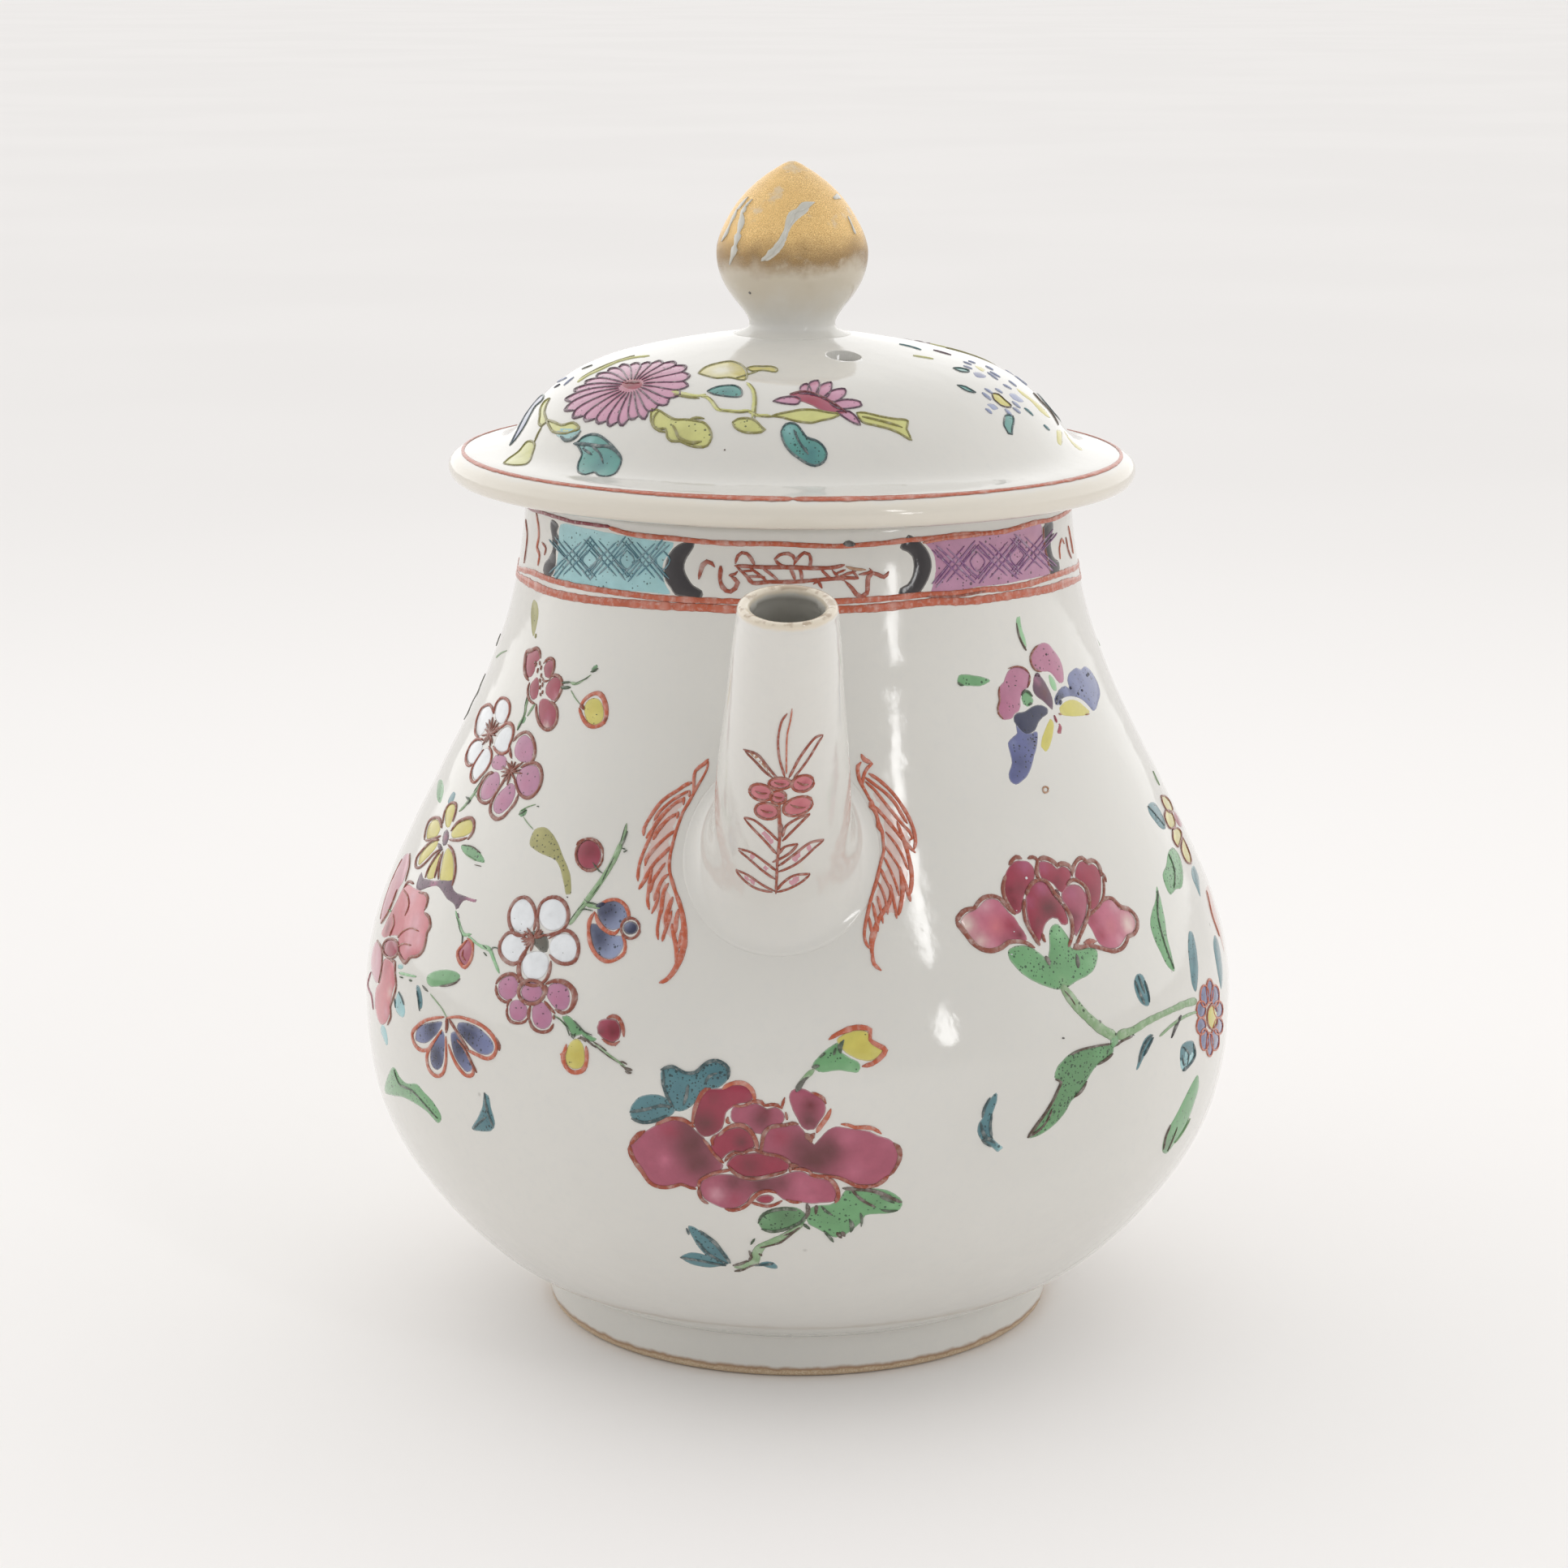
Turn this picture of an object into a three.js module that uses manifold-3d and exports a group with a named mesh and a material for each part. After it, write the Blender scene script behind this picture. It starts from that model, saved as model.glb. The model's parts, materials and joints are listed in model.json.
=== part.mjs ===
// Small porcelain teapot with a lift-off cover.
// Millimetres, +Z up. The origin is on the pot's axis, in the plane that the foot stands on.
// The spout points to -Y and the loop handle to +Y.
//
// The pot is one fired assembly of thrown and moulded pieces joined with slip: body, foot ring,
// spout and handle. The cover is a second one: dome, locating ring and knob. Pieces that are
// luted together keep a joint line of JOINT between their solids.

import * as THREE from 'three';
import { mergeVertices } from 'three/addons/utils/BufferGeometryUtils.js';
import Module from 'manifold-3d';

const wasm = await Module();
wasm.setup();

// ---------------------------------------------------------------- driving dimensions (mm)
const JOINT = 0.30;            // slip joint left open between two luted pieces
const SEGS_POT = 56;           // facets round the pot
const SEGS_COVER = 48;         // facets round the cover

// foot ring
const FOOT_R = 26.9;           // outer radius
const FOOT_IN_R = 23.2;        // inner radius
const FOOT_H = 4.25;           // height
const FOOT_BEVEL = 0.55;       // rounded edge of the ring that stands on the table

// body: outer profile, [height, radius]
const BODY_BASE_Z = FOOT_H + JOINT;
const BODY_OUT = [
  [BODY_BASE_Z, 27.2], [6.2, 30.2], [8.3, 33.3], [10.9, 36.1], [14.0, 38.85], [17.6, 41.4],
  [21.7, 43.65], [25.9, 44.95], [30.0, 45.6], [34.1, 45.8], [38.3, 45.4], [42.4, 44.45],
  [46.5, 42.9], [50.7, 41.0], [54.8, 38.95], [58.9, 36.85], [63.1, 34.7], [67.2, 32.75],
  [71.4, 31.1], [74.5, 30.1], [77.6, 29.35], [80.7, 28.8], [83.8, 28.4], [86.6, 28.1],
];
const WALL = 2.6;              // wall of the belly
const FLOOR_T = 3.4;           // floor of the pot
const NECK_TOP_Z = 87.6;       // rim that the cover sits on
const NECK_IN_R = 25.4;        // mouth radius

// spout: straight, tapering, luted to the front of the belly
const SPOUT_ROOT = new THREE.Vector3(-1.8, -35.2, 55.4);   // on the axis, inside the wall
const SPOUT_MOUTH = new THREE.Vector3(-1.1, -62.1, 86.2);  // centre of the mouth
const SPOUT_MOUTH_R = 4.55;
const SPOUT_BORE_MOUTH = 3.45;
const SPOUT_LIP_TILT = 11;     // the lip leans this many degrees forward from level

// strainer: a cluster of small holes pierced through the wall behind the spout
const STRAINER_R = 1.15;
const STRAINER_PITCH = 3.3;

// handle: plain loop of oval section
const HANDLE_PATH = [
  [0, 29.0, 68.6], [0, 37.3, 70.7], [0, 46.4, 71.6], [0, 54.9, 69.8], [0, 61.0, 64.6],
  [0, 63.53, 57.0], [0, 62.8, 48.4], [0, 58.9, 40.2], [0, 52.8, 33.6], [0, 46.0, 29.3], [0, 39.8, 27.0],
];
const HANDLE_THICK = 7.2;      // in the plane of the loop
const HANDLE_WIDE = 9.6;       // across it

// cover, with heights measured from its seat on the neck
const SEAT_Z = NECK_TOP_Z + JOINT;
const DOME_OUT = [             // [height above the seat, radius]
  [14.6, 5.9], [14.0, 9.6], [13.5, 12.6], [12.9, 16.4], [11.8, 20.1], [10.3, 23.0],
  [8.3, 25.6], [6.1, 27.6], [4.35, 29.0], [3.55, 30.4], [3.2, 32.0], [2.9, 33.6],
  [2.35, 34.75], [1.35, 35.35], [0.45, 35.0],
];
const RIM_SEAT_R = 34.3;       // the flat underside of the flange runs from here inwards
const COVER_WALL = 2.6;
const STEAM_HOLE = { x: 5.1, y: -11.3, r: 1.8 };

const BEZEL_OUT_R = 24.3;      // ring under the cover that drops into the neck
const BEZEL_IN_R = 21.9;
const BEZEL_DEPTH = 7.6;

const KNOB_BASE_Z = 14.9;      // above the seat
const KNOB_OUT = [             // [height above the seat, radius]
  [14.9, 5.2], [15.5, 4.65], [16.3, 4.5], [17.4, 5.2], [18.7, 6.1], [20.2, 7.05],
  [21.8, 7.6], [23.2, 7.72], [24.7, 7.45], [26.4, 6.75], [28.1, 5.75], [29.6, 4.4],
  [30.9, 2.9], [31.8, 1.5], [32.3, 0.55],
];
const KNOB_TOP_Z = 32.4;

// ---------------------------------------------------------------- helpers
function toSolid(source) {
  let g = source.clone();
  for (const name of Object.keys(g.attributes)) if (name !== 'position') g.deleteAttribute(name);
  g = mergeVertices(g, 1e-4);
  const p = g.attributes.position, idx = g.index.array, tri = [];
  for (let i = 0; i < idx.length; i += 3) {
    const [a, b, c] = [idx[i], idx[i + 1], idx[i + 2]];
    if (a !== b && b !== c && a !== c) tri.push(a, b, c);
  }
  let vol = 0;
  const A = new THREE.Vector3(), B = new THREE.Vector3(), C = new THREE.Vector3();
  for (let i = 0; i < tri.length; i += 3) {
    A.fromBufferAttribute(p, tri[i]); B.fromBufferAttribute(p, tri[i + 1]); C.fromBufferAttribute(p, tri[i + 2]);
    vol += A.dot(B.cross(C));
  }
  if (vol < 0) for (let i = 0; i < tri.length; i += 3) [tri[i], tri[i + 1]] = [tri[i + 1], tri[i]];
  return new wasm.Manifold(new wasm.Mesh({
    numProp: 3, vertProperties: new Float32Array(p.array), triVerts: new Uint32Array(tri),
  }));
}

function toGeometry(solid) {
  const m = solid.getMesh();
  const g = new THREE.BufferGeometry();
  const pos = new Float32Array(m.numVert * 3);
  for (let i = 0; i < m.numVert; i++) for (let k = 0; k < 3; k++) pos[3 * i + k] = m.vertProperties[i * m.numProp + k];
  g.setAttribute('position', new THREE.BufferAttribute(pos, 3));
  g.setIndex(new THREE.BufferAttribute(new Uint32Array(m.triVerts), 1));
  g.computeVertexNormals();
  return g;
}

// turns a list of [height, radius] about +Z; the list starts and ends on the axis, or is a loop
function turn(profile, segments) {
  const pts = profile.map(([z, r]) => new THREE.Vector2(r, z));
  return new THREE.LatheGeometry(pts, segments).rotateX(Math.PI / 2);
}

// [height, radius] profile moved inwards along its own normal
function inset(profile, t) {
  return profile.map((p, i) => {
    const a = profile[Math.max(i - 1, 0)], b = profile[Math.min(i + 1, profile.length - 1)];
    const dz = b[0] - a[0], dr = b[1] - a[1], n = Math.hypot(dz, dr);
    return [p[0] + (t * dr) / n, p[1] - (t * dz) / n];
  });
}

function radiusAt(profile, z) {
  if (z <= profile[0][0]) return profile[0][1];
  for (let i = 1; i < profile.length; i++) {
    const [z0, r0] = profile[i - 1], [z1, r1] = profile[i];
    if (z <= z1) return r0 + ((r1 - r0) * (z - z0)) / (z1 - z0);
  }
  return profile[profile.length - 1][1];
}

// a closed round tool along +Z from z0 to z1, turned so that +Z looks along dir, at the given place
function rod(r, z0, z1, segments, dir, at) {
  const g = turn([[z0, 0], [z0, r], [z1, r], [z1, 0]], segments);
  g.applyQuaternion(new THREE.Quaternion().setFromUnitVectors(new THREE.Vector3(0, 0, 1), dir));
  g.translate(at.x, at.y, at.z);
  return toSolid(g);
}

function mesh(name, geometry, color, roughness, metalness = 0) {
  const m = new THREE.Mesh(geometry, new THREE.MeshStandardMaterial({ color, roughness, metalness }));
  m.name = name;
  return m;
}

// ---------------------------------------------------------------- body
const bodyRim = [[86.95, 28.0], [NECK_TOP_Z, 27.5], [NECK_TOP_Z, 26.1], [86.9, NECK_IN_R]];
const bodyInside = [
  [83.0, NECK_IN_R], [78.0, 26.2], [71.5, 28.5], [64.5, 31.4], [57.5, 34.8],
  [50.5, 38.2], [44.5, 40.9], [38.5, 42.7], [33.5, 43.15],
  [28.0, 42.5], [22.5, 40.5], [17.2, 36.7], [12.9, 31.9], [9.8, 26.0], [BODY_BASE_Z + FLOOR_T, 17.0],
];
const bodyProfile = [
  [BODY_BASE_Z, 0], ...BODY_OUT, ...bodyRim, ...bodyInside, [BODY_BASE_Z + FLOOR_T, 0],
];
let bodySolid = toSolid(turn(bodyProfile, SEGS_POT));

const spoutDir = SPOUT_MOUTH.clone().sub(SPOUT_ROOT).normalize();
const spoutLen = SPOUT_MOUTH.distanceTo(SPOUT_ROOT);

// strainer holes: one in the middle and six round it, square to the wall's slant
const side = new THREE.Vector3(1, 0, 0);
const up = new THREE.Vector3().crossVectors(side, spoutDir).normalize();
const holeDir = new THREE.Vector3(0, -0.9, 0.436).normalize();
for (let i = 0; i < 7; i++) {
  const a = (i - 1) * Math.PI / 3;
  const k = i === 0 ? 0 : STRAINER_PITCH;
  const at = SPOUT_ROOT.clone().addScaledVector(side, k * Math.cos(a)).addScaledVector(up, k * Math.sin(a));
  at.addScaledVector(holeDir, 0.5);
  bodySolid = bodySolid.subtract(rod(STRAINER_R, -7, 7, 10, holeDir, at));
}

// the outer surface of the pot, one joint line larger: what the spout and handle are cut against
const wallTool = toSolid(turn([
  [BODY_BASE_Z - 2, 0], [BODY_BASE_Z - 2, 27.2 + JOINT], ...inset(BODY_OUT, -JOINT), [NECK_TOP_Z + 4, 28.1 + JOINT], [NECK_TOP_Z + 4, 0],
], SEGS_POT));

// ---------------------------------------------------------------- foot ring
const footProfile = [
  [FOOT_BEVEL, FOOT_R], [FOOT_H, FOOT_R], [FOOT_H, FOOT_IN_R - 0.4], [FOOT_BEVEL, FOOT_IN_R],
  [0, FOOT_IN_R + FOOT_BEVEL], [0, FOOT_R - FOOT_BEVEL], [FOOT_BEVEL, FOOT_R],
];

// ---------------------------------------------------------------- spout
// [distance from the root, radius]; the flared foot of the spout spreads over the belly
const spoutOuter = [
  [-3.5, 10.9], [0.5, 9.7], [3.5, 8.4], [6.5, 7.4], [10.0, 6.8], [15.0, 6.35], [22.0, 5.75], [29.0, 5.2], [35.0, 4.8],
  [spoutLen - 1.5, 4.6], [spoutLen + 4, 4.5],
];
const spoutInner = [
  [spoutLen + 4, SPOUT_BORE_MOUTH], [spoutLen - 1.5, SPOUT_BORE_MOUTH], [spoutLen - 7, 3.95], [28.0, 4.2], [16.0, 4.75], [6.0, 5.3], [-6.0, 5.4], [-6.0, 9.6],
];
const spoutLoop = [...spoutOuter, ...spoutInner, spoutOuter[0]];
const spoutTurned = turn(spoutLoop, 28);
spoutTurned.applyQuaternion(new THREE.Quaternion().setFromUnitVectors(new THREE.Vector3(0, 0, 1), spoutDir));
spoutTurned.translate(SPOUT_ROOT.x, SPOUT_ROOT.y, SPOUT_ROOT.z);
// the lip is cut nearly level
const lipTilt = THREE.MathUtils.degToRad(SPOUT_LIP_TILT);
const lipNormal = new THREE.Vector3(0, -Math.sin(lipTilt), Math.cos(lipTilt));
const lipTool = new THREE.BoxGeometry(30, 30, 20);
lipTool.translate(0, 0, 10);
lipTool.applyQuaternion(new THREE.Quaternion().setFromUnitVectors(new THREE.Vector3(0, 0, 1), lipNormal));
lipTool.translate(SPOUT_MOUTH.x, SPOUT_MOUTH.y, SPOUT_MOUTH.z);
const spoutSolid = toSolid(spoutTurned).subtract(toSolid(lipTool)).subtract(wallTool);

// ---------------------------------------------------------------- handle
const handleCurve = new THREE.CatmullRomCurve3(HANDLE_PATH.map((p) => new THREE.Vector3(...p)), false, 'centripetal');
const section = new THREE.Shape();
for (let i = 0; i < 16; i++) {
  const a = (i / 16) * Math.PI * 2;
  const x = (HANDLE_WIDE / 2) * Math.cos(a), y = (HANDLE_THICK / 2) * Math.sin(a);
  if (i === 0) section.moveTo(x, y); else section.lineTo(x, y);
}
section.closePath();
const handleGeometry = new THREE.ExtrudeGeometry(section, { steps: 34, curveSegments: 16, bevelEnabled: false, extrudePath: handleCurve });
const handleSolid = toSolid(handleGeometry).subtract(wallTool);

// ---------------------------------------------------------------- cover
const domeIn = inset(DOME_OUT.slice(0, 8), COVER_WALL).map(([z, r]) => [z, r]).filter(([z, r]) => r < BEZEL_IN_R - 0.2);
const coverLoop = [
  [14.6, 0], ...DOME_OUT, [0, RIM_SEAT_R], [0, BEZEL_IN_R], [3.2, BEZEL_IN_R - 0.2], [6.0, BEZEL_IN_R - 1.2],
  [8.2, 19.6], [9.7, 16.8], [10.6, 13.2], [11.2, 8.5], [11.6, 0],
];
let coverSolid = toSolid(turn(coverLoop, SEGS_COVER));
coverSolid = coverSolid.subtract(rod(STEAM_HOLE.r, 6, 20, 20, new THREE.Vector3(0, 0, 1), new THREE.Vector3(STEAM_HOLE.x, STEAM_HOLE.y, 0)));

const bezelLoop = [
  [-JOINT, BEZEL_OUT_R], [-BEZEL_DEPTH + 0.6, BEZEL_OUT_R - 0.25], [-BEZEL_DEPTH, BEZEL_OUT_R - 0.8],
  [-BEZEL_DEPTH, BEZEL_IN_R + 0.6], [-BEZEL_DEPTH + 0.6, BEZEL_IN_R + 0.1], [-JOINT, BEZEL_IN_R], [-JOINT, BEZEL_OUT_R],
];

const knobProfile = [[KNOB_BASE_Z, 0], ...KNOB_OUT, [KNOB_TOP_Z, 0]];

// ---------------------------------------------------------------- scene graph
const teapot = new THREE.Group();

const pot = new THREE.Group();
pot.add(
  mesh('pot_body', toGeometry(bodySolid), 0xcfcdca, 0.12),
  mesh('foot_ring', toGeometry(toSolid(turn(footProfile, SEGS_POT))), 0xc9ccc6, 0.25),
  mesh('spout', toGeometry(spoutSolid), 0xdcdad3, 0.12),
  mesh('handle', toGeometry(handleSolid), 0xd3d1cd, 0.12),
);

const cover = new THREE.Group();
cover.position.set(0, 0, SEAT_Z);
cover.add(
  mesh('lid', toGeometry(coverSolid), 0xe0dcd6, 0.12),
  mesh('lid_bezel', toGeometry(toSolid(turn(bezelLoop, SEGS_COVER))), 0xd8d4cc, 0.3),
  mesh('lid_knob', toGeometry(toSolid(turn(knobProfile, 32))), 0xd9a95a, 0.35, 0.6),
);

teapot.add(pot, cover);

export default teapot;
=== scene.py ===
"""Small enamelled porcelain teapot: fine surfaces, glaze, gilding and raised enamel painting around the CAD frame."""

import json
import math

import bmesh
import bpy
import numpy as np
from mathutils import Matrix, Vector, noise
from mathutils.geometry import delaunay_2d_cdt

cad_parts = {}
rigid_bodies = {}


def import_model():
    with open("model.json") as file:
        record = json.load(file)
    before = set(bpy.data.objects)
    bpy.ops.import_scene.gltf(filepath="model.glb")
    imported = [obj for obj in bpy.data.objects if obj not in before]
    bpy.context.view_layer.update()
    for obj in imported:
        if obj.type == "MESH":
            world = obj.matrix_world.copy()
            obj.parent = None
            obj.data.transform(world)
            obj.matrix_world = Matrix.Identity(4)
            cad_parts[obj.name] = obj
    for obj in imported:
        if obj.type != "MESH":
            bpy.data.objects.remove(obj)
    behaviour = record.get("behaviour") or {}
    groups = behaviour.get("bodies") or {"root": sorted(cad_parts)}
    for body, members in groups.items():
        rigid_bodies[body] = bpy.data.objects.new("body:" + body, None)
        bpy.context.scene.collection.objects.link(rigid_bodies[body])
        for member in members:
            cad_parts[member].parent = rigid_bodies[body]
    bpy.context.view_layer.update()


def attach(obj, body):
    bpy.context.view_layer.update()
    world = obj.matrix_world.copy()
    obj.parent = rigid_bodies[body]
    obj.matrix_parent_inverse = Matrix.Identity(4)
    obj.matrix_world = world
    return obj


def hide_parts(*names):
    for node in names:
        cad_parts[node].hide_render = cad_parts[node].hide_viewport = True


for _o in list(bpy.data.objects):
    bpy.data.objects.remove(_o)

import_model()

MM = 0.001
COVER_DX = -0.62      # the loose cover sits this far to one side in the neck (mm)
COVER_TILT = math.radians(0.45)


# ------------------------------------------------------------------ small maths
def smooth(t):
    t = np.clip(t, 0.0, 1.0)
    return t * t * (3 - 2 * t)


class Spline:
    """Natural cubic through (x, y), with its slope."""

    def __init__(self, x, y):
        x, y = np.asarray(x, float), np.asarray(y, float)
        n = len(x)
        h = np.diff(x)
        a = np.zeros((n, n))
        b = np.zeros(n)
        a[0, 0] = a[-1, -1] = 1
        for i in range(1, n - 1):
            a[i, i - 1], a[i, i], a[i, i + 1] = h[i - 1], 2 * (h[i - 1] + h[i]), h[i]
            b[i] = 6 * ((y[i + 1] - y[i]) / h[i] - (y[i] - y[i - 1]) / h[i - 1])
        self.m = np.linalg.solve(a, b)
        self.x, self.y, self.h = x, y, h

    def _seg(self, q):
        i = np.clip(np.searchsorted(self.x, q) - 1, 0, len(self.h) - 1)
        return i, q - self.x[i], self.x[i + 1] - q

    def __call__(self, q):
        q = np.asarray(q, float)
        i, a, b = self._seg(q)
        h, m = self.h[i], self.m
        return (m[i] * b**3 + m[i + 1] * a**3) / (6 * h) + (self.y[i] / h - m[i] * h / 6) * b + (self.y[i + 1] / h - m[i + 1] * h / 6) * a

    def slope(self, q):
        q = np.asarray(q, float)
        i, a, b = self._seg(q)
        h, m = self.h[i], self.m
        return (-m[i] * b**2 + m[i + 1] * a**2) / (2 * h) - (self.y[i] / h - m[i] * h / 6) + (self.y[i + 1] / h - m[i + 1] * h / 6)


def catmull(points, closed=False, step=0.5):
    """Points along a centripetal Catmull-Rom curve through the given ones, about step apart. Any number of columns; the first two or three are the place."""
    p = np.asarray(points, float)
    n = len(p)
    if n < 3 and not closed:
        k = max(2, int(np.linalg.norm(p[1][:2] - p[0][:2]) / step) + 1)
        t = np.linspace(0, 1, k)[:, None]
        return p[0] * (1 - t) + p[1] * t
    idx = (lambda i: p[i % n]) if closed else (lambda i: p[i] if 0 <= i < n else (2 * p[0] - p[1] if i < 0 else 2 * p[-1] - p[-2]))
    out = []
    for i in range(n if closed else n - 1):
        a, b, c, d = idx(i - 1), idx(i), idx(i + 1), idx(i + 2)
        t0 = 0.0
        t1 = t0 + max(np.linalg.norm(b[:2] - a[:2]), 1e-6) ** 0.5
        t2 = t1 + max(np.linalg.norm(c[:2] - b[:2]), 1e-6) ** 0.5
        t3 = t2 + max(np.linalg.norm(d[:2] - c[:2]), 1e-6) ** 0.5
        k = max(1, int(round(np.linalg.norm(c[:2] - b[:2]) / step)))
        for j in range(k):
            t = t1 + (t2 - t1) * j / k
            a1 = (t1 - t) / (t1 - t0) * a + (t - t0) / (t1 - t0) * b
            a2 = (t2 - t) / (t2 - t1) * b + (t - t1) / (t2 - t1) * c
            a3 = (t3 - t) / (t3 - t2) * c + (t - t2) / (t3 - t2) * d
            b1 = (t2 - t) / (t2 - t0) * a1 + (t - t0) / (t2 - t0) * a2
            b2 = (t3 - t) / (t3 - t1) * a2 + (t - t1) / (t3 - t1) * a3
            out.append((t2 - t) / (t2 - t1) * b1 + (t - t1) / (t2 - t1) * b2)
    if not closed:
        out.append(p[-1])
    return np.array(out)


def fbm(p, octaves=3):
    return noise.fractal(Vector(p), 1.0, 2.0, octaves)


# ------------------------------------------------------------------ shapes of the surfaces (mm)
POT_Z = [4.65, 6.2, 8.27, 10.86, 13.96, 17.58, 21.71, 25.85, 29.99, 34.12, 38.26, 42.39, 46.53, 50.67, 54.8, 58.94, 63.07, 67.21, 71.35, 74.45, 77.55, 80.65, 83.75, 87.37]
POT_R = [27.2, 30.2, 33.3, 36.1, 38.82, 41.42, 43.63, 44.93, 45.52, 45.68, 45.38, 44.42, 42.9, 41.0, 38.93, 36.84, 34.7, 32.76, 31.12, 30.1, 29.34, 28.78, 28.37, 28.05]
_pot = Spline(POT_Z, POT_R)


def pot_r(az, z):
    """Radius of the pot's outside, with the slight unevenness of a turned pot. az is 0 at the spout and grows towards +X."""
    z = np.clip(z, POT_Z[0], POT_Z[-1])
    wave = 0.055 * np.sin(2 * az + 0.7 + z * 0.01) + 0.03 * np.sin(3 * az - 1.1 + z * 0.05) + 0.012 * np.sin(z * 1.1 + 0.8 * np.sin(az))
    return _pot(z) + wave - 0.05


def pot_point(az, z, up=0.0):
    """Points on the pot, raised by up along the surface's normal."""
    az, z, up = np.broadcast_arrays(np.asarray(az, float), np.asarray(z, float), np.asarray(up, float))
    r = pot_r(az, z)
    s = _pot.slope(np.clip(z, POT_Z[0], POT_Z[-1]))
    n = 1 / np.sqrt(1 + s * s)
    rr, zz = r + up * n, z - up * s * n
    return np.stack([rr * np.sin(az), -rr * np.cos(az), zz], -1)


SEAT_Z = 87.9
LID_R = [0.0, 4.0, 6.2, 9.0, 12.0, 15.51, 18.2, 20.6, 22.75, 24.3, 25.6, 26.8, 27.9, 29.0, 30.1, 31.4, 32.8, 34.0]
LID_Z = [103.0, 102.85, 102.62, 102.25, 101.75, 101.0, 100.3, 99.45, 98.35, 97.25, 96.1, 94.75, 93.35, 92.2, 91.6, 91.25, 91.0, 90.7]
_lid = Spline(LID_R, LID_Z)


def tilt_cover(p):
    """The cover's own frame to its place: a little to one side, and not quite level."""
    p = np.array(p, float)
    z0 = SEAT_Z
    c, s = math.cos(COVER_TILT), math.sin(COVER_TILT)
    x, z = p[..., 0].copy(), p[..., 2] - z0
    p[..., 0] = x * c + z * s * 0.0 + COVER_DX
    p[..., 2] = z0 + z - x * s + 0.18
    return p


def lid_point(az, r, up=0.0):
    az, r, up = np.broadcast_arrays(np.asarray(az, float), np.asarray(r, float), np.asarray(up, float))
    z, s = _lid(r), _lid.slope(r)
    n = 1 / np.sqrt(1 + s * s)
    rr, zz = r - up * s * n, z + up * n
    return tilt_cover(np.stack([rr * np.sin(az), -rr * np.cos(az), zz], -1))


KNOB_Z = [102.6, 103.2, 103.9, 104.8, 106.2, 107.8, 109.45, 111.1, 112.7, 114.35, 116.0, 117.6, 118.7, 119.4, 119.85]
KNOB_R = [5.5, 4.62, 4.42, 4.85, 5.95, 6.98, 7.56, 7.7, 7.42, 6.72, 5.72, 4.3, 3.05, 1.95, 0.95]
_knob = Spline(KNOB_Z, KNOB_R)
class Tapered:
    """A turned profile scaled by a factor that changes with height."""

    def __init__(self, base, z, factor):
        self.base, self.z, self.factor = base, z, factor

    def __call__(self, z):
        return self.base(z) * np.interp(z, self.z, self.factor)

    def slope(self, z):
        return (self(np.asarray(z) + 1e-3) - self(np.asarray(z) - 1e-3)) / 2e-3


# the bud is drawn in to a point above its widest part
_knob = Tapered(_knob, [111.4, 113.3, 114.9, 116.4, 117.2, 118.0, 118.7, 119.5], [1.0, 0.978, 0.96, 0.942, 0.928, 0.895, 0.83, 0.72])



def knob_point(az, z, up=0.0):
    az, z, up = np.broadcast_arrays(np.asarray(az, float), np.asarray(z, float), np.asarray(up, float))
    r, s = _knob(z), _knob.slope(z)
    n = 1 / np.sqrt(1 + s * s)
    rr, zz = r + up * n, z - up * s * n
    return tilt_cover(np.stack([rr * np.sin(az), -rr * np.cos(az), zz], -1))


SPOUT_A = np.array([-1.75, -35.2, 55.4])
SPOUT_B = np.array([-1.12, -62.1, 86.2])
SPOUT_L = float(np.linalg.norm(SPOUT_B - SPOUT_A))
SPOUT_D = (SPOUT_B - SPOUT_A) / SPOUT_L
SPOUT_X = np.array([1.0, 0, 0]) - SPOUT_D[0] * SPOUT_D
SPOUT_X /= np.linalg.norm(SPOUT_X)
SPOUT_U = np.cross(SPOUT_D, SPOUT_X)          # towards the pot's back and up: the spout's upper side is +U
_spout = Spline([-6, 0, 6, 10.7, 15, 20.1, 29.2, 34.5, 39.1, 43], [7.1, 6.95, 6.65, 6.43, 6.2, 5.88, 5.2, 4.86, 4.5, 4.3])


def spout_line(u, s, up=0.0):
    """The tube without its flared foot: u is 0 on the side facing away from the pot (the underside) and grows towards +X."""
    u, s, up = np.broadcast_arrays(np.asarray(u, float), np.asarray(s, float), np.asarray(up, float))
    r = _spout(s) + up
    return SPOUT_A + s[..., None] * SPOUT_D + (r * np.sin(u))[..., None] * SPOUT_X - (r * np.cos(u))[..., None] * SPOUT_U


# ------------------------------------------------------------------ mesh helpers
def add_mesh(name, verts, faces, mat, ride, smooth_shade=True, colors=None):
    """A mesh in millimetres becomes one object in metres."""
    me = bpy.data.meshes.new(name)
    me.from_pydata([tuple(v) for v in np.asarray(verts) * MM], [], [tuple(f) for f in faces])
    me.validate()
    me.update()
    if smooth_shade:
        me.polygons.foreach_set("use_smooth", [True] * len(me.polygons))
    if colors is not None:
        at = me.color_attributes.new("tint", "FLOAT_COLOR", "POINT")
        at.data.foreach_set("color", np.asarray(colors, float).ravel())
    me.materials.append(mat)
    ob = bpy.data.objects.new(name, me)
    bpy.context.scene.collection.objects.link(ob)
    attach(ob, ride)
    return ob


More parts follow.
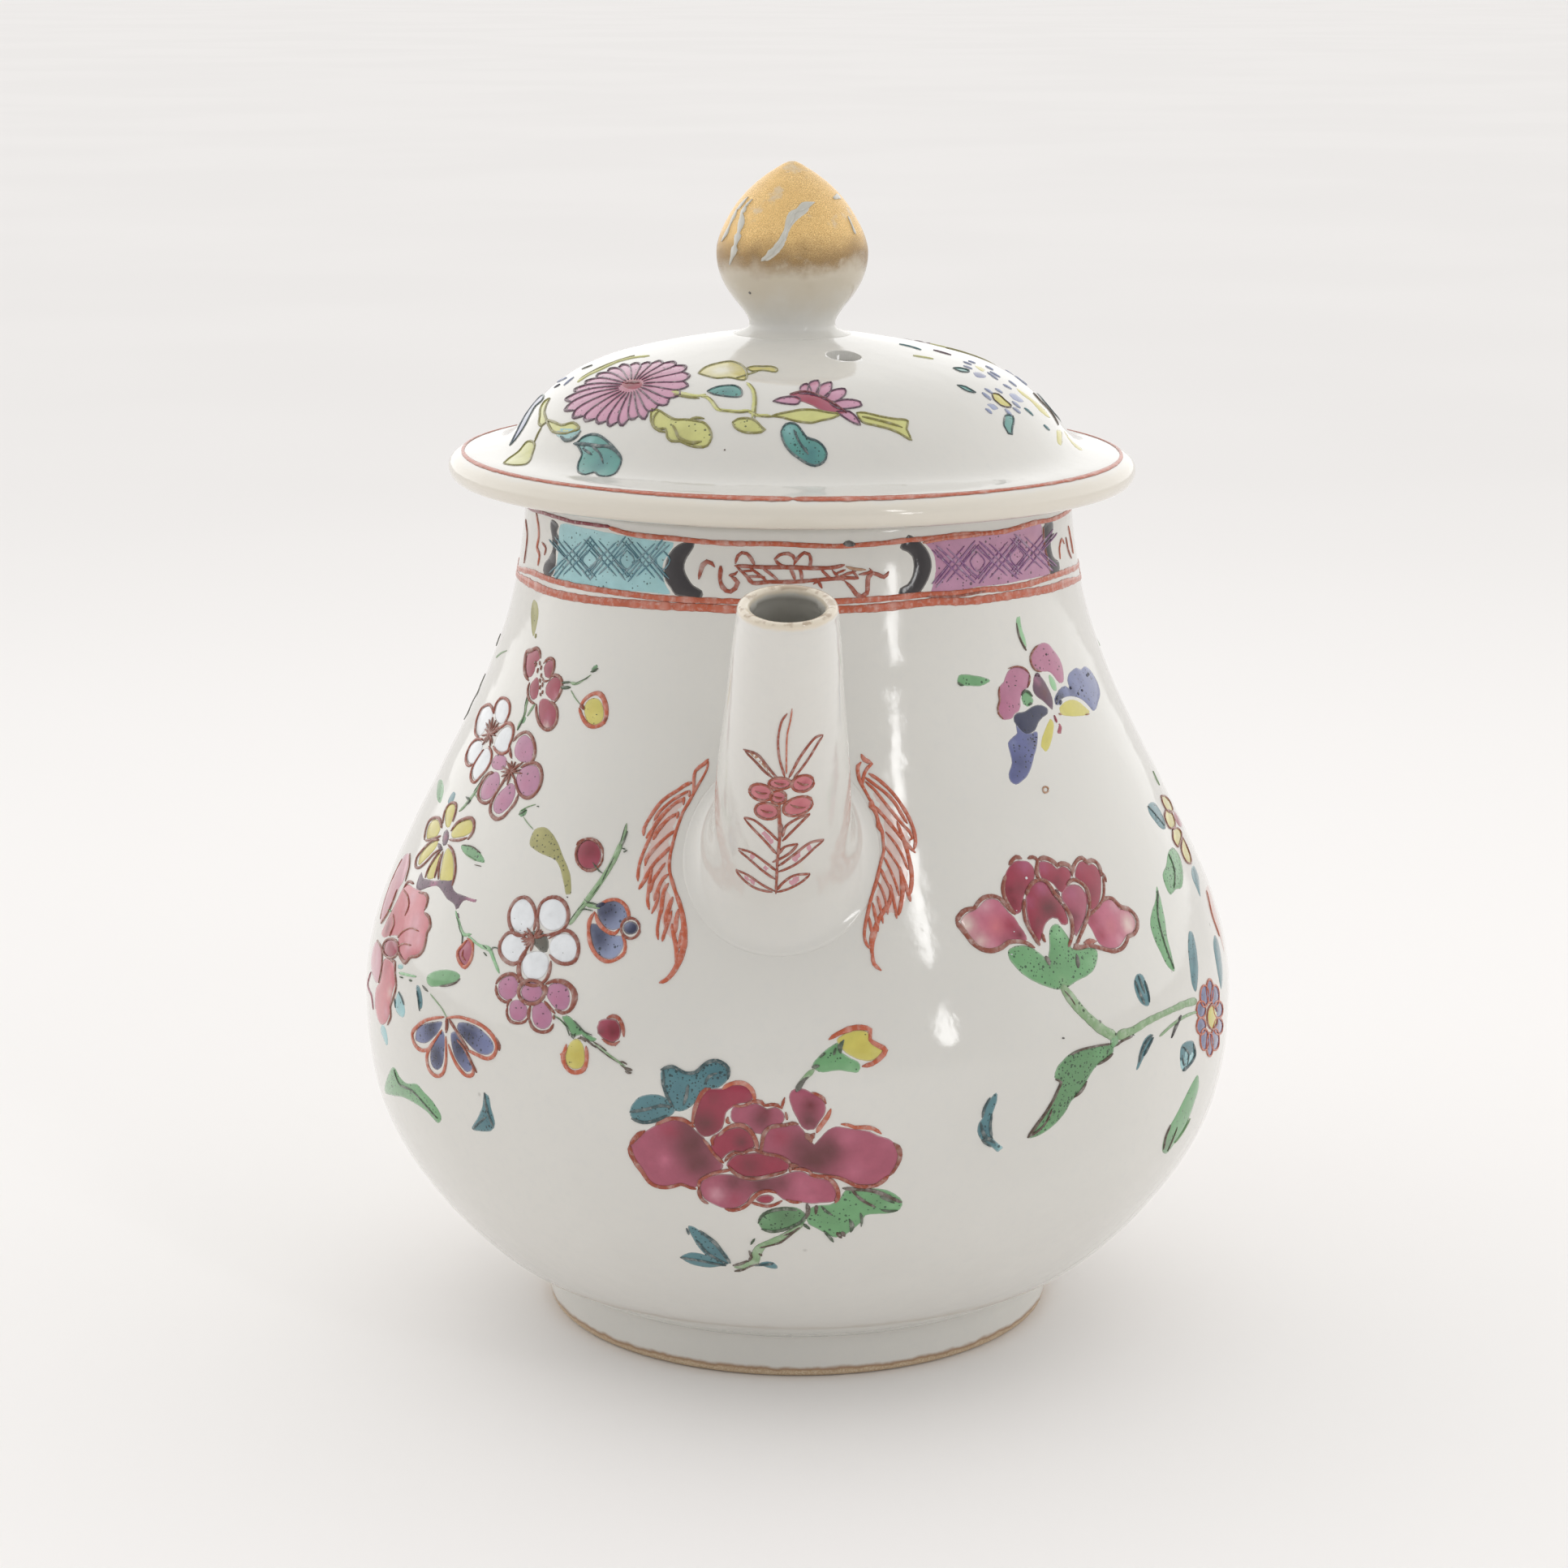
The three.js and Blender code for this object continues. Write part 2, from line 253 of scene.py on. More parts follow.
def lathe(rings, seg, point=None):
    """Closed solid of revolution. rings are (r, z) from the outside's bottom, over the top, to the inside; r 0 is a pole."""
    verts, faces, rows = [], [], []
    for r, z in rings:
        if r < 1e-6:
            rows.append([len(verts)])
            verts.append((0, 0, z))
        else:
            rows.append(list(range(len(verts), len(verts) + seg)))
            for k in range(seg):
                a = 2 * math.pi * k / seg
                verts.append((r * math.sin(a), -r * math.cos(a), z))
    n = len(rows)
    for i in range(n):
        a, b = rows[i], rows[(i + 1) % n]
        if len(a) == 1 and len(b) == 1:
            continue
        for k in range(seg):
            k2 = (k + 1) % seg
            if len(a) == 1:
                faces.append((a[0], b[k2], b[k]))
            elif len(b) == 1:
                faces.append((a[k], a[k2], b[0]))
            else:
                faces.append((a[k], a[k2], b[k2], b[k]))
    return np.array(verts, float), faces


def tidy(ob):
    """Consistent outward normals and no doubled points."""
    bm = bmesh.new()
    bm.from_mesh(ob.data)
    bmesh.ops.remove_doubles(bm, verts=bm.verts, dist=2e-7)
    bmesh.ops.recalc_face_normals(bm, faces=bm.faces)
    bm.to_mesh(ob.data)
    bm.free()


# ------------------------------------------------------------------ materials
def srgb(r, g, b):
    """8-bit display colour to linear."""
    def f(v):
        v /= 255.0
        return v / 12.92 if v <= 0.04045 else ((v + 0.055) / 1.055) ** 2.4
    return (f(r), f(g), f(b))


GLAZE = srgb(216, 213, 206)


class Nodes:
    """Short names for building a material's nodes."""

    def __init__(self, name):
        self.mat = bpy.data.materials.new(name)
        self.mat.use_nodes = True
        self.t = self.mat.node_tree
        self.t.nodes.clear()
        self.out = self.t.nodes.new("ShaderNodeOutputMaterial")
        self.bsdf = self.t.nodes.new("ShaderNodeBsdfPrincipled")
        self.link(self.bsdf.outputs[0], self.out.inputs[0])

    def link(self, a, b):
        self.t.links.new(a, b)

    def new(self, kind, **inputs):
        n = self.t.nodes.new(kind)
        for k, v in inputs.items():
            self.put(n.inputs[k.replace("_", " ")], v)
        return n

    def put(self, socket, v):
        if isinstance(v, bpy.types.NodeSocket):
            self.link(v, socket)
        else:
            socket.default_value = v

    def math(self, op, a, b=0.0, c=0.0, clamp=False):
        n = self.t.nodes.new("ShaderNodeMath")
        n.operation, n.use_clamp = op, clamp
        for s, v in zip(n.inputs, (a, b, c)):
            self.put(s, v)
        return n.outputs[0]

    def ramp(self, v, lo, hi):
        n = self.t.nodes.new("ShaderNodeMapRange")
        n.clamp, n.interpolation_type = True, "SMOOTHSTEP"
        self.put(n.inputs["Value"], v)
        self.put(n.inputs["From Min"], lo)
        self.put(n.inputs["From Max"], hi)
        return n.outputs[0]

    def mix(self, f, a, b, mode="MIX"):
        n = self.t.nodes.new("ShaderNodeMix")
        n.data_type, n.blend_type = "RGBA", mode
        self.put(n.inputs[0], f)
        for s, v in ((n.inputs[6], a), (n.inputs[7], b)):
            self.put(s, v if isinstance(v, bpy.types.NodeSocket) or len(v) == 4 else (*v, 1.0))
        return n.outputs[2]

    def place(self):
        """Position on the piece, in millimetres."""
        tc = self.t.nodes.new("ShaderNodeTexCoord")
        n = self.t.nodes.new("ShaderNodeVectorMath")
        n.operation = "SCALE"
        self.link(tc.outputs["Object"], n.inputs[0])
        n.inputs[3].default_value = 1000.0
        return n.outputs[0]

    def noise(self, vec, scale, detail=2.0, rough=0.5, out=0):
        n = self.t.nodes.new("ShaderNodeTexNoise")
        self.link(vec, n.inputs["Vector"])
        n.inputs["Scale"].default_value = scale
        n.inputs["Detail"].default_value = detail
        n.inputs["Roughness"].default_value = rough
        return n.outputs[out]

    def spots(self, vec, scale, size, share):
        """1 on small round spots: a share of the cells of a Voronoi pattern each hold one of random size."""
        v = self.t.nodes.new("ShaderNodeTexVoronoi")
        self.link(vec, v.inputs["Vector"])
        v.inputs["Scale"].default_value = scale
        col = self.t.nodes.new("ShaderNodeSeparateColor")
        self.link(v.outputs["Color"], col.inputs[0])
        on = self.math("LESS_THAN", col.outputs[0], share)
        rad = self.math("MULTIPLY", self.math("MULTIPLY_ADD", col.outputs[1], 0.75, 0.25), size)
        edge = self.math("SUBTRACT", rad, v.outputs["Distance"])
        return self.math("MULTIPLY", self.ramp(edge, -0.02, 0.05), on)

    def set(self, **kw):
        for k, v in kw.items():
            self.put(self.bsdf.inputs[k.replace("_", " ")], v)

    def bump(self, height, distance, strength=1.0):
        b = self.t.nodes.new("ShaderNodeBump")
        b.inputs["Strength"].default_value = strength
        b.inputs["Distance"].default_value = distance * MM
        self.link(height, b.inputs["Height"])
        self.link(b.outputs[0], self.bsdf.inputs["Normal"])


def glaze_base(n, p):
    """Bluish grey-white glaze, its tone varying in soft clouds, with scattered iron specks."""
    cloud = n.noise(p, 0.045, 3.0)
    c = n.mix(n.ramp(cloud, 0.35, 0.7), (*srgb(215, 213, 207), 1), (*srgb(219, 217, 211), 1))
    fine = n.noise(p, 1.1, 3.0)
    c = n.mix(n.math("MULTIPLY", n.ramp(fine, 0.45, 0.75), 0.22), c, (*srgb(210, 210, 207), 1))
    pins = n.spots(p, 0.19, 0.06, 0.12)
    return n.mix(n.math("MULTIPLY", pins, 0.55), c, (*srgb(92, 84, 74), 1))


def finish_glaze(n, p, rough=0.085):
    n.set(Roughness=n.math("MULTIPLY_ADD", n.ramp(n.noise(p, 0.5, 3.0), 0.4, 0.75), 0.05, rough))
    n.bsdf.inputs["IOR"].default_value = 1.5
    n.bsdf.inputs["Coat Weight"].default_value = 0.35
    n.bsdf.inputs["Coat Roughness"].default_value = 0.05
    ripple = n.math("ADD", n.math("MULTIPLY", n.noise(p, 0.16, 2.0), 1.0), n.math("MULTIPLY", n.noise(p, 0.85, 2.0), 0.10))
    n.bump(ripple, 0.35, 0.35)


def mat_pot_glaze():
    n = Nodes("body_glaze")
    p = n.place()
    c = glaze_base(n, p)
    z = n.new("ShaderNodeSeparateXYZ", Vector=p)
    # bare rim where the cover sits, and the glaze darker and bluer towards the bottom, by the foot
    rim = n.ramp(z.outputs[2], 87.0, 87.3)
    c = n.mix(n.math("MULTIPLY", rim, 0.9), c, (*srgb(214, 202, 182), 1))
    wob = n.math("MULTIPLY_ADD", n.noise(p, 0.35, 3.0), 1.5, z.outputs[2])
    low = n.ramp(wob, 8.5, 4.9)
    c = n.mix(n.math("MULTIPLY", low, 0.35), c, (*srgb(196, 202, 200), 1))
    n.set(Base_Color=c)
    finish_glaze(n, p)
    return n.mat


def mat_foot():
    n = Nodes("foot_glaze")
    p = n.place()
    c = glaze_base(n, p)
    z = n.new("ShaderNodeSeparateXYZ", Vector=p)
    wob = n.math("MULTIPLY_ADD", n.noise(p, 0.55, 3.0), 0.7, z.outputs[2])
    bare = n.ramp(wob, 1.35, 0.95)
    line = n.math("MULTIPLY", n.ramp(wob, 1.75, 1.25), 0.9)
    c = n.mix(line, c, (*srgb(150, 112, 74), 1))
    grain = n.noise(p, 6.0, 3.0)
    c = n.mix(bare, c, n.mix(n.ramp(grain, 0.35, 0.7), (*srgb(186, 160, 128), 1), (*srgb(212, 194, 168), 1)))
    n.set(Base_Color=c)
    n.set(Roughness=n.math("MULTIPLY_ADD", bare, 0.55, 0.1))
    n.bsdf.inputs["IOR"].default_value = 1.5
    n.bsdf.inputs["Coat Weight"].default_value = 0.0
    n.bump(n.math("MULTIPLY", grain, n.math("MULTIPLY_ADD", bare, 0.9, 0.1)), 0.12, 0.5)
    return n.mat


def mat_plain_glaze(name, worn=None):
    n = Nodes(name)
    p = n.place()
    c = glaze_base(n, p)
    if worn:
        z = n.new("ShaderNodeSeparateXYZ", Vector=p)
        c = worn(n, p, z, c)
    n.set(Base_Color=c)
    finish_glaze(n, p)
    return n.mat


def worn_spout(n, p, z, c):
    """The lip's edge, where the glaze is thin and cream, with a broken brown line."""
    plane = n.math("ADD", n.math("MULTIPLY", n.math("SUBTRACT", z.outputs[2], SPOUT_B[2]), math.cos(math.radians(11))),
                   n.math("MULTIPLY", n.math("SUBTRACT", z.outputs[1], SPOUT_B[1]), -math.sin(math.radians(11))))
    wob = n.math("MULTIPLY_ADD", n.math("SUBTRACT", n.noise(p, 0.9, 3.0), 0.5), 0.5, plane)
    lip = n.ramp(wob, -0.85, -0.35)
    c = n.mix(n.math("MULTIPLY", lip, 0.75), c, (*srgb(222, 208, 184), 1))
    broken = n.math("MULTIPLY", n.ramp(n.noise(p, 0.75, 3.0), 0.46, 0.58), n.ramp(wob, -0.35, -0.12))
    return n.mix(n.math("MULTIPLY", broken, 0.6), c, (*srgb(150, 122, 92), 1))


def worn_lid(n, p, z, c):
    """Cream where the glaze thins on the cover's outer edge."""
    r = n.math("SQRT", n.math("ADD", n.math("POWER", n.math("ADD", z.outputs[0], 0.6), 2.0), n.math("POWER", z.outputs[1], 2.0)))
    wob = n.math("MULTIPLY_ADD", n.math("SUBTRACT", n.noise(p, 0.3, 3.0), 0.5), 1.2, r)
    edge = n.ramp(wob, 33.9, 34.8)
    return n.mix(n.math("MULTIPLY", edge, 0.55), c, (*srgb(226, 216, 198), 1))


def mat_bisque():
    n = Nodes("bezel_bisque")
    p = n.place()
    g = n.noise(p, 3.0, 4.0)
    c = n.mix(n.ramp(g, 0.35, 0.7), (*srgb(216, 206, 190), 1), (*srgb(230, 223, 211), 1))
    stain = n.ramp(n.noise(p, 0.3, 3.0), 0.55, 0.75)
    c = n.mix(n.math("MULTIPLY", stain, 0.25), c, (*srgb(176, 150, 116), 1))
    n.set(Base_Color=c)
    n.bsdf.inputs["Roughness"].default_value = 0.72
    n.bump(n.noise(p, 7.0, 3.0), 0.05, 0.5)
    return n.mat


def mat_knob():
    """Old gilding over glaze: it stops in an uneven edge above the neck, and is rubbed thin in the middle. Its lower
    part carries painted shade.
    """
    n = Nodes("knob_gilding")
    p = n.place()
    c = glaze_base(n, p)
    z = n.new("ShaderNodeSeparateXYZ", Vector=p)
    wob = n.math("MULTIPLY_ADD", n.math("SUBTRACT", n.noise(p, 0.28, 3.0), 0.5), 3.4, z.outputs[2])
    gold = n.ramp(wob, 109.0, 111.2)
    halo = n.ramp(wob, 103.8, 108.8)
    rub = n.math("MULTIPLY", n.ramp(n.noise(p, 0.33, 4.0, 0.6), 0.60, 0.74), 0.55)
    grit = n.ramp(n.noise(p, 8.5, 3.0, 0.7), 0.36, 0.66)
    tone = n.mix(grit, (*srgb(206, 168, 110), 1), (*srgb(246, 212, 150), 1))
    tone = n.mix(n.math("MULTIPLY", n.ramp(n.noise(p, 0.35, 2.0), 0.35, 0.7), 0.6), tone, (*srgb(230, 192, 128), 1))
    # painted shade: the gold is darkened towards the bottom of the bud, standing in for the dark it reflects there
    tone = n.mix(n.math("MULTIPLY", n.ramp(wob, 113.8, 110.6), 0.78), tone, (*srgb(136, 112, 84), 1))
    c = n.mix(n.math("MULTIPLY", halo, 0.6), c, (*srgb(196, 180, 150), 1))
    m = n.math("MULTIPLY", gold, n.math("SUBTRACT", 1.0, rub))
    n.set(Base_Color=n.mix(m, c, tone))
    n.set(Metallic=n.math("MULTIPLY", m, 0.92))
    n.set(Roughness=n.math("MULTIPLY_ADD", m, 0.12, 0.12))
    n.bsdf.inputs["IOR"].default_value = 1.5
    n.bump(n.math("MULTIPLY_ADD", grit, n.math("MULTIPLY", m, 0.6), n.noise(p, 0.3, 2.0)), 0.09, 0.6)
    return n.mat


BODY_GLAZE = mat_pot_glaze()
FOOT_GLAZE = mat_foot()
SPOUT_GLAZE = mat_plain_glaze("spout_glaze", worn_spout)
HANDLE_GLAZE = mat_plain_glaze("handle_glaze")
LID_GLAZE = mat_plain_glaze("lid_glaze", worn_lid)
BISQUE = mat_bisque()
GILDING = mat_knob()


# ------------------------------------------------------------------ the pot's own pieces
def cut(ob, cutters):
    """Bore the closed cutters out of ob."""
    for c in cutters:
        m = ob.modifiers.new("bore", "BOOLEAN")
        m.operation, m.object, m.solver = "DIFFERENCE", c, "EXACT"
    dg = bpy.context.evaluated_depsgraph_get()
    me = bpy.data.meshes.new_from_object(ob.evaluated_get(dg))
    ob.modifiers.clear()
    old, ob.data = ob.data, me
    bpy.data.meshes.remove(old)
    me.name = ob.name
    for c in cutters:
        bpy.data.objects.remove(c)


def rod(centre, direction, radii, seg=40):
    """A closed round cutter. radii are (distance along, radius), in mm."""
    d = Vector(direction).normalized()
    q = d.to_track_quat("Z", "Y").to_matrix()
    verts, faces = [], []
    for s, r in radii:
        for k in range(seg):
            a = 2 * math.pi * k / seg
            verts.append((Vector(centre) + q @ Vector((r * math.cos(a), r * math.sin(a), s))) * MM)
    for i in range(len(radii) - 1):
        for k in range(seg):
            a, b = i * seg + k, i * seg + (k + 1) % seg
            faces.append((a, b, b + seg, a + seg))
    faces.append(tuple(range(seg))[::-1])
    faces.append(tuple(range((len(radii) - 1) * seg, len(radii) * seg)))
    me = bpy.data.meshes.new("cutter")
    me.from_pydata([tuple(v) for v in verts], [], faces)
    me.update()
    ob = bpy.data.objects.new("cutter", me)
    bpy.context.scene.collection.objects.link(ob)
    return ob


def done(ob, slot_name, *nodes):
    if nodes:
        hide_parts(*nodes)
    return ob


SEG = 288


def make_pot_body():
    rings = [(0.0, 4.75), (10, 4.72), (19, 4.66), (22.4, 4.6), (25.5, 4.58), (26.7, 4.58)]
    k_out = len(rings)
    zs = np.concatenate([[4.62, 4.75, 4.95], np.linspace(5.3, 20, 30), np.linspace(20.6, 86.3, 104), [86.65, 86.9]])
    rings += [(float(_pot(z)), float(z)) for z in zs]
    k_end = len(rings)
    rings += [(27.96, 87.15), (27.8, 87.36), (27.5, 87.5), (27.1, 87.55), (26.5, 87.55), (26.1, 87.52), (25.75, 87.36), (25.52, 87.12), (25.42, 86.8), (25.4, 86.0), (25.38, 84.6)]
    ins = Spline([7.98, 9.8, 12.9, 17.2, 22.5, 28.0, 33.5, 38.5, 44.5, 50.5, 57.5, 64.5, 71.5, 78.0, 83.0], [20.5, 26.0, 31.9, 36.7, 40.5, 42.5, 43.15, 42.7, 40.9, 38.2, 34.8, 31.4, 28.5, 26.2, 25.4])
    rings += [(float(ins(z)), float(z)) for z in np.linspace(83, 10.2, 70)]
    rings += [(25.6, 9.7), (23.6, 9.0), (21, 8.45), (17, 8.1), (12, 7.98), (6, 7.95), (0.0, 7.95)]
    v, f = lathe(rings, SEG)
    # the outside follows the uneven surface that the painting is laid on
    az = np.arctan2(v[:, 0], -v[:, 1])
    a = 1 + (k_out - 1) * SEG
    b = a + (k_end - k_out) * SEG
    r = pot_r(az[a:b], v[a:b, 2])
    v[a:b, 0], v[a:b, 1] = r * np.sin(az[a:b]), -r * np.cos(az[a:b])
    ob = add_mesh("pot_body_glazed", v, f, BODY_GLAZE, "pot")
    tidy(ob)
    d = np.array([0, -0.9, 0.436])
    d /= np.linalg.norm(d)
    e1 = np.array([1.0, 0, 0])
    e2 = np.cross(d, e1)
    holes = [(0.0, 0.0)] + [(3.3 * math.cos(k * math.pi / 3), 3.3 * math.sin(k * math.pi / 3)) for k in range(6)]
    cut(ob, [rod(SPOUT_A + a_ * e1 + b_ * e2, d, [(-9, 1.15), (5.5, 1.15)], 24) for a_, b_ in holes])
    return done(ob, "body_glaze", "pot_body")


def make_foot():
    prof = [(23.25, 4.62), (23.25, 3.0), (23.27, 1.6), (23.32, 0.75), (23.5, 0.3), (23.85, 0.08), (24.4, 0.02), (25.2, 0.01), (25.9, 0.03), (26.35, 0.16), (26.62, 0.42), (26.74, 0.8),
            (26.78, 1.4), (26.78, 2.4), (26.76, 3.3), (26.8, 3.85), (26.9, 4.25), (27.08, 4.55), (27.3, 4.78)]
    p = catmull(np.array([(r, z, 0) for r, z in prof]), step=0.16)
    rings = [(float(q[0]), float(q[1])) for q in p] + [(26.2, 5.0), (24.0, 4.95)]
    v, f = lathe(rings, SEG)
    az = np.arctan2(v[:, 0], -v[:, 1])
    k = 1 + 0.0011 * np.sin(2 * az + 0.4) - 0.0012
    v[:, 0] *= k
    v[:, 1] *= k
    ob = add_mesh("foot_ring_glazed", v, f, FOOT_GLAZE, "pot")
    tidy(ob)
    return done(ob, "foot_glaze", "foot_ring")


def onto_body(line, lo, hi):
    """Where a line of points, given by distance, meets the pot's outside. Outside for hi, inside for lo."""
    for _ in range(40):
        m = 0.5 * (lo + hi)
        p = line(m)
        out = math.hypot(p[0], p[1]) > pot_r(math.atan2(p[0], -p[1]), p[2])
        lo, hi = (lo, m) if out else (m, hi)
    return 0.5 * (lo + hi)


def body_drop(p, up):
    """The nearest place on the pot's outside to p, raised by up."""
    az, z = math.atan2(p[0], -p[1]), float(p[2])
    for _ in range(6):
        q = pot_point(az, z)
        s = float(_pot.slope(z))
        t = np.array([s * math.sin(az), -s * math.cos(az), 1.0])
        z += float(np.dot(p - q, t) / np.dot(t, t)) * 0.8
        az = math.atan2(p[0], -p[1])
    return pot_point(az, z, up)


def flare(line, s_hit, centre, f_t, f_b, steps=9, sunk=-0.04):
    """The fillet between a tube's side and the pot: points from the pot up to the tube."""
    hit = line(s_hit)
    top = line(s_hit + f_t)
    r = math.hypot(hit[0], hit[1])
    az = math.atan2(hit[0], -hit[1])
    sl = float(_pot.slope(hit[2]))
    nrm = np.array([math.sin(az), -math.cos(az), -sl])
    nrm /= np.linalg.norm(nrm)
    out = hit - centre
    out = out - nrm * np.dot(out, nrm)
    out /= np.linalg.norm(out)
    foot = body_drop(hit + out * f_b, sunk)
    ctrl = hit + nrm * 0.0
    t = np.linspace(0, 1, steps)[:, None]
    return (1 - t) ** 2 * foot + 2 * t * (1 - t) * ctrl + t**2 * top


def ring_faces(rows, n):
    faces = []
    for i in range(len(rows)):
        a, b = rows[i], rows[(i + 1) % len(rows)]
        for k in range(n):
            k2 = (k + 1) % n
            faces.append((a + k, a + k2, b + k2, b + k))
    return faces


LIP_N = np.array([0, -math.sin(math.radians(11)), math.cos(math.radians(11))])


def make_spout():
    n = 144
    us = np.arange(n) * 2 * math.pi / n
    inner = Spline([-7, 0, 6, 16, 28, 34, 43], [5.35, 5.35, 5.25, 4.7, 4.1, 3.75, 3.15])
    cols = []
    for u in us:
        line = lambda s: spout_line(u, s)
        s_hit = onto_body(line, -14.0, 16.0)
        c = SPOUT_A + s_hit * SPOUT_D
        base = flare(line, s_hit, c, 5.2, 3.1)
        ds = np.array([1.0, 0, 0]) * 0

        def end_of(rad, drop):
            """Distance along where the wall at this radius meets the lip's plane, lowered by drop."""
            off = (rad * math.sin(u)) * SPOUT_X - (rad * math.cos(u)) * SPOUT_U
            return (np.dot(SPOUT_B - SPOUT_A - off, LIP_N) - drop) / np.dot(SPOUT_D, LIP_N)

        def at(rad, s):
            return SPOUT_A + s * SPOUT_D + (rad * math.sin(u)) * SPOUT_X - (rad * math.cos(u)) * SPOUT_U

        ro = 4.44
        s_top = end_of(ro, 1.15)
        tube = [line(s) for s in np.linspace(s_hit + 5.2, s_top, 46)[1:]]
        lip = [at(float(_spout(end_of(ro, 0.8))) * 0 + ro, end_of(ro, 0.8)), at(ro - 0.03, end_of(ro - 0.03, 0.5)), at(ro - 0.12, end_of(ro - 0.12, 0.26)), at(ro - 0.28, end_of(ro - 0.28, 0.1)),
               at(ro - 0.5, end_of(ro - 0.5, 0.03)), at(ro - 0.72, end_of(ro - 0.72, 0.04)), at(3.5, end_of(3.5, 0.14)), at(3.34, end_of(3.34, 0.32)), at(3.24, end_of(3.24, 0.6)), at(3.2, end_of(3.2, 1.0))]
        in_line = lambda s: at(float(inner(s)), s)
        s_in = onto_body(in_line, -14.0, 16.0)
        s_from = end_of(3.2, 1.6)
        bore = [in_line(s) if s < 38 else at(float(inner(38)) + (3.2 - float(inner(38))) * (s - 38) / max(s_from - 38, 1e-3) if s_from > 38 else 3.2, s) for s in np.linspace(s_from, s_in - 0.35, 40)]
        cols.append(np.array(list(base) + tube + lip + bore))
    cols = np.array(cols)
    rows, verts = [], []
    for i in range(cols.shape[1]):
        rows.append(len(verts))
        verts.extend(cols[:, i])
    verts = np.array(verts)
    ob = add_mesh("spout_glazed", verts, ring_faces(rows, n), SPOUT_GLAZE, "pot")
    tidy(ob)
    return done(ob, "spout_glaze", "spout")


def make_handle():
    path = [[0, 29, 68.6], [0, 37.3, 70.7], [0, 46.4, 71.6], [0, 54.9, 69.8], [0, 61, 64.6], [0, 63.45, 57], [0, 62.75, 48.4], [0, 58.85, 40.2], [0, 52.8, 33.6], [0, 46, 29.3], [0, 39.8, 27]]
    pts = catmull(np.array([[p[1], p[2], 0] for p in path]), step=0.9)[:, :2]
    seg = np.linalg.norm(np.diff(pts, axis=0), axis=1)
    s = np.concatenate([[0], np.cumsum(seg)])
    total = s[-1]
    n = 80

    def centre(q):
        return np.array([0, np.interp(q, s, pts[:, 0]), np.interp(q, s, pts[:, 1])])

    def tangent(q):
        a, b = centre(min(q + 0.8, total)), centre(max(q - 0.8, 0))
        t = a - b
        return t / np.linalg.norm(t)

    def at(u, q, grow=0.0):
        c, t = centre(q), tangent(q)
        nrm = np.array([0, -t[2], t[1]])
        k = 1 + 0.025 * math.sin(q * 0.11 + 0.5)
        a, b = 3.55 * k + grow, 4.7 * k + grow
        cu, su = math.cos(u), math.sin(u)
        e = 2 / 2.25
        return c + nrm * (a * math.copysign(abs(cu) ** e, cu)) + np.array([1.0, 0, 0]) * (b * math.copysign(abs(su) ** e, su))

    cols = []
    for k in range(n):
        u = 2 * math.pi * k / n
        lo = onto_body(lambda q: at(u, q), 0.0, 22.0)
        hi_line = lambda q: at(u, total - q)
        hi = onto_body(hi_line, 0.0, 22.0)
        a = flare(lambda q: at(u, q), lo, centre(lo), 3.6, 2.4)
        b = flare(hi_line, hi, centre(total - hi), 3.6, 2.4)
        mid = [at(u, q) for q in np.linspace(lo + 3.6, total - hi - 3.6, 110)[1:-1]]
        inside_a = at(u, lo, -1.2) * 1.0
        inside_b = at(u, total - hi, -1.2) * 1.0
        cols.append(np.array(list(a) + mid + list(b[::-1])))
    cols = np.array(cols)
    verts, rows = [], []
    for i in range(cols.shape[1]):
        rows.append(len(verts))
        verts.extend(cols[:, i])
    faces = []
    for i in range(len(rows) - 1):
        for k in range(n):
            k2 = (k + 1) % n
            faces.append((rows[i] + k, rows[i] + k2, rows[i + 1] + k2, rows[i + 1] + k))
    # close each end a little inside the wall
    for end, row in ((0, rows[0]), (1, rows[-1])):
        ring = cols[:, 0] if end == 0 else cols[:, -1]
        c = ring.mean(0)
        c = body_drop(c, -0.7)
        inner_ring = []
        for k in range(n):
            p = ring[k] * 0.55 + c * 0.45
            inner_ring.append(body_drop(p, -0.6))
        r0 = len(verts)
        verts.extend(inner_ring)
        verts.append(c)
        for k in range(n):
            k2 = (k + 1) % n
            faces.append((row + k, row + k2, r0 + k2, r0 + k))
            faces.append((r0 + k, r0 + k2, r0 + n))
    ob = add_mesh("handle_glazed", np.array(verts), faces, HANDLE_GLAZE, "pot")
    tidy(ob)
    return done(ob, "handle_glaze", "handle")


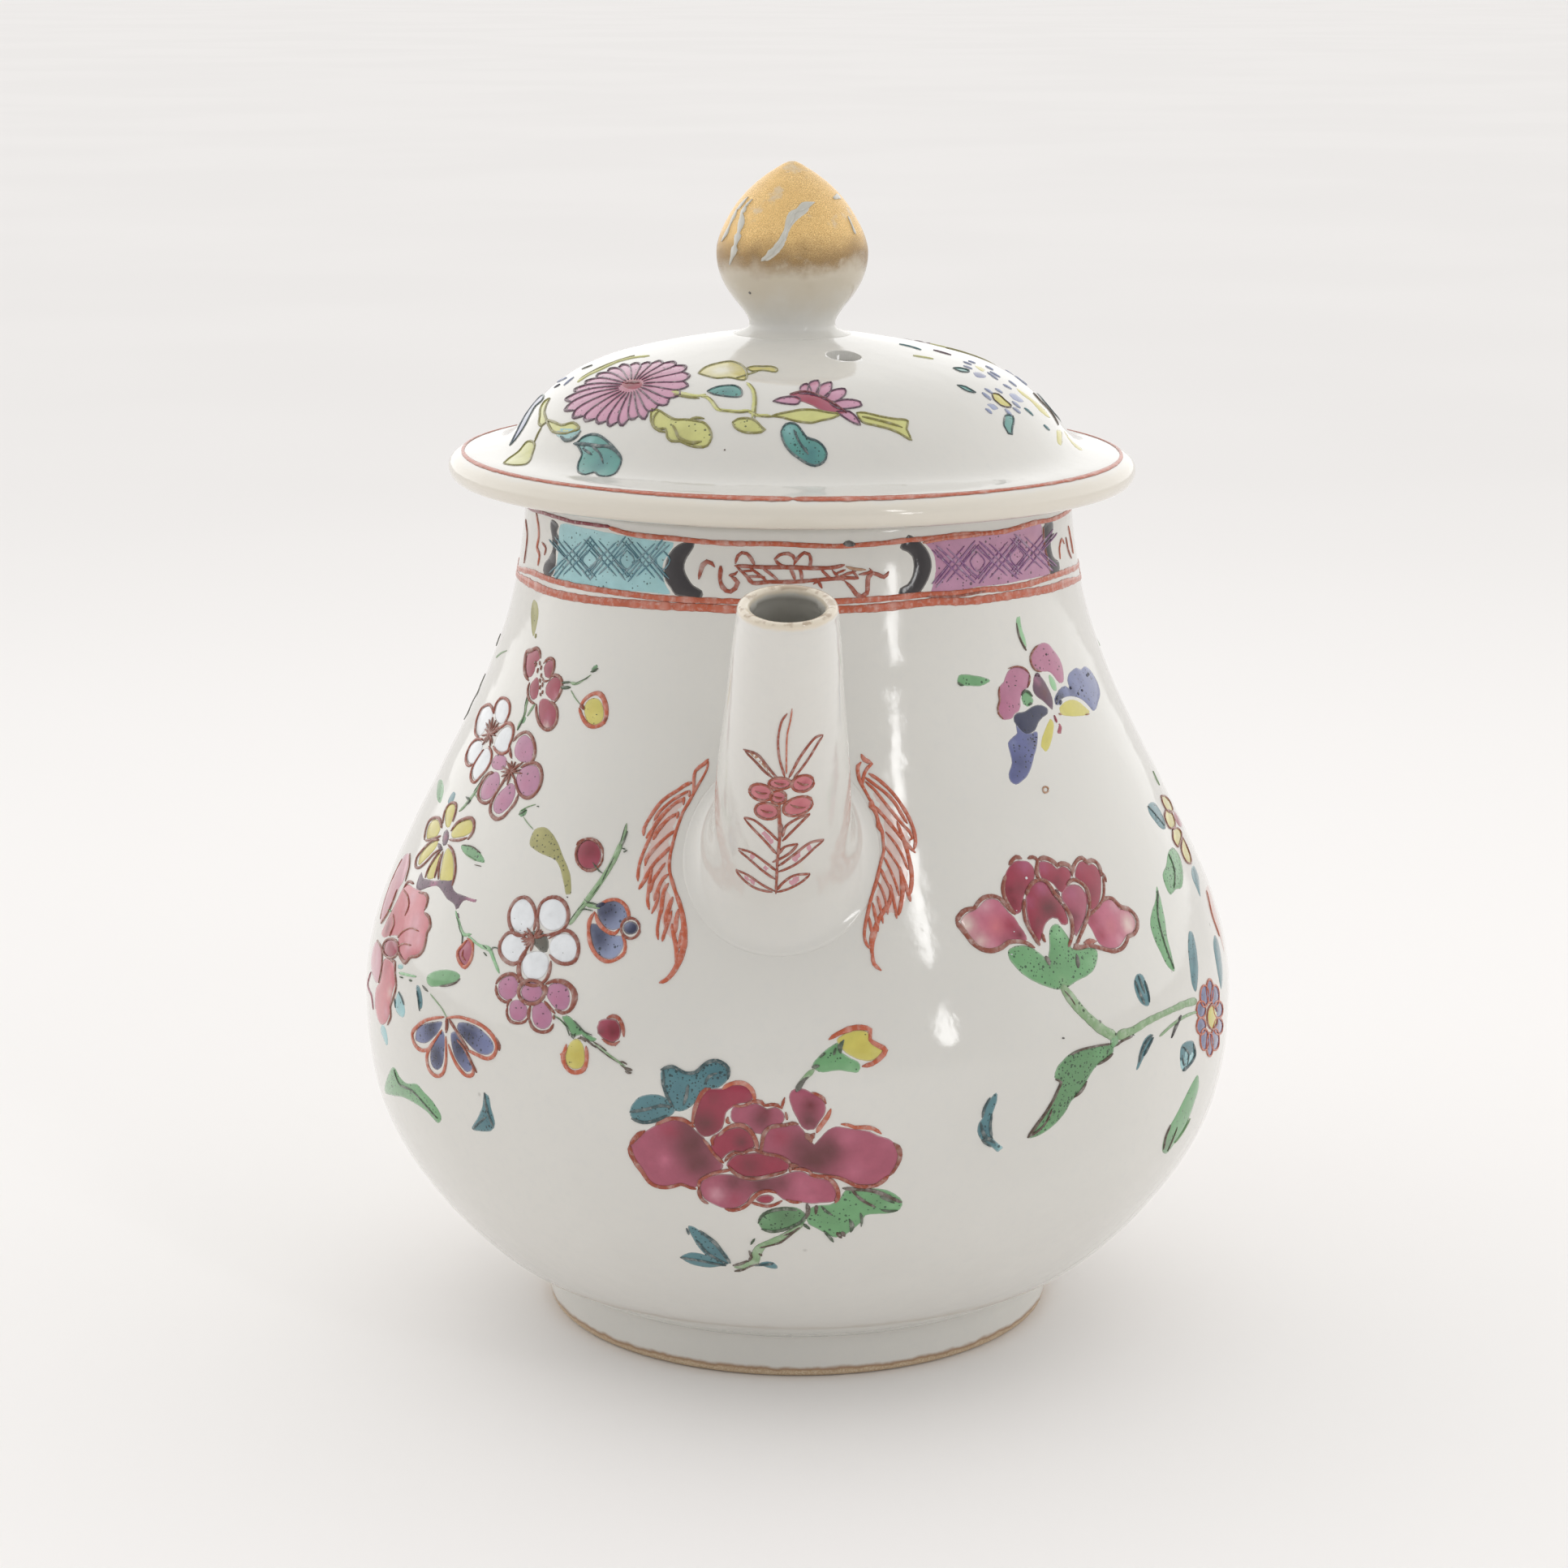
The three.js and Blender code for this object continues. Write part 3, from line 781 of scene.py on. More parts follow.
def make_lid():
    rs = np.concatenate([np.linspace(4.5, 33.2, 66)])
    rings = [(0.0, float(_lid(0.0))), (2.4, float(_lid(2.4)))] + [(float(r), float(_lid(r))) for r in rs]
    edge = catmull(np.array([(33.4, 90.84, 0), (33.95, 90.68, 0), (34.55, 90.38, 0), (35.0, 89.95, 0), (35.2, 89.4, 0), (35.1, 88.75, 0), (34.75, 88.25, 0), (34.2, 87.98, 0), (33.4, 87.95, 0)]), step=0.2)
    rings += [(float(e[0]), float(e[1])) for e in edge]
    rings += [(31.0, 87.93), (28.2, 87.92), (25.6, 87.92), (24.0, 88.0), (22.3, 88.0), (21.9, 88.4), (21.8, 90.0)]
    ins = Spline([3.2, 6, 8.2, 9.7, 10.6, 11.2, 11.55], [21.7, 20.7, 19.1, 16.6, 13.2, 8.5, 4.0])
    rings += [(float(ins(h)), 87.9 + float(h)) for h in np.concatenate([np.linspace(3.2, 9.7, 14), np.linspace(9.9, 11.5, 8)])] + [(0.0, 99.5)]
    v, f = lathe(rings, SEG)
    v = tilt_cover(v)
    ob = add_mesh("lid_glazed", v, f, LID_GLAZE, "cover")
    tidy(ob)
    h = tilt_cover(np.array([5.1, -11.3, 101.4]))
    cut(ob, [rod(h, (0.0, 0.0, 1.0), [(-6, 1.68), (-0.3, 1.68), (0.15, 1.74), (3, 1.9)], 48)])
    return done(ob, "lid_glaze", "lid")


def make_bezel():
    prof = catmull(np.array([(22.2, 88.15, 0), (22.1, 86.0, 0), (22.1, 83.0, 0), (22.15, 81.0, 0), (22.45, 80.45, 0), (22.95, 80.34, 0), (23.5, 80.42, 0), (23.95, 80.75, 0), (24.12, 81.4, 0), (24.18, 83.5, 0), (24.2, 86.2, 0), (24.22, 88.15, 0)]), step=0.35)
    v, f = lathe([(float(p[0]), float(p[1])) for p in prof], SEG)
    ob = add_mesh("lid_bezel_unglazed", tilt_cover(v), f, BISQUE, "cover")
    tidy(ob)
    return done(ob, "bezel_bisque", "lid_bezel")


def make_knob():
    rings = [(0.0, 102.2), (5.2, 102.2), (6.6, 102.48), (5.75, 102.72), (5.1, 102.98)]
    rings += [(float(_knob(z)), float(z)) for z in np.concatenate([np.linspace(103.2, 118.7, 62), np.linspace(118.9, 119.75, 8)])]
    rings += [(0.45, 119.93), (0.22, 119.99), (0.0, 120.0)]
    v, f = lathe(rings, 128)
    for i, p in enumerate(v):
        if p[2] > 103.2:
            k = 1 + 0.006 * fbm((p[0] * 0.18, p[1] * 0.18, p[2] * 0.16), 2)
            v[i, 0] *= k
            v[i, 1] *= k
    ob = add_mesh("lid_knob_gilded", tilt_cover(v), f, GILDING, "cover")
    tidy(ob)
    return done(ob, "knob_gilding", "lid_knob")


make_pot_body()
make_foot()
make_spout()
make_handle()
make_lid()
make_bezel()
make_knob()


# Each motif: its name, the surface it is on, and its fills and lines in that surface's own coordinates.
# pot: degrees round from the spout, height in mm; lid: x, y in mm; spout: degrees round, mm along; knob: degrees, height.
MOTIFS = [
    ('front_peony', 'pot', [
        ("F", "rose", [(-20.753, 30.296), (-20.694, 29.548), (-20.132, 28.588), (-19.361, 27.724), (-18.5, 26.772), (-17.702, 26.326), (-16.457, 26.262), (-15.194, 26.54), (-13.862, 26.555), (-12.751, 26.459), (-12.111, 27.02), (-11.876, 27.638), (-10.757, 28.046), (-9.447, 28.541), (-8.939, 28.989), (-9.803, 29.704), (-10.472, 30.502), (-11.047, 31.295), (-11.335, 31.77), (-12.118, 32.296), (-12.804, 32.823), (-13.296, 33.279), (-14.092, 33.47), (-15.297, 33.468), (-16.516, 33.215), (-17.343, 32.661), (-18.385, 32.084), (-19.228, 31.6), (-19.991, 30.787)], [(-12.933, 31.184, 2.303, "umber", 0.95), (-12.006, 29.078, 1.845, "umber", 0.95), (-13.602, 32.773, 1.381, "umber", 0.6), (-16.452, 29.095, 0.848, "pink", 0.9), (-18.268, 29.78, 1.08, "rose", 0.5), (-15.62, 32.307, 1.229, "crimson", 0.6)], 0, 0.09),
        ("F", "crimson", [(-12.507, 32.76), (-12.695, 33.64), (-12.389, 34.625), (-12.091, 35.439), (-11.604, 36.175), (-10.922, 36.6), (-10.139, 36.715), (-9.161, 36.757), (-8.581, 37.012), (-7.417, 37.208), (-6.253, 37.089), (-5.571, 36.643), (-5.374, 36.024), (-5.757, 35.542), (-7.012, 35.347), (-7.883, 34.998), (-8.662, 34.408), (-8.861, 33.675), (-9.161, 32.853), (-10.148, 32.158), (-11.333, 31.852), (-12.119, 32.214)], [(-11.316, 33.152, 1.685, "umber", 0.85), (-10.127, 35.855, 0.764, "umber", 0.4), (-7.215, 36.673, 0.687, "crimson", 0.5)], 0, 0.09),
        ("F", "rose", [(-7.883, 34.998), (-6.721, 35.197), (-5.756, 35.384), (-5.082, 35.481), (-4.505, 35.256), (-3.832, 34.952), (-2.873, 35.126), (-2.106, 34.818), (-1.723, 34.181), (-2.011, 33.534), (-2.875, 33.2), (-3.836, 33.022), (-4.512, 32.36), (-5.283, 32.423), (-5.763, 32.977), (-6.437, 33.361), (-7.696, 33.399), (-8.178, 34.026)], [(-4.507, 33.816, 1.07, "umber", 0.85), (-4.12, 34.707, 0.763, "deep", 0.8), (-7.207, 34.222, 0.611, "rose", 0.5)], 0, 0.09),
        ("F", "rose", [(-1.246, 36.089), (-0.96, 36.713), (-0.194, 36.947), (0.669, 36.87), (1.627, 36.478), (2.585, 36.08), (3.063, 35.445), (3.064, 34.65), (2.683, 34.014), (2.205, 33.455), (1.728, 32.893), (0.961, 32.816), (0.194, 33.222), (-0.286, 34.028), (-0.862, 34.986)], [(1.243, 35.304, 0.915, "deep", 1), (1.054, 33.866, 1.069, "umber", 0.9), (1.439, 33.461, 0.611, "umber", 0.6)], 0, 0.09),
        ("F", "rose", [(-4.322, 31.795), (-4.126, 32.531), (-3.547, 33.028), (-2.587, 33.285), (-1.244, 33.379), (0.002, 33.384), (0.482, 32.899), (1.155, 32.086), (1.733, 31.594), (2.595, 32.236), (3.36, 32.874), (4.319, 33.181), (5.766, 32.986), (7.219, 32.78), (8.387, 32.575), (9.368, 32.127), (10.649, 31.741), (11.449, 31.208), (11.964, 30.438), (11.993, 29.604), (11.73, 28.778), (11.069, 28.049), (10.297, 27.577), (9.128, 27.118), (7.547, 27.099), (6.358, 27.314), (5.169, 27.778), (4.186, 28.143), (2.919, 28.335), (1.462, 28.605), (0.299, 28.948), (-0.668, 29.283), (-1.825, 29.944), (-2.885, 30.262), (-3.849, 30.411), (-4.522, 30.727), (-4.615, 31.217)], [(1.645, 29.948, 2.451, "umber", 1), (3.566, 30.917, 1.531, "umber", 0.9), (0.004, 31.436, 1.53, "umber", 0.6), (-2.396, 32.235, 1.07, "crimson", 0.7), (5.773, 32.174, 1.071, "pink", 0.8), (6.513, 28.676, 1.075, "pink", 0.9), (9.706, 29.976, 1.381, "rose", 0.8), (10.66, 31.168, 0.767, "pink", 0.5)], 0, 0.09),
        ("F", "crimson", [(-10.455, 31.326), (-10.149, 32.076), (-9.164, 32.529), (-7.894, 32.906), (-7.02, 33.018), (-6.055, 32.644), (-5.479, 32.011), (-5.292, 31.2), (-6.072, 30.685), (-7.046, 30.488), (-7.823, 30.624), (-8.711, 30.173), (-9.512, 29.551), (-10.189, 30.019), (-10.567, 30.663)], [(-6.838, 31.562, 0.919, "umber", 0.8), (-9.183, 31.06, 0.767, "crimson", 0.6)], 0, 0.11),
        ("F", "crimson", [(-8.74, 29.083), (-7.931, 30.039), (-7.047, 30.405), (-6.075, 30.437), (-5.104, 30.547), (-3.849, 30.411), (-2.595, 30.267), (-1.633, 29.779), (-1.055, 29.197), (-1.831, 28.599), (-2.901, 28.244), (-4.17, 27.964), (-5.535, 28.014), (-7.003, 28.05), (-7.971, 28.523)], [(-5.803, 29.194, 1.381, "umber", 0.6), (-3.377, 29.084, 0.767, "crimson", 0.5)], 0, 0.11),
        ("F", "rose", [(-12.147, 26.412), (-11.899, 27.206), (-11.068, 27.772), (-9.761, 28.099), (-8.277, 28.17), (-7.104, 27.961), (-5.837, 27.662), (-3.879, 27.885), (-2.416, 28.166), (-0.959, 28.606), (0.299, 28.694), (1.465, 28.18), (2.633, 27.912), (3.902, 27.721), (4.406, 27.022), (4.526, 26.152), (4.25, 25.456), (2.676, 25.307), (1.494, 25.23), (0.016, 25.412), (-1.262, 25.495), (-1.95, 25.664), (-2.923, 26.351), (-4.391, 26.581), (-5.58, 26.201), (-6.402, 25.295), (-7.631, 24.621), (-9.148, 24.459), (-10.434, 24.84), (-11.609, 25.393)], [(-7.81, 27.419, 1.23, "umber", 0.8), (-4.376, 27.359, 1.69, "umber", 0.95), (-1.838, 27.403, 1.075, "umber", 0.7), (-9.958, 26.017, 0.848, "blush", 0.8), (0.305, 27.069, 1.229, "pink", 0.9), (1.487, 25.848, 0.923, "pink", 0.6), (-7.886, 25.502, 0.771, "crimson", 0.5)], 0, 0.1),
        ("F", "crimson", [(-5.302, 25.596), (-4.599, 26.054), (-3.81, 26.16), (-3.029, 25.825), (-3.63, 25.284), (-4.619, 25.261)], [], 0, 0.12),
        ("S", "iron", [(-20.753, 30.296, 0.565), (-20.694, 29.548, 0.66), (-20.132, 28.588, 0.566), (-19.361, 27.724, 0.472), (-18.508, 26.685, 0.472), (-17.702, 26.326, 0.425), (-16.457, 26.262, 0.424), (-15.194, 26.54, 0.377), (-14.357, 26.778, 0.377), (-13.357, 26.504, 0.329), (-12.553, 26.385, 0.282)], 0.075, 1),
        ("S", "iron", [(-20.753, 30.296, 0.377), (-20.194, 30.932, 0.518), (-19.545, 31.488, 0.564), (-18.698, 31.975, 0.282)], 0.075, 1),
        ("S", "iron", [(-17.343, 32.661, 0.281), (-16.723, 33.036, 0.469), (-15.905, 33.342, 0.422), (-14.692, 33.511, 0.421), (-13.594, 33.341, 0.421), (-12.902, 32.98, 0.374), (-12.507, 32.76, 0.281)], 0.075, 1),
        ("S", "iron", [(-12.804, 32.823, 0.374), (-12.695, 33.64, 0.327), (-12.488, 34.539, 0.42), (-12.091, 35.439, 0.42), (-11.604, 36.175, 0.466), (-11.118, 36.591, 0.42), (-10.531, 36.697, 0.28)], 0.075, 1),
        ("S", "rust", [(-9.16, 36.679, 0.326), (-8.485, 37.093, 0.419), (-7.517, 37.359, 0.419), (-6.547, 37.312, 0.419), (-5.767, 36.871, 0.419), (-5.375, 36.259, 0.419), (-5.276, 35.634, 0.326)], 0.075, 1),
        ("S", "iron", [(-7.883, 35.158, 0.28), (-7.011, 35.109, 0.28), (-6.239, 35.291, 0.326), (-5.564, 35.626, 0.326), (-4.987, 35.641, 0.419), (-4.506, 35.573, 0.419), (-4.121, 35.264, 0.326), (-3.353, 35.357, 0.419), (-2.586, 35.289, 0.419), (-2.106, 35.056, 0.326), (-1.916, 35.612, 0.326), (-1.725, 36.085, 0.279)], 0.075, 1),
        ("S", "iron", [(-1.627, 34.662, 0.233), (-1.436, 33.862, 0.279)], 0.075, 1),
        ("S", "iron", [(-8.469, 34.014, 0.28), (-8.57, 33.526, 0.42), (-8.182, 33.38, 0.233)], 0.075, 1),
        ("S", "iron", [(1.435, 36.557, 0.279), (2.202, 36.318, 0.326), (2.872, 35.92, 0.326), (3.159, 35.444, 0.279)], 0.075, 1),
        ("S", "rust", [(3.735, 34.959, 0.279), (3.353, 34.246, 0.466), (2.685, 33.45, 0.466), (2.208, 32.889, 0.42), (2.017, 32.567, 0.28)], 0.075, 1),
        ("S", "brown", [(0.674, 32.574, 0.373), (1.251, 32.085, 0.746), (1.825, 32.568, 0.373)], 0.075, 1),
        ("S", "brown", [(1.251, 32.166, 0.56), (1.445, 31.596, 0.327)], 0.075, 1),
        ("S", "brown", [(-4.621, 30.559, 0.327), (-4.42, 31.549, 0.42), (-4.223, 32.366, 0.42), (-3.644, 33.026, 0.42), (-2.682, 33.284, 0.419), (-1.627, 33.376, 0.373), (-0.861, 33.543, 0.373), (-0.094, 33.465, 0.233)], 0.11, 1),
        ("S", "rust", [(4.895, 33.412, 0.28), (5.763, 33.309, 0.326), (6.538, 33.045, 0.373), (7.701, 33.006, 0.42), (8.871, 32.799, 0.42), (9.757, 32.272, 0.327)], 0.075, 1),
        ("S", "brown", [(11.249, 31.3, 0.327), (11.754, 30.862, 0.515), (12.077, 30.016, 0.515), (11.815, 29.111, 0.422), (11.256, 28.295, 0.375), (10.779, 27.894, 0.328)], 0.075, 1),
        ("S", "iron", [(10.774, 27.98, 0.422), (10.202, 27.496, 0.469), (9.331, 27.022, 0.376), (8.048, 26.907, 0.422), (6.859, 27.038, 0.422), (5.862, 27.501, 0.422), (4.677, 27.961, 0.328), (3.407, 28.157, 0.328), (2.241, 28.173, 0.421), (1.464, 28.35, 0.421), (1.17, 28.692, 0.327), (0.008, 28.948, 0.327), (-0.959, 28.86, 0.327)], 0.1, 1),
        ("S", "iron", [(-9.659, 32.019, 0.28), (-8.87, 32.704, 0.327), (-7.99, 33.145, 0.373), (-7.018, 33.261, 0.42), (-6.149, 32.965, 0.42), (-5.477, 32.336, 0.42), (-5.096, 31.532, 0.42), (-5.006, 30.715, 0.327)], 0.11, 1),
        ("S", "iron", [(-9.951, 32.167, 0.327), (-10.451, 31.572, 0.327), (-10.262, 31.09, 0.281)], 0.11, 1),
        ("S", "iron", [(-11.534, 31.677, 0.234), (-10.854, 31.059, 0.281), (-10.472, 30.502, 0.328), (-9.702, 29.793, 0.328), (-9.027, 29.322, 0.328)], 0.11, 1),
        ("S", "brown", [(-8.924, 29.495, 0.328), (-8.421, 30.019, 0.421), (-7.63, 30.466, 0.327), (-6.755, 30.415, 0.327), (-5.974, 30.77, 0.327), (-5.295, 30.872, 0.327), (-4.62, 30.642, 0.327), (-3.849, 30.411, 0.327), (-2.884, 30.345, 0.327), (-1.825, 30.027, 0.327), (-0.958, 29.449, 0.374)], 0.12, 1),
        ("S", "brown", [(-8.543, 29.092, 0.328), (-7.971, 28.523, 0.375), (-7.101, 28.047, 0.375), (-5.833, 27.834, 0.375), (-4.56, 27.955, 0.328), (-3.387, 28.236, 0.375), (-2.219, 28.509, 0.328), (-1.443, 28.772, 0.327)], 0.12, 1),
        ("S", "brown", [(-1.151, 29.448, 0.467), (-0.668, 29.283, 0.468), (-0.089, 29.285, 0.234)], 0.12, 1),
        ("S", "brown", [(-0.958, 29.281, 0.421), (-1.153, 28.605, 0.328)], 0.12, 1),
        ("S", "iron", [(-12.243, 26.492, 0.423), (-12.096, 27.28, 0.329), (-11.269, 27.76, 0.329), (-10.454, 28.148, 0.328), (-9.253, 28.466, 0.328), (-8.064, 28.689, 0.328)], 0.11, 1),
        ("S", "brown", [(-12.243, 26.492, 0.423), (-12.188, 25.797, 0.424), (-11.826, 25.202, 0.33), (-11.14, 24.888, 0.283)], 0.075, 1),
        ("S", "iron", [(-9.148, 24.459, 0.33), (-8.15, 24.326, 0.377), (-6.929, 24.649, 0.376), (-6.21, 25.124, 0.376), (-5.593, 25.763, 0.423), (-4.689, 26.4, 0.422), (-3.606, 26.599, 0.328), (-2.727, 26.354, 0.235)], 0.1, 1),
        ("S", "iron", [(-5.905, 25.312, 0.282), (-4.922, 25.075, 0.329), (-3.935, 24.921, 0.329), (-2.942, 25.119, 0.329), (-2.049, 25.575, 0.282)], 0.1, 1),
        ("S", "iron", [(-1.655, 25.668, 0.282), (-0.672, 25.41, 0.329), (0.311, 25.412, 0.282)], 0.075, 1),
        ("S", "iron", [(2.727, 28.167, 0.328), (3.904, 27.635, 0.422), (4.508, 26.847, 0.469), (4.728, 25.972, 0.469), (4.354, 25.276, 0.423)], 0.1, 1),
    ]),
    ('front_peony_leaves', 'pot', [
        ("S", "tealink", [(-16.484, 38.275, 0.234), (-16.338, 37.362, 0.234), (-16.307, 36.431, 0.187)], 0.09, 1),
        ("S", "ash", [(-0.385, 36.638, 0.512), (-0.002, 37.179, 0.558), (0.574, 37.792, 0.465), (1.151, 38.095, 0.325)], 0.12, 1),
        ("S", "sage", [(-0.002, 37.333, 0.465), (0.863, 38.096, 0.558), (1.731, 38.7, 0.651)], 0.075, 1),
        ("S", "greenink", [(1.443, 38.929, 0.279), (1.926, 39.001, 0.372), (2.409, 39.072, 0.232)], 0.12, 1),
        ("F", "leaf", [(-5.105, 22.958), (-4.867, 23.806), (-4.049, 24.377), (-2.849, 24.763), (-1.464, 24.87), (-0.279, 24.788), (0.515, 24.336), (0.918, 23.692), (0.525, 22.944), (-0.479, 22.467), (-2.0, 22.069), (-3.527, 21.946), (-4.533, 22.211)], [(-1.674, 23.684, 1.235, "greenink", 0.35), (-4.473, 23.632, 0.618, "mint", 0.6)], 0.45, 0.09),
        ("F", "green", [(0.918, 23.692), (1.107, 24.606), (2.286, 25.045), (3.667, 25.113), (4.837, 25.618), (5.593, 26.646), (7.162, 26.855), (8.95, 26.694), (10.559, 26.44), (11.805, 25.843), (12.678, 25.08), (12.457, 24.194), (11.165, 23.819), (9.536, 23.819), (8.129, 23.702), (7.679, 22.974), (6.822, 22.245), (5.848, 21.601), (4.64, 21.244), (3.385, 21.763), (2.043, 22.459), (1.128, 22.942)], [(3.519, 23.477, 1.39, "leaf", 0.5), (9.428, 25.27, 1.08, "leaf", 0.6), (11.277, 24.811, 0.618, "mint", 0.5)], 0.28, 0.09),
        ("S", "greenink", [(-5.105, 22.958, 0.236), (-4.67, 23.719, 0.283), (-3.853, 24.291, 0.329), (-2.654, 24.586, 0.329), (-1.465, 24.691, 0.329), (-0.278, 24.517, 0.282)], 0.11, 1),
        ("S", "greenink", [(-4.732, 22.302, 0.236), (-3.524, 22.043, 0.331), (-1.997, 22.262, 0.33), (-0.68, 22.753, 0.33), (0.322, 23.321, 0.33), (0.816, 23.97, 0.282)], 0.11, 1),
        ("S", "sepia", [(5.195, 26.83, 0.281), (6.872, 26.692, 0.375), (8.361, 26.547, 0.376), (9.877, 26.127, 0.423), (11.221, 25.526, 0.424), (12.583, 24.997, 0.33)], 0.12, 1),
        ("S", "sepia", [(6.178, 26.802, 0.328), (6.896, 26.082, 0.329), (7.924, 25.339, 0.329), (9.37, 24.647, 0.235)], 0.12, 1),
        ("S", "greenink", [(9.999, 24.343, 0.236), (11.035, 24.102, 0.283), (12.157, 24.123, 0.236)], 0.12, 1),
        ("S", "greenink", [(9.797, 25.781, 0.376), (10.614, 25.561, 0.47), (11.67, 24.966, 0.283)], 0.12, 1),
        ("S", "greenink", [(6.126, 23.502, 0.283), (6.588, 22.638, 0.472), (6.442, 21.873, 0.331)], 0.12, 1),
        ("S", "sepia", [(4.702, 21.928, 0.567), (5.361, 21.224, 0.378)], 0.12, 1),
        ("S", "sepia", [(5.309, 22.007, 0.472), (5.759, 21.408, 0.331)], 0.12, 1),
        ("S", "greenink", [(3.065, 22.156, 0.283), (3.813, 21.362, 0.331), (4.361, 20.755, 0.284)], 0.1, 1),
        ("S", "greenink", [(7.496, 24.097, 0.377), (7.759, 23.253, 0.236), (7.719, 22.497, 0.189)], 0.1, 1),
        ("S", "sepia", [(0.903, 25.233, 0.47), (1.109, 24.425, 0.47), (0.819, 23.6, 0.377)], 0.12, 1),
        ("S", "sepia", [(2.088, 25.047, 0.47), (2.007, 24.053, 0.282)], 0.12, 1),
        ("S", "greenink", [(2.683, 24.95, 0.329), (3.291, 24.401, 0.329), (4.102, 23.928, 0.235)], 0.12, 1),
        ("S", "greenink", [(0.525, 22.944, 0.377), (1.338, 22.369, 0.283)], 0.12, 1),
        ("S", "sage", [(0.525, 22.944, 0.377), (-0.987, 21.982, 0.661), (-2.323, 21.284, 0.757), (-3.785, 20.66, 0.758), (-4.853, 20.128, 0.853), (-5.552, 19.18, 0.95), (-5.851, 18.214, 0.857), (-7.219, 17.611, 0.763), (-8.69, 17.313, 0.573)], 0.07, 1),
        ("S", "sepia", [(-5.278, 20.013, 0.285), (-3.799, 20.359, 0.284), (-2.336, 20.788, 0.284), (-1.503, 21.392, 0.284), (-0.277, 22.372, 0.283)], 0.1, 1),
        ("S", "sepia", [(-2.112, 21.581, 0.284), (-0.987, 21.982, 0.283), (0.326, 22.755, 0.283)], 0.1, 1),
        ("S", "sepia", [(-6.471, 19.56, 0.332), (-6.22, 18.84, 0.333), (-6.717, 18.178, 0.238)], 0.1, 1),
        ("S", "sepia", [(-5.217, 19.399, 0.285), (-4.824, 18.995, 0.238)], 0.1, 1),
        ("S", "sepia", [(-8.781, 16.75, 0.287), (-7.626, 17.036, 0.334), (-6.451, 17.645, 0.286), (-5.33, 18.016, 0.286)], 0.1, 1),
        ("S", "sepia", [(-8.877, 17.523, 0.286), (-7.85, 17.799, 0.286), (-6.814, 18.282, 0.238)], 0.1, 1),
        ("S", "greenink", [(-5.62, 21.103, 0.237), (-6.191, 20.385, 0.237)], 0.1, 1),
        ("S", "tealink", [(-14.299, 21.861, 0.19), (-14.11, 21.096, 0.237)], 0.09, 1),
        ("F", "teal", [(-5.448, 17.903), (-4.234, 18.268), (-3.28, 18.075), (-2.777, 17.317), (-3.758, 17.295), (-4.824, 17.596)], [], 0.1, 0.09),
        ("S", "tealink", [(-6.33, 17.76, 0.238), (-4.806, 17.816, 0.286), (-3.387, 18.073, 0.286)], 0.11, 1),
        ("F", "green", [(4.778, 41.203), (3.104, 40.489), (1.54, 39.079), (2.308, 38.468), (4.626, 38.587), (7.046, 38.376), (7.259, 39.128), (5.527, 40.0), (4.665, 40.614)], [(4.379, 40.915, 0.61, "leaf", 0.8), (6.279, 38.853, 0.686, "mint", 0.7)], 0.15, 0.09),
        ("F", "yellow", [(4.491, 41.428), (6.888, 42.252), (8.457, 41.915), (8.516, 41.18), (10.055, 40.307), (8.934, 39.45), (7.27, 39.505), (5.533, 40.224), (4.866, 40.832)], [(7.507, 40.694, 0.915, "gold", 0.5), (9.062, 40.196, 0.458, "straw", 0.5)], 0.05, 0.1),
        ("S", "rust", [(3.512, 41.443, 0.372), (4.605, 41.938, 0.465), (6.899, 42.469, 0.558), (8.574, 42.203, 0.465), (8.523, 41.327, 0.372), (9.291, 40.857, 0.465), (10.352, 40.295, 0.559), (9.627, 39.574, 0.466), (8.627, 39.083, 0.465), (7.448, 38.895, 0.372)], 0.075, 1),
        ("S", "greenink", [(5.373, 41.412, 0.279), (4.864, 40.758, 0.465), (4.947, 40.162, 0.279)], 0.12, 1),
        ("S", "greenink", [(4.374, 40.693, 0.232), (4.068, 40.028, 0.279)], 0.12, 1),
        ("S", "greenink", [(2.416, 39.825, 0.232), (3.101, 40.266, 0.279)], 0.12, 1),
        ("F", "teal", [(-16.679, 38.108), (-15.377, 38.502), (-13.641, 37.998), (-12.546, 38.059), (-11.292, 38.96), (-9.824, 39.328), (-8.525, 38.698), (-8.496, 37.631), (-9.747, 36.732), (-11.509, 36.415), (-12.585, 35.093), (-13.882, 34.292), (-15.286, 34.357), (-16.402, 36.11), (-16.744, 37.333)], [(-9.679, 37.967, 1.222, "tealdark", 0.7), (-14.587, 36.157, 1.072, "tealdark", 0.4)], 0.75, 0.09),
        ("F", "teal", [(-20.64, 33.832), (-19.475, 35.228), (-16.905, 35.677), (-15.483, 35.145), (-14.885, 34.224), (-16.311, 33.311), (-18.888, 32.692), (-20.343, 32.966)], [(-18.14, 34.055, 0.922, "tealdark", 0.3)], 0.5, 0.09),
        ("S", "tealink", [(-16.781, 38.101, 0.28), (-15.377, 38.502, 0.327), (-13.641, 37.998, 0.327), (-12.45, 38.141, 0.326), (-11.196, 39.041, 0.373), (-9.824, 39.328, 0.373), (-8.525, 38.698, 0.372), (-8.496, 37.631, 0.326)], 0.11, 1),
        ("S", "tealink", [(-20.643, 33.669, 0.282), (-18.655, 34.092, 0.328), (-16.599, 34.663, 0.328), (-15.284, 34.599, 0.281)], 0.11, 1),
        ("S", "tealink", [(-20.446, 33.038, 0.282), (-18.887, 32.774, 0.329), (-17.129, 33.166, 0.375), (-15.899, 33.748, 0.281)], 0.11, 1),
        ("S", "tealink", [(-13.305, 36.938, 0.28), (-13.483, 35.833, 0.327), (-13.879, 34.854, 0.28)], 0.11, 1),
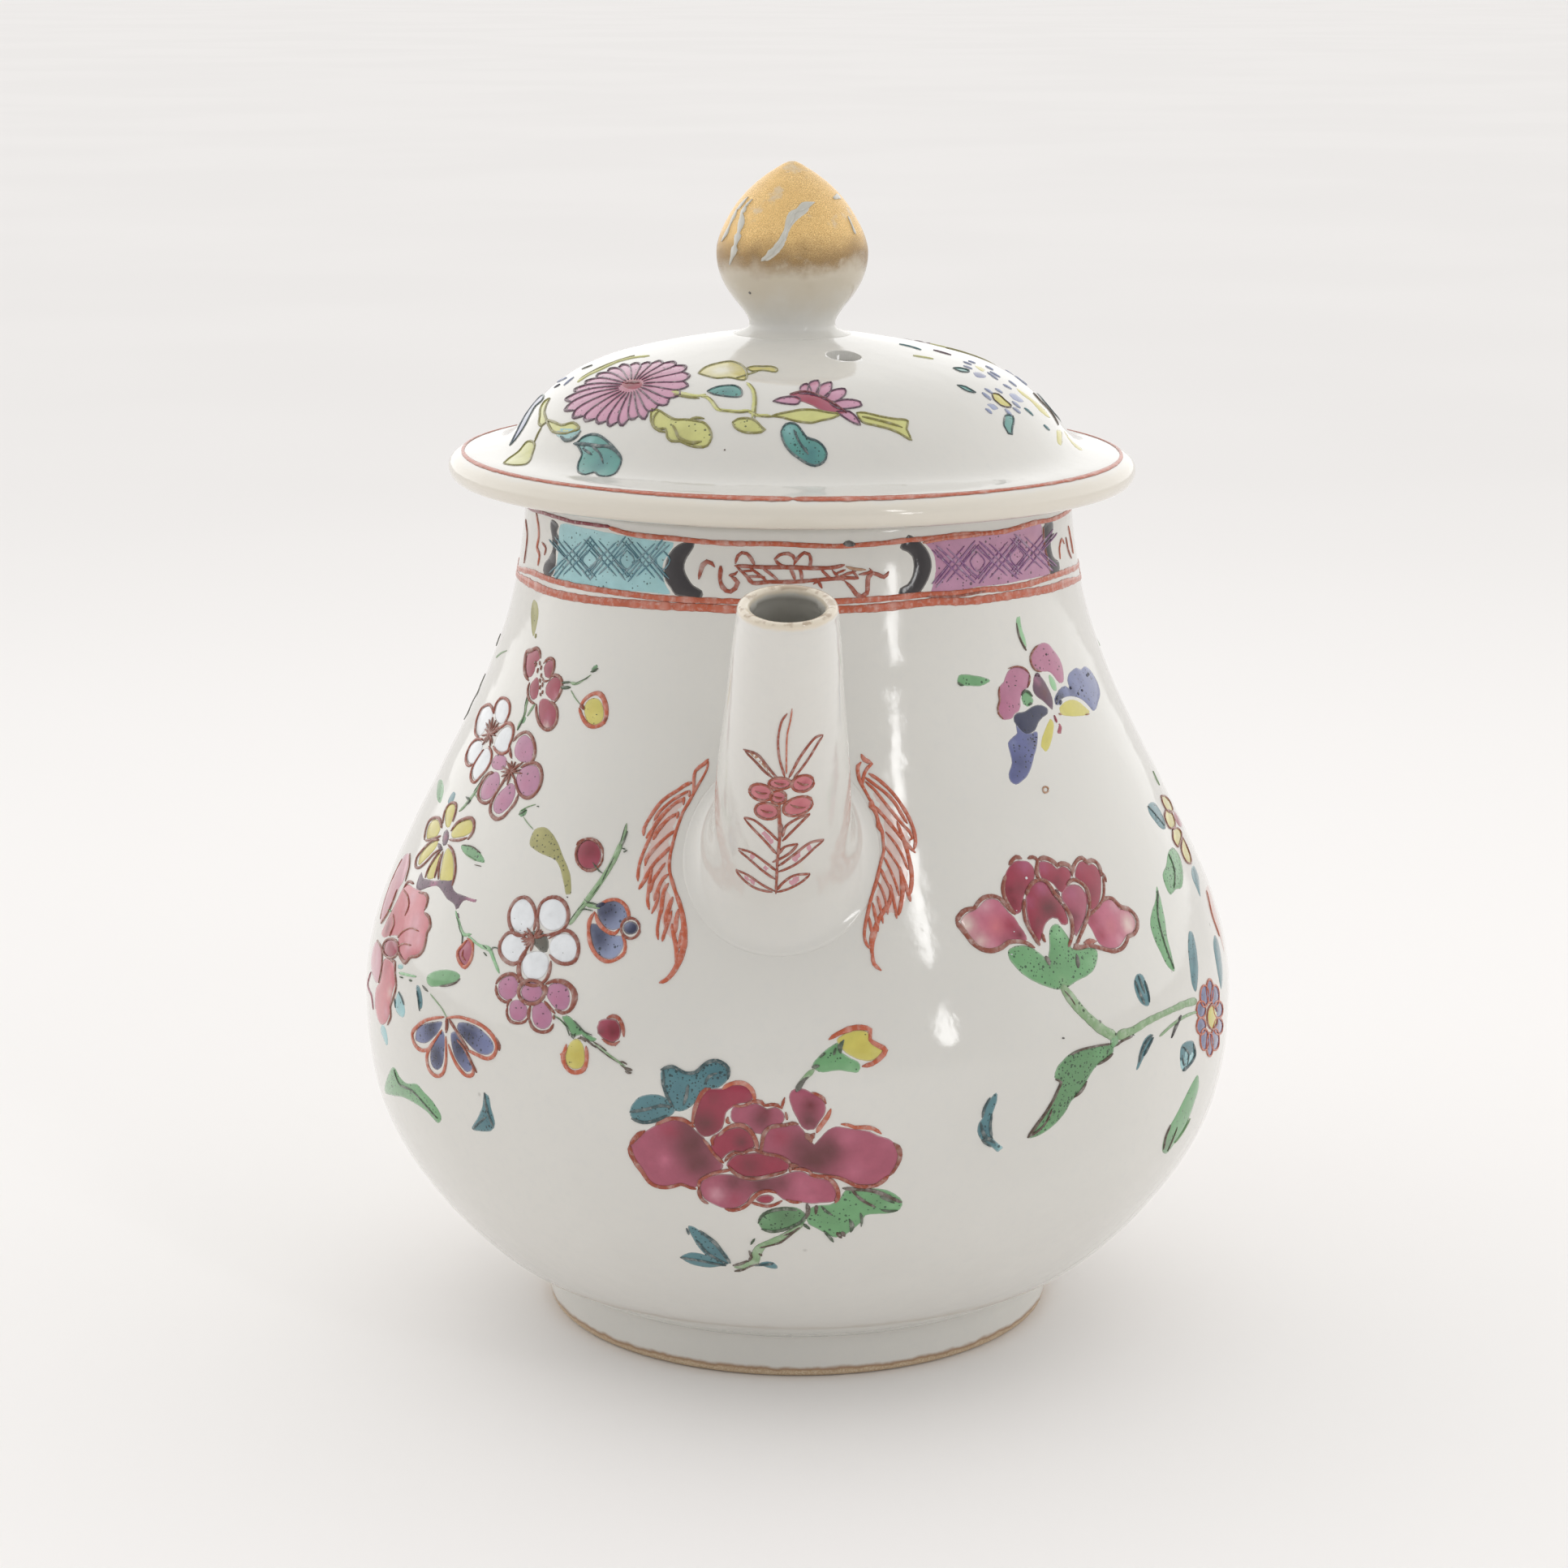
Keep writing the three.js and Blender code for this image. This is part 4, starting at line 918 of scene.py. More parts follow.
        ("S", "tealink", [(-11.325, 37.046, 0.28), (-10.756, 37.843, 0.326), (-9.784, 38.192, 0.279)], 0.11, 1),
        ("S", "tealink", [(-16.636, 37.186, 0.281), (-15.89, 35.673, 0.281), (-15.082, 34.613, 0.281)], 0.11, 1),
        ("F", "teal", [(-14.038, 22.172), (-13.214, 22.045), (-11.974, 21.162), (-10.158, 19.78), (-9.157, 17.836), (-10.532, 17.529), (-12.308, 18.589), (-13.511, 20.249)], [(-11.161, 18.885, 0.937, "tealdark", 0.6)], 0.5, 0.09),
        ("F", "teal", [(-15.887, 18.06), (-14.233, 18.853), (-12.398, 18.688), (-9.841, 17.684), (-12.103, 16.972), (-14.855, 17.288)], [], 0.35, 0.09),
        ("S", "tealink", [(-12.633, 21.701, 0.284), (-10.914, 20.44, 0.38), (-9.157, 17.836, 0.286)], 0.11, 1),
        ("S", "tealink", [(-16.003, 18.049, 0.287), (-13.555, 17.952, 0.334), (-9.768, 17.469, 0.287)], 0.11, 1),
        ("S", "tealink", [(-13.238, 20.571, 0.285), (-12.003, 19.034, 0.333), (-9.618, 17.698, 0.286)], 0.11, 1),
    ]),
    ('side_peony', 'pot', [
        ("F", "pink", [(22.019, 51.091), (23.037, 51.664), (24.085, 51.877), (25.027, 52.095), (26.091, 52.588), (27.167, 52.721), (28.365, 52.483), (29.013, 51.854), (29.565, 51.302), (30.271, 50.807), (30.729, 50.041), (31.243, 49.414), (31.441, 48.671), (30.333, 48.488), (29.044, 48.751), (27.903, 48.708), (26.798, 48.372), (25.342, 48.349), (24.247, 48.65), (23.473, 49.207), (22.948, 49.816), (22.418, 50.423)], [(22.777, 50.826, 1.081, "pale", 1), (24.403, 49.138, 0.927, "pale", 0.8), (25.959, 52.24, 0.93, "blush", 0.9), (27.216, 50.204, 1.24, "coral", 0.75), (29.479, 50.154, 1.243, "crimson", 0.95), (30.375, 49.206, 0.777, "deep", 0.9), (28.196, 48.827, 0.775, "umber", 0.5), (25.927, 48.66, 0.619, "blush", 0.7)], 0, 0.09),
        ("F", "crimson", [(29.722, 53.737), (30.382, 54.547), (31.392, 55.187), (32.596, 55.594), (34.026, 55.543), (35.078, 55.302), (35.605, 54.669), (35.336, 53.965), (34.523, 53.315), (33.443, 52.908), (32.658, 52.473), (32.022, 51.734), (31.473, 51.132), (30.711, 50.912), (30.19, 51.537), (29.604, 52.309), (29.531, 53.034)], [(34.115, 55.17, 0.939, "orchid", 0.7), (30.371, 53.108, 0.623, "deep", 0.9), (30.663, 52.001, 0.623, "deep", 0.9), (32.18, 53.167, 0.936, "umber", 0.5)], 0, 0.09),
        ("F", "crimson", [(36.799, 55.141), (37.865, 55.112), (39.061, 54.772), (39.672, 54.268), (40.723, 54.379), (41.794, 54.042), (42.046, 53.496), (41.287, 52.914), (40.306, 52.431), (39.839, 51.966), (38.672, 52.314), (38.164, 52.955), (37.24, 53.415), (36.376, 53.72), (36.289, 54.312)], [(37.265, 54.657, 0.628, "orchid", 0.8), (38.975, 53.017, 0.786, "umber", 0.6)], 0, 0.09),
        ("F", "crimson", [(42.61, 53.359), (43.461, 54.006), (44.437, 54.343), (45.475, 54.299), (46.063, 53.931), (46.792, 53.92), (47.556, 53.527), (47.838, 52.814), (47.218, 51.912), (46.209, 50.91), (44.995, 50.237), (43.771, 49.941), (43.198, 50.535), (43.278, 51.347), (43.631, 52.052), (43.065, 52.639), (42.451, 52.932)], [(44.098, 53.934, 0.633, "rose", 0.6), (44.724, 51.471, 0.95, "umber", 0.4)], 0, 0.09),
        ("F", "crimson", [(32.888, 52.379), (33.615, 52.964), (34.876, 53.427), (36.25, 53.513), (37.167, 53.057), (37.45, 52.296), (37.963, 51.654), (38.621, 50.993), (38.915, 50.222), (38.707, 49.361), (37.566, 49.416), (37.152, 49.976), (36.373, 50.134), (35.252, 49.886), (34.445, 49.386), (33.848, 48.719), (33.11, 48.286), (32.286, 48.805), (32.252, 49.607), (32.249, 50.479), (32.445, 51.477)], [(35.88, 52.893, 0.861, "orchid", 0.75), (33.174, 51.844, 0.624, "orchid", 0.5), (36.105, 50.969, 1.409, "umber", 0.95), (33.606, 49.909, 0.78, "umber", 0.6), (32.444, 49.152, 0.467, "deep", 0.9)], 0, 0.12),
        ("F", "rose", [(39.16, 52.114), (40.206, 52.516), (41.39, 52.607), (42.705, 52.383), (43.322, 51.864), (43.486, 51.173), (42.904, 50.347), (42.048, 49.557), (41.021, 48.939), (39.889, 48.335), (39.23, 47.971), (39.274, 48.557), (39.545, 49.264), (39.538, 50.004), (39.389, 50.76), (38.871, 51.408)], [(39.88, 49.816, 0.943, "umber", 0.7), (40.912, 51.92, 0.709, "orchid", 0.5), (39.38, 48.987, 0.393, "deep", 0.8)], 0, 0.12),
        ("F", "pink", [(43.716, 50.098), (45.149, 50.442), (46.692, 50.621), (48.171, 50.427), (48.886, 49.951), (49.317, 49.36), (50.687, 49.167), (51.358, 48.612), (51.621, 48.037), (51.306, 47.47), (50.104, 46.959), (48.778, 46.925), (47.777, 46.536), (46.5, 46.187), (44.879, 46.265), (43.516, 46.679), (42.893, 47.213), (42.66, 47.842), (42.435, 48.467), (41.977, 48.971), (41.308, 48.904), (41.765, 49.369), (42.825, 49.76)], [(49.942, 47.9, 1.116, "pale", 0.95), (48.269, 49.883, 0.795, "blush", 0.9), (47.14, 46.629, 0.635, "blush", 0.7), (43.14, 49.273, 0.947, "crimson", 0.9), (43.839, 47.688, 0.947, "crimson", 0.85), (46.155, 48.129, 0.792, "coral", 0.7)], 0, 0.09),
        ("S", "brown", [(21.415, 51.059, 0.612), (22.186, 51.65, 0.518), (23.149, 52.013, 0.519), (24.397, 52.069, 0.425), (25.178, 52.512, 0.425), (26.198, 52.866, 0.426), (27.503, 52.91, 0.426), (28.677, 52.601, 0.427), (29.228, 52.052, 0.427), (29.78, 51.5, 0.379), (30.487, 51.004, 0.332)], 0.075, 1),
        ("S", "brown", [(21.415, 51.059, 0.612), (21.973, 50.524, 0.518), (22.505, 49.918, 0.518), (23.127, 49.233, 0.518), (23.9, 48.676, 0.518), (24.97, 48.308, 0.565), (26.137, 48.213, 0.519), (27.417, 48.391, 0.472), (28.532, 48.725, 0.473), (29.653, 48.695, 0.379), (30.855, 48.51, 0.427), (31.73, 48.135, 0.379), (32.264, 47.863, 0.332)], 0.075, 1),
        ("S", "brown", [(31.461, 55.326, 0.428), (32.219, 55.698, 0.429), (33.056, 55.919, 0.477), (33.962, 55.694, 0.382)], 0.075, 1),
        ("S", "brown", [(30.514, 54.536, 0.333), (29.722, 53.737, 0.475), (29.402, 53.045, 0.474), (29.573, 52.239, 0.427), (30.033, 51.478, 0.427), (30.487, 51.004, 0.332)], 0.075, 1),
        ("S", "brown", [(34.952, 55.606, 0.382), (35.893, 55.667, 0.43), (36.594, 55.308, 0.431), (36.031, 54.629, 0.478), (35.756, 53.925, 0.478), (36.11, 53.527, 0.382)], 0.075, 1),
        ("S", "brown", [(36.594, 55.308, 0.431), (37.895, 55.403, 0.479), (39.098, 55.063, 0.48), (39.762, 54.627, 0.432), (39.87, 54.321, 0.384)], 0.075, 1),
        ("S", "brown", [(39.666, 54.489, 0.432), (40.872, 54.585, 0.481), (42.002, 54.316, 0.433), (42.36, 53.906, 0.385), (42.045, 53.274, 0.289)], 0.075, 1),
        ("S", "brown", [(42.148, 53.411, 0.433), (42.778, 54.008, 0.434), (44.065, 54.535, 0.435), (45.215, 54.629, 0.484), (45.912, 54.174, 0.436), (47.041, 54.191, 0.436), (47.874, 53.865, 0.437), (48.111, 53.308, 0.437), (47.82, 52.59, 0.388)], 0.075, 1),
        ("S", "brown", [(47.963, 52.949, 0.34), (48.393, 52.594, 0.388), (48.405, 51.987, 0.291)], 0.075, 1),
        ("S", "brown", [(48.159, 52.548, 0.34), (47.424, 51.508, 0.339), (46.639, 50.779, 0.339), (45.309, 50.197, 0.338), (43.874, 49.854, 0.386), (42.537, 49.572, 0.385)], 0.075, 1),
        ("S", "brown", [(32.959, 52.518, 0.428), (33.652, 53.033, 0.429), (34.601, 53.453, 0.429), (35.871, 53.623, 0.382), (36.913, 53.375, 0.431), (37.463, 52.807, 0.431), (37.831, 52.182, 0.479), (38.429, 51.678, 0.479), (38.562, 51.147, 0.383)], 0.13, 1),
        ("S", "brown", [(32.52, 52.196, 0.381), (31.924, 51.235, 0.38), (31.801, 50.376, 0.38), (31.964, 49.852, 0.332), (32.253, 49.316, 0.38), (32.634, 48.698, 0.427), (33.11, 47.995, 0.428)], 0.13, 1),
        ("S", "brown", [(33.982, 48.997, 0.333), (33.973, 48.415, 0.381), (34.131, 48.179, 0.285)], 0.1, 1),
        ("S", "brown", [(38.703, 51.132, 0.383), (39.221, 50.483, 0.431), (39.429, 49.573, 0.431), (39.077, 48.728, 0.431), (38.583, 48.122, 0.383), (37.594, 47.352, 0.382)], 0.13, 1),
        ("S", "brown", [(40.495, 52.706, 0.336), (41.993, 52.984, 0.433), (43.065, 52.639, 0.385), (43.838, 52.102, 0.434), (43.945, 51.342, 0.434), (43.454, 50.429, 0.385), (42.583, 49.641, 0.385), (41.453, 48.887, 0.384), (40.227, 48.146, 0.383), (39.058, 47.399, 0.431)], 0.13, 1),
        ("S", "umber", [(38.187, 52.512, 0.383), (38.513, 51.816, 0.383)], 0.13, 1),
        ("S", "brown", [(45.834, 50.43, 0.387), (47.072, 50.647, 0.436), (48.396, 50.473, 0.437), (49.055, 49.928, 0.486), (49.776, 49.448, 0.486), (51.036, 49.117, 0.487), (51.888, 48.534, 0.488), (52.088, 47.891, 0.488), (51.535, 47.282, 0.439), (50.387, 46.84, 0.438), (49.055, 46.808, 0.388), (48.422, 46.442, 0.436), (47.24, 46.004, 0.484), (45.51, 45.948, 0.483), (43.94, 46.32, 0.433), (42.599, 46.727, 0.481), (41.247, 47.052, 0.384), (39.77, 47.089, 0.431), (38.365, 47.187, 0.43)], 0.075, 1),
        ("S", "iron", [(40.382, 47.385, 0.288), (41.594, 47.381, 0.576), (42.747, 47.232, 0.288)], 0.075, 1),
        ("S", "brown", [(38.648, 47.449, 0.669), (39.456, 47.054, 0.67)], 0.12, 1),
        ("F", "green", [(28.124, 47.969), (28.975, 48.253), (30.739, 48.232), (32.204, 47.724), (33.123, 47.118), (33.79, 46.826), (34.48, 47.484), (34.877, 48.319), (35.224, 49.012), (36.041, 49.51), (37.021, 49.477), (37.666, 48.817), (38.195, 47.946), (38.095, 47.219), (39.382, 46.914), (41.554, 46.789), (42.398, 46.377), (42.019, 45.674), (41.038, 44.9), (39.678, 44.477), (37.891, 44.258), (35.549, 43.801), (34.265, 43.881), (32.629, 44.368), (30.848, 45.08), (29.592, 45.797), (28.634, 46.62), (28.113, 47.249)], [(29.761, 47.021, 0.931, "green", 0.6), (34.572, 46.15, 1.247, "leaf", 0.6), (36.476, 48.73, 0.704, "mint", 0.6), (40.923, 45.594, 0.629, "mint", 0.5), (29.831, 45.773, 0.775, "mint", 0.4), (35.449, 44.262, 0.702, "sage", 0.6)], 0.5, 0.11),
        ("S", "ash", [(38.622, 46.562, 0.43), (38.454, 45.911, 0.526), (38.335, 45.328, 0.573)], 0.13, 1),
        ("S", "sepia", [(33.597, 46.994, 0.38), (33.8, 46.531, 0.475), (33.882, 46.08, 0.19)], 0.13, 1),
        ("S", "white", [(33.562, 53.984, 0.519), (33.905, 53.938, 0.519)], 0.15, 1),
        ("S", "white", [(30.69, 51.348, 0.242), (30.837, 51.32, 0.242)], 0.15, 1),
        ("S", "white", [(28.395, 47.656, 0.354), (28.6, 47.623, 0.354)], 0.14, 1),
        ("S", "white", [(29.545, 49.571, 0.258), (29.697, 49.543, 0.258)], 0.14, 1),
    ]),
    ('side_peony_branch', 'pot', [
        ("S", "sage", [(35.144, 44.149, 1.047), (36.061, 42.987, 1.048), (37.243, 41.699, 1.145), (38.904, 40.316, 1.052), (40.744, 39.104, 1.055), (42.9, 38.128, 1.155)], 0.07, 1),
        ("S", "sage", [(42.768, 38.229, 1.154), (45.856, 38.274, 0.87), (49.28, 38.64, 0.777), (54.014, 38.741, 0.686), (58.372, 38.634, 0.79), (61.835, 38.266, 0.795)], 0.07, 1),
        ("S", "green", [(42.926, 38.283, 1.155), (41.901, 37.332, 1.441)], 0.08, 1),
        ("S", "greenink", [(37.509, 41.511, 0.649), (37.922, 41.44, 0.649)], 0.12, 1),
        ("S", "greenink", [(37.122, 42.247, 0.486), (37.428, 42.191, 0.487)], 0.12, 1),
        ("S", "greenink", [(37.465, 41.974, 0.405), (37.72, 41.924, 0.406)], 0.12, 1),
        ("S", "greenink", [(38.733, 40.728, 0.406), (38.995, 40.675, 0.406)], 0.12, 1),
        ("S", "greenink", [(40.082, 40.066, 0.456), (40.385, 40.006, 0.456)], 0.12, 1),
        ("S", "greenink", [(40.895, 39.002, 0.326), (41.115, 38.952, 0.326)], 0.12, 1),
        ("S", "greenink", [(41.257, 38.787, 0.408), (41.535, 38.728, 0.408)], 0.12, 1),
        ("S", "greenink", [(42.491, 38.513, 0.49), (42.834, 38.441, 0.491)], 0.12, 1),
        ("S", "greenink", [(45.949, 38.578, 0.329), (46.194, 38.52, 0.329)], 0.12, 1),
        ("S", "greenink", [(45.804, 37.881, 0.361), (46.075, 37.818, 0.362)], 0.12, 1),
        ("S", "greenink", [(44.608, 38.165, 0.328), (44.847, 38.109, 0.328)], 0.12, 1),
        ("S", "greenink", [(36.035, 43.966, 0.324), (36.235, 43.926, 0.324)], 0.12, 1),
        ("S", "sepia", [(42.187, 37.285, 0.192), (44.188, 37.675, 0.241), (45.759, 37.728, 0.193)], 0.11, 1),
        ("S", "sepia", [(35.245, 43.688, 0.19), (36.036, 42.915, 0.19), (36.667, 42.004, 0.191)], 0.1, 1),
        ("F", "leaf", [(42.064, 37.465), (40.252, 37.834), (37.802, 37.969), (35.427, 37.839), (33.851, 37.268), (32.811, 36.618), (32.401, 35.717), (33.248, 35.197), (33.006, 34.5), (32.301, 33.619), (31.625, 32.563), (30.596, 31.716), (29.357, 30.808), (28.592, 30.16), (29.883, 30.068), (31.513, 30.507), (32.926, 31.133), (34.234, 32.015), (35.062, 32.965), (36.441, 33.659), (37.329, 34.506), (38.399, 35.478), (39.798, 36.145), (41.225, 36.398), (42.132, 36.813)], [(35.66, 36.057, 1.563, "leaf", 0.5), (32.55, 36.336, 0.623, "mint", 0.5), (30.877, 31.014, 1.091, "green", 0.8), (39.736, 37.038, 0.942, "green", 0.7)], 0.85, 0.1),
        ("S", "sepia", [(41.801, 37.668, 0.24), (39.142, 37.847, 0.191), (36.464, 37.849, 0.238), (34.89, 37.598, 0.19)], 0.1, 1),
        ("S", "sepia", [(32.518, 35.54, 0.19), (33.371, 35.179, 0.285), (32.884, 34.436, 0.285), (32.185, 33.471, 0.285), (31.155, 32.381, 0.333), (29.911, 31.313, 0.332), (28.709, 30.145, 0.38)], 0.11, 1),
        ("S", "sepia", [(37.459, 34.649, 0.191), (36.565, 33.804, 0.334), (35.426, 33.322, 0.239)], 0.11, 1),
        ("S", "sepia", [(41.972, 36.678, 0.288), (40.791, 36.307, 0.336), (39.236, 35.993, 0.239)], 0.11, 1),
        ("S", "sepia", [(28.93, 30.282, 0.285), (30.3, 30.762, 0.238), (31.438, 31.598, 0.238), (32.103, 32.66, 0.238)], 0.11, 1),
        ("F", "teal", [(47.653, 42.55), (48.761, 43.305), (49.869, 43.049), (50.18, 41.982), (50.358, 40.848), (49.869, 40.059), (48.568, 40.363), (47.734, 41.29)], [(48.411, 41.648, 0.556, "teal", 0.5)], 0.2, 0.09),
        ("S", "tealink", [(48.842, 43.136, 0.243), (49.022, 42.173, 0.291), (49.32, 41.341, 0.243)], 0.11, 1),
        ("S", "tealink", [(49.914, 42.495, 0.194), (50.053, 41.374, 0.243), (49.978, 40.358, 0.243)], 0.11, 1),
        ("S", "tealink", [(47.963, 42.811, 0.242), (48.25, 41.675, 0.291), (48.922, 40.381, 0.291)], 0.11, 1),
        ("F", "teal", [(46.63, 35.05), (46.995, 35.969), (47.745, 36.812), (48.832, 37.265), (49.879, 37.235), (49.592, 36.473), (48.482, 35.696), (47.617, 35.033), (46.646, 34.219), (46.165, 34.142)], [(47.648, 35.85, 0.636, "tealdark", 0.7)], 0.2, 0.09),
        ("S", "tealink", [(46.793, 34.938, 0.339), (47.32, 35.91, 0.291), (48.416, 36.771, 0.291), (49.866, 37.156, 0.292)], 0.11, 1),
        ("S", "tealink", [(47.792, 35.413, 0.291), (49.051, 36.328, 0.292), (50.002, 36.887, 0.195)], 0.11, 1),
        ("S", "black", [(54.065, 36.023, 0.196), (55.222, 36.868, 0.393), (56.948, 37.763, 0.345)], 0.1, 1),
        ("F", "turquoise", [(56.454, 33.094), (56.573, 34.087), (57.676, 34.615), (59.355, 34.511), (60.45, 33.594), (60.584, 32.709), (59.412, 32.111), (57.784, 31.784), (56.782, 32.343)], [(57.82, 33.057, 0.568, "teal", 0.8)], 0.3, 0.09),
        ("S", "tealink", [(60.131, 34.174, 0.248), (60.828, 32.826, 0.348), (59.155, 32.168, 0.347), (57.291, 31.977, 0.494)], 0.11, 1),
        ("S", "tealink", [(56.858, 33.433, 0.247), (57.445, 32.456, 0.297)], 0.11, 1),
        ("F", "green", [(62.461, 30.392), (63.39, 28.782), (62.745, 27.349), (61.82, 25.794), (60.235, 24.382), (58.462, 23.538), (57.312, 22.989), (55.27, 23.751), (54.75, 25.136), (55.433, 26.225), (57.041, 27.447), (58.797, 28.799), (60.45, 29.812)], [(56.208, 24.257, 0.977, "ash", 0.5), (59.68, 27.013, 0.981, "leaf", 0.4)], 0.15, 0.09),
        ("S", "sepia", [(55.363, 23.911, 0.347), (55.002, 25.435, 0.297), (55.719, 26.514, 0.297)], 0.11, 1),
        ("S", "sepia", [(56.966, 23.348, 0.349), (57.388, 24.521, 0.299), (57.924, 25.827, 0.249)], 0.11, 1),
        ("S", "sage", [(58.661, 23.855, 0.2), (60.371, 24.529, 0.25), (62.169, 25.71, 0.201)], 0.11, 1),
        ("F", "teal", [(24.251, 35.349), (24.362, 34.533), (23.845, 33.371), (23.561, 32.175), (23.724, 30.923), (24.652, 30.069), (25.475, 29.467), (24.84, 29.122), (23.565, 29.943), (22.445, 30.565), (21.755, 31.627), (21.939, 32.428), (22.352, 32.876), (22.646, 33.824), (23.383, 34.718)], [(22.722, 31.527, 0.773, "tealdark", 0.7), (24.907, 29.62, 0.465, "turquoise", 0.8)], 0.35, 0.09),
        ("S", "tealink", [(23.382, 34.879, 0.188), (22.644, 33.905, 0.282), (22.349, 32.958, 0.235)], 0.1, 1),
        ("S", "tealink", [(23.632, 33.231, 0.236), (23.462, 31.94, 0.283), (23.733, 30.756, 0.236)], 0.1, 1),
        ("S", "tealink", [(22.151, 32.488, 0.282), (22.51, 31.467, 0.33), (23.082, 30.745, 0.425), (23.842, 30.744, 0.283)], 0.11, 1),
        ("S", "tealink", [(22.333, 30.66, 0.33), (23.196, 30.65, 0.33), (24.203, 30.205, 0.283)], 0.11, 1),
        ("S", "tealink", [(22.445, 30.565, 0.236), (23.681, 29.846, 0.236)], 0.1, 1),
        ("S", "black", [(33.969, 39.367, 0.452), (34.243, 39.316, 0.452)], 0.1, 1),
    ]),
    ('iris', 'pot', [
        ("F", "mauve", [(42.523, 72.495), (44.251, 72.574), (46.107, 72.235), (47.144, 71.62), (46.629, 71.065), (45.602, 70.432), (44.028, 70.139), (43.115, 69.56), (42.7, 68.886), (42.069, 68.523), (40.855, 68.321), (40.204, 68.019), (38.968, 67.935), (37.722, 68.024), (37.12, 68.706), (37.238, 69.163), (38.051, 69.807), (38.243, 70.378), (38.791, 71.042), (40.096, 71.423), (41.119, 72.059)], [(38.845, 69.169, 1.095, "orchid", 0.5)], 0.1, 0.09),
        ("F", "mauve", [(48.791, 73.411), (49.771, 73.698), (51.244, 74.068), (53.873, 74.165), (55.423, 73.856), (56.476, 73.218), (57.509, 72.58), (58.09, 71.796), (57.808, 70.967), (56.722, 70.093), (55.156, 70.113), (54.175, 70.804), (53.209, 71.309), (50.802, 71.569), (48.912, 71.84), (48.3, 72.487), (48.366, 73.082)], [(53.174, 72.823, 1.112, "orchid", 0.4)], 0.1, 0.09),
        ("F", "plum", [(48.629, 71.504), (49.693, 71.419), (50.729, 70.855), (51.363, 70.083), (51.765, 69.089), (51.147, 68.186), (50.701, 67.807), (49.976, 68.229), (48.769, 68.929), (47.427, 69.457), (46.897, 70.093), (47.547, 70.874)], [(48.499, 70.917, 0.492, "mauve", 0.7), (49.764, 69.62, 0.739, "umber", 0.8)], 0.0, 0.09),
        ("F", "mint", [(52.655, 71.175), (53.722, 70.782), (54.104, 70.146), (53.523, 69.414), (52.671, 69.586), (52.211, 70.13)], [], 0.1, 0.09),
        ("F", "green", [(43.789, 70.039), (44.929, 70.224), (45.952, 69.789), (46.52, 69.293), (45.632, 68.868), (44.301, 68.738), (43.45, 69.04), (43.36, 69.541)], [(44.823, 69.428, 0.367, "leaf", 0.5)], 0.5, 0.09),
        ("F", "navy", [(40.405, 68.098), (41.366, 68.4), (43.242, 68.397), (45.411, 68.673), (47.17, 68.73), (48.734, 68.48), (49.702, 68.015), (49.027, 67.681), (47.481, 67.459), (45.991, 67.114), (44.876, 66.573), (43.562, 66.331), (42.262, 66.251), (41.313, 66.594), (40.573, 67.233), (40.141, 67.697)], [(47.479, 68.265, 0.614, "navy", 0.5)], 0.2, 0.09),
        ("F", "blue", [(40.44, 67.476), (41.68, 66.681), (43.58, 66.353), (45.104, 66.46), (44.687, 65.794), (43.639, 64.952), (42.433, 64.245), (41.189, 63.428), (39.817, 62.739), (38.145, 62.306), (36.838, 62.127), (35.909, 62.484), (35.958, 63.162), (37.234, 64.09), (37.461, 65.216), (37.59, 65.895), (39.091, 66.359), (40.205, 66.622)], [(39.046, 63.949, 0.972, "navy", 0.5), (37.186, 62.839, 0.606, "navy", 0.35), (43.239, 65.567, 0.611, "ash", 0.5), (38.633, 65.702, 0.486, "sky", 0.35), (41.024, 67.024, 0.488, "slate", 0.5)], 0.25, 0.09),
        ("F", "slate", [(52.08, 68.222), (52.091, 68.821), (53.406, 69.304), (55.055, 69.639), (56.95, 69.708), (57.876, 69.501), (58.145, 70.084), (59.314, 70.586), (60.945, 70.802), (63.378, 70.88), (64.727, 70.565), (67.263, 70.628), (69.051, 70.199), (70.439, 69.367), (71.121, 68.415), (70.358, 67.617), (67.732, 67.027), (65.325, 66.543), (63.75, 66.527), (62.926, 67.044), (61.392, 67.815), (59.497, 68.31), (56.581, 68.651), (53.839, 68.543), (52.811, 68.156)], [(54.198, 68.872, 0.866, "navy", 0.95), (58.536, 69.073, 0.747, "navy", 0.6), (62.768, 70.137, 0.876, "blue", 0.7), (65.808, 67.606, 0.754, "slate", 0.5)], 0.2, 0.09),
        ("F", "yellow", [(52.467, 67.827), (54.362, 68.254), (57.138, 68.355), (59.567, 67.998), (61.202, 67.344), (62.684, 66.578), (61.308, 66.416), (57.637, 66.609), (54.511, 66.916), (52.547, 67.34)], [(53.028, 67.416, 0.494, "straw", 0.6)], 0, 0.07),
        ("F", "yellow", [(49.434, 67.265), (50.012, 66.738), (48.964, 65.887), (47.723, 65.176), (46.476, 64.587), (45.331, 64.398), (44.555, 64.757), (45.238, 65.513), (46.794, 66.315), (48.461, 66.995)], [(47.845, 65.987, 0.491, "gold", 0.4)], 0, 0.07),
        ("F", "crimson", [(50.576, 66.568), (51.469, 66.628), (52.008, 66.316), (51.232, 65.795), (50.744, 65.426), (49.984, 65.498), (49.893, 65.92), (50.571, 66.212)], [], 0, 0.08),
        ("S", "crimson", [(50.622, 67.421, 0.18), (50.67, 67.094, 0.361), (50.712, 66.698, 0.301)], 0.075, 1),
        ("F", "green", [(29.6, 72.171), (30.316, 72.633), (31.817, 72.634), (33.951, 72.397), (35.824, 72.11), (37.24, 71.729), (36.095, 71.509), (34.578, 71.346), (32.421, 71.496), (30.34, 71.692)], [(33.468, 71.959, 0.606, "leaf", 0.4)], 0.25, 0.09),
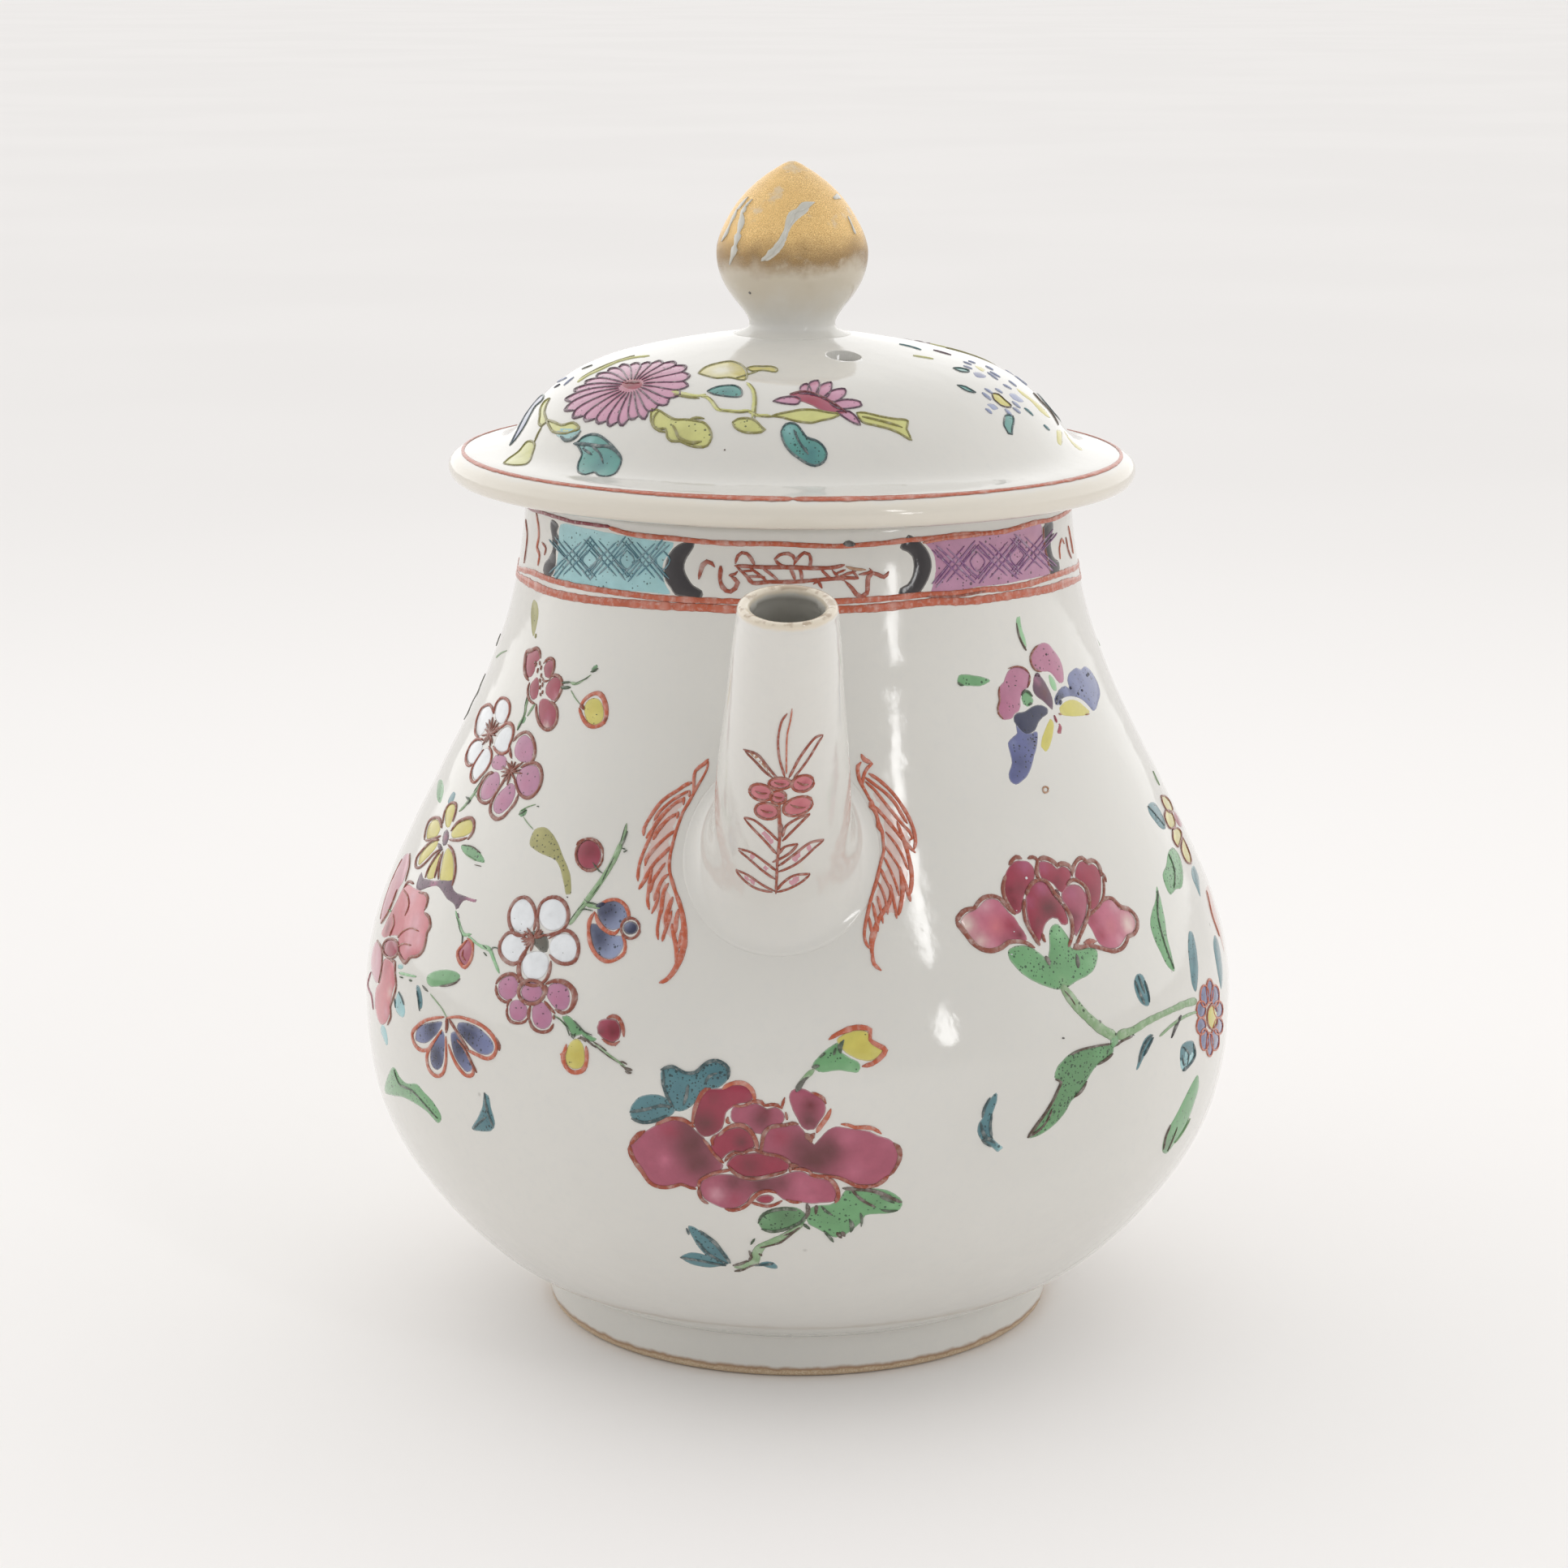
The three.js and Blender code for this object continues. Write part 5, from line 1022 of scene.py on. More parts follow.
        ("S", "greenink", [(29.793, 71.987, 0.206), (30.354, 71.726, 0.265), (30.986, 71.634, 0.148)], 0.1, 1),
        ("F", "mint", [(46.861, 77.175), (47.945, 77.283), (47.83, 76.624), (47.922, 75.77), (48.315, 74.895), (47.947, 73.957), (47.2, 74.132), (46.623, 75.017), (46.37, 75.879), (46.313, 76.608)], [(47.289, 76.54, 0.368, "green", 0.5)], 0.1, 0.09),
        ("S", "sepia", [(46.457, 76.598, 0.12), (46.419, 75.635, 0.209), (46.842, 74.761, 0.24), (47.765, 73.85, 0.3)], 0.09, 1),
        ("S", "brown", [(47.144, 71.62, 0.15), (46.696, 71.059, 0.195), (45.602, 70.432, 0.179)], 0.1, 1),
        ("S", "brown", [(38.791, 71.042, 0.149), (38.243, 70.378, 0.178), (38.107, 69.803, 0.178), (37.266, 69.161, 0.178), (37.142, 68.646, 0.178), (37.893, 68.07, 0.178)], 0.1, 1),
        ("S", "brown", [(51.582, 74.079, 0.181), (49.771, 73.698, 0.21), (48.556, 73.188, 0.225), (48.3, 72.487, 0.225), (48.958, 71.896, 0.21), (50.598, 71.561, 0.15)], 0.1, 1),
        ("S", "brown", [(41.894, 72.538, 0.149), (44.251, 72.574, 0.179), (46.107, 72.235, 0.165), (47.12, 71.681, 0.15)], 0.1, 1),
        ("S", "greenink", [(43.573, 69.879, 0.209), (44.769, 70.236, 0.299), (45.735, 69.948, 0.299), (46.296, 69.572, 0.18)], 0.12, 1),
        ("S", "greenink", [(44.573, 68.881, 0.179), (45.656, 68.984, 0.329)], 0.12, 1),
        ("S", "plum", [(48.487, 71.336, 0.24), (49.336, 71.448, 0.33), (49.872, 71.189, 0.21)], 0.1, 1),
        ("S", "black", [(42.445, 70.905, 0.329), (42.756, 70.867, 0.329)], 0.12, 1),
        ("S", "black", [(43.013, 71.3, 0.264), (43.264, 71.267, 0.264)], 0.12, 1),
        ("S", "black", [(52.926, 73.596, 0.266), (53.249, 73.554, 0.267)], 0.12, 1),
        ("S", "black", [(53.204, 73.039, 0.367), (53.653, 72.986, 0.367)], 0.12, 1),
        ("S", "black", [(53.727, 72.402, 0.267), (54.049, 72.359, 0.267)], 0.12, 1),
        ("S", "black", [(49.24, 72.318, 0.299), (49.566, 72.277, 0.299)], 0.12, 1),
        ("S", "black", [(55.643, 71.366, 0.251), (55.952, 71.323, 0.251)], 0.12, 1),
        ("S", "navy", [(52.192, 68.332, 0.271), (52.828, 68.755, 0.362), (53.742, 69.033, 0.362)], 0.11, 1),
        ("S", "navy", [(53.239, 68.177, 0.211), (54.029, 68.525, 0.302)], 0.11, 1),
        ("S", "navy", [(58.092, 69.359, 0.436), (58.663, 69.289, 0.436)], 0.11, 1),
        ("S", "navy", [(60.096, 68.618, 0.437), (60.697, 68.543, 0.437)], 0.11, 1),
        ("S", "navy", [(61.902, 68.746, 0.438), (62.543, 68.666, 0.439)], 0.11, 1),
        ("S", "navy", [(66.198, 69.8, 0.441), (66.968, 69.707, 0.441)], 0.11, 1),
        ("S", "navy", [(66.995, 69.845, 0.441), (67.792, 69.748, 0.442)], 0.11, 1),
        ("S", "black", [(42.997, 65.819, 0.296), (43.255, 65.783, 0.296)], 0.11, 1),
        ("S", "black", [(43.238, 65.218, 0.346), (43.54, 65.178, 0.346)], 0.11, 1),
        ("S", "black", [(41.839, 64.468, 0.394), (42.173, 64.425, 0.395)], 0.11, 1),
        ("S", "black", [(44.153, 65.897, 0.297), (44.417, 65.86, 0.297)], 0.11, 1),
        ("S", "black", [(41.455, 64.327, 0.345), (41.743, 64.288, 0.345)], 0.11, 1),
        ("S", "black", [(43.347, 65.558, 0.395), (43.696, 65.513, 0.395)], 0.11, 1),
        ("S", "sand", [(52.066, 67.445, 0.151), (52.85, 67.252, 0.181)], 0.08, 1),
        ("S", "sand", [(60.413, 66.509, 0.152), (61.89, 66.441, 0.183)], 0.08, 1),
        ("S", "sand", [(43.101, 61.129, 0.198), (42.99, 61.045, 0.18), (42.822, 60.977, 0.161), (42.618, 60.935, 0.159), (42.403, 60.922, 0.177), (42.202, 60.94, 0.196), (42.039, 60.988, 0.197), (41.934, 61.059, 0.18), (41.897, 61.145, 0.16), (41.935, 61.236, 0.159), (42.042, 61.32, 0.177), (42.207, 61.388, 0.196), (42.41, 61.431, 0.198), (42.627, 61.444, 0.18), (42.831, 61.425, 0.161), (42.997, 61.377, 0.159), (43.105, 61.306, 0.177), (43.141, 61.219, 0.196), (43.101, 61.129, 0.198)], 0.06, 1),
    ]),
    ('spout_sprig', 'spout', [
        ("S", "iron", [(-4.713, 5.895, 0.227), (-4.46, 8.545, 0.263), (-4.181, 11.039, 0.261), (-3.224, 13.493, 0.297), (-2.928, 15.897, 0.369), (-3.943, 17.779, 0.368), (-4.262, 19.523, 0.293)], 0.075, 1),
        ("S", "brown", [(-2.812, 15.182, 0.444), (-2.354, 16.614, 0.442)], 0.1, 1),
        ("S", "iron", [(-40.476, 7.475, 0.272), (-28.505, 7.685, 0.271), (-13.473, 6.795, 0.272), (-5.424, 6.262, 0.272)], 0.075, 1),
        ("S", "iron", [(-40.426, 7.353, 0.272), (-36.05, 6.901, 0.272), (-22.981, 6.176, 0.272), (-7.366, 6.098, 0.272)], 0.075, 1),
        ("S", "iron", [(23.23, 8.386, 0.271), (10.088, 8.707, 0.27), (0.285, 7.574, 0.271), (-3.503, 6.542, 0.272)], 0.075, 1),
        ("S", "iron", [(23.234, 8.26, 0.271), (16.266, 7.487, 0.271), (4.982, 6.665, 0.272), (-4.099, 6.156, 0.272)], 0.075, 1),
        ("S", "iron", [(-39.247, 10.891, 0.27), (-26.586, 11.339, 0.269), (-14.231, 10.53, 0.269), (-4.595, 9.419, 0.27)], 0.075, 1),
        ("S", "iron", [(-39.146, 10.651, 0.27), (-29.282, 10.27, 0.27), (-17.409, 9.267, 0.27), (-5.721, 8.148, 0.271)], 0.075, 1),
        ("S", "iron", [(36.434, 12.634, 0.268), (23.15, 13.108, 0.268), (9.142, 11.834, 0.268), (-3.382, 10.182, 0.269)], 0.075, 1),
        ("S", "iron", [(36.424, 12.512, 0.269), (28.391, 12.162, 0.269), (11.293, 10.422, 0.269), (-3.252, 9.311, 0.27)], 0.075, 1),
        ("S", "iron", [(12.454, 13.454, 0.267), (1.562, 13.147, 0.268), (-2.995, 12.035, 0.268)], 0.075, 1),
        ("S", "iron", [(12.461, 13.332, 0.268), (6.393, 12.253, 0.268), (-8.153, 10.72, 0.269)], 0.075, 1),
        ("S", "iron", [(-35.499, 15.9, 0.266), (-25.966, 16.246, 0.266), (-12.508, 15.221, 0.266), (-3.98, 13.968, 0.267)], 0.075, 1),
        ("S", "iron", [(-35.445, 15.784, 0.266), (-31.147, 15.405, 0.266), (-17.14, 13.959, 0.267), (-5.01, 12.011, 0.268)], 0.075, 1),
        ("S", "iron", [(23.226, 17.431, 0.265), (13.665, 17.246, 0.265), (2.533, 16.265, 0.266), (-0.672, 14.595, 0.267)], 0.075, 1),
        ("S", "iron", [(23.222, 17.313, 0.265), (19.478, 17.024, 0.265), (8.832, 15.59, 0.266), (-0.585, 13.993, 0.267)], 0.075, 1),
        ("S", "iron", [(-9.861, 20.474, 0.294), (-11.04, 20.092, 0.272), (-13.351, 19.767, 0.242), (-16.536, 19.523, 0.233), (-20.251, 19.375, 0.255), (-24.089, 19.332, 0.286), (-27.605, 19.403, 0.295), (-30.357, 19.593, 0.273), (-31.958, 19.898, 0.242), (-32.156, 20.296, 0.233), (-30.907, 20.739, 0.254), (-28.388, 21.163, 0.284), (-24.956, 21.495, 0.293), (-21.069, 21.682, 0.271), (-17.211, 21.695, 0.241), (-13.836, 21.54, 0.232), (-11.327, 21.251, 0.254), (-9.955, 20.877, 0.284), (-9.861, 20.474, 0.294)], 0.075, 1),
        ("S", "brown", [(-26.482, 20.451, 0.219), (-20.605, 20.421, 0.292), (-15.038, 20.652, 0.219)], 0.08, 1),
        ("S", "iron", [(6.14, 22.256, 0.252), (5.546, 21.993, 0.283), (3.799, 21.77, 0.293), (1.121, 21.604, 0.272), (-2.166, 21.501, 0.242), (-5.681, 21.465, 0.231), (-9.018, 21.5, 0.252), (-11.787, 21.61, 0.283), (-13.647, 21.794, 0.293), (-14.358, 22.043, 0.272), (-13.815, 22.332, 0.241), (-12.081, 22.621, 0.231), (-9.371, 22.864, 0.251), (-6.023, 23.018, 0.282), (-2.447, 23.055, 0.292), (0.924, 22.972, 0.271), (3.683, 22.786, 0.241), (5.495, 22.534, 0.231), (6.14, 22.256, 0.252)], 0.075, 1),
        ("S", "brown", [(-9.233, 22.341, 0.218), (-4.061, 22.186, 0.291), (1.035, 22.21, 0.218)], 0.08, 1),
        ("S", "iron", [(27.176, 21.935, 0.28), (27.175, 21.532, 0.249), (25.862, 21.201, 0.231), (23.44, 20.971, 0.245), (20.247, 20.853, 0.276), (16.686, 20.851, 0.294), (13.173, 20.96, 0.281), (10.096, 21.171, 0.249), (7.794, 21.473, 0.231), (6.524, 21.842, 0.244), (6.439, 22.241, 0.275), (7.564, 22.624, 0.293), (9.785, 22.937, 0.279), (12.859, 23.128, 0.248), (16.435, 23.162, 0.23), (20.091, 23.028, 0.244), (23.372, 22.746, 0.275), (25.847, 22.361, 0.293), (27.176, 21.935, 0.28)], 0.075, 1),
        ("S", "brown", [(11.298, 22.391, 0.218), (16.555, 21.898, 0.291), (21.93, 21.679, 0.219)], 0.08, 1),
        ("S", "iron", [(2.01, 20.354, 0.24), (1.622, 20.041, 0.233), (0.426, 19.765, 0.256), (-1.429, 19.554, 0.286), (-3.722, 19.427, 0.294), (-6.183, 19.395, 0.271), (-8.528, 19.462, 0.241), (-10.479, 19.623, 0.233), (-11.799, 19.865, 0.256), (-12.319, 20.165, 0.286), (-11.968, 20.49, 0.293), (-10.781, 20.798, 0.27), (-8.905, 21.046, 0.24), (-6.569, 21.198, 0.232), (-4.063, 21.232, 0.255), (-1.693, 21.142, 0.285), (0.252, 20.944, 0.293), (1.537, 20.669, 0.27), (2.01, 20.354, 0.24)], 0.075, 1),
        ("S", "brown", [(-8.757, 20.44, 0.219), (-5.113, 20.227, 0.292), (-1.545, 20.259, 0.219)], 0.08, 1),
        ("S", "iron", [(25.523, 19.128, 0.274), (25.653, 18.66, 0.243), (24.099, 18.249, 0.234), (21.115, 17.928, 0.255), (17.129, 17.708, 0.286), (12.652, 17.594, 0.296), (8.202, 17.594, 0.275), (4.267, 17.715, 0.244), (1.277, 17.963, 0.233), (-0.43, 18.33, 0.254), (-0.647, 18.787, 0.285), (0.668, 19.281, 0.295), (3.381, 19.739, 0.273), (7.19, 20.084, 0.242), (11.664, 20.253, 0.232), (16.282, 20.216, 0.253), (20.481, 19.98, 0.284), (23.712, 19.593, 0.295), (25.523, 19.128, 0.274)], 0.075, 1),
        ("S", "brown", [(5.336, 19.317, 0.22), (12.162, 18.804, 0.293), (19.118, 18.559, 0.22)], 0.08, 1),
        ("S", "iron", [(-4.153, 18.058, 0.283), (-5.122, 17.669, 0.252), (-7.221, 17.339, 0.233), (-10.205, 17.094, 0.247), (-13.739, 16.949, 0.278), (-17.427, 16.912, 0.297), (-20.845, 16.99, 0.284), (-23.573, 17.185, 0.252), (-25.249, 17.491, 0.233), (-25.629, 17.885, 0.246), (-24.645, 18.323, 0.278), (-22.429, 18.741, 0.296), (-19.282, 19.073, 0.282), (-15.615, 19.263, 0.251), (-11.883, 19.282, 0.232), (-8.532, 19.132, 0.245), (-5.951, 18.844, 0.277), (-4.436, 18.466, 0.296), (-4.153, 18.058, 0.283)], 0.075, 1),
        ("S", "brown", [(-20.174, 18.113, 0.22), (-14.63, 17.996, 0.294), (-9.3, 18.155, 0.22)], 0.08, 1),
        ("F", "sand", [(-42.424, 25.137), (-34.016, 25.548), (-26.953, 25.536), (-19.171, 24.68), (-14.987, 23.939), (-10.202, 23.176), (-14.761, 23.272), (-22.17, 24.211), (-32.663, 24.85)], [], 0, 0.05),
        ("S", "brown", [(-42.424, 25.137, 0.217), (-26.953, 25.536, 0.289), (-15.064, 24.16, 0.29), (-6.419, 22.911, 0.254)], 0.075, 1),
        ("S", "brown", [(-40.354, 25.078, 0.217), (-28.965, 24.52, 0.29), (-17.92, 23.496, 0.29), (-10.882, 22.934, 0.218)], 0.075, 1),
        ("S", "iron", [(38.815, 27.556, 0.18), (30.332, 27.77, 0.252), (15.886, 26.072, 0.288), (3.854, 23.066, 0.254)], 0.075, 1),
        ("S", "iron", [(38.781, 27.446, 0.18), (33.841, 26.996, 0.216), (21.437, 25.086, 0.253), (8.295, 23.014, 0.254)], 0.075, 1),
        ("S", "iron", [(0.156, 23.19, 0.254), (-5.619, 25.936, 0.252), (-7.032, 28.575, 0.251), (-3.593, 30.939, 0.249), (1.068, 31.838, 0.178)], 0.075, 1),
        ("S", "rust", [(1.566, 23.637, 0.181), (1.192, 26.198, 0.18), (1.539, 28.964, 0.179), (4.43, 30.943, 0.178), (5.851, 32.47, 0.142)], 0.075, 1),
        ("F", "coral", [(-10.566, 20.487), (-12.161, 20.051), (-15.407, 19.711), (-19.715, 19.505), (-24.305, 19.456), (-28.301, 19.579), (-30.854, 19.877), (-31.356, 20.323), (-29.657, 20.833), (-26.149, 21.284), (-21.616, 21.552), (-17.004, 21.57), (-13.207, 21.345), (-10.928, 20.95)], [(-19.107, 20.49, 0.511, "crimson", 0.85)], 0, 0.09),
        ("F", "coral", [(5.406, 22.265), (4.495, 21.979), (1.901, 21.757), (-1.853, 21.621), (-6.041, 21.578), (-9.864, 21.637), (-12.575, 21.803), (-13.615, 22.067), (-12.75, 22.388), (-10.147, 22.692), (-6.336, 22.896), (-2.087, 22.94), (1.757, 22.817), (4.432, 22.567)], [(-2.599, 22.165, 0.509, "crimson", 0.85)], 0, 0.09),
        ("F", "coral", [(26.389, 21.95), (26.141, 21.494), (23.967, 21.157), (20.383, 20.98), (16.145, 20.975), (12.071, 21.136), (8.906, 21.443), (7.229, 21.861), (7.364, 22.323), (9.313, 22.737), (12.733, 23.001), (16.988, 23.04), (21.246, 22.834), (24.627, 22.436)], [(18.076, 21.843, 0.51, "crimson", 0.85)], 0, 0.09),
        ("F", "coral", [(1.296, 20.356), (0.709, 20.008), (-1.023, 19.724), (-3.555, 19.551), (-6.398, 19.514), (-9.003, 19.62), (-10.862, 19.856), (-11.595, 20.186), (-11.043, 20.55), (-9.306, 20.871), (-6.735, 21.075), (-3.848, 21.114), (-1.226, 20.978), (0.609, 20.704)], [(-3.681, 20.221, 0.512, "crimson", 0.85)], 0, 0.09),
        ("F", "coral", [(24.788, 19.129), (24.603, 18.59), (21.9, 18.148), (17.342, 17.848), (11.907, 17.706), (6.639, 17.739), (2.491, 17.961), (0.223, 18.371), (0.278, 18.917), (2.676, 19.489), (6.991, 19.941), (12.422, 20.144), (17.925, 20.037), (22.375, 19.659)], [(13.609, 18.774, 0.513, "crimson", 0.85)], 0, 0.09),
        ("F", "coral", [(-4.846, 18.069), (-6.196, 17.627), (-9.195, 17.283), (-13.28, 17.079), (-17.694, 17.036), (-21.595, 17.166), (-24.183, 17.467), (-24.875, 17.91), (-23.49, 18.414), (-20.331, 18.861), (-16.082, 19.132), (-11.622, 19.156), (-7.826, 18.936), (-5.419, 18.539)], [(-13.201, 18.046, 0.514, "crimson", 0.85)], 0, 0.09),
        ("F", "blush", [(-40.476, 7.475), (-28.505, 7.685), (-13.473, 6.795), (-7.366, 6.098), (-22.981, 6.176), (-36.05, 6.901)], [], 0, 0.04),
        ("F", "blush", [(23.23, 8.386), (10.088, 8.707), (-2.197, 6.555), (4.982, 6.665), (16.266, 7.487)], [], 0, 0.04),
        ("F", "blush", [(-39.247, 10.891), (-26.586, 11.339), (-5.881, 9.149), (-5.721, 8.148), (-17.409, 9.267), (-29.282, 10.27)], [], 0, 0.04),
        ("F", "blush", [(36.434, 12.634), (23.15, 13.108), (9.142, 11.834), (-3.307, 9.685), (11.293, 10.422), (28.391, 12.162)], [], 0, 0.04),
        ("F", "blush", [(-35.499, 15.9), (-25.966, 16.246), (-5.34, 13.95), (-5.05, 12.255), (-17.14, 13.959), (-31.147, 15.405)], [], 0, 0.04),
        ("F", "blush", [(23.226, 17.431), (13.665, 17.246), (0.676, 14.717), (8.832, 15.59), (19.478, 17.024)], [], 0, 0.04),
        ("F", "blush", [(38.815, 27.556), (30.332, 27.77), (8.237, 23.912), (21.437, 25.086), (33.841, 26.996)], [], 0, 0.04),
    ]),
    ('feather_left', 'pot', [
        ("S", "rust", [(-15.013, 65.668, 0.311), (-15.6, 65.217, 0.388), (-16.352, 64.903, 0.388), (-16.946, 64.521, 0.388), (-17.034, 63.798, 0.31), (-16.815, 62.944, 0.31), (-16.801, 62.372, 0.271)], 0.075, 1),
        ("S", "rust", [(-14.965, 65.453, 0.272), (-15.075, 64.73, 0.272), (-15.586, 63.994, 0.272), (-16.219, 63.253, 0.31), (-16.82, 62.442, 0.349), (-17.402, 61.634, 0.349), (-17.986, 60.899, 0.349), (-18.364, 59.96, 0.349), (-18.649, 59.167, 0.348), (-18.79, 58.306, 0.348), (-18.934, 57.443, 0.348), (-18.954, 56.586, 0.348), (-18.709, 55.674, 0.348), (-18.125, 54.853, 0.386), (-17.419, 53.971, 0.386), (-16.604, 53.023, 0.462), (-15.903, 51.927, 0.5), (-15.452, 50.819, 0.576), (-15.235, 49.701, 0.614), (-15.35, 48.567, 0.614), (-15.819, 47.553, 0.537), (-16.339, 46.813, 0.46), (-17.097, 46.196, 0.46), (-17.918, 45.931, 0.307)], 0.075, 1),
        ("S", "rust", [(-17.23, 63.503, 0.388), (-18.252, 63.247, 0.427), (-19.459, 62.692, 0.388), (-20.676, 62.206, 0.388), (-21.834, 61.576, 0.389), (-22.653, 60.819, 0.389), (-23.295, 59.998, 0.35), (-23.795, 59.183, 0.35), (-23.665, 58.475, 0.349)], 0.075, 1),
        ("S", "rust", [(-17.445, 62.776, 0.31), (-18.682, 62.367, 0.31), (-19.89, 61.884, 0.311), (-21.04, 61.258, 0.311), (-21.907, 60.643, 0.311), (-22.446, 59.902, 0.311)], 0.075, 1),
        ("S", "rust", [(-17.445, 62.776, 0.272), (-17.425, 62.204, 0.271)], 0.075, 1),
        ("S", "rust", [(-18.18, 62.03, 0.388), (-19.512, 61.544, 0.349), (-20.847, 60.697, 0.388), (-21.681, 60.014, 0.466), (-22.511, 58.97, 0.427), (-23.199, 58.287, 0.388)], 0.075, 1),
        ("S", "rust", [(-18.221, 62.172, 0.349), (-18.149, 61.461, 0.233)], 0.075, 1),
        ("S", "rust", [(-18.855, 60.719, 0.388), (-20.026, 60.238, 0.349), (-21.095, 59.474, 0.465), (-21.789, 58.796, 0.543), (-21.989, 58.212, 0.31)], 0.075, 1),
        ("S", "rust", [(-18.768, 60.865, 0.31), (-18.835, 60.223, 0.271)], 0.075, 1),
        ("S", "rust", [(-22.268, 59.412, 0.311), (-22.657, 58.246, 0.349), (-23.176, 57.068, 0.349), (-23.453, 55.976, 0.349), (-23.339, 54.912, 0.349), (-23.195, 54.494, 0.271)], 0.075, 1),
        ("S", "rust", [(-18.67, 59.237, 0.348), (-19.691, 58.761, 0.349), (-20.982, 57.91, 0.349), (-22.113, 56.987, 0.349), (-22.562, 56.388, 0.387), (-22.527, 55.889, 0.31)], 0.075, 1),
        ("S", "rust", [(-18.924, 57.872, 0.348), (-19.977, 57.105, 0.387), (-21.016, 56.334, 0.387), (-21.769, 55.506, 0.464), (-22.235, 54.625, 0.426), (-22.835, 53.806, 0.348)], 0.075, 1),
        ("S", "rust", [(-21.384, 55.885, 0.31), (-21.446, 54.885, 0.348), (-21.339, 53.757, 0.309), (-21.205, 52.913, 0.348), (-20.748, 52.16, 0.347)], 0.075, 1),
        ("S", "rust", [(-19.511, 56.344, 0.309), (-20.272, 55.52, 0.348), (-20.894, 54.704, 0.387), (-21.056, 53.632, 0.348)], 0.075, 1),
        ("S", "rust", [(-18.754, 55.388, 0.348), (-19.483, 54.925, 0.348), (-19.884, 54.195, 0.386), (-20.14, 53.402, 0.386), (-20.257, 52.97, 0.309)], 0.075, 1),
        ("S", "rust", [(-19.843, 54.056, 0.309), (-19.786, 52.997, 0.309), (-20.301, 51.831, 0.309)], 0.075, 1),
        ("S", "rust", [(-18.547, 54.62, 0.309), (-18.99, 54.031, 0.386), (-19.081, 53.037, 0.463), (-18.892, 51.843, 0.385)], 0.075, 1),
        ("S", "rust", [(-19.051, 52.472, 0.308), (-19.15, 51.473, 0.347), (-19.135, 50.481, 0.347), (-18.818, 49.65, 0.346)], 0.075, 1),
        ("S", "rust", [(-17.649, 53.466, 0.385), (-17.925, 52.674, 0.501), (-18.151, 51.671, 0.539), (-18.068, 50.825, 0.308)], 0.075, 1),
        ("S", "rust", [(-17.479, 52.273, 0.308), (-17.792, 51.124, 0.385), (-18.131, 50.114, 0.346), (-18.225, 49.543, 0.346)], 0.075, 1),
        ("S", "rust", [(-16.593, 52.459, 0.385), (-16.691, 51.323, 0.462), (-16.594, 50.338, 0.384)], 0.075, 1),
        ("S", "rust", [(-17.226, 51.154, 0.385), (-16.788, 50.187, 0.461), (-16.251, 49.227, 0.461), (-15.948, 48.255, 0.46), (-15.926, 47.547, 0.307)], 0.075, 1),
        ("S", "rust", [(-15.787, 50.802, 0.346), (-15.813, 49.813, 0.384), (-15.88, 49.034, 0.346)], 0.075, 1),
        ("F", "pale", [(-17.559, 63.202), (-19.437, 62.621), (-21.784, 61.435), (-23.268, 59.928), (-23.144, 58.505), (-23.32, 56.342), (-22.972, 54.579), (-21.645, 53.951), (-20.866, 52.579), (-19.327, 51.25), (-18.419, 49.885), (-17.223, 49.599), (-16.057, 48.249), (-15.497, 49.336), (-15.844, 51.082), (-17.532, 53.472), (-18.55, 55.54), (-18.809, 58.377), (-17.986, 60.899), (-17.026, 62.721)], [], 0, 0.03),
    ]),
    ('feather_right', 'pot', [
        ("S", "rust", [(10.263, 66.224, 0.31), (10.727, 65.71, 0.465), (11.882, 65.323, 0.388), (11.146, 64.982, 0.349), (10.529, 64.496, 0.349), (10.163, 63.861, 0.387), (9.956, 63.365, 0.387)], 0.075, 1),
        ("S", "rust", [(10.153, 65.507, 0.387), (9.562, 65.161, 0.387), (9.479, 64.59, 0.387), (9.649, 63.943, 0.387), (10.194, 63.217, 0.348), (10.845, 62.418, 0.309), (11.261, 61.839, 0.309)], 0.075, 1),
        ("S", "rust", [(11.324, 62.192, 0.309), (11.224, 61.627, 0.696), (11.656, 61.191, 0.464), (11.915, 60.548, 0.386), (12.03, 59.84, 0.618), (12.431, 59.335, 0.386), (12.405, 58.56, 0.309), (12.372, 57.713, 0.308), (11.867, 56.88, 0.308), (11.375, 56.047, 0.346), (10.881, 55.146, 0.423), (10.284, 54.253, 0.346), (9.692, 53.291, 0.346), (9.23, 52.324, 0.345), (8.785, 51.354, 0.307), (8.568, 50.377, 0.306), (8.814, 49.669, 0.306), (9.407, 49.232, 0.268)], 0.075, 1),
        ("S", "rust", [(11.193, 64.48, 0.349), (12.445, 64.018, 0.387), (13.891, 63.26, 0.387), (15.149, 62.36, 0.387), (16.097, 61.4, 0.387), (16.868, 60.377, 0.387), (17.322, 59.226, 0.387), (17.308, 58.234, 0.348), (16.899, 57.612, 0.27)], 0.075, 1),
        ("S", "rust", [(10.603, 64.136, 0.348), (12.074, 63.456, 0.348), (13.755, 62.621, 0.349), (14.998, 61.724, 0.348), (15.694, 60.847, 0.348), (16.479, 59.897, 0.31)], 0.075, 1),
        ("S", "rust", [(10.546, 63.78, 0.31), (11.982, 62.958, 0.31), (13.331, 61.85, 0.31), (14.635, 60.744, 0.309), (15.699, 59.857, 0.309), (16.564, 59.257, 0.309), (16.9, 58.606, 0.309), (16.348, 58.417, 0.232)], 0.075, 1),
        ("S", "rust", [(11.492, 61.691, 0.387), (12.84, 60.732, 0.348), (14.137, 59.702, 0.386), (15.173, 58.747, 0.348), (16.228, 57.925, 0.348), (17.076, 57.32, 0.309)], 0.075, 1),
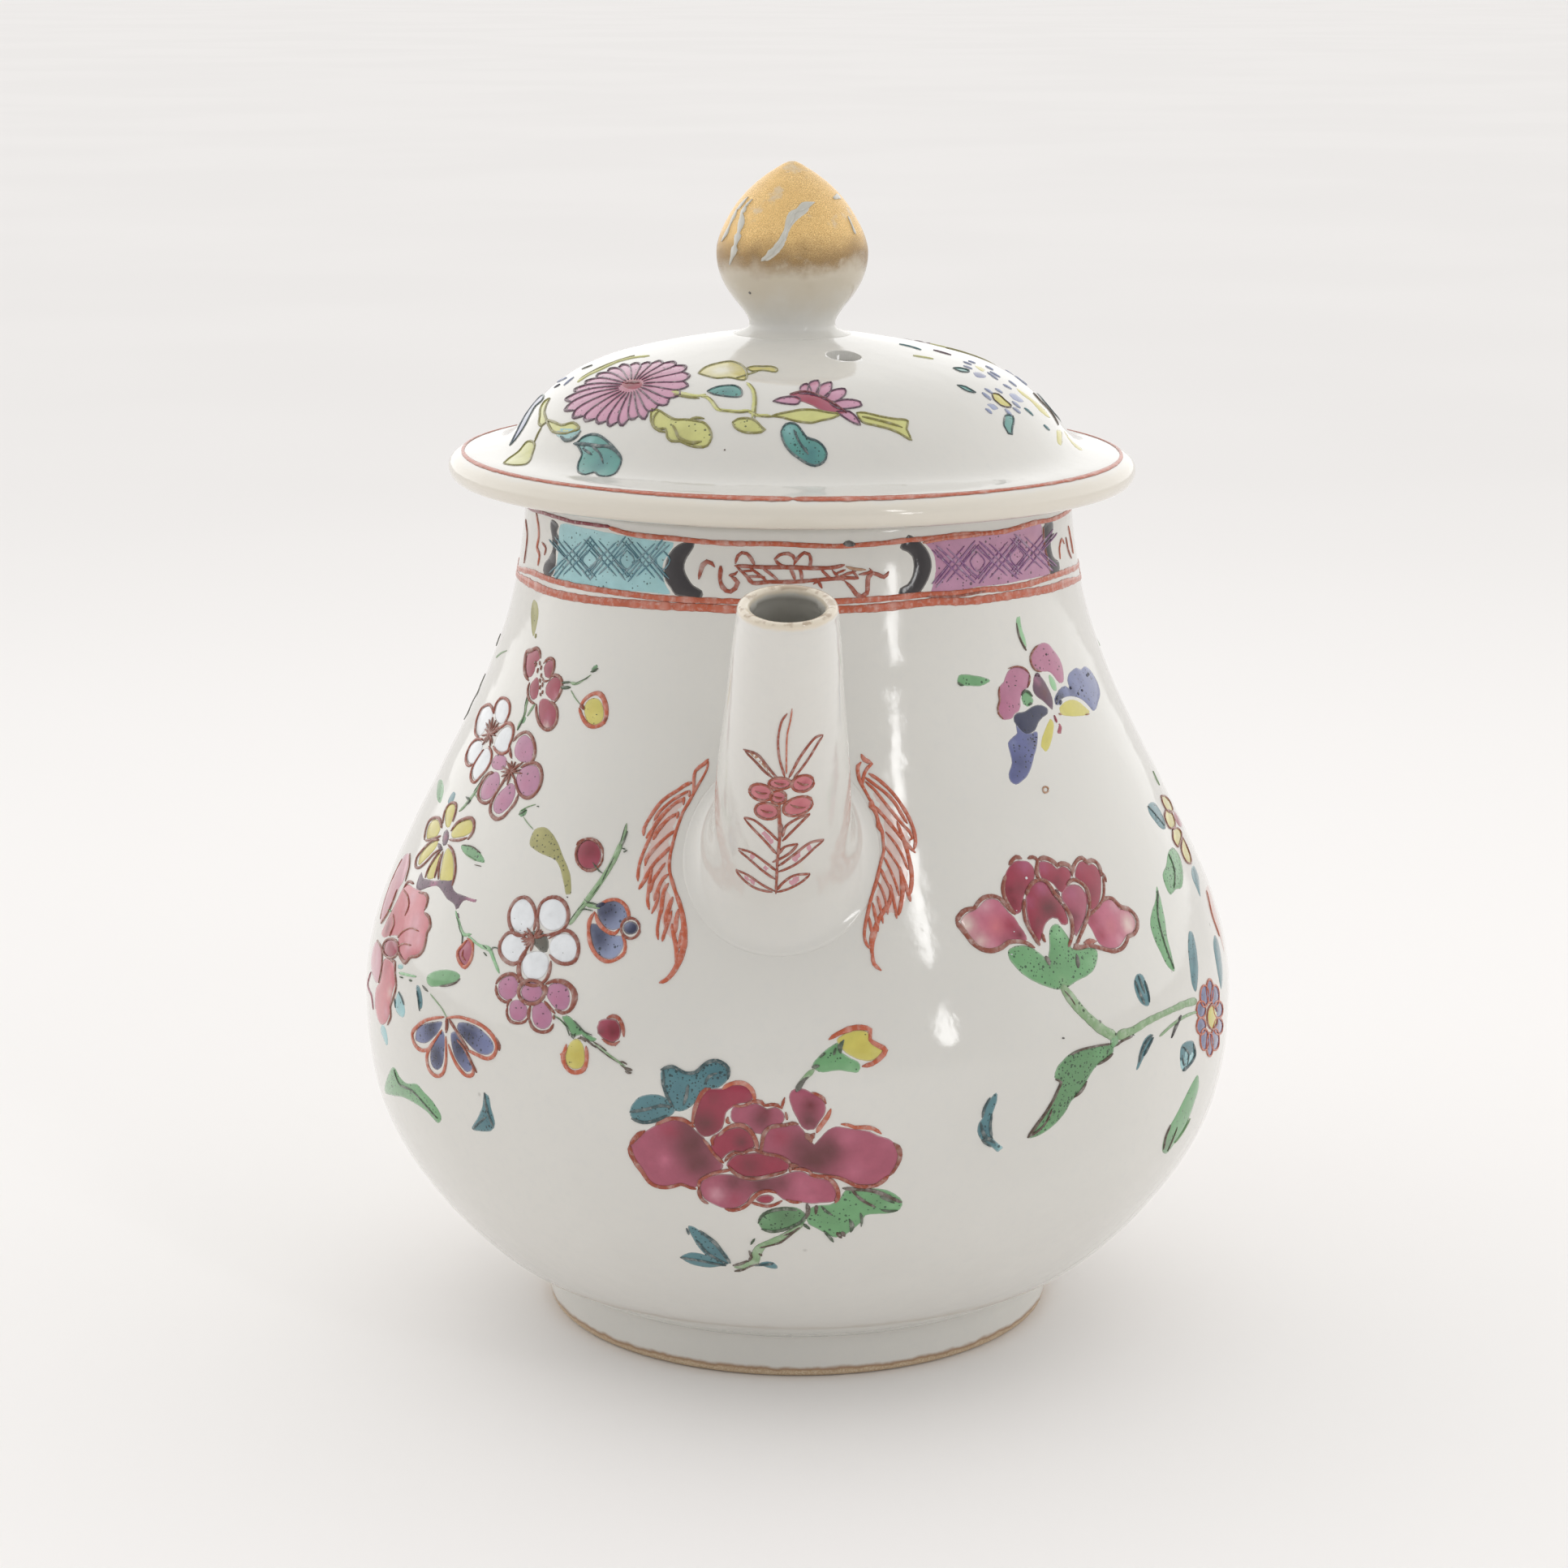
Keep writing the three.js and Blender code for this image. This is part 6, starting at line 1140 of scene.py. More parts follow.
        ("S", "rust", [(14.882, 60.17, 0.309), (15.273, 59.167, 0.425), (15.751, 58.016, 0.463), (15.982, 56.87, 0.425), (16.087, 55.73, 0.424), (15.83, 54.611, 0.424), (15.259, 53.652, 0.346)], 0.075, 1),
        ("S", "rust", [(12.925, 59.32, 0.232), (14.092, 58.362, 0.27), (14.966, 57.266, 0.27), (15.641, 55.891, 0.27)], 0.075, 1),
        ("S", "rust", [(12.57, 58.131, 0.231), (13.38, 57.254, 0.27), (14.175, 56.375, 0.27), (14.776, 55.22, 0.347), (15.119, 54.079, 0.385), (15.383, 53.155, 0.346)], 0.075, 1),
        ("S", "rust", [(12.273, 57.15, 0.27), (12.932, 56.137, 0.27), (13.531, 54.916, 0.269), (13.875, 53.709, 0.269)], 0.075, 1),
        ("S", "rust", [(14.505, 56.22, 0.308), (14.54, 55.229, 0.462), (14.422, 54.108, 0.5), (13.966, 53.004, 0.461), (13.444, 52.041, 0.384)], 0.075, 1),
        ("S", "rust", [(11.633, 56.18, 0.385), (12.078, 55.319, 0.308), (12.805, 54.171, 0.308), (13.056, 53.04, 0.346), (13.17, 51.771, 0.307)], 0.075, 1),
        ("S", "rust", [(11.091, 54.999, 0.308), (11.633, 54.071, 0.269), (11.924, 53.081, 0.307), (12.0, 52.166, 0.307)], 0.075, 1),
        ("S", "rust", [(10.79, 53.818, 0.307), (11.07, 52.689, 0.307), (11.217, 51.42, 0.269)], 0.075, 1),
        ("S", "rust", [(12.793, 54.732, 0.385), (12.754, 53.892, 0.461), (12.263, 53.069, 0.538), (11.363, 52.399, 0.499), (10.595, 51.722, 0.499), (10.044, 50.896, 0.537), (9.631, 50.206, 0.613), (9.44, 49.511, 0.498), (9.448, 48.67, 0.344), (9.579, 47.964, 0.382), (10.458, 47.371, 0.306)], 0.075, 1),
        ("S", "rust", [(10.029, 53.281, 0.23), (10.229, 52.295, 0.345), (10.427, 51.306, 0.307), (10.462, 50.742, 0.268)], 0.075, 1),
        ("S", "rust", [(9.324, 52.181, 0.307), (9.533, 51.192, 0.345), (9.665, 50.486, 0.307)], 0.075, 1),
        ("F", "pale", [(10.58, 63.994), (12.883, 62.861), (15.172, 61.363), (16.733, 59.887), (17.023, 58.104), (16.112, 56.367), (15.553, 53.92), (13.531, 51.897), (12.078, 51.953), (10.271, 50.959), (9.275, 49.936), (9.003, 51.348), (10.284, 54.253), (12.227, 57.576), (12.196, 60.046), (11.389, 61.835)], [], 0, 0.03),
    ]),
    ('neck_band', 'pot', [
        ("S", "wineline", [(-73.084, 85.927, 0.368), (-66.554, 86.153, 0.406), (-61.288, 86.193, 0.404), (-56.613, 86.182, 0.401), (-52.274, 86.137, 0.399), (-48.167, 86.226, 0.398), (-44.667, 86.267, 0.396), (-40.743, 86.32, 0.355)], 0.075, 1),
        ("S", "rust", [(-41.179, 86.218, 0.411), (-36.219, 85.912, 0.512), (-32.613, 85.84, 0.51), (-26.078, 85.864, 0.508), (-19.795, 85.75, 0.506), (-13.487, 85.702, 0.505), (-4.686, 85.775, 0.504), (1.464, 85.633, 0.504), (7.48, 85.515, 0.504), (10.686, 85.551, 0.505), (16.918, 85.661, 0.506), (20.992, 85.787, 0.507), (27.201, 85.816, 0.508), (33.287, 85.883, 0.51), (40.594, 85.689, 0.514), (45.243, 85.596, 0.516), (50.171, 85.705, 0.518), (56.155, 85.809, 0.522), (63.984, 85.603, 0.478)], 0.075, 1),
        ("S", "black", [(8.44, 85.659, 0.31), (9.724, 85.72, 0.621), (11.332, 85.541, 0.311)], 0.1, 1),
        ("S", "rust", [(-87.528, 78.922, 0.544), (-68.482, 79.956, 0.637), (-63.283, 79.963, 0.633), (-58.025, 79.961, 0.629), (-49.439, 80.013, 0.623), (-40.873, 80.079, 0.618), (-33.504, 80.087, 0.614), (-27.027, 80.07, 0.611), (-17.857, 80.154, 0.608), (-12.39, 80.205, 0.607), (-2.262, 80.243, 0.606), (7.015, 80.283, 0.606), (13.006, 80.342, 0.607), (19.198, 80.417, 0.608), (23.96, 80.492, 0.61), (31.715, 80.323, 0.613), (37.865, 80.323, 0.616), (43.971, 80.126, 0.62), (51.288, 80.045, 0.624), (60.549, 80.095, 0.631), (69.576, 79.952, 0.638), (86.77, 79.33, 0.544)], 0.075, 1),
        ("S", "rust", [(-87.783, 78.392, 0.545), (-72.714, 78.783, 0.854), (-65.463, 78.812, 0.847), (-59.775, 78.779, 0.841), (-53.942, 78.818, 0.835), (-44.609, 78.983, 0.827), (-33.329, 79.238, 0.819), (-23.787, 79.383, 0.813), (-17.79, 79.462, 0.811), (-12.34, 79.438, 0.809), (-2.253, 79.477, 0.808), (7.92, 79.505, 0.808), (14.709, 79.535, 0.81), (21.125, 79.662, 0.812), (27.915, 79.715, 0.815), (33.85, 79.439, 0.819), (39.319, 79.379, 0.823), (48.341, 79.29, 0.83), (59.919, 79.011, 0.841), (68.566, 78.887, 0.85), (87.363, 78.005, 0.545)], 0.075, 1),
        ("F", "turquoise", [(-57.164, 85.581), (-46.334, 85.855), (-38.082, 85.743), (-30.863, 85.601), (-24.98, 85.433), (-25.984, 84.539), (-27.142, 83.562), (-27.382, 82.619), (-26.699, 81.559), (-25.327, 80.525), (-30.159, 80.401), (-37.121, 80.29), (-45.008, 80.222), (-54.57, 80.134), (-57.737, 80.063), (-57.428, 81.617), (-57.109, 83.249), (-57.588, 84.585)], [(-53.011, 82.326, 0.961, "tealpale", 0.6), (-35.483, 83.353, 1.968, "teal", 0.35), (-29.376, 81.293, 1.098, "tealpale", 0.5)], 0.1, 0.06),
        ("S", "hatch", [(-51.385, 82.595, 0.192), (-54.91, 83.4, 0.193), (-58.875, 84.255, 0.177)], 0.1, 1),
        ("S", "hatch", [(-51.385, 82.595, 0.192), (-48.764, 83.798, 0.191), (-46.22, 85.065, 0.175)], 0.1, 1),
        ("S", "hatch", [(-51.385, 82.595, 0.192), (-54.148, 81.367, 0.193), (-57.056, 80.033, 0.177)], 0.1, 1),
        ("S", "hatch", [(-51.385, 82.595, 0.192), (-48.173, 81.767, 0.191), (-45.184, 80.845, 0.175)], 0.1, 1),
        ("S", "hatch", [(-53.067, 82.483, 0.128), (-56.435, 83.215, 0.145), (-59.427, 83.813, 0.129)], 0.1, 1),
        ("S", "hatch", [(-49.773, 82.699, 0.128), (-47.47, 83.798, 0.143), (-45.664, 84.7, 0.127)], 0.1, 1),
        ("S", "hatch", [(-53.067, 82.483, 0.128), (-55.683, 81.339, 0.145), (-57.888, 80.374, 0.129)], 0.1, 1),
        ("S", "hatch", [(-49.773, 82.699, 0.128), (-46.951, 81.924, 0.143), (-44.819, 81.264, 0.127)], 0.1, 1),
        ("S", "hatch", [(-40.944, 83.227, 0.19), (-43.633, 84.103, 0.19), (-46.467, 85.051, 0.175)], 0.1, 1),
        ("S", "hatch", [(-40.944, 83.227, 0.19), (-38.764, 84.367, 0.189), (-36.601, 85.579, 0.173)], 0.1, 1),
        ("S", "hatch", [(-40.944, 83.227, 0.19), (-43.156, 82.076, 0.19), (-45.419, 80.83, 0.175)], 0.1, 1),
        ("S", "hatch", [(-40.944, 83.227, 0.19), (-38.379, 82.343, 0.189), (-35.918, 81.373, 0.173)], 0.1, 1),
        ("S", "hatch", [(-42.273, 83.153, 0.127), (-44.788, 83.957, 0.143), (-46.894, 84.628, 0.127)], 0.1, 1),
        ("S", "hatch", [(-39.646, 83.297, 0.126), (-37.702, 84.343, 0.142), (-36.152, 85.206, 0.126)], 0.1, 1),
        ("S", "hatch", [(-42.273, 83.153, 0.127), (-44.324, 82.085, 0.143), (-46.004, 81.19, 0.127)], 0.1, 1),
        ("S", "hatch", [(-39.646, 83.297, 0.126), (-37.361, 82.475, 0.142), (-35.594, 81.782, 0.126)], 0.1, 1),
        ("S", "hatch", [(-31.402, 83.542, 0.188), (-33.655, 84.459, 0.189), (-35.972, 85.451, 0.173)], 0.1, 1),
        ("S", "hatch", [(-31.402, 83.542, 0.188), (-29.462, 84.64, 0.188), (-27.525, 85.811, 0.172)], 0.1, 1),
        ("S", "hatch", [(-31.402, 83.542, 0.188), (-33.342, 82.439, 0.189), (-35.293, 81.249, 0.173)], 0.1, 1),
        ("S", "hatch", [(-31.402, 83.542, 0.188), (-29.206, 82.623, 0.188), (-27.065, 81.622, 0.172)], 0.1, 1),
        ("S", "hatch", [(-32.545, 83.492, 0.126), (-34.631, 84.335, 0.142), (-36.339, 85.04, 0.126)], 0.1, 1),
        ("S", "hatch", [(-30.275, 83.591, 0.125), (-28.532, 84.599, 0.141), (-27.135, 85.434, 0.125)], 0.1, 1),
        ("S", "hatch", [(-32.545, 83.492, 0.126), (-34.327, 82.47, 0.142), (-35.763, 81.616, 0.126)], 0.1, 1),
        ("S", "hatch", [(-30.275, 83.591, 0.125), (-28.306, 82.738, 0.141), (-26.762, 82.022, 0.125)], 0.1, 1),
        ("S", "hatch", [(-46.194, 83.716, 0.143), (-48.176, 82.642, 0.143), (-45.696, 81.844, 0.143), (-43.828, 82.905, 0.143), (-46.194, 83.716, 0.143)], 0.1, 1),
        ("S", "black", [(-46.106, 82.77, 0.216), (-45.793, 82.773, 0.216)], 0.11, 1),
        ("S", "hatch", [(-36.035, 84.268, 0.142), (-37.721, 83.241, 0.142), (-35.712, 82.402, 0.142), (-34.097, 83.42, 0.142), (-36.035, 84.268, 0.142)], 0.1, 1),
        ("S", "black", [(-36.013, 83.327, 0.214), (-35.753, 83.325, 0.214)], 0.11, 1),
        ("S", "hatch", [(-27.619, 84.634, 0.141), (-29.163, 83.637, 0.141), (-27.403, 82.774, 0.141), (-25.909, 83.763, 0.141), (-27.619, 84.634, 0.141)], 0.1, 1),
        ("S", "black", [(-27.637, 83.698, 0.213), (-27.404, 83.692, 0.213)], 0.11, 1),
        ("S", "black", [(-51.941, 83.836, 0.19), (-51.623, 83.841, 0.19)], 0.11, 1),
        ("S", "black", [(-51.12, 81.335, 0.19), (-50.812, 81.339, 0.19)], 0.11, 1),
        ("S", "black", [(-41.322, 84.548, 0.188), (-41.071, 84.545, 0.188)], 0.11, 1),
        ("S", "black", [(-40.767, 81.898, 0.188), (-40.521, 81.896, 0.188)], 0.11, 1),
        ("S", "black", [(-31.662, 84.783, 0.187), (-31.447, 84.776, 0.187)], 0.11, 1),
        ("S", "black", [(-31.302, 82.221, 0.187), (-31.09, 82.215, 0.187)], 0.11, 1),
        ("S", "black", [(-43.45, 84.985, 0.189), (-43.189, 84.984, 0.189)], 0.11, 1),
        ("S", "black", [(-34.835, 85.111, 0.187), (-34.609, 85.106, 0.187)], 0.11, 1),
        ("S", "black", [(-43.712, 81.015, 0.189), (-43.452, 81.015, 0.189)], 0.11, 1),
        ("S", "black", [(-33.001, 80.971, 0.187), (-32.785, 80.966, 0.187)], 0.11, 1),
        ("F", "panel", [(25.19, 85.497), (27.181, 85.504), (32.478, 85.604), (36.295, 85.588), (45.243, 85.596), (50.159, 85.626), (58.835, 85.551), (59.276, 84.389), (59.54, 83.077), (60.661, 81.623), (61.181, 80.533), (54.328, 80.392), (48.75, 80.455), (44.061, 80.437), (37.508, 80.578), (33.666, 80.463), (28.036, 80.487), (26.053, 80.412), (26.964, 81.772), (27.509, 83.071), (27.097, 84.334)], [(30.926, 83.554, 1.413, "lilac", 0.5), (43.349, 82.927, 1.586, "panel", 0.4), (54.151, 83.849, 1.122, "blush", 0.5)], 0.2, 0.06),
        ("S", "purple", [(32.206, 83.107, 0.236), (30.046, 84.139, 0.235), (27.888, 85.086, 0.203)], 0.1, 1),
        ("S", "purple", [(30.861, 83.088, 0.118), (29.095, 84.021, 0.125), (27.676, 84.702, 0.11)], 0.1, 1),
        ("S", "purple", [(32.206, 83.107, 0.236), (34.712, 84.088, 0.236), (37.296, 85.145, 0.205)], 0.1, 1),
        ("S", "purple", [(33.576, 83.122, 0.118), (35.72, 84.04, 0.126), (37.464, 84.742, 0.11)], 0.1, 1),
        ("S", "purple", [(32.206, 83.107, 0.236), (29.768, 82.123, 0.235), (27.399, 81.057, 0.204)], 0.1, 1),
        ("S", "purple", [(30.861, 83.088, 0.118), (28.846, 82.162, 0.125), (27.277, 81.45, 0.11)], 0.1, 1),
        ("S", "purple", [(32.206, 83.107, 0.236), (34.376, 82.068, 0.236), (36.593, 81.097, 0.205)], 0.1, 1),
        ("S", "purple", [(33.576, 83.122, 0.118), (35.398, 82.175, 0.126), (36.881, 81.473, 0.11)], 0.1, 1),
        ("S", "purple", [(43.349, 82.927, 0.238), (40.831, 84.015, 0.237), (38.342, 85.014, 0.205)], 0.1, 1),
        ("S", "purple", [(41.744, 82.939, 0.119), (39.712, 83.917, 0.126), (38.086, 84.632, 0.11)], 0.1, 1),
        ("S", "purple", [(43.349, 82.927, 0.238), (46.456, 83.854, 0.239), (49.764, 84.85, 0.207)], 0.1, 1),
        ("S", "purple", [(45.006, 82.909, 0.119), (47.709, 83.779, 0.127), (49.963, 84.438, 0.112)], 0.1, 1),
        ("S", "purple", [(43.349, 82.927, 0.238), (40.403, 81.99, 0.237), (37.595, 80.965, 0.205)], 0.1, 1),
        ("S", "purple", [(41.744, 82.939, 0.119), (39.33, 82.049, 0.126), (37.478, 81.363, 0.111)], 0.1, 1),
        ("S", "purple", [(43.349, 82.927, 0.238), (45.915, 81.825, 0.239), (48.603, 80.783, 0.207)], 0.1, 1),
        ("S", "purple", [(45.006, 82.909, 0.119), (47.184, 81.905, 0.127), (48.994, 81.155, 0.112)], 0.1, 1),
        ("S", "purple", [(54.778, 82.925, 0.241), (51.561, 84.098, 0.24), (48.478, 85.168, 0.207)], 0.1, 1),
        ("S", "purple", [(52.69, 82.984, 0.12), (50.151, 84.027, 0.128), (48.157, 84.788, 0.111)], 0.1, 1),
        ("S", "purple", [(54.778, 82.925, 0.241), (59.079, 83.756, 0.242), (64.133, 84.615, 0.211)], 0.1, 1),
        ("S", "purple", [(57.003, 82.852, 0.121), (60.893, 83.628, 0.129), (64.428, 84.187, 0.114)], 0.1, 1),
        ("S", "purple", [(54.778, 82.925, 0.241), (50.94, 82.062, 0.24), (47.427, 81.097, 0.207)], 0.1, 1),
        ("S", "purple", [(52.69, 82.984, 0.12), (49.606, 82.149, 0.128), (47.306, 81.501, 0.112)], 0.1, 1),
        ("S", "purple", [(54.778, 82.925, 0.241), (58.181, 81.723, 0.242), (61.976, 80.553, 0.211)], 0.1, 1),
        ("S", "purple", [(57.003, 82.852, 0.121), (59.984, 81.753, 0.129), (62.6, 80.911, 0.113)], 0.1, 1),
        ("S", "purple", [(37.794, 84.016, 0.142), (35.791, 83.173, 0.142), (37.445, 82.149, 0.142), (39.539, 82.981, 0.142), (37.794, 84.016, 0.142)], 0.1, 1),
        ("S", "black", [(37.504, 83.087, 0.215), (37.768, 83.058, 0.215)], 0.11, 1),
        ("S", "purple", [(49.298, 83.841, 0.144), (46.765, 83.041, 0.143), (48.748, 81.965, 0.144), (51.461, 82.746, 0.144), (49.298, 83.841, 0.144)], 0.1, 1),
        ("S", "black", [(48.882, 82.911, 0.217), (49.211, 82.874, 0.217)], 0.11, 1),
        ("S", "brown", [(59.477, 85.184, 0.201), (59.405, 83.652, 0.202), (60.11, 81.987, 0.202), (60.859, 80.638, 0.202)], 0.09, 1),
        ("S", "rust", [(66.535, 81.422, 0.244), (66.87, 82.538, 0.244), (68.992, 83.276, 0.245), (70.323, 82.683, 0.204)], 0.075, 1),
        ("S", "iron", [(72.087, 83.204, 0.246), (72.842, 81.827, 0.287), (74.786, 80.844, 0.247)], 0.075, 1),
        ("S", "rust", [(75.252, 84.115, 0.247), (76.577, 82.687, 0.247), (77.236, 81.14, 0.248)], 0.075, 1),
        ("S", "rust", [(-69.714, 85.844, 0.326), (-67.461, 84.535, 0.325), (-66.827, 83.439, 0.366), (-67.278, 82.588, 0.407), (-65.374, 81.917, 0.366), (-65.622, 80.838, 0.325)], 0.075, 1),
        ("S", "iron", [(-64.812, 83.263, 0.243), (-62.403, 82.79, 0.243), (-62.857, 82.108, 0.243)], 0.075, 1),
        ("S", "iron", [(-80.077, 84.405, 0.248), (-75.707, 83.086, 0.247), (-75.457, 81.45, 0.247), (-75.702, 80.269, 0.247)], 0.075, 1),
        ("S", "iron", [(-19.694, 82.109, 0.304), (-19.425, 82.812, 0.405), (-18.984, 83.52, 0.456), (-18.174, 83.851, 0.456), (-17.169, 83.722, 0.405), (-16.482, 83.352, 0.304)], 0.075, 1),
        ("S", "iron", [(-15.347, 83.533, 0.809), (-15.316, 83.071, 0.506), (-15.423, 82.297, 0.455), (-14.88, 81.539, 0.455), (-14.049, 81.172, 0.455), (-13.244, 81.112, 0.455), (-12.306, 81.438, 0.455), (-11.86, 81.985, 0.455), (-12.522, 82.358, 0.404), (-13.338, 82.573, 0.303)], 0.075, 1),
        ("S", "iron", [(-12.439, 83.746, 0.303), (-11.989, 84.527, 0.353), (-11.195, 84.85, 0.353), (-10.231, 84.787, 0.353), (-9.256, 84.259, 0.353), (-8.6, 83.65, 0.303)], 0.075, 1),
        ("S", "iron", [(-12.592, 83.589, 0.303), (-9.709, 83.558, 0.404), (-5.753, 83.525, 0.404), (-1.517, 83.547, 0.454), (2.868, 83.464, 0.403), (6.804, 83.512, 0.404), (8.874, 83.719, 0.303)], 0.075, 1),
        ("S", "iron", [(-10.137, 82.475, 0.303), (-9.009, 82.029, 0.404), (-5.716, 82.142, 0.404), (-1.507, 82.164, 0.404), (2.854, 82.312, 0.404), (6.773, 82.436, 0.404), (9.939, 82.472, 0.354), (11.53, 82.369, 0.303)], 0.075, 1),
        ("S", "iron", [(-13.665, 82.643, 0.303), (-12.389, 82.822, 0.303), (-11.921, 83.061, 0.303)], 0.075, 1),
        ("S", "iron", [(-12.266, 83.517, 0.253), (-10.632, 82.852, 0.303), (-8.53, 81.882, 0.252)], 0.075, 1),
        ("S", "iron", [(-9.706, 83.481, 0.252), (-7.94, 82.888, 0.303), (-6.029, 82.14, 0.252)], 0.075, 1),
        ("S", "iron", [(-7.329, 83.51, 0.252), (-5.739, 82.987, 0.303), (-3.844, 82.232, 0.252)], 0.075, 1),
        ("S", "iron", [(-11.282, 83.072, 0.253), (-8.583, 83.188, 0.252)], 0.075, 1),
        ("S", "iron", [(-9.986, 82.631, 0.252), (-6.513, 82.596, 0.252)], 0.075, 1),
        ("S", "iron", [(-2.144, 83.622, 0.303), (-3.4, 83.695, 0.353), (-4.666, 84.304, 0.353), (-3.884, 84.695, 0.353), (-2.154, 84.857, 0.353), (-1.21, 84.627, 0.353), (-0.737, 84.165, 0.353), (-1.048, 83.702, 0.303)], 0.075, 1),
        ("S", "iron", [(-1.049, 83.779, 0.303), (-0.266, 84.396, 0.353), (0.991, 84.937, 0.353), (1.935, 84.78, 0.353), (2.246, 84.161, 0.353), (1.926, 83.314, 0.303)], 0.075, 1),
        ("S", "iron", [(-1.83, 83.546, 0.303), (-1.2, 82.932, 0.353), (-0.729, 82.242, 0.303)], 0.075, 1),
        ("S", "iron", [(-0.265, 83.702, 0.303), (0.361, 83.087, 0.353), (0.516, 82.165, 0.303)], 0.075, 1),
        ("S", "iron", [(3.967, 83.459, 0.252), (5.212, 82.835, 0.303), (6.454, 82.286, 0.252)], 0.075, 1),
        ("S", "iron", [(6.325, 83.286, 0.252), (7.411, 82.66, 0.303), (8.815, 82.181, 0.252)], 0.075, 1),
        ("S", "iron", [(6.945, 82.895, 0.252), (9.017, 83.255, 0.252)], 0.075, 1),
        ("S", "iron", [(7.405, 82.506, 0.252), (9.32, 82.866, 0.303), (11.085, 83.069, 0.253)], 0.075, 1),
        ("S", "iron", [(10.289, 83.159, 0.252), (11.53, 82.369, 0.253)], 0.075, 1),
        ("S", "iron", [(8.815, 82.181, 0.303), (10.207, 81.469, 0.404), (10.971, 80.918, 0.455), (12.07, 80.668, 0.455), (13.046, 80.956, 0.455), (13.257, 81.721, 0.455), (13.468, 82.486, 0.455), (14.304, 82.854, 0.405), (15.435, 82.675, 0.405), (16.566, 82.417, 0.405), (17.244, 82.631, 0.354), (17.601, 82.93, 0.304)], 0.075, 1),
        ("S", "iron", [(13.682, 83.33, 0.303), (14.156, 83.089, 0.303), (13.331, 82.874, 0.303), (11.551, 82.754, 0.303)], 0.075, 1),
        ("S", "iron", [(2.693, 81.929, 0.303), (3.477, 82.232, 0.404), (4.4, 81.536, 0.303)], 0.075, 1),
        ("S", "sand", [(9.028, 83.563, 0.233), (10.616, 83.308, 0.311), (13.025, 83.188, 0.233)], 0.075, 1),
        ("F", "black", [(-20.642, 85.648), (-22.879, 85.581), (-24.955, 85.044), (-26.476, 84.054), (-27.054, 82.865), (-26.73, 81.791), (-25.581, 81.136), (-24.45, 80.481), (-22.551, 80.394), (-21.01, 80.213), (-19.349, 80.265), (-18.555, 80.597), (-18.927, 81.05), (-20.636, 81.462), (-21.89, 82.119), (-22.845, 83.016), (-22.586, 83.878), (-21.449, 84.768), (-20.959, 85.172)], [], 0, 0.115),
        ("F", "black", [(21.882, 86.306), (23.091, 86.035), (24.477, 85.521), (25.862, 84.77), (26.692, 83.881), (26.785, 83.099), (26.126, 82.193), (24.745, 81.16), (23.271, 80.516), (21.195, 80.278), (19.871, 80.474), (19.403, 80.797), (19.783, 81.249), (21.341, 81.587), (22.453, 82.323), (22.899, 83.238), (22.633, 84.178), (21.625, 84.677), (19.932, 85.116), (20.988, 85.709)], [], 0, 0.115),
        ("F", "black", [(-61.176, 85.715), (-58.929, 85.706), (-57.426, 85.241), (-57.972, 84.72), (-57.132, 84.213), (-57.967, 82.867), (-57.529, 81.851), (-57.81, 80.944), (-58.888, 80.299), (-61.41, 80.189), (-62.825, 80.567), (-62.433, 81.328), (-60.497, 82.12), (-59.439, 83.005), (-60.302, 84.156), (-61.386, 85.051)], [], 0, 0.115),
        ("F", "black", [(60.696, 85.587), (64.352, 85.332), (64.598, 84.663), (63.037, 83.962), (62.613, 83.018), (63.235, 81.917), (65.844, 81.149), (65.893, 80.574), (63.243, 79.968), (60.77, 80.483), (60.213, 81.494), (59.399, 82.764), (59.231, 84.23), (59.839, 85.16)], [], 0, 0.115),
        ("S", "hatch", [(-48.901, 84.357, 0.143), (-53.959, 82.48, 0.176), (-59.707, 80.506, 0.145)], 0.1, 1),
        ("S", "hatch", [(-44.42, 84.508, 0.143), (-48.973, 82.693, 0.175), (-53.937, 80.811, 0.144)], 0.1, 1),
        ("S", "hatch", [(-61.298, 83.787, 0.145), (-53.959, 82.48, 0.176), (-47.966, 81.075, 0.143)], 0.1, 1),
        ("S", "hatch", [(-55.146, 84.096, 0.144), (-48.973, 82.693, 0.175), (-43.637, 81.231, 0.143)], 0.1, 1),
        ("S", "hatch", [(-38.843, 84.925, 0.142), (-42.963, 83.17, 0.174), (-47.294, 81.372, 0.143)], 0.1, 1),
        ("S", "hatch", [(-35.112, 84.994, 0.142), (-38.996, 83.275, 0.174), (-43.019, 81.521, 0.143)], 0.1, 1),
        ("S", "hatch", [(-48.179, 84.656, 0.143), (-42.963, 83.17, 0.174), (-38.234, 81.653, 0.142)], 0.1, 1),
        ("S", "hatch", [(-43.759, 84.8, 0.143), (-38.996, 83.275, 0.174), (-34.588, 81.729, 0.142)], 0.1, 1),
        ("S", "hatch", [(-29.512, 85.195, 0.141), (-33.132, 83.521, 0.173), (-36.819, 81.822, 0.142)], 0.1, 1),
        ("S", "hatch", [(-26.216, 85.208, 0.141), (-29.709, 83.558, 0.172), (-33.245, 81.887, 0.142)], 0.1, 1),
        ("S", "hatch", [(-37.382, 85.093, 0.142), (-33.132, 83.521, 0.173), (-29.105, 81.936, 0.141)], 0.1, 1),
        ("S", "hatch", [(-33.731, 85.153, 0.141), (-29.709, 83.558, 0.172), (-25.863, 81.954, 0.141)], 0.1, 1),
        ("S", "purple", [(34.585, 84.748, 0.142), (30.483, 83.098, 0.173), (26.556, 81.441, 0.141)], 0.1, 1),
        ("S", "purple", [(38.311, 84.738, 0.142), (33.97, 83.11, 0.173), (29.847, 81.473, 0.141)], 0.1, 1),
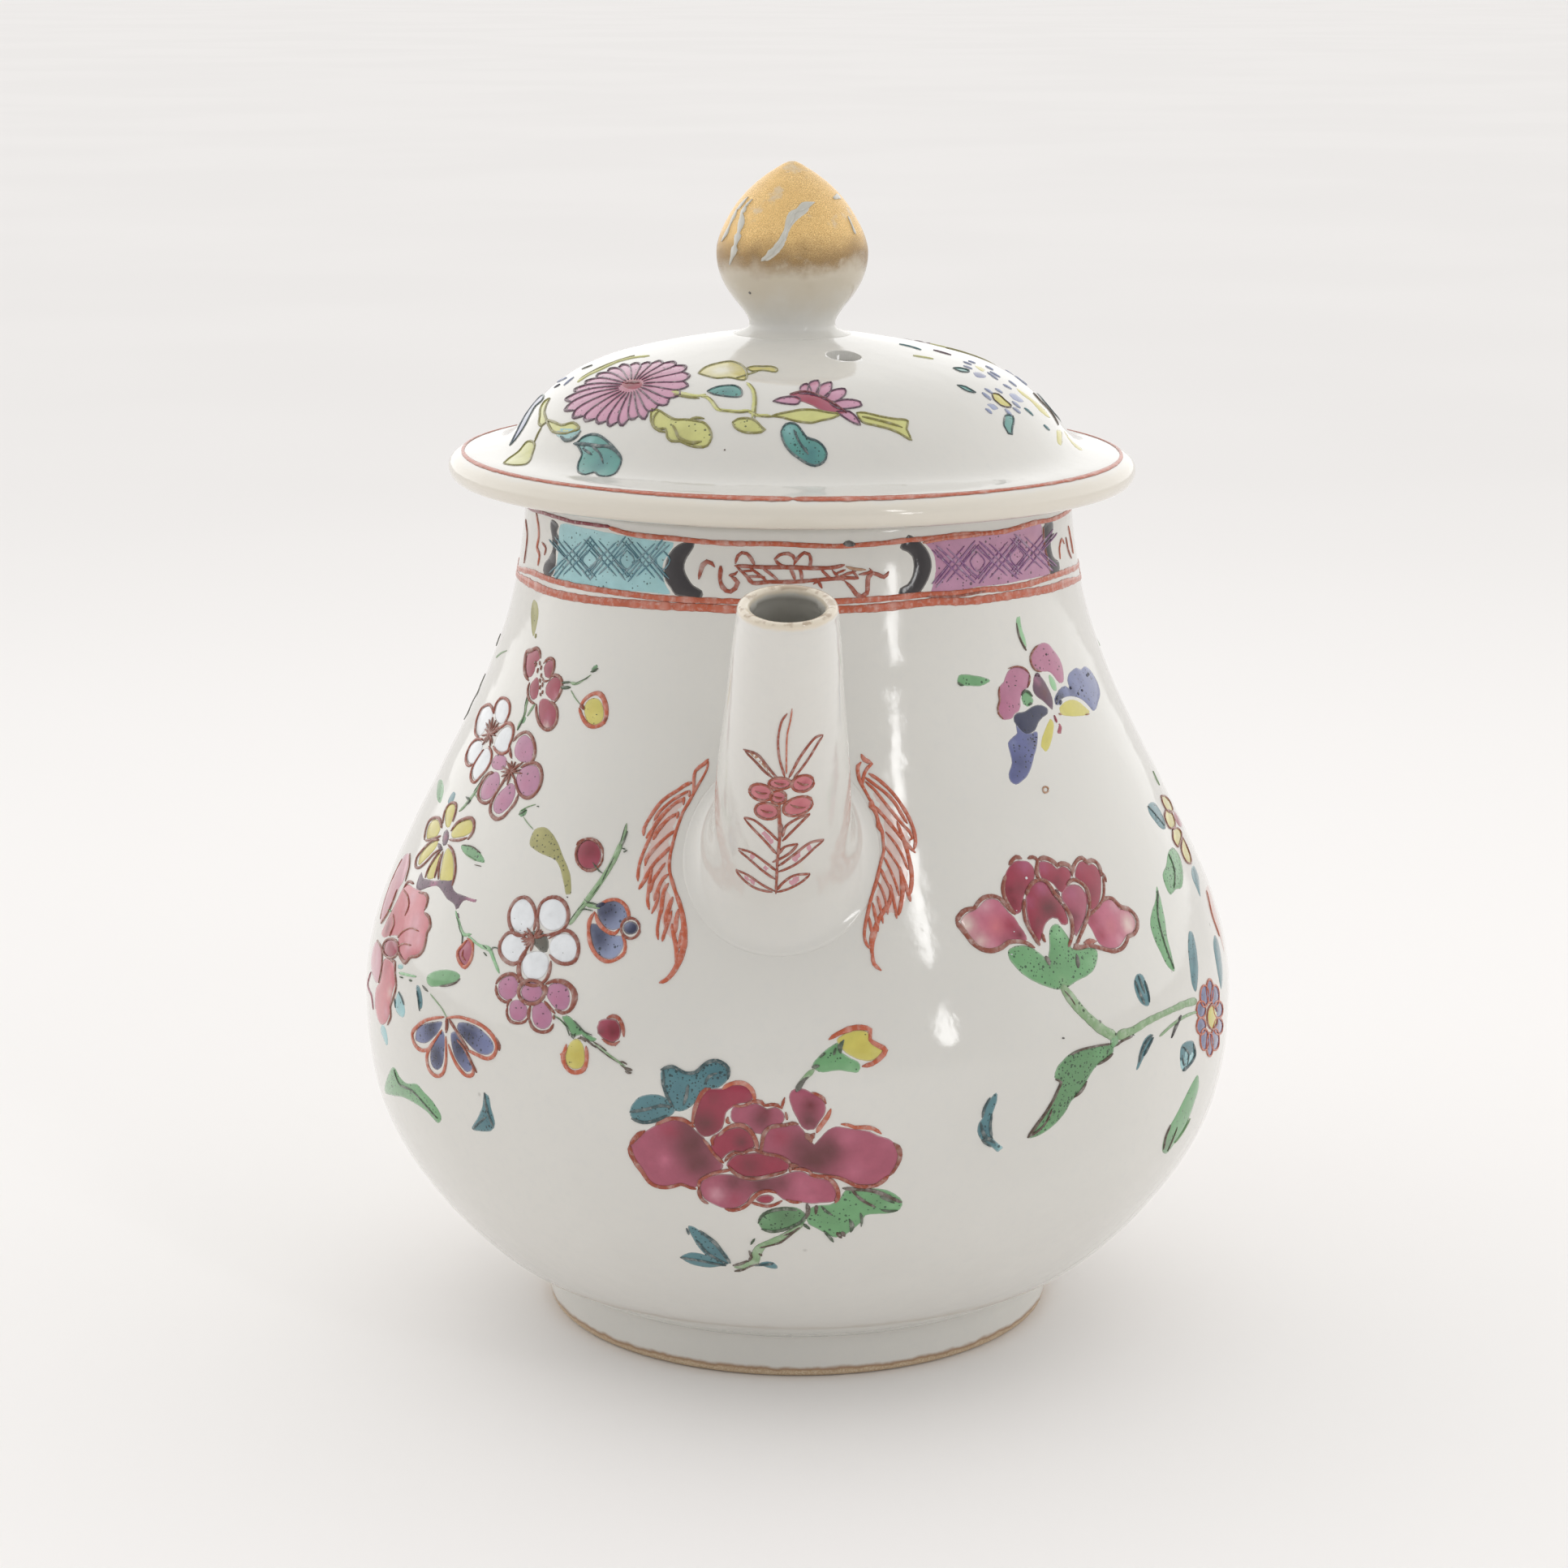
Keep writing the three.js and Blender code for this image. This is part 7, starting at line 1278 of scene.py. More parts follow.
        ("S", "purple", [(26.944, 84.693, 0.141), (30.483, 83.098, 0.173), (34.062, 81.484, 0.142)], 0.1, 1),
        ("S", "purple", [(30.29, 84.73, 0.141), (33.97, 83.11, 0.173), (37.71, 81.467, 0.142)], 0.1, 1),
        ("S", "purple", [(46.328, 84.524, 0.143), (41.298, 82.957, 0.174), (36.653, 81.369, 0.142)], 0.1, 1),
        ("S", "purple", [(51.063, 84.408, 0.144), (45.486, 82.887, 0.175), (40.457, 81.333, 0.142)], 0.1, 1),
        ("S", "purple", [(37.242, 84.636, 0.142), (41.298, 82.957, 0.174), (45.492, 81.244, 0.143)], 0.1, 1),
        ("S", "purple", [(41.14, 84.606, 0.142), (45.486, 82.887, 0.175), (50.048, 81.124, 0.144)], 0.1, 1),
        ("S", "purple", [(58.929, 84.439, 0.145), (52.12, 83.015, 0.176), (46.314, 81.525, 0.143)], 0.1, 1),
        ("S", "purple", [(66.267, 84.092, 0.146), (57.661, 82.813, 0.177), (50.97, 81.397, 0.144)], 0.1, 1),
        ("S", "purple", [(47.13, 84.811, 0.143), (52.12, 83.015, 0.176), (57.553, 81.15, 0.145)], 0.1, 1),
        ("S", "purple", [(51.969, 84.687, 0.144), (57.661, 82.813, 0.177), (64.24, 80.824, 0.146)], 0.1, 1),
        ("S", "brown", [(24.98, 80.299, 0.196), (31.285, 80.032, 0.275), (36.173, 80.101, 0.316), (39.303, 80.165, 0.198)], 0.11, 1),
        ("S", "rust", [(25.007, 85.425, 0.312), (29.229, 85.66, 0.392), (36.097, 85.676, 0.394), (45.253, 85.675, 0.397), (52.138, 85.664, 0.32)], 0.12, 1),
    ]),
    ('knob_wear', 'knob', [
        ("S", "bare", [(-62.456, 116.526, 0.22), (-63.08, 116.346, 0.33), (-63.857, 116.164, 0.567), (-64.724, 115.982, 0.769), (-65.692, 115.798, 0.774), (-66.411, 115.655, 0.854), (-67.19, 115.511, 0.704), (-68.03, 115.367, 0.468), (-68.934, 115.221, 0.383), (-68.197, 114.968, 0.594), (-67.67, 114.714, 0.871), (-67.294, 114.458, 0.976), (-67.022, 114.202, 0.735), (-66.644, 113.926, 0.485), (-66.4, 113.65, 0.471), (-66.304, 113.372, 0.707), (-66.364, 113.092, 1.009), (-67.299, 112.844, 0.888), (-68.422, 112.593, 0.588), (-69.778, 112.339, 0.353), (-71.423, 112.081, 0.491)], 0.03, 0),
        ("S", "bare", [(-51.21, 116.349, 0.333), (-52.28, 116.188, 0.265), (-53.379, 116.027, 0.338), (-54.516, 115.864, 0.58), (-55.694, 115.701, 0.481), (-55.485, 115.507, 0.754), (-55.359, 115.312, 0.939), (-55.303, 115.116, 0.872), (-55.304, 114.92, 0.44), (-53.696, 114.675, 0.598), (-52.269, 114.429, 0.882), (-50.986, 114.183, 1.024), (-49.827, 113.936, 1.024), (-49.45, 113.664, 0.884), (-49.159, 113.391, 0.6), (-48.956, 113.118, 0.44), (-48.848, 112.843, 1.023), (-48.718, 112.528, 0.867), (-48.731, 112.211, 0.582), (-48.882, 111.893, 0.439), (-49.172, 111.572, 1.021), (-50.156, 111.163, 0.779), (-51.55, 110.747, 0.472), (-53.269, 110.326, 0.33), (-55.394, 109.898, 0.489)], 0.03, 0),
        ("S", "bare", [(55.509, 116.483, 0.547), (59.245, 116.523, 0.383), (63.475, 116.56, 0.333), (68.449, 116.592, 0.493), (74.768, 116.616, 0.613)], 0.03, 0),
        ("S", "bare", [(63.243, 114.707, 0.501), (62.824, 114.473, 0.419), (62.485, 114.237, 0.296), (62.219, 114.002, 0.285), (62.031, 113.766, 0.294), (61.881, 113.569, 0.372), (61.797, 113.371, 0.514), (61.778, 113.173, 0.556), (61.833, 112.973, 0.367)], 0.03, 0),
        ("F", "bare", [(18.992, 116.004), (7.219, 115.717), (-3.33, 115.263), (-5.986, 114.496), (-6.936, 113.65), (-11.519, 112.483), (-17.29, 111.37), (-23.687, 110.542), (-19.153, 110.562), (-11.672, 111.226), (-6.363, 112.18), (-4.077, 113.114), (-0.194, 114.038), (7.251, 114.801), (15.851, 115.4)], [], 0, 0.075),
        ("S", "bare", [(25.406, 116.217, 0.149), (21.705, 116.131, 0.305), (18.194, 116.044, 0.563), (14.843, 115.955, 0.762), (11.628, 115.865, 0.899), (8.883, 115.716, 0.781), (6.266, 115.566, 0.518), (3.761, 115.415, 0.327), (1.352, 115.263, 0.423), (-0.015, 114.996, 0.659), (-1.308, 114.728, 0.79), (-2.538, 114.46, 0.704), (-3.712, 114.191, 0.676), (-4.493, 113.922, 0.402), (-5.244, 113.652, 0.327), (-5.972, 113.382, 0.426), (-6.681, 113.111, 0.543), (-8.027, 112.858, 0.47), (-9.348, 112.604, 0.35), (-10.654, 112.349, 0.372), (-11.951, 112.092, 0.569), (-13.419, 111.873, 0.396), (-14.888, 111.653, 0.459), (-16.365, 111.432, 0.7), (-17.895, 111.208, 0.489), (-19.305, 111.043, 0.328), (-20.737, 110.877, 0.366), (-22.197, 110.71, 0.416), (-23.687, 110.542, 0.243)], 0.03, 0),
        ("S", "black", [(-40.83, 107.208, 0.415), (-38.626, 107.208, 0.415)], 0.06, 1),
    ]),
    ('prunus_spray', 'pot', [
        ("F", "crimson", [(-62.022, 72.406), (-60.912, 72.673), (-59.1, 73.012), (-57.753, 72.848), (-56.824, 72.293), (-57.788, 71.828), (-57.416, 71.099), (-58.02, 70.435), (-58.934, 70.262), (-60.318, 70.579), (-61.743, 71.47), (-62.253, 72.064)], [(-59.195, 71.575, 0.661, "crimson", 0.95), (-59.146, 72.599, 0.551, "rose", 0.6), (-58.702, 70.983, 0.44, "deep", 0.5)], 0, 0.09),
        ("F", "crimson", [(-54.921, 71.824), (-54.263, 72.296), (-53.259, 72.557), (-52.202, 72.455), (-51.747, 71.965), (-51.636, 71.222), (-52.372, 70.759), (-53.447, 70.843), (-54.309, 71.246)], [(-53.079, 71.477, 0.547, "deep", 0.5), (-52.754, 72.258, 0.437, "rose", 0.6)], 0, 0.09),
        ("F", "crimson", [(-52.467, 69.898), (-52.07, 70.534), (-50.654, 71.141), (-48.904, 71.047), (-48.078, 70.516), (-47.954, 69.905), (-48.315, 69.254), (-48.878, 68.896), (-50.706, 69.075), (-52.02, 69.436)], [(-50.386, 69.952, 0.654, "crimson", 0.95), (-48.695, 69.347, 0.479, "blush", 0.8)], 0, 0.09),
        ("F", "crimson", [(-57.631, 69.621), (-57.111, 70.176), (-56.284, 70.631), (-55.196, 70.412), (-54.336, 69.607), (-54.089, 68.749), (-54.823, 68.492), (-55.962, 68.575), (-57.147, 69.096)], [(-55.49, 69.502, 0.483, "deep", 0.5), (-56.102, 68.814, 0.352, "rose", 0.6)], 0, 0.09),
        ("F", "crimson", [(-53.041, 68.693), (-51.469, 68.946), (-49.409, 68.764), (-47.722, 68.288), (-47.012, 67.633), (-46.835, 67.033), (-47.66, 66.471), (-48.701, 66.317), (-50.275, 66.507), (-51.806, 67.208), (-52.853, 68.11)], [(-50.367, 68.208, 0.741, "crimson", 1), (-49.138, 67.325, 0.479, "orchid", 0.6), (-48.791, 66.592, 0.479, "pale", 0.8)], 0, 0.09),
        ("S", "brown", [(-58.511, 70.009, 0.311), (-60.713, 70.542, 0.39), (-62.109, 71.436, 0.417), (-62.726, 72.471, 0.469), (-61.018, 72.753, 0.39), (-59.276, 73.163, 0.389), (-57.742, 72.977, 0.388), (-56.709, 72.367, 0.31)], 0.075, 1),
        ("S", "brown", [(-55.192, 71.99, 0.258), (-54.148, 72.546, 0.335), (-53.018, 72.677, 0.335), (-51.962, 72.474, 0.334), (-51.49, 71.961, 0.334), (-51.559, 71.228, 0.308), (-51.915, 70.723, 0.257)], 0.075, 1),
        ("S", "brown", [(-52.093, 70.908, 0.257), (-50.581, 71.284, 0.334), (-48.865, 71.137, 0.359), (-47.961, 70.65, 0.358), (-47.768, 70.045, 0.358), (-47.992, 69.405, 0.333), (-48.672, 68.79, 0.256)], 0.075, 1),
        ("S", "brown", [(-57.978, 69.906, 0.285), (-57.864, 69.282, 0.337), (-56.9, 68.613, 0.336), (-55.44, 68.246, 0.31), (-54.044, 68.188, 0.232)], 0.075, 1),
        ("S", "brown", [(-53.653, 68.224, 0.283), (-52.944, 67.577, 0.335), (-51.852, 66.956, 0.36), (-50.297, 66.419, 0.359), (-48.588, 66.204, 0.358), (-47.345, 66.401, 0.358), (-46.653, 66.988, 0.358), (-46.892, 67.741, 0.358), (-47.639, 68.32, 0.358), (-48.883, 68.685, 0.307), (-50.128, 68.789, 0.231)], 0.075, 1),
        ("S", "brown", [(-54.319, 70.742, 0.232), (-53.331, 70.425, 0.232), (-51.871, 70.676, 0.206)], 0.075, 1),
        ("S", "brown", [(-57.467, 71.856, 0.155), (-57.581, 71.656, 0.194), (-57.694, 71.455, 0.129)], 0.1, 1),
        ("S", "brown", [(-56.763, 72.108, 0.155), (-56.451, 71.92, 0.194), (-56.141, 71.732, 0.129)], 0.1, 1),
        ("S", "brown", [(-55.65, 71.762, 0.155), (-55.55, 71.543, 0.194), (-55.45, 71.324, 0.129)], 0.1, 1),
        ("S", "brown", [(-56.482, 71.436, 0.155), (-56.394, 71.19, 0.194), (-56.306, 70.945, 0.129)], 0.1, 1),
        ("S", "brown", [(-54.895, 71.069, 0.155), (-54.769, 70.866, 0.194), (-54.643, 70.663, 0.129)], 0.1, 1),
        ("S", "brown", [(-54.902, 70.564, 0.155), (-54.651, 70.372, 0.193), (-54.403, 70.18, 0.129)], 0.1, 1),
        ("S", "brown", [(-53.639, 70.298, 0.155), (-53.508, 70.083, 0.193), (-53.377, 69.868, 0.129)], 0.1, 1),
        ("S", "brown", [(-54.129, 70.003, 0.155), (-54.035, 69.785, 0.193), (-53.941, 69.567, 0.129)], 0.1, 1),
        ("S", "brown", [(-52.942, 69.605, 0.154), (-52.849, 69.425, 0.193), (-52.754, 69.245, 0.129)], 0.1, 1),
        ("S", "brown", [(-53.497, 69.305, 0.155), (-53.266, 69.162, 0.193), (-53.036, 69.02, 0.129)], 0.1, 1),
        ("S", "brown", [(-57.996, 72.0, 0.155), (-58.107, 71.838, 0.194), (-58.218, 71.675, 0.13)], 0.1, 1),
        ("S", "greenink", [(-48.294, 70.685, 0.256), (-46.933, 70.856, 0.256), (-45.748, 70.973, 0.179)], 0.09, 1),
        ("S", "greenink", [(-48.154, 70.286, 0.333), (-46.911, 70.362, 0.384), (-45.499, 70.497, 0.281)], 0.1, 1),
        ("S", "sage", [(-45.901, 70.936, 0.332), (-44.47, 70.922, 0.306), (-42.591, 71.43, 0.127), (-41.124, 72.0, 0.102)], 0.06, 1),
        ("S", "greenink", [(-44.718, 70.78, 0.102), (-43.607, 71.171, 0.089), (-42.027, 71.593, 0.089), (-41.26, 71.954, 0.089)], 0.09, 1),
        ("F", "green", [(-41.363, 72.279), (-41.437, 72.618), (-41.0, 72.894), (-40.365, 73.06), (-39.617, 72.888), (-39.597, 72.619), (-40.193, 72.358), (-40.924, 72.21)], [(-40.598, 72.491, 0.474, "greenink", 0.7)], 0.2, 0.09),
        ("S", "greenink", [(-41.348, 72.255, 0.203), (-40.563, 72.431, 0.254), (-39.744, 72.707, 0.178)], 0.11, 1),
        ("S", "sage", [(-45.208, 70.248, 0.102), (-43.764, 69.681, 0.102), (-42.078, 69.159, 0.102)], 0.06, 1),
        ("S", "mint", [(-47.768, 70.045, 0.128), (-48.184, 69.638, 0.102)], 0.05, 1),
        ("F", "yellow", [(-40.973, 69.094), (-40.352, 69.727), (-38.946, 69.997), (-37.563, 69.824), (-36.637, 69.279), (-36.053, 68.47), (-36.3, 67.873), (-37.758, 67.481), (-39.306, 67.659), (-40.524, 68.395)], [(-39.199, 68.857, 0.775, "gold", 0.5), (-37.057, 68.28, 0.646, "straw", 0.4)], 0.15, 0.09),
        ("S", "rust", [(-41.892, 68.879, 0.356), (-41.363, 69.555, 0.381), (-40.278, 70.123, 0.381), (-38.596, 70.46, 0.456), (-37.291, 70.207, 0.582), (-36.159, 69.432, 0.582), (-35.558, 68.624, 0.505), (-35.746, 67.911, 0.455), (-37.546, 67.376, 0.43), (-39.433, 67.529, 0.482), (-40.909, 68.123, 0.432), (-42.084, 68.827, 0.331)], 0.075, 1),
        ("S", "brown", [(-42.008, 69.201, 0.331), (-41.294, 68.948, 0.432), (-40.809, 68.74, 0.254)], 0.1, 1),
        ("S", "brown", [(-35.678, 67.892, 0.379), (-35.302, 68.52, 0.328)], 0.1, 1),
        ("S", "greenink", [(-37.759, 68.498, 0.242), (-37.494, 68.501, 0.242)], 0.11, 1),
        ("S", "sage", [(-56.678, 68.507, 0.181), (-56.68, 67.75, 0.285), (-56.312, 67.282, 0.31), (-56.191, 66.666, 0.362), (-56.649, 65.994, 0.31), (-56.608, 65.372, 0.207)], 0.05, 1),
        ("S", "greenink", [(-57.298, 68.701, 0.091), (-56.89, 67.73, 0.104), (-56.226, 67.039, 0.116), (-56.148, 66.295, 0.129), (-56.519, 65.406, 0.103)], 0.08, 1),
        ("F", "green", [(-57.211, 66.565), (-56.338, 66.777), (-55.125, 66.708), (-55.018, 66.281), (-55.851, 66.074), (-56.874, 66.222)], [(-56.096, 66.425, 0.439, "leaf", 0.6)], 0.2, 0.09),
        ("S", "sage", [(-54.044, 68.188, 0.258), (-54.643, 67.568, 0.31), (-55.14, 66.894, 0.284)], 0.05, 1),
        ("F", "white", [(-69.766, 63.327), (-72.849, 63.672), (-74.826, 64.486), (-74.517, 65.422), (-71.979, 66.163), (-69.063, 66.074), (-67.425, 65.481), (-68.163, 64.75), (-68.461, 63.963)], [], 0, 0.11),
        ("S", "iron", [(-69.308, 63.161, 0.237), (-72.458, 63.325, 0.291), (-73.964, 63.799, 0.292), (-75.262, 64.5, 0.292), (-75.366, 65.415, 0.292), (-73.799, 65.928, 0.318), (-71.928, 66.3, 0.317), (-69.202, 66.189, 0.316), (-67.695, 65.838, 0.263)], 0.09, 1),
        ("F", "white", [(-67.118, 65.902), (-67.874, 66.595), (-67.168, 67.254), (-65.434, 67.529), (-63.149, 67.356), (-61.732, 66.61), (-61.743, 65.973), (-62.4, 65.457), (-64.366, 65.307), (-66.302, 65.606)], [], 0, 0.11),
        ("S", "iron", [(-67.579, 65.851, 0.263), (-68.365, 66.671, 0.289), (-67.448, 67.379, 0.315), (-64.947, 67.618, 0.34), (-62.509, 67.295, 0.339), (-61.359, 66.522, 0.338), (-61.464, 65.876, 0.312), (-61.74, 65.401, 0.26)], 0.09, 1),
        ("F", "white", [(-62.036, 63.145), (-62.643, 64.093), (-61.917, 64.874), (-60.198, 65.439), (-58.482, 65.304), (-57.44, 64.659), (-57.07, 63.945), (-57.557, 63.329), (-58.84, 62.999), (-60.692, 62.981)], [], 0, 0.11),
        ("S", "iron", [(-64.431, 64.659, 0.288), (-62.296, 65.087, 0.339), (-60.832, 65.663, 0.39), (-58.556, 65.611, 0.389), (-57.541, 65.15, 0.363), (-57.164, 64.562, 0.336), (-57.188, 63.933, 0.311), (-56.89, 63.401, 0.336), (-58.104, 62.981, 0.337), (-60.172, 62.913, 0.338), (-62.409, 63.229, 0.287)], 0.09, 1),
        ("F", "white", [(-68.716, 60.799), (-71.243, 61.254), (-72.145, 62.054), (-70.589, 62.745), (-67.757, 63.089), (-66.414, 62.76), (-65.984, 61.785), (-66.712, 61.053)], [], 0, 0.11),
        ("S", "iron", [(-67.433, 63.309, 0.236), (-70.62, 62.897, 0.317), (-72.013, 62.07, 0.344), (-71.775, 61.251, 0.344), (-70.24, 60.733, 0.343), (-68.244, 60.576, 0.316), (-66.875, 60.904, 0.262)], 0.09, 1),
        ("F", "white", [(-64.619, 59.935), (-66.353, 60.585), (-66.319, 61.487), (-65.478, 62.461), (-64.196, 62.843), (-62.44, 62.59), (-61.268, 61.84), (-61.372, 60.945), (-62.193, 60.277), (-63.215, 59.807)], [], 0, 0.11),
        ("S", "iron", [(-65.384, 62.562, 0.236), (-66.018, 61.716, 0.288), (-66.392, 60.708, 0.315), (-65.823, 60.012, 0.314), (-64.258, 59.573, 0.34), (-62.981, 59.634, 0.287), (-62.223, 60.21, 0.287), (-61.288, 60.955, 0.312), (-60.952, 61.751, 0.338), (-61.712, 62.548, 0.313), (-63.957, 63.05, 0.287)], 0.09, 1),
        ("S", "brown", [(-65.668, 64.031, 0.288), (-67.023, 64.441, 0.223), (-69.198, 64.76, 0.197)], 0.12, 1),
        ("S", "brown", [(-65.668, 64.031, 0.288), (-66.625, 64.648, 0.223), (-68.337, 65.183, 0.197)], 0.12, 1),
        ("S", "brown", [(-65.668, 64.031, 0.288), (-66.14, 64.813, 0.223), (-67.301, 65.52, 0.197)], 0.12, 1),
        ("S", "brown", [(-65.668, 64.031, 0.288), (-65.234, 64.774, 0.222), (-65.419, 65.447, 0.196)], 0.12, 1),
        ("S", "brown", [(-65.668, 64.031, 0.288), (-64.456, 64.733, 0.222), (-63.863, 65.362, 0.196)], 0.12, 1),
        ("S", "brown", [(-65.668, 64.031, 0.288), (-63.669, 64.533, 0.222), (-62.34, 64.955, 0.196)], 0.12, 1),
        ("S", "brown", [(-65.668, 64.031, 0.288), (-64.03, 64.333, 0.222), (-63.042, 64.559, 0.196)], 0.12, 1),
        ("S", "brown", [(-65.668, 64.031, 0.288), (-63.969, 64.148, 0.222), (-62.931, 64.188, 0.196)], 0.12, 1),
        ("S", "brown", [(-65.668, 64.031, 0.288), (-66.713, 64.155, 0.223), (-68.506, 64.191, 0.197)], 0.12, 1),
        ("S", "brown", [(-65.668, 64.031, 0.288), (-66.813, 63.821, 0.223), (-68.7, 63.52, 0.197)], 0.12, 1),
        ("S", "brown", [(-65.668, 64.031, 0.288), (-66.086, 63.648, 0.223), (-67.144, 63.188, 0.197)], 0.12, 1),
        ("S", "brown", [(-65.668, 64.031, 0.288), (-65.325, 63.672, 0.223), (-65.593, 63.243, 0.196)], 0.12, 1),
        ("S", "brown", [(-65.668, 64.031, 0.288), (-65.88, 63.479, 0.223), (-66.701, 62.854, 0.197)], 0.12, 1),
        ("S", "brown", [(-65.668, 64.031, 0.288), (-64.042, 63.756, 0.222), (-63.077, 63.407, 0.196)], 0.12, 1),
        ("S", "brown", [(-65.668, 64.031, 0.288), (-64.253, 63.604, 0.222), (-63.48, 63.106, 0.196)], 0.12, 1),
        ("S", "brown", [(-65.668, 64.031, 0.288), (-63.698, 64.626, 0.222), (-62.392, 65.14, 0.196)], 0.12, 1),
        ("S", "brown", [(-65.668, 64.031, 0.288), (-66.481, 64.31, 0.223), (-68.014, 64.508, 0.197)], 0.12, 1),
        ("S", "brown", [(-66.597, 63.923, 0.974), (-64.743, 64.121, 0.971)], 0.13, 1),
        ("F", "lilac", [(-55.46, 63.865), (-55.301, 64.73), (-53.905, 65.232), (-52.028, 65.082), (-50.421, 64.497), (-49.597, 63.716), (-49.69, 63.118), (-50.76, 62.864), (-52.535, 62.83), (-54.606, 63.208)], [(-52.599, 63.712, 1.093, "orchid", 0.45), (-51.928, 64.212, 0.656, "lilac", 0.4)], 0.12, 0.09),
        ("S", "brown", [(-56.585, 64.31, 0.259), (-55.577, 65.039, 0.336), (-53.747, 65.509, 0.361), (-52.0, 65.332, 0.36), (-50.39, 64.746, 0.385), (-49.402, 63.981, 0.41), (-49.257, 63.32, 0.384), (-49.711, 62.969, 0.282)], 0.09, 1),
        ("F", "lilac", [(-51.999, 61.754), (-51.277, 62.406), (-49.947, 62.787), (-47.921, 62.864), (-46.505, 62.308), (-45.759, 61.533), (-45.876, 60.703), (-46.826, 60.15), (-48.241, 60.004), (-49.945, 60.383), (-51.536, 61.068)], [(-48.858, 61.254, 1.088, "orchid", 0.45), (-48.283, 61.737, 0.653, "lilac", 0.4)], 0.12, 0.09),
        ("S", "brown", [(-51.652, 62.343, 0.257), (-50.066, 62.897, 0.359), (-48.143, 63.086, 0.409), (-46.606, 62.723, 0.408), (-45.607, 61.91, 0.382), (-45.462, 60.96, 0.382), (-46.257, 60.22, 0.382), (-47.402, 59.922, 0.357), (-49.243, 60.093, 0.333), (-50.825, 60.655, 0.333), (-52.33, 61.351, 0.283)], 0.09, 1),
        ("F", "lilac", [(-54.085, 57.952), (-55.019, 58.583), (-54.804, 59.45), (-53.877, 60.173), (-52.81, 60.771), (-51.467, 60.708), (-50.509, 60.079), (-50.465, 59.108), (-51.357, 58.322), (-52.542, 57.839)], [(-52.841, 59.101, 1.093, "orchid", 0.45), (-52.257, 59.597, 0.654, "lilac", 0.4)], 0.12, 0.09),
        ("S", "brown", [(-54.655, 60.603, 0.258), (-55.135, 59.931, 0.361), (-55.511, 59.02, 0.413), (-55.432, 58.285, 0.413), (-54.693, 57.692, 0.412), (-52.746, 57.371, 0.437), (-51.311, 57.689, 0.385), (-50.28, 58.518, 0.333), (-49.6, 59.325, 0.384), (-49.641, 60.051, 0.307)], 0.09, 1),
        ("F", "lilac", [(-59.119, 58.605), (-60.182, 59.327), (-60.234, 60.176), (-59.239, 60.909), (-58.12, 61.302), (-56.608, 61.126), (-55.522, 60.381), (-55.61, 59.628), (-56.344, 58.97), (-57.71, 58.555)], [(-58.018, 59.695, 1.102, "orchid", 0.45), (-57.394, 60.205, 0.66, "lilac", 0.4)], 0.12, 0.09),
        ("S", "brown", [(-58.595, 61.084, 0.467), (-59.89, 60.87, 0.338), (-60.705, 60.081, 0.364), (-60.752, 59.319, 0.364), (-60.196, 58.696, 0.39), (-58.813, 58.342, 0.389), (-56.908, 58.379, 0.388), (-55.787, 58.863, 0.361), (-55.263, 59.731, 0.387), (-54.855, 60.457, 0.413), (-54.416, 61.309, 0.387)], 0.09, 1),
        ("F", "lilac", [(-60.657, 61.786), (-60.453, 62.541), (-58.624, 62.86), (-56.7, 62.734), (-55.64, 62.227), (-56.062, 61.746), (-57.76, 61.418), (-59.558, 61.436)], [(-58.362, 61.887, 1.102, "orchid", 0.45), (-57.688, 62.4, 0.66, "lilac", 0.4)], 0.12, 0.09),
        ("S", "brown", [(-53.76, 61.714, 0.283), (-54.833, 62.11, 0.206), (-56.241, 62.473, 0.181)], 0.13, 1),
        ("S", "brown", [(-53.76, 61.714, 0.283), (-54.085, 62.191, 0.206), (-54.694, 62.64, 0.181)], 0.13, 1),
        ("S", "brown", [(-53.76, 61.714, 0.283), (-53.559, 62.217, 0.206), (-53.624, 62.692, 0.18)], 0.13, 1),
        ("S", "brown", [(-53.76, 61.714, 0.283), (-52.511, 62.315, 0.206), (-51.529, 62.884, 0.18)], 0.13, 1),
        ("S", "brown", [(-53.76, 61.714, 0.283), (-52.937, 62.19, 0.206), (-52.38, 62.637, 0.18)], 0.13, 1),
        ("S", "brown", [(-53.76, 61.714, 0.283), (-55.13, 61.799, 0.206), (-56.855, 61.844, 0.181)], 0.13, 1),
        ("S", "brown", [(-53.76, 61.714, 0.283), (-54.937, 61.585, 0.206), (-56.44, 61.418, 0.181)], 0.13, 1),
        ("S", "brown", [(-53.76, 61.714, 0.283), (-54.629, 61.39, 0.206), (-55.792, 61.032, 0.181)], 0.13, 1),
        ("S", "brown", [(-53.76, 61.714, 0.283), (-53.418, 61.122, 0.206), (-53.344, 60.503, 0.18)], 0.13, 1),
        ("S", "brown", [(-53.76, 61.714, 0.283), (-53.887, 61.256, 0.206), (-54.282, 60.768, 0.18)], 0.13, 1),
        ("S", "brown", [(-53.76, 61.714, 0.283), (-52.528, 61.403, 0.206), (-51.601, 61.061, 0.18)], 0.13, 1),
        ("S", "brown", [(-53.76, 61.714, 0.283), (-51.998, 61.815, 0.206), (-50.561, 61.879, 0.18)], 0.13, 1),
        ("S", "brown", [(-53.76, 61.714, 0.283), (-52.463, 61.963, 0.206), (-51.459, 62.179, 0.18)], 0.13, 1),
        ("S", "brown", [(-53.76, 61.714, 0.283), (-54.367, 62.068, 0.206), (-55.276, 62.391, 0.181)], 0.13, 1),
        ("S", "brown", [(-53.76, 61.714, 0.283), (-52.918, 61.484, 0.206), (-52.362, 61.225, 0.18)], 0.13, 1),
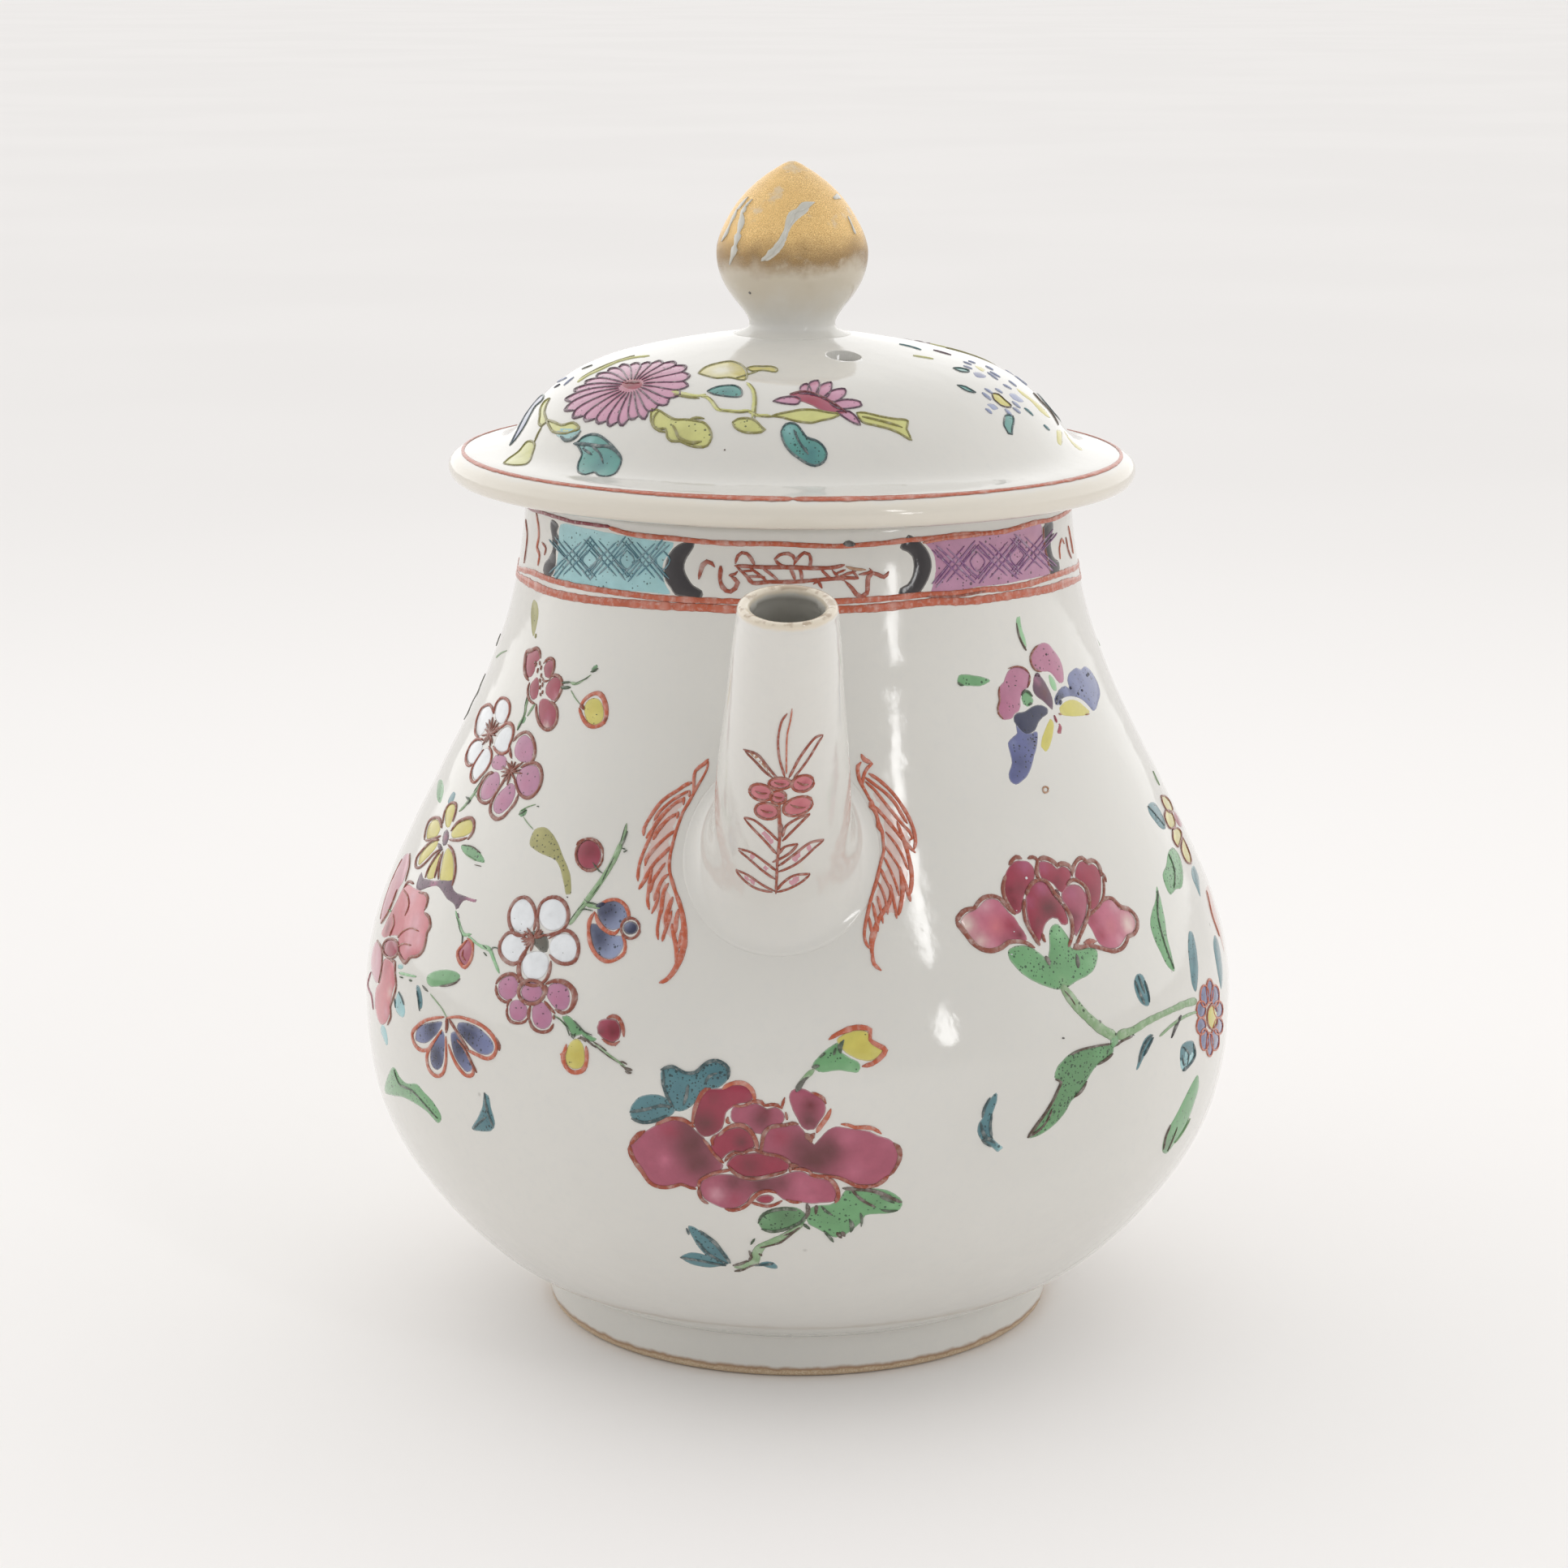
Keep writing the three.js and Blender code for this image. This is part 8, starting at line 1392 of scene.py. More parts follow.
        ("S", "brown", [(-53.873, 61.8, 0.515), (-53.178, 61.567, 0.515)], 0.13, 1),
        ("S", "brown", [(-57.035, 63.824, 0.285), (-56.087, 63.3, 0.388), (-55.054, 62.85, 0.258)], 0.1, 1),
        ("S", "sage", [(-60.609, 60.721, 0.208), (-61.041, 59.851, 0.338), (-61.64, 58.765, 0.391), (-62.446, 57.899, 0.495), (-63.243, 57.157, 0.339), (-64.165, 56.622, 0.235)], 0.05, 1),
        ("S", "greenink", [(-60.946, 60.492, 0.117), (-61.267, 59.697, 0.13), (-61.94, 58.79, 0.13)], 0.09, 1),
        ("S", "greenink", [(-63.873, 58.093, 0.261), (-62.026, 57.955, 0.339), (-62.753, 57.477, 0.235)], 0.09, 1),
        ("S", "green", [(-61.168, 58.636, 0.182), (-59.468, 58.473, 0.26), (-58.345, 58.175, 0.13)], 0.07, 1),
        ("F", "green", [(-47.842, 58.301), (-48.031, 58.766), (-47.284, 58.991), (-46.279, 58.928), (-46.089, 58.549), (-46.647, 58.309), (-47.168, 58.192)], [(-46.951, 58.639, 0.434, "greenink", 0.5)], 0.3, 0.09),
        ("S", "sage", [(-47.685, 58.743, 0.102), (-46.271, 59.255, 0.102), (-44.894, 59.599, 0.089)], 0.07, 1),
        ("S", "greenink", [(-44.44, 59.465, 0.324), (-44.098, 59.484, 0.324)], 0.1, 1),
        ("S", "greenink", [(-47.807, 58.365, 0.115), (-47.095, 58.624, 0.153), (-46.441, 58.935, 0.115)], 0.1, 1),
        ("S", "sage", [(-46.598, 58.254, 0.102), (-45.325, 57.845, 0.102), (-43.655, 57.419, 0.102)], 0.05, 1),
        ("S", "ash", [(-90.376, 67.346, 0.122), (-89.487, 66.371, 0.163), (-87.022, 65.771, 0.162), (-90.941, 64.11, 0.122), (-88.237, 63.484, 0.095), (-91.416, 62.262, 0.082)], 0.05, 1),
        ("S", "ash", [(-89.546, 71.673, 0.162), (-89.669, 70.904, 0.162), (-89.66, 70.354, 0.108)], 0.05, 1),
        ("S", "sage", [(-80.192, 70.144, 0.187), (-77.632, 70.815, 0.239), (-73.258, 71.592, 0.106)], 0.05, 1),
        ("S", "olive", [(-60.969, 74.428, 0.442), (-60.682, 74.003, 0.39)], 0.05, 1),
    ]),
    ('aster_and_buds', 'pot', [
        ("F", "yellow", [(-68.327, 55.464), (-69.381, 56.214), (-68.592, 56.795), (-66.683, 56.909), (-65.664, 56.465), (-65.179, 55.61), (-65.155, 54.922), (-66.417, 54.846)], [(-66.881, 55.908, 1.071, "gold", 0.35)], 0, 0.1),
        ("S", "brown", [(-68.047, 54.884, 0.221), (-69.32, 55.786, 0.316), (-69.22, 56.424, 0.316), (-68.08, 56.93, 0.316), (-66.155, 57.013, 0.315), (-65.211, 56.451, 0.283), (-64.725, 55.521, 0.251)], 0.09, 1),
        ("F", "yellow", [(-63.66, 54.633), (-63.192, 55.402), (-61.469, 56.082), (-59.341, 56.444), (-58.178, 56.116), (-57.755, 55.601), (-58.746, 55.048), (-60.693, 54.568), (-62.805, 54.268)], [(-60.591, 55.364, 1.061, "gold", 0.35)], 0, 0.1),
        ("S", "brown", [(-63.943, 54.714, 0.251), (-63.103, 55.628, 0.313), (-61.258, 56.308, 0.344), (-59.386, 56.619, 0.374), (-57.968, 56.293, 0.373), (-57.337, 55.552, 0.372), (-57.878, 54.731, 0.311)], 0.09, 1),
        ("F", "yellow", [(-72.432, 52.987), (-73.648, 53.68), (-73.208, 54.351), (-71.39, 54.788), (-69.392, 54.683), (-67.949, 54.278), (-67.852, 53.734), (-70.102, 53.073), (-71.576, 52.777)], [(-70.728, 53.836, 1.078, "gold", 0.35)], 0, 0.1),
        ("S", "brown", [(-72.545, 52.542, 0.223), (-74.074, 53.327, 0.287), (-74.547, 54.047, 0.319), (-72.364, 54.829, 0.35), (-69.889, 54.999, 0.348), (-67.578, 54.489, 0.316)], 0.09, 1),
        ("F", "yellow", [(-70.501, 50.434), (-71.394, 51.04), (-70.215, 52.146), (-68.308, 53.042), (-66.742, 53.376), (-66.528, 52.79), (-67.472, 51.898), (-69.036, 50.896), (-69.898, 50.409)], [(-68.847, 51.795, 1.076, "gold", 0.35)], 0, 0.1),
        ("S", "brown", [(-66.59, 53.477, 0.221), (-69.019, 52.993, 0.285), (-71.188, 51.736, 0.318), (-72.242, 50.772, 0.318), (-71.029, 50.108, 0.318), (-69.492, 50.211, 0.285), (-67.766, 51.042, 0.284), (-66.324, 52.125, 0.252), (-64.641, 52.848, 0.22)], 0.09, 1),
        ("F", "yellow", [(-65.255, 49.933), (-65.7, 50.879), (-65.026, 51.881), (-64.286, 52.549), (-63.604, 52.162), (-63.177, 51.187), (-62.913, 50.341)], [(-64.264, 51.279, 1.068, "gold", 0.35)], 0, 0.1),
        ("S", "brown", [(-64.333, 52.787, 0.188), (-65.367, 51.812, 0.252), (-65.875, 50.65, 0.283), (-65.67, 49.834, 0.252)], 0.09, 1),
        ("F", "yellow", [(-61.094, 50.444), (-62.074, 51.449), (-62.894, 52.5), (-62.849, 53.255), (-61.064, 53.122), (-59.376, 52.491), (-58.184, 51.611), (-57.536, 50.73), (-59.332, 50.459)], [(-60.415, 51.794, 1.061, "gold", 0.35)], 0, 0.1),
        ("S", "brown", [(-62.954, 53.56, 0.219), (-60.933, 53.323, 0.281), (-58.864, 52.565, 0.311), (-57.533, 51.556, 0.31), (-57.062, 50.426, 0.279)], 0.09, 1),
        ("S", "brown", [(-72.024, 52.547, 0.223), (-69.525, 53.023, 0.285), (-66.665, 53.852, 0.284)], 0.075, 1),
        ("S", "brown", [(-63.211, 53.98, 0.251), (-60.338, 54.346, 0.312), (-58.239, 54.877, 0.28)], 0.075, 1),
        ("S", "brown", [(-61.411, 50.364, 0.219), (-62.978, 51.646, 0.313), (-63.561, 52.781, 0.251)], 0.1, 1),
        ("S", "brown", [(-62.741, 50.307, 0.219), (-63.196, 51.306, 0.282), (-63.729, 52.45, 0.219)], 0.1, 1),
        ("F", "plum", [(-65.952, 53.959), (-66.32, 54.367), (-65.644, 54.62), (-64.479, 54.483), (-63.568, 54.004), (-63.443, 53.488), (-64.435, 53.263), (-65.387, 53.581)], [(-64.655, 53.997, 0.374, "rose", 0.7)], 0.3, 0.12),
        ("S", "plum", [(-66.139, 53.159, 0.315), (-64.753, 52.908, 0.408), (-64.024, 52.865, 0.282)], 0.12, 1),
        ("F", "green", [(-59.25, 53.986), (-57.251, 54.352), (-54.836, 54.29), (-52.691, 53.936), (-51.35, 53.448), (-52.806, 53.287), (-55.502, 53.368), (-57.899, 53.575)], [(-55.011, 53.703, 1.051, "leaf", 0.5)], 0.35, 0.09),
        ("S", "sepia", [(-58.68, 54.126, 0.109), (-55.808, 54.339, 0.124), (-53.277, 54.081, 0.123)], 0.1, 1),
        ("S", "sepia", [(-53.663, 52.921, 0.093), (-51.896, 53.009, 0.092)], 0.06, 1),
        ("S", "sage", [(-56.779, 53.461, 0.109), (-53.654, 53.292, 0.123)], 0.1, 1),
        ("F", "plum", [(-67.478, 48.6), (-68.092, 49.43), (-67.963, 50.075), (-66.393, 49.746), (-64.203, 49.92), (-61.746, 50.22), (-59.39, 50.797), (-57.217, 51.002), (-56.984, 50.437), (-55.538, 50.055), (-53.505, 50.055), (-51.169, 50.092), (-48.957, 50.103), (-50.861, 49.768), (-53.01, 49.579), (-53.45, 49.027), (-53.515, 48.572), (-52.324, 48.157), (-52.666, 47.81), (-54.695, 48.915), (-57.193, 49.177), (-58.937, 49.539), (-61.078, 49.778), (-63.618, 49.217), (-65.705, 48.592)], [(-62.289, 49.845, 0.797, "orchid", 0.8), (-51.382, 49.915, 1.045, "orchid", 0.9), (-58.013, 50.133, 1.056, "plum", 0.6), (-54.116, 49.076, 0.787, "plum", 0.5)], 0.35, 0.09),
        ("F", "olive", [(-43.558, 56.109), (-43.409, 57.449), (-41.53, 57.869), (-39.632, 57.482), (-37.865, 56.683), (-36.358, 55.692), (-34.987, 54.835), (-33.86, 53.819), (-33.296, 52.472), (-33.904, 52.345), (-34.956, 53.296), (-36.184, 54.442), (-37.505, 55.16), (-39.475, 55.39), (-41.523, 55.607)], [(-40.298, 56.589, 1.289, "olive", 0.6), (-42.398, 57.237, 0.775, "straw", 0.3)], 0.6, 0.08),
        ("S", "black", [(-40.367, 55.698, 0.241), (-40.137, 55.706, 0.241)], 0.11, 1),
        ("S", "black", [(-33.809, 52.256, 0.266), (-33.589, 52.262, 0.265)], 0.1, 1),
        ("S", "black", [(-35.687, 54.517, 0.2), (-35.511, 54.519, 0.2)], 0.11, 1),
        ("F", "crimson", [(-29.913, 56.382), (-29.858, 55.812), (-30.206, 55.325), (-30.891, 55.015), (-31.787, 54.94), (-32.73, 55.116), (-33.54, 55.508), (-34.047, 56.041), (-34.139, 56.613), (-33.786, 57.108), (-33.061, 57.427), (-32.118, 57.504), (-31.156, 57.323), (-30.372, 56.922)], [(-31.96, 56.498, 1.022, "deep", 0.75), (-32.209, 55.359, 0.767, "crimson", 0.5), (-30.712, 55.622, 0.612, "rose", 0.5)], 0, 0.12),
        ("S", "brown", [(-29.577, 56.408, 0.273), (-29.496, 55.919, 0.243), (-29.695, 55.469, 0.24), (-30.148, 55.111, 0.267), (-30.803, 54.886, 0.296), (-31.59, 54.821, 0.3), (-32.42, 54.922, 0.273), (-33.199, 55.179, 0.244), (-33.833, 55.561, 0.241), (-34.237, 56.025, 0.268), (-34.355, 56.515, 0.298), (-34.165, 56.971, 0.301), (-33.69, 57.339, 0.274), (-32.991, 57.571, 0.244), (-32.16, 57.638, 0.241), (-31.304, 57.533, 0.267), (-30.53, 57.268, 0.297), (-29.933, 56.877, 0.299), (-29.577, 56.408, 0.273)], 0.09, 1),
        ("S", "brown", [(-34.536, 56.85, 0.223), (-34.374, 57.075, 0.236), (-34.059, 57.273, 0.231), (-33.618, 57.427, 0.213), (-33.087, 57.526, 0.193), (-32.511, 57.56, 0.185), (-31.938, 57.527, 0.195), (-31.415, 57.43, 0.215), (-30.983, 57.277, 0.232)], 0.13, 1),
        ("S", "greenink", [(-30.971, 55.601, 0.12), (-29.597, 54.947, 0.15), (-28.951, 54.79, 0.12)], 0.12, 1),
        ("S", "sage", [(-26.884, 59.38, 0.21), (-26.811, 58.276, 0.419), (-27.193, 57.278, 0.599), (-27.708, 55.992, 0.628), (-28.631, 54.539, 0.598), (-29.773, 53.063, 0.658), (-30.783, 51.864, 0.599), (-31.598, 50.814, 0.509), (-32.215, 49.919, 0.3)], 0.06, 1),
        ("S", "greenink", [(-26.956, 59.237, 0.09), (-27.086, 57.98, 0.12), (-27.193, 57.278, 0.135)], 0.1, 1),
        ("S", "greenink", [(-26.412, 58.719, 0.15), (-26.719, 57.727, 0.18), (-26.887, 57.299, 0.12)], 0.1, 1),
        ("S", "greenink", [(-27.624, 56.414, 0.15), (-28.175, 55.265, 0.18), (-28.693, 53.981, 0.12)], 0.1, 1),
        ("S", "greenink", [(-28.832, 53.832, 0.12), (-29.656, 52.795, 0.12)], 0.1, 1),
        ("S", "greenink", [(-26.757, 57.169, 0.135), (-26.097, 57.145, 0.12)], 0.1, 1),
        ("S", "greenink", [(-26.37, 56.849, 0.135), (-25.809, 57.067, 0.12)], 0.1, 1),
        ("S", "sage", [(-30.536, 51.886, 0.449), (-29.258, 51.857, 0.448), (-28.092, 51.746, 0.239)], 0.06, 1),
        ("S", "greenink", [(-30.868, 52.344, 0.135), (-30.255, 52.119, 0.15), (-29.369, 52.125, 0.12), (-28.318, 52.005, 0.119)], 0.1, 1),
        ("S", "greenink", [(-31.255, 51.194, 0.12), (-30.607, 51.462, 0.135), (-29.093, 51.455, 0.12)], 0.1, 1),
        ("S", "greenink", [(-30.531, 52.165, 0.12), (-31.532, 51.239, 0.12), (-32.338, 50.186, 0.12)], 0.09, 1),
        ("F", "sky", [(-28.696, 52.015), (-27.479, 52.391), (-25.848, 52.612), (-24.592, 52.332), (-23.868, 51.724), (-23.768, 51.044), (-24.37, 50.381), (-25.419, 50.027), (-26.648, 50.163), (-27.775, 50.734), (-28.492, 51.505)], [(-26.945, 51.631, 1.775, "navy", 0.95), (-27.625, 52.13, 1.015, "navy", 0.6), (-24.436, 50.583, 0.758, "sky", 0.6)], 0.25, 0.09),
        ("F", "sky", [(-29.079, 50.318), (-28.18, 50.396), (-26.829, 49.873), (-25.269, 49.585), (-24.02, 49.652), (-23.565, 49.0), (-23.773, 48.188), (-24.636, 47.597), (-25.7, 47.509), (-27.214, 47.907), (-28.181, 48.764), (-28.869, 49.672)], [(-27.549, 49.371, 1.52, "navy", 0.95), (-28.557, 50.114, 0.762, "navy", 0.7), (-26.619, 48.76, 1.011, "navy", 0.6)], 0.25, 0.09),
        ("F", "navy", [(-21.964, 50.483), (-21.994, 50.231), (-22.221, 50.016), (-22.599, 49.879), (-23.055, 49.847), (-23.501, 49.926), (-23.85, 50.101), (-24.031, 50.338), (-24.006, 50.59), (-23.778, 50.807), (-23.394, 50.946), (-22.93, 50.978), (-22.481, 50.898), (-22.136, 50.721)], [(-23.527, 50.649, 0.505, "sky", 0.6)], 0.25, 0.12),
        ("S", "rust", [(-28.334, 52.045, 0.239), (-27.276, 52.504, 0.358), (-25.754, 52.688, 0.388), (-24.332, 52.268, 0.417), (-23.553, 51.471, 0.416), (-23.531, 51.033, 0.327)], 0.075, 1),
        ("S", "rust", [(-28.678, 51.351, 0.239), (-27.863, 50.519, 0.418), (-26.437, 49.905, 0.447), (-25.096, 49.763, 0.387), (-24.553, 50.23, 0.268)], 0.1, 1),
        ("S", "rust", [(-28.777, 51.412, 0.299), (-29.246, 50.609, 0.448), (-29.004, 49.522, 0.418), (-28.124, 48.353, 0.417), (-26.666, 47.51, 0.417), (-25.224, 47.286, 0.416), (-23.787, 47.774, 0.386), (-23.213, 48.272, 0.356), (-23.406, 49.149, 0.356), (-24.041, 49.719, 0.297)], 0.075, 1),
        ("S", "brown", [(-21.644, 50.477, 0.329), (-21.638, 50.168, 0.325), (-21.793, 49.887, 0.293), (-22.089, 49.665, 0.264), (-22.492, 49.53, 0.268), (-22.954, 49.497, 0.301), (-23.422, 49.571, 0.33), (-23.84, 49.742, 0.326), (-24.16, 49.991, 0.294), (-24.339, 50.287, 0.265), (-24.356, 50.596, 0.268), (-24.205, 50.88, 0.301), (-23.904, 51.105, 0.33), (-23.49, 51.242, 0.326), (-23.016, 51.275, 0.293), (-22.541, 51.2, 0.265), (-22.122, 51.026, 0.268), (-21.811, 50.775, 0.3), (-21.644, 50.477, 0.329)], 0.09, 1),
        ("S", "navy", [(-28.698, 51.835, 0.388), (-28.104, 52.092, 0.448), (-27.557, 52.274, 0.299)], 0.12, 1),
        ("F", "white", [(-38.262, 50.133), (-38.109, 49.463), (-38.426, 48.875), (-39.151, 48.484), (-40.149, 48.364), (-41.236, 48.54), (-42.212, 48.977), (-42.88, 49.59), (-43.089, 50.261), (-42.777, 50.857), (-42.005, 51.259), (-40.943, 51.382), (-39.821, 51.201), (-38.867, 50.754)], [], 0, 0.11),
        ("F", "white", [(-33.036, 50.789), (-32.971, 50.153), (-33.369, 49.598), (-34.152, 49.232), (-35.177, 49.125), (-36.255, 49.297), (-37.181, 49.716), (-37.766, 50.301), (-37.875, 50.939), (-37.474, 51.504), (-36.644, 51.881), (-35.564, 51.991), (-34.461, 51.812), (-33.562, 51.382)], [], 0, 0.11),
        ("F", "white", [(-30.069, 48.036), (-30.07, 47.454), (-30.501, 46.943), (-31.274, 46.604), (-32.241, 46.504), (-33.217, 46.662), (-34.017, 47.048), (-34.482, 47.586), (-34.512, 48.17), (-34.091, 48.683), (-33.299, 49.024), (-32.3, 49.124), (-31.301, 48.963), (-30.505, 48.574)], [], 0, 0.11),
        ("F", "white", [(-38.111, 47.171), (-38.046, 46.558), (-38.429, 46.012), (-39.183, 45.639), (-40.163, 45.512), (-41.187, 45.658), (-42.059, 46.047), (-42.604, 46.603), (-42.705, 47.218), (-42.335, 47.768), (-41.562, 48.143), (-40.544, 48.269), (-39.492, 48.121), (-38.624, 47.729)], [], 0, 0.11),
        ("F", "white", [(-38.202, 46.445), (-36.856, 47.034), (-35.044, 47.099), (-34.204, 46.625), (-33.96, 45.799), (-34.479, 45.026), (-35.567, 44.54), (-36.881, 44.595), (-37.859, 45.049), (-38.341, 45.853)], [], 0, 0.11),
        ("S", "brown", [(-37.742, 48.777, 0.271), (-37.949, 49.885, 0.362), (-39.193, 51.022, 0.393), (-41.124, 51.487, 0.424), (-42.586, 50.915, 0.425), (-42.949, 49.868, 0.425), (-42.149, 48.822, 0.424), (-40.774, 48.134, 0.423), (-39.372, 48.19, 0.332), (-38.451, 48.554, 0.241)], 0.075, 1),
        ("S", "brown", [(-36.837, 48.879, 0.241), (-37.761, 50.047, 0.362), (-37.784, 51.318, 0.392), (-36.204, 52.02, 0.422), (-34.344, 51.882, 0.421), (-33.026, 51.098, 0.42), (-32.646, 50.017, 0.36), (-33.134, 49.41, 0.3), (-34.8, 48.818, 0.3), (-35.991, 48.549, 0.271)], 0.075, 1),
        ("S", "brown", [(-34.979, 48.378, 0.21), (-34.054, 48.897, 0.3), (-32.49, 49.404, 0.389), (-30.926, 48.998, 0.419), (-29.975, 48.045, 0.418), (-30.114, 46.912, 0.418), (-31.536, 46.487, 0.418), (-33.063, 46.608, 0.359), (-34.249, 47.046, 0.27)], 0.075, 1),
        ("S", "brown", [(-38.421, 47.99, 0.211), (-40.234, 48.2, 0.332), (-41.949, 48.13, 0.364), (-42.794, 47.302, 0.394), (-42.788, 46.506, 0.424), (-41.502, 45.735, 0.424), (-39.708, 45.535, 0.423), (-38.562, 46.041, 0.362), (-37.974, 46.83, 0.271)], 0.075, 1),
        ("S", "brown", [(-37.816, 47.349, 0.271), (-38.589, 46.397, 0.452), (-38.675, 45.379, 0.543), (-38.012, 44.453, 0.512), (-36.667, 44.046, 0.421), (-35.157, 44.116, 0.36), (-33.899, 44.807, 0.389), (-33.647, 45.834, 0.359), (-33.786, 46.53, 0.24)], 0.075, 1),
        ("S", "brown", [(-37.291, 48.192, 0.361), (-38.264, 48.342, 0.271), (-39.319, 48.594, 0.211)], 0.13, 1),
        ("S", "brown", [(-37.291, 48.192, 0.361), (-38.077, 48.505, 0.271), (-38.942, 48.923, 0.211)], 0.13, 1),
        ("S", "brown", [(-37.291, 48.192, 0.361), (-37.141, 48.683, 0.271), (-37.053, 49.278, 0.211)], 0.13, 1),
        ("S", "brown", [(-37.291, 48.192, 0.361), (-36.714, 48.518, 0.271), (-36.197, 48.949, 0.211)], 0.13, 1),
        ("S", "brown", [(-37.291, 48.192, 0.361), (-36.39, 48.413, 0.271), (-35.553, 48.738, 0.21)], 0.13, 1),
        ("S", "brown", [(-37.291, 48.192, 0.361), (-38.345, 47.977, 0.271), (-39.473, 47.864, 0.211)], 0.13, 1),
        ("S", "brown", [(-37.291, 48.192, 0.361), (-38.209, 47.851, 0.271), (-39.196, 47.612, 0.211)], 0.13, 1),
        ("S", "brown", [(-37.291, 48.192, 0.361), (-37.747, 47.621, 0.271), (-38.266, 47.153, 0.211)], 0.13, 1),
        ("S", "brown", [(-37.291, 48.192, 0.361), (-37.295, 47.531, 0.271), (-37.365, 46.975, 0.211)], 0.13, 1),
        ("S", "brown", [(-37.291, 48.192, 0.361), (-37.945, 47.74, 0.271), (-38.662, 47.391, 0.211)], 0.13, 1),
        ("S", "brown", [(-37.291, 48.192, 0.361), (-37.896, 48.172, 0.271), (-38.566, 48.257, 0.211)], 0.13, 1),
        ("S", "brown", [(-37.291, 48.192, 0.361), (-36.877, 48.571, 0.271), (-36.523, 49.055, 0.211)], 0.13, 1),
        ("F", "ash", [(-38.19, 48.584), (-37.238, 48.862), (-35.805, 48.71), (-34.851, 48.11), (-34.721, 47.249), (-35.303, 47.099), (-36.35, 47.377), (-37.375, 47.827)], [(-36.549, 48.063, 0.767, "sepia", 0.6)], 0.5, 0.13),
        ("F", "rose", [(-49.232, 46.518), (-47.984, 45.994), (-47.611, 44.868), (-48.337, 44.091), (-49.808, 44.53), (-50.42, 45.179), (-49.873, 45.829)], [(-48.712, 44.7, 0.52, "crimson", 0.9), (-49.26, 45.803, 0.364, "blush", 0.7)], 0, 0.09),
        ("S", "rust", [(-49.457, 46.588, 0.214), (-48.283, 46.392, 0.336), (-47.714, 45.886, 0.305), (-47.49, 44.886, 0.366), (-48.28, 43.996, 0.397), (-49.923, 44.438, 0.398), (-50.628, 45.117, 0.399), (-49.988, 45.841, 0.306), (-49.361, 46.454, 0.214)], 0.075, 1),
        ("S", "iron", [(-49.489, 45.472, 0.153), (-49.353, 44.898, 0.184), (-48.474, 44.589, 0.153)], 0.12, 1),
        ("S", "mint", [(-53.939, 48.509, 0.185), (-52.378, 47.705, 0.338), (-50.508, 46.8, 0.368), (-48.909, 47.038, 0.245)], 0.05, 1),
        ("S", "greenink", [(-53.379, 48.148, 0.139), (-51.978, 47.468, 0.154), (-51.202, 46.844, 0.123)], 0.08, 1),
        ("S", "greenink", [(-52.035, 47.312, 0.108), (-50.57, 46.643, 0.123), (-50.149, 45.816, 0.107)], 0.08, 1),
        ("S", "mint", [(-49.443, 46.811, 0.214), (-46.737, 46.323, 0.305), (-44.443, 46.208, 0.517), (-43.5, 45.609, 0.394), (-41.716, 44.397, 0.333)], 0.05, 1),
        ("S", "greenink", [(-45.993, 46.429, 0.137), (-44.913, 46.215, 0.152)], 0.09, 1),
        ("S", "greenink", [(-44.365, 46.073, 0.137), (-43.989, 46.489, 0.152), (-43.105, 46.536, 0.121), (-42.456, 46.551, 0.121)], 0.09, 1),
        ("S", "greenink", [(-45.48, 45.843, 0.122), (-44.708, 45.586, 0.122)], 0.09, 1),
        ("S", "iron", [(-42.934, 47.284, 0.243), (-43.095, 47.045, 0.334)], 0.1, 1),
        ("S", "ash", [(-40.145, 49.136, 0.16), (-40.002, 49.139, 0.16)], 0.12, 1),
        ("S", "ash", [(-40.094, 48.573, 0.16), (-39.951, 48.576, 0.16)], 0.12, 1),
        ("S", "ash", [(-33.749, 49.208, 0.159), (-33.619, 49.207, 0.159)], 0.12, 1),
        ("S", "ash", [(-32.191, 47.406, 0.159), (-32.066, 47.404, 0.159)], 0.12, 1),
        ("S", "ash", [(-40.264, 46.547, 0.16), (-40.125, 46.549, 0.16)], 0.12, 1),
        ("S", "ash", [(-41.674, 49.452, 0.161), (-41.527, 49.455, 0.161)], 0.12, 1),
        ("F", "olive", [(-65.531, 77.505), (-63.227, 77.372), (-61.504, 76.382), (-61.193, 74.876), (-61.679, 73.949), (-64.121, 75.027), (-65.801, 76.506)], [(-63.028, 75.931, 1.38, "olive", 0.4)], 0.1, 0.06),
        ("F", "green", [(-81.811, 57.175), (-78.999, 57.761), (-74.34, 57.193), (-73.069, 56.144), (-76.326, 56.069)], [], 0.2, 0.06),
        ("F", "teal", [(-70.4, 56.698), (-70.007, 57.813), (-68.184, 57.823), (-68.1, 56.703)], [], 0.2, 0.06),
    ]),
    ('spray_low', 'pot', [
        ("S", "green", [(-76.279, 44.716, 0.193), (-73.842, 45.029, 0.224)], 0.04, 1),
        ("F", "green", [(-56.156, 41.613), (-55.344, 42.297), (-53.713, 42.839), (-51.706, 43.223), (-49.646, 43.333), (-48.633, 43.047), (-49.183, 42.51), (-50.951, 41.915), (-52.877, 41.4), (-54.644, 41.085), (-55.616, 41.248)], [(-51.99, 42.496, 1.307, "green", 0.6), (-55.249, 41.469, 0.789, "mint", 0.6)], 0.15, 0.09),
        ("S", "sepia", [(-52.534, 41.46, 0.154), (-50.591, 41.9, 0.184), (-49.147, 42.441, 0.184), (-48.635, 42.868, 0.122)], 0.1, 1),
        ("S", "mint", [(-63.8, 40.706, 0.314), (-60.822, 41.052, 0.281), (-58.599, 41.318, 0.218)], 0.05, 1),
        ("S", "greenink", [(-63.307, 40.408, 0.22), (-62.264, 40.487, 0.188)], 0.09, 1),
        ("S", "greenink", [(-60.334, 40.675, 0.187), (-59.532, 40.704, 0.218)], 0.09, 1),
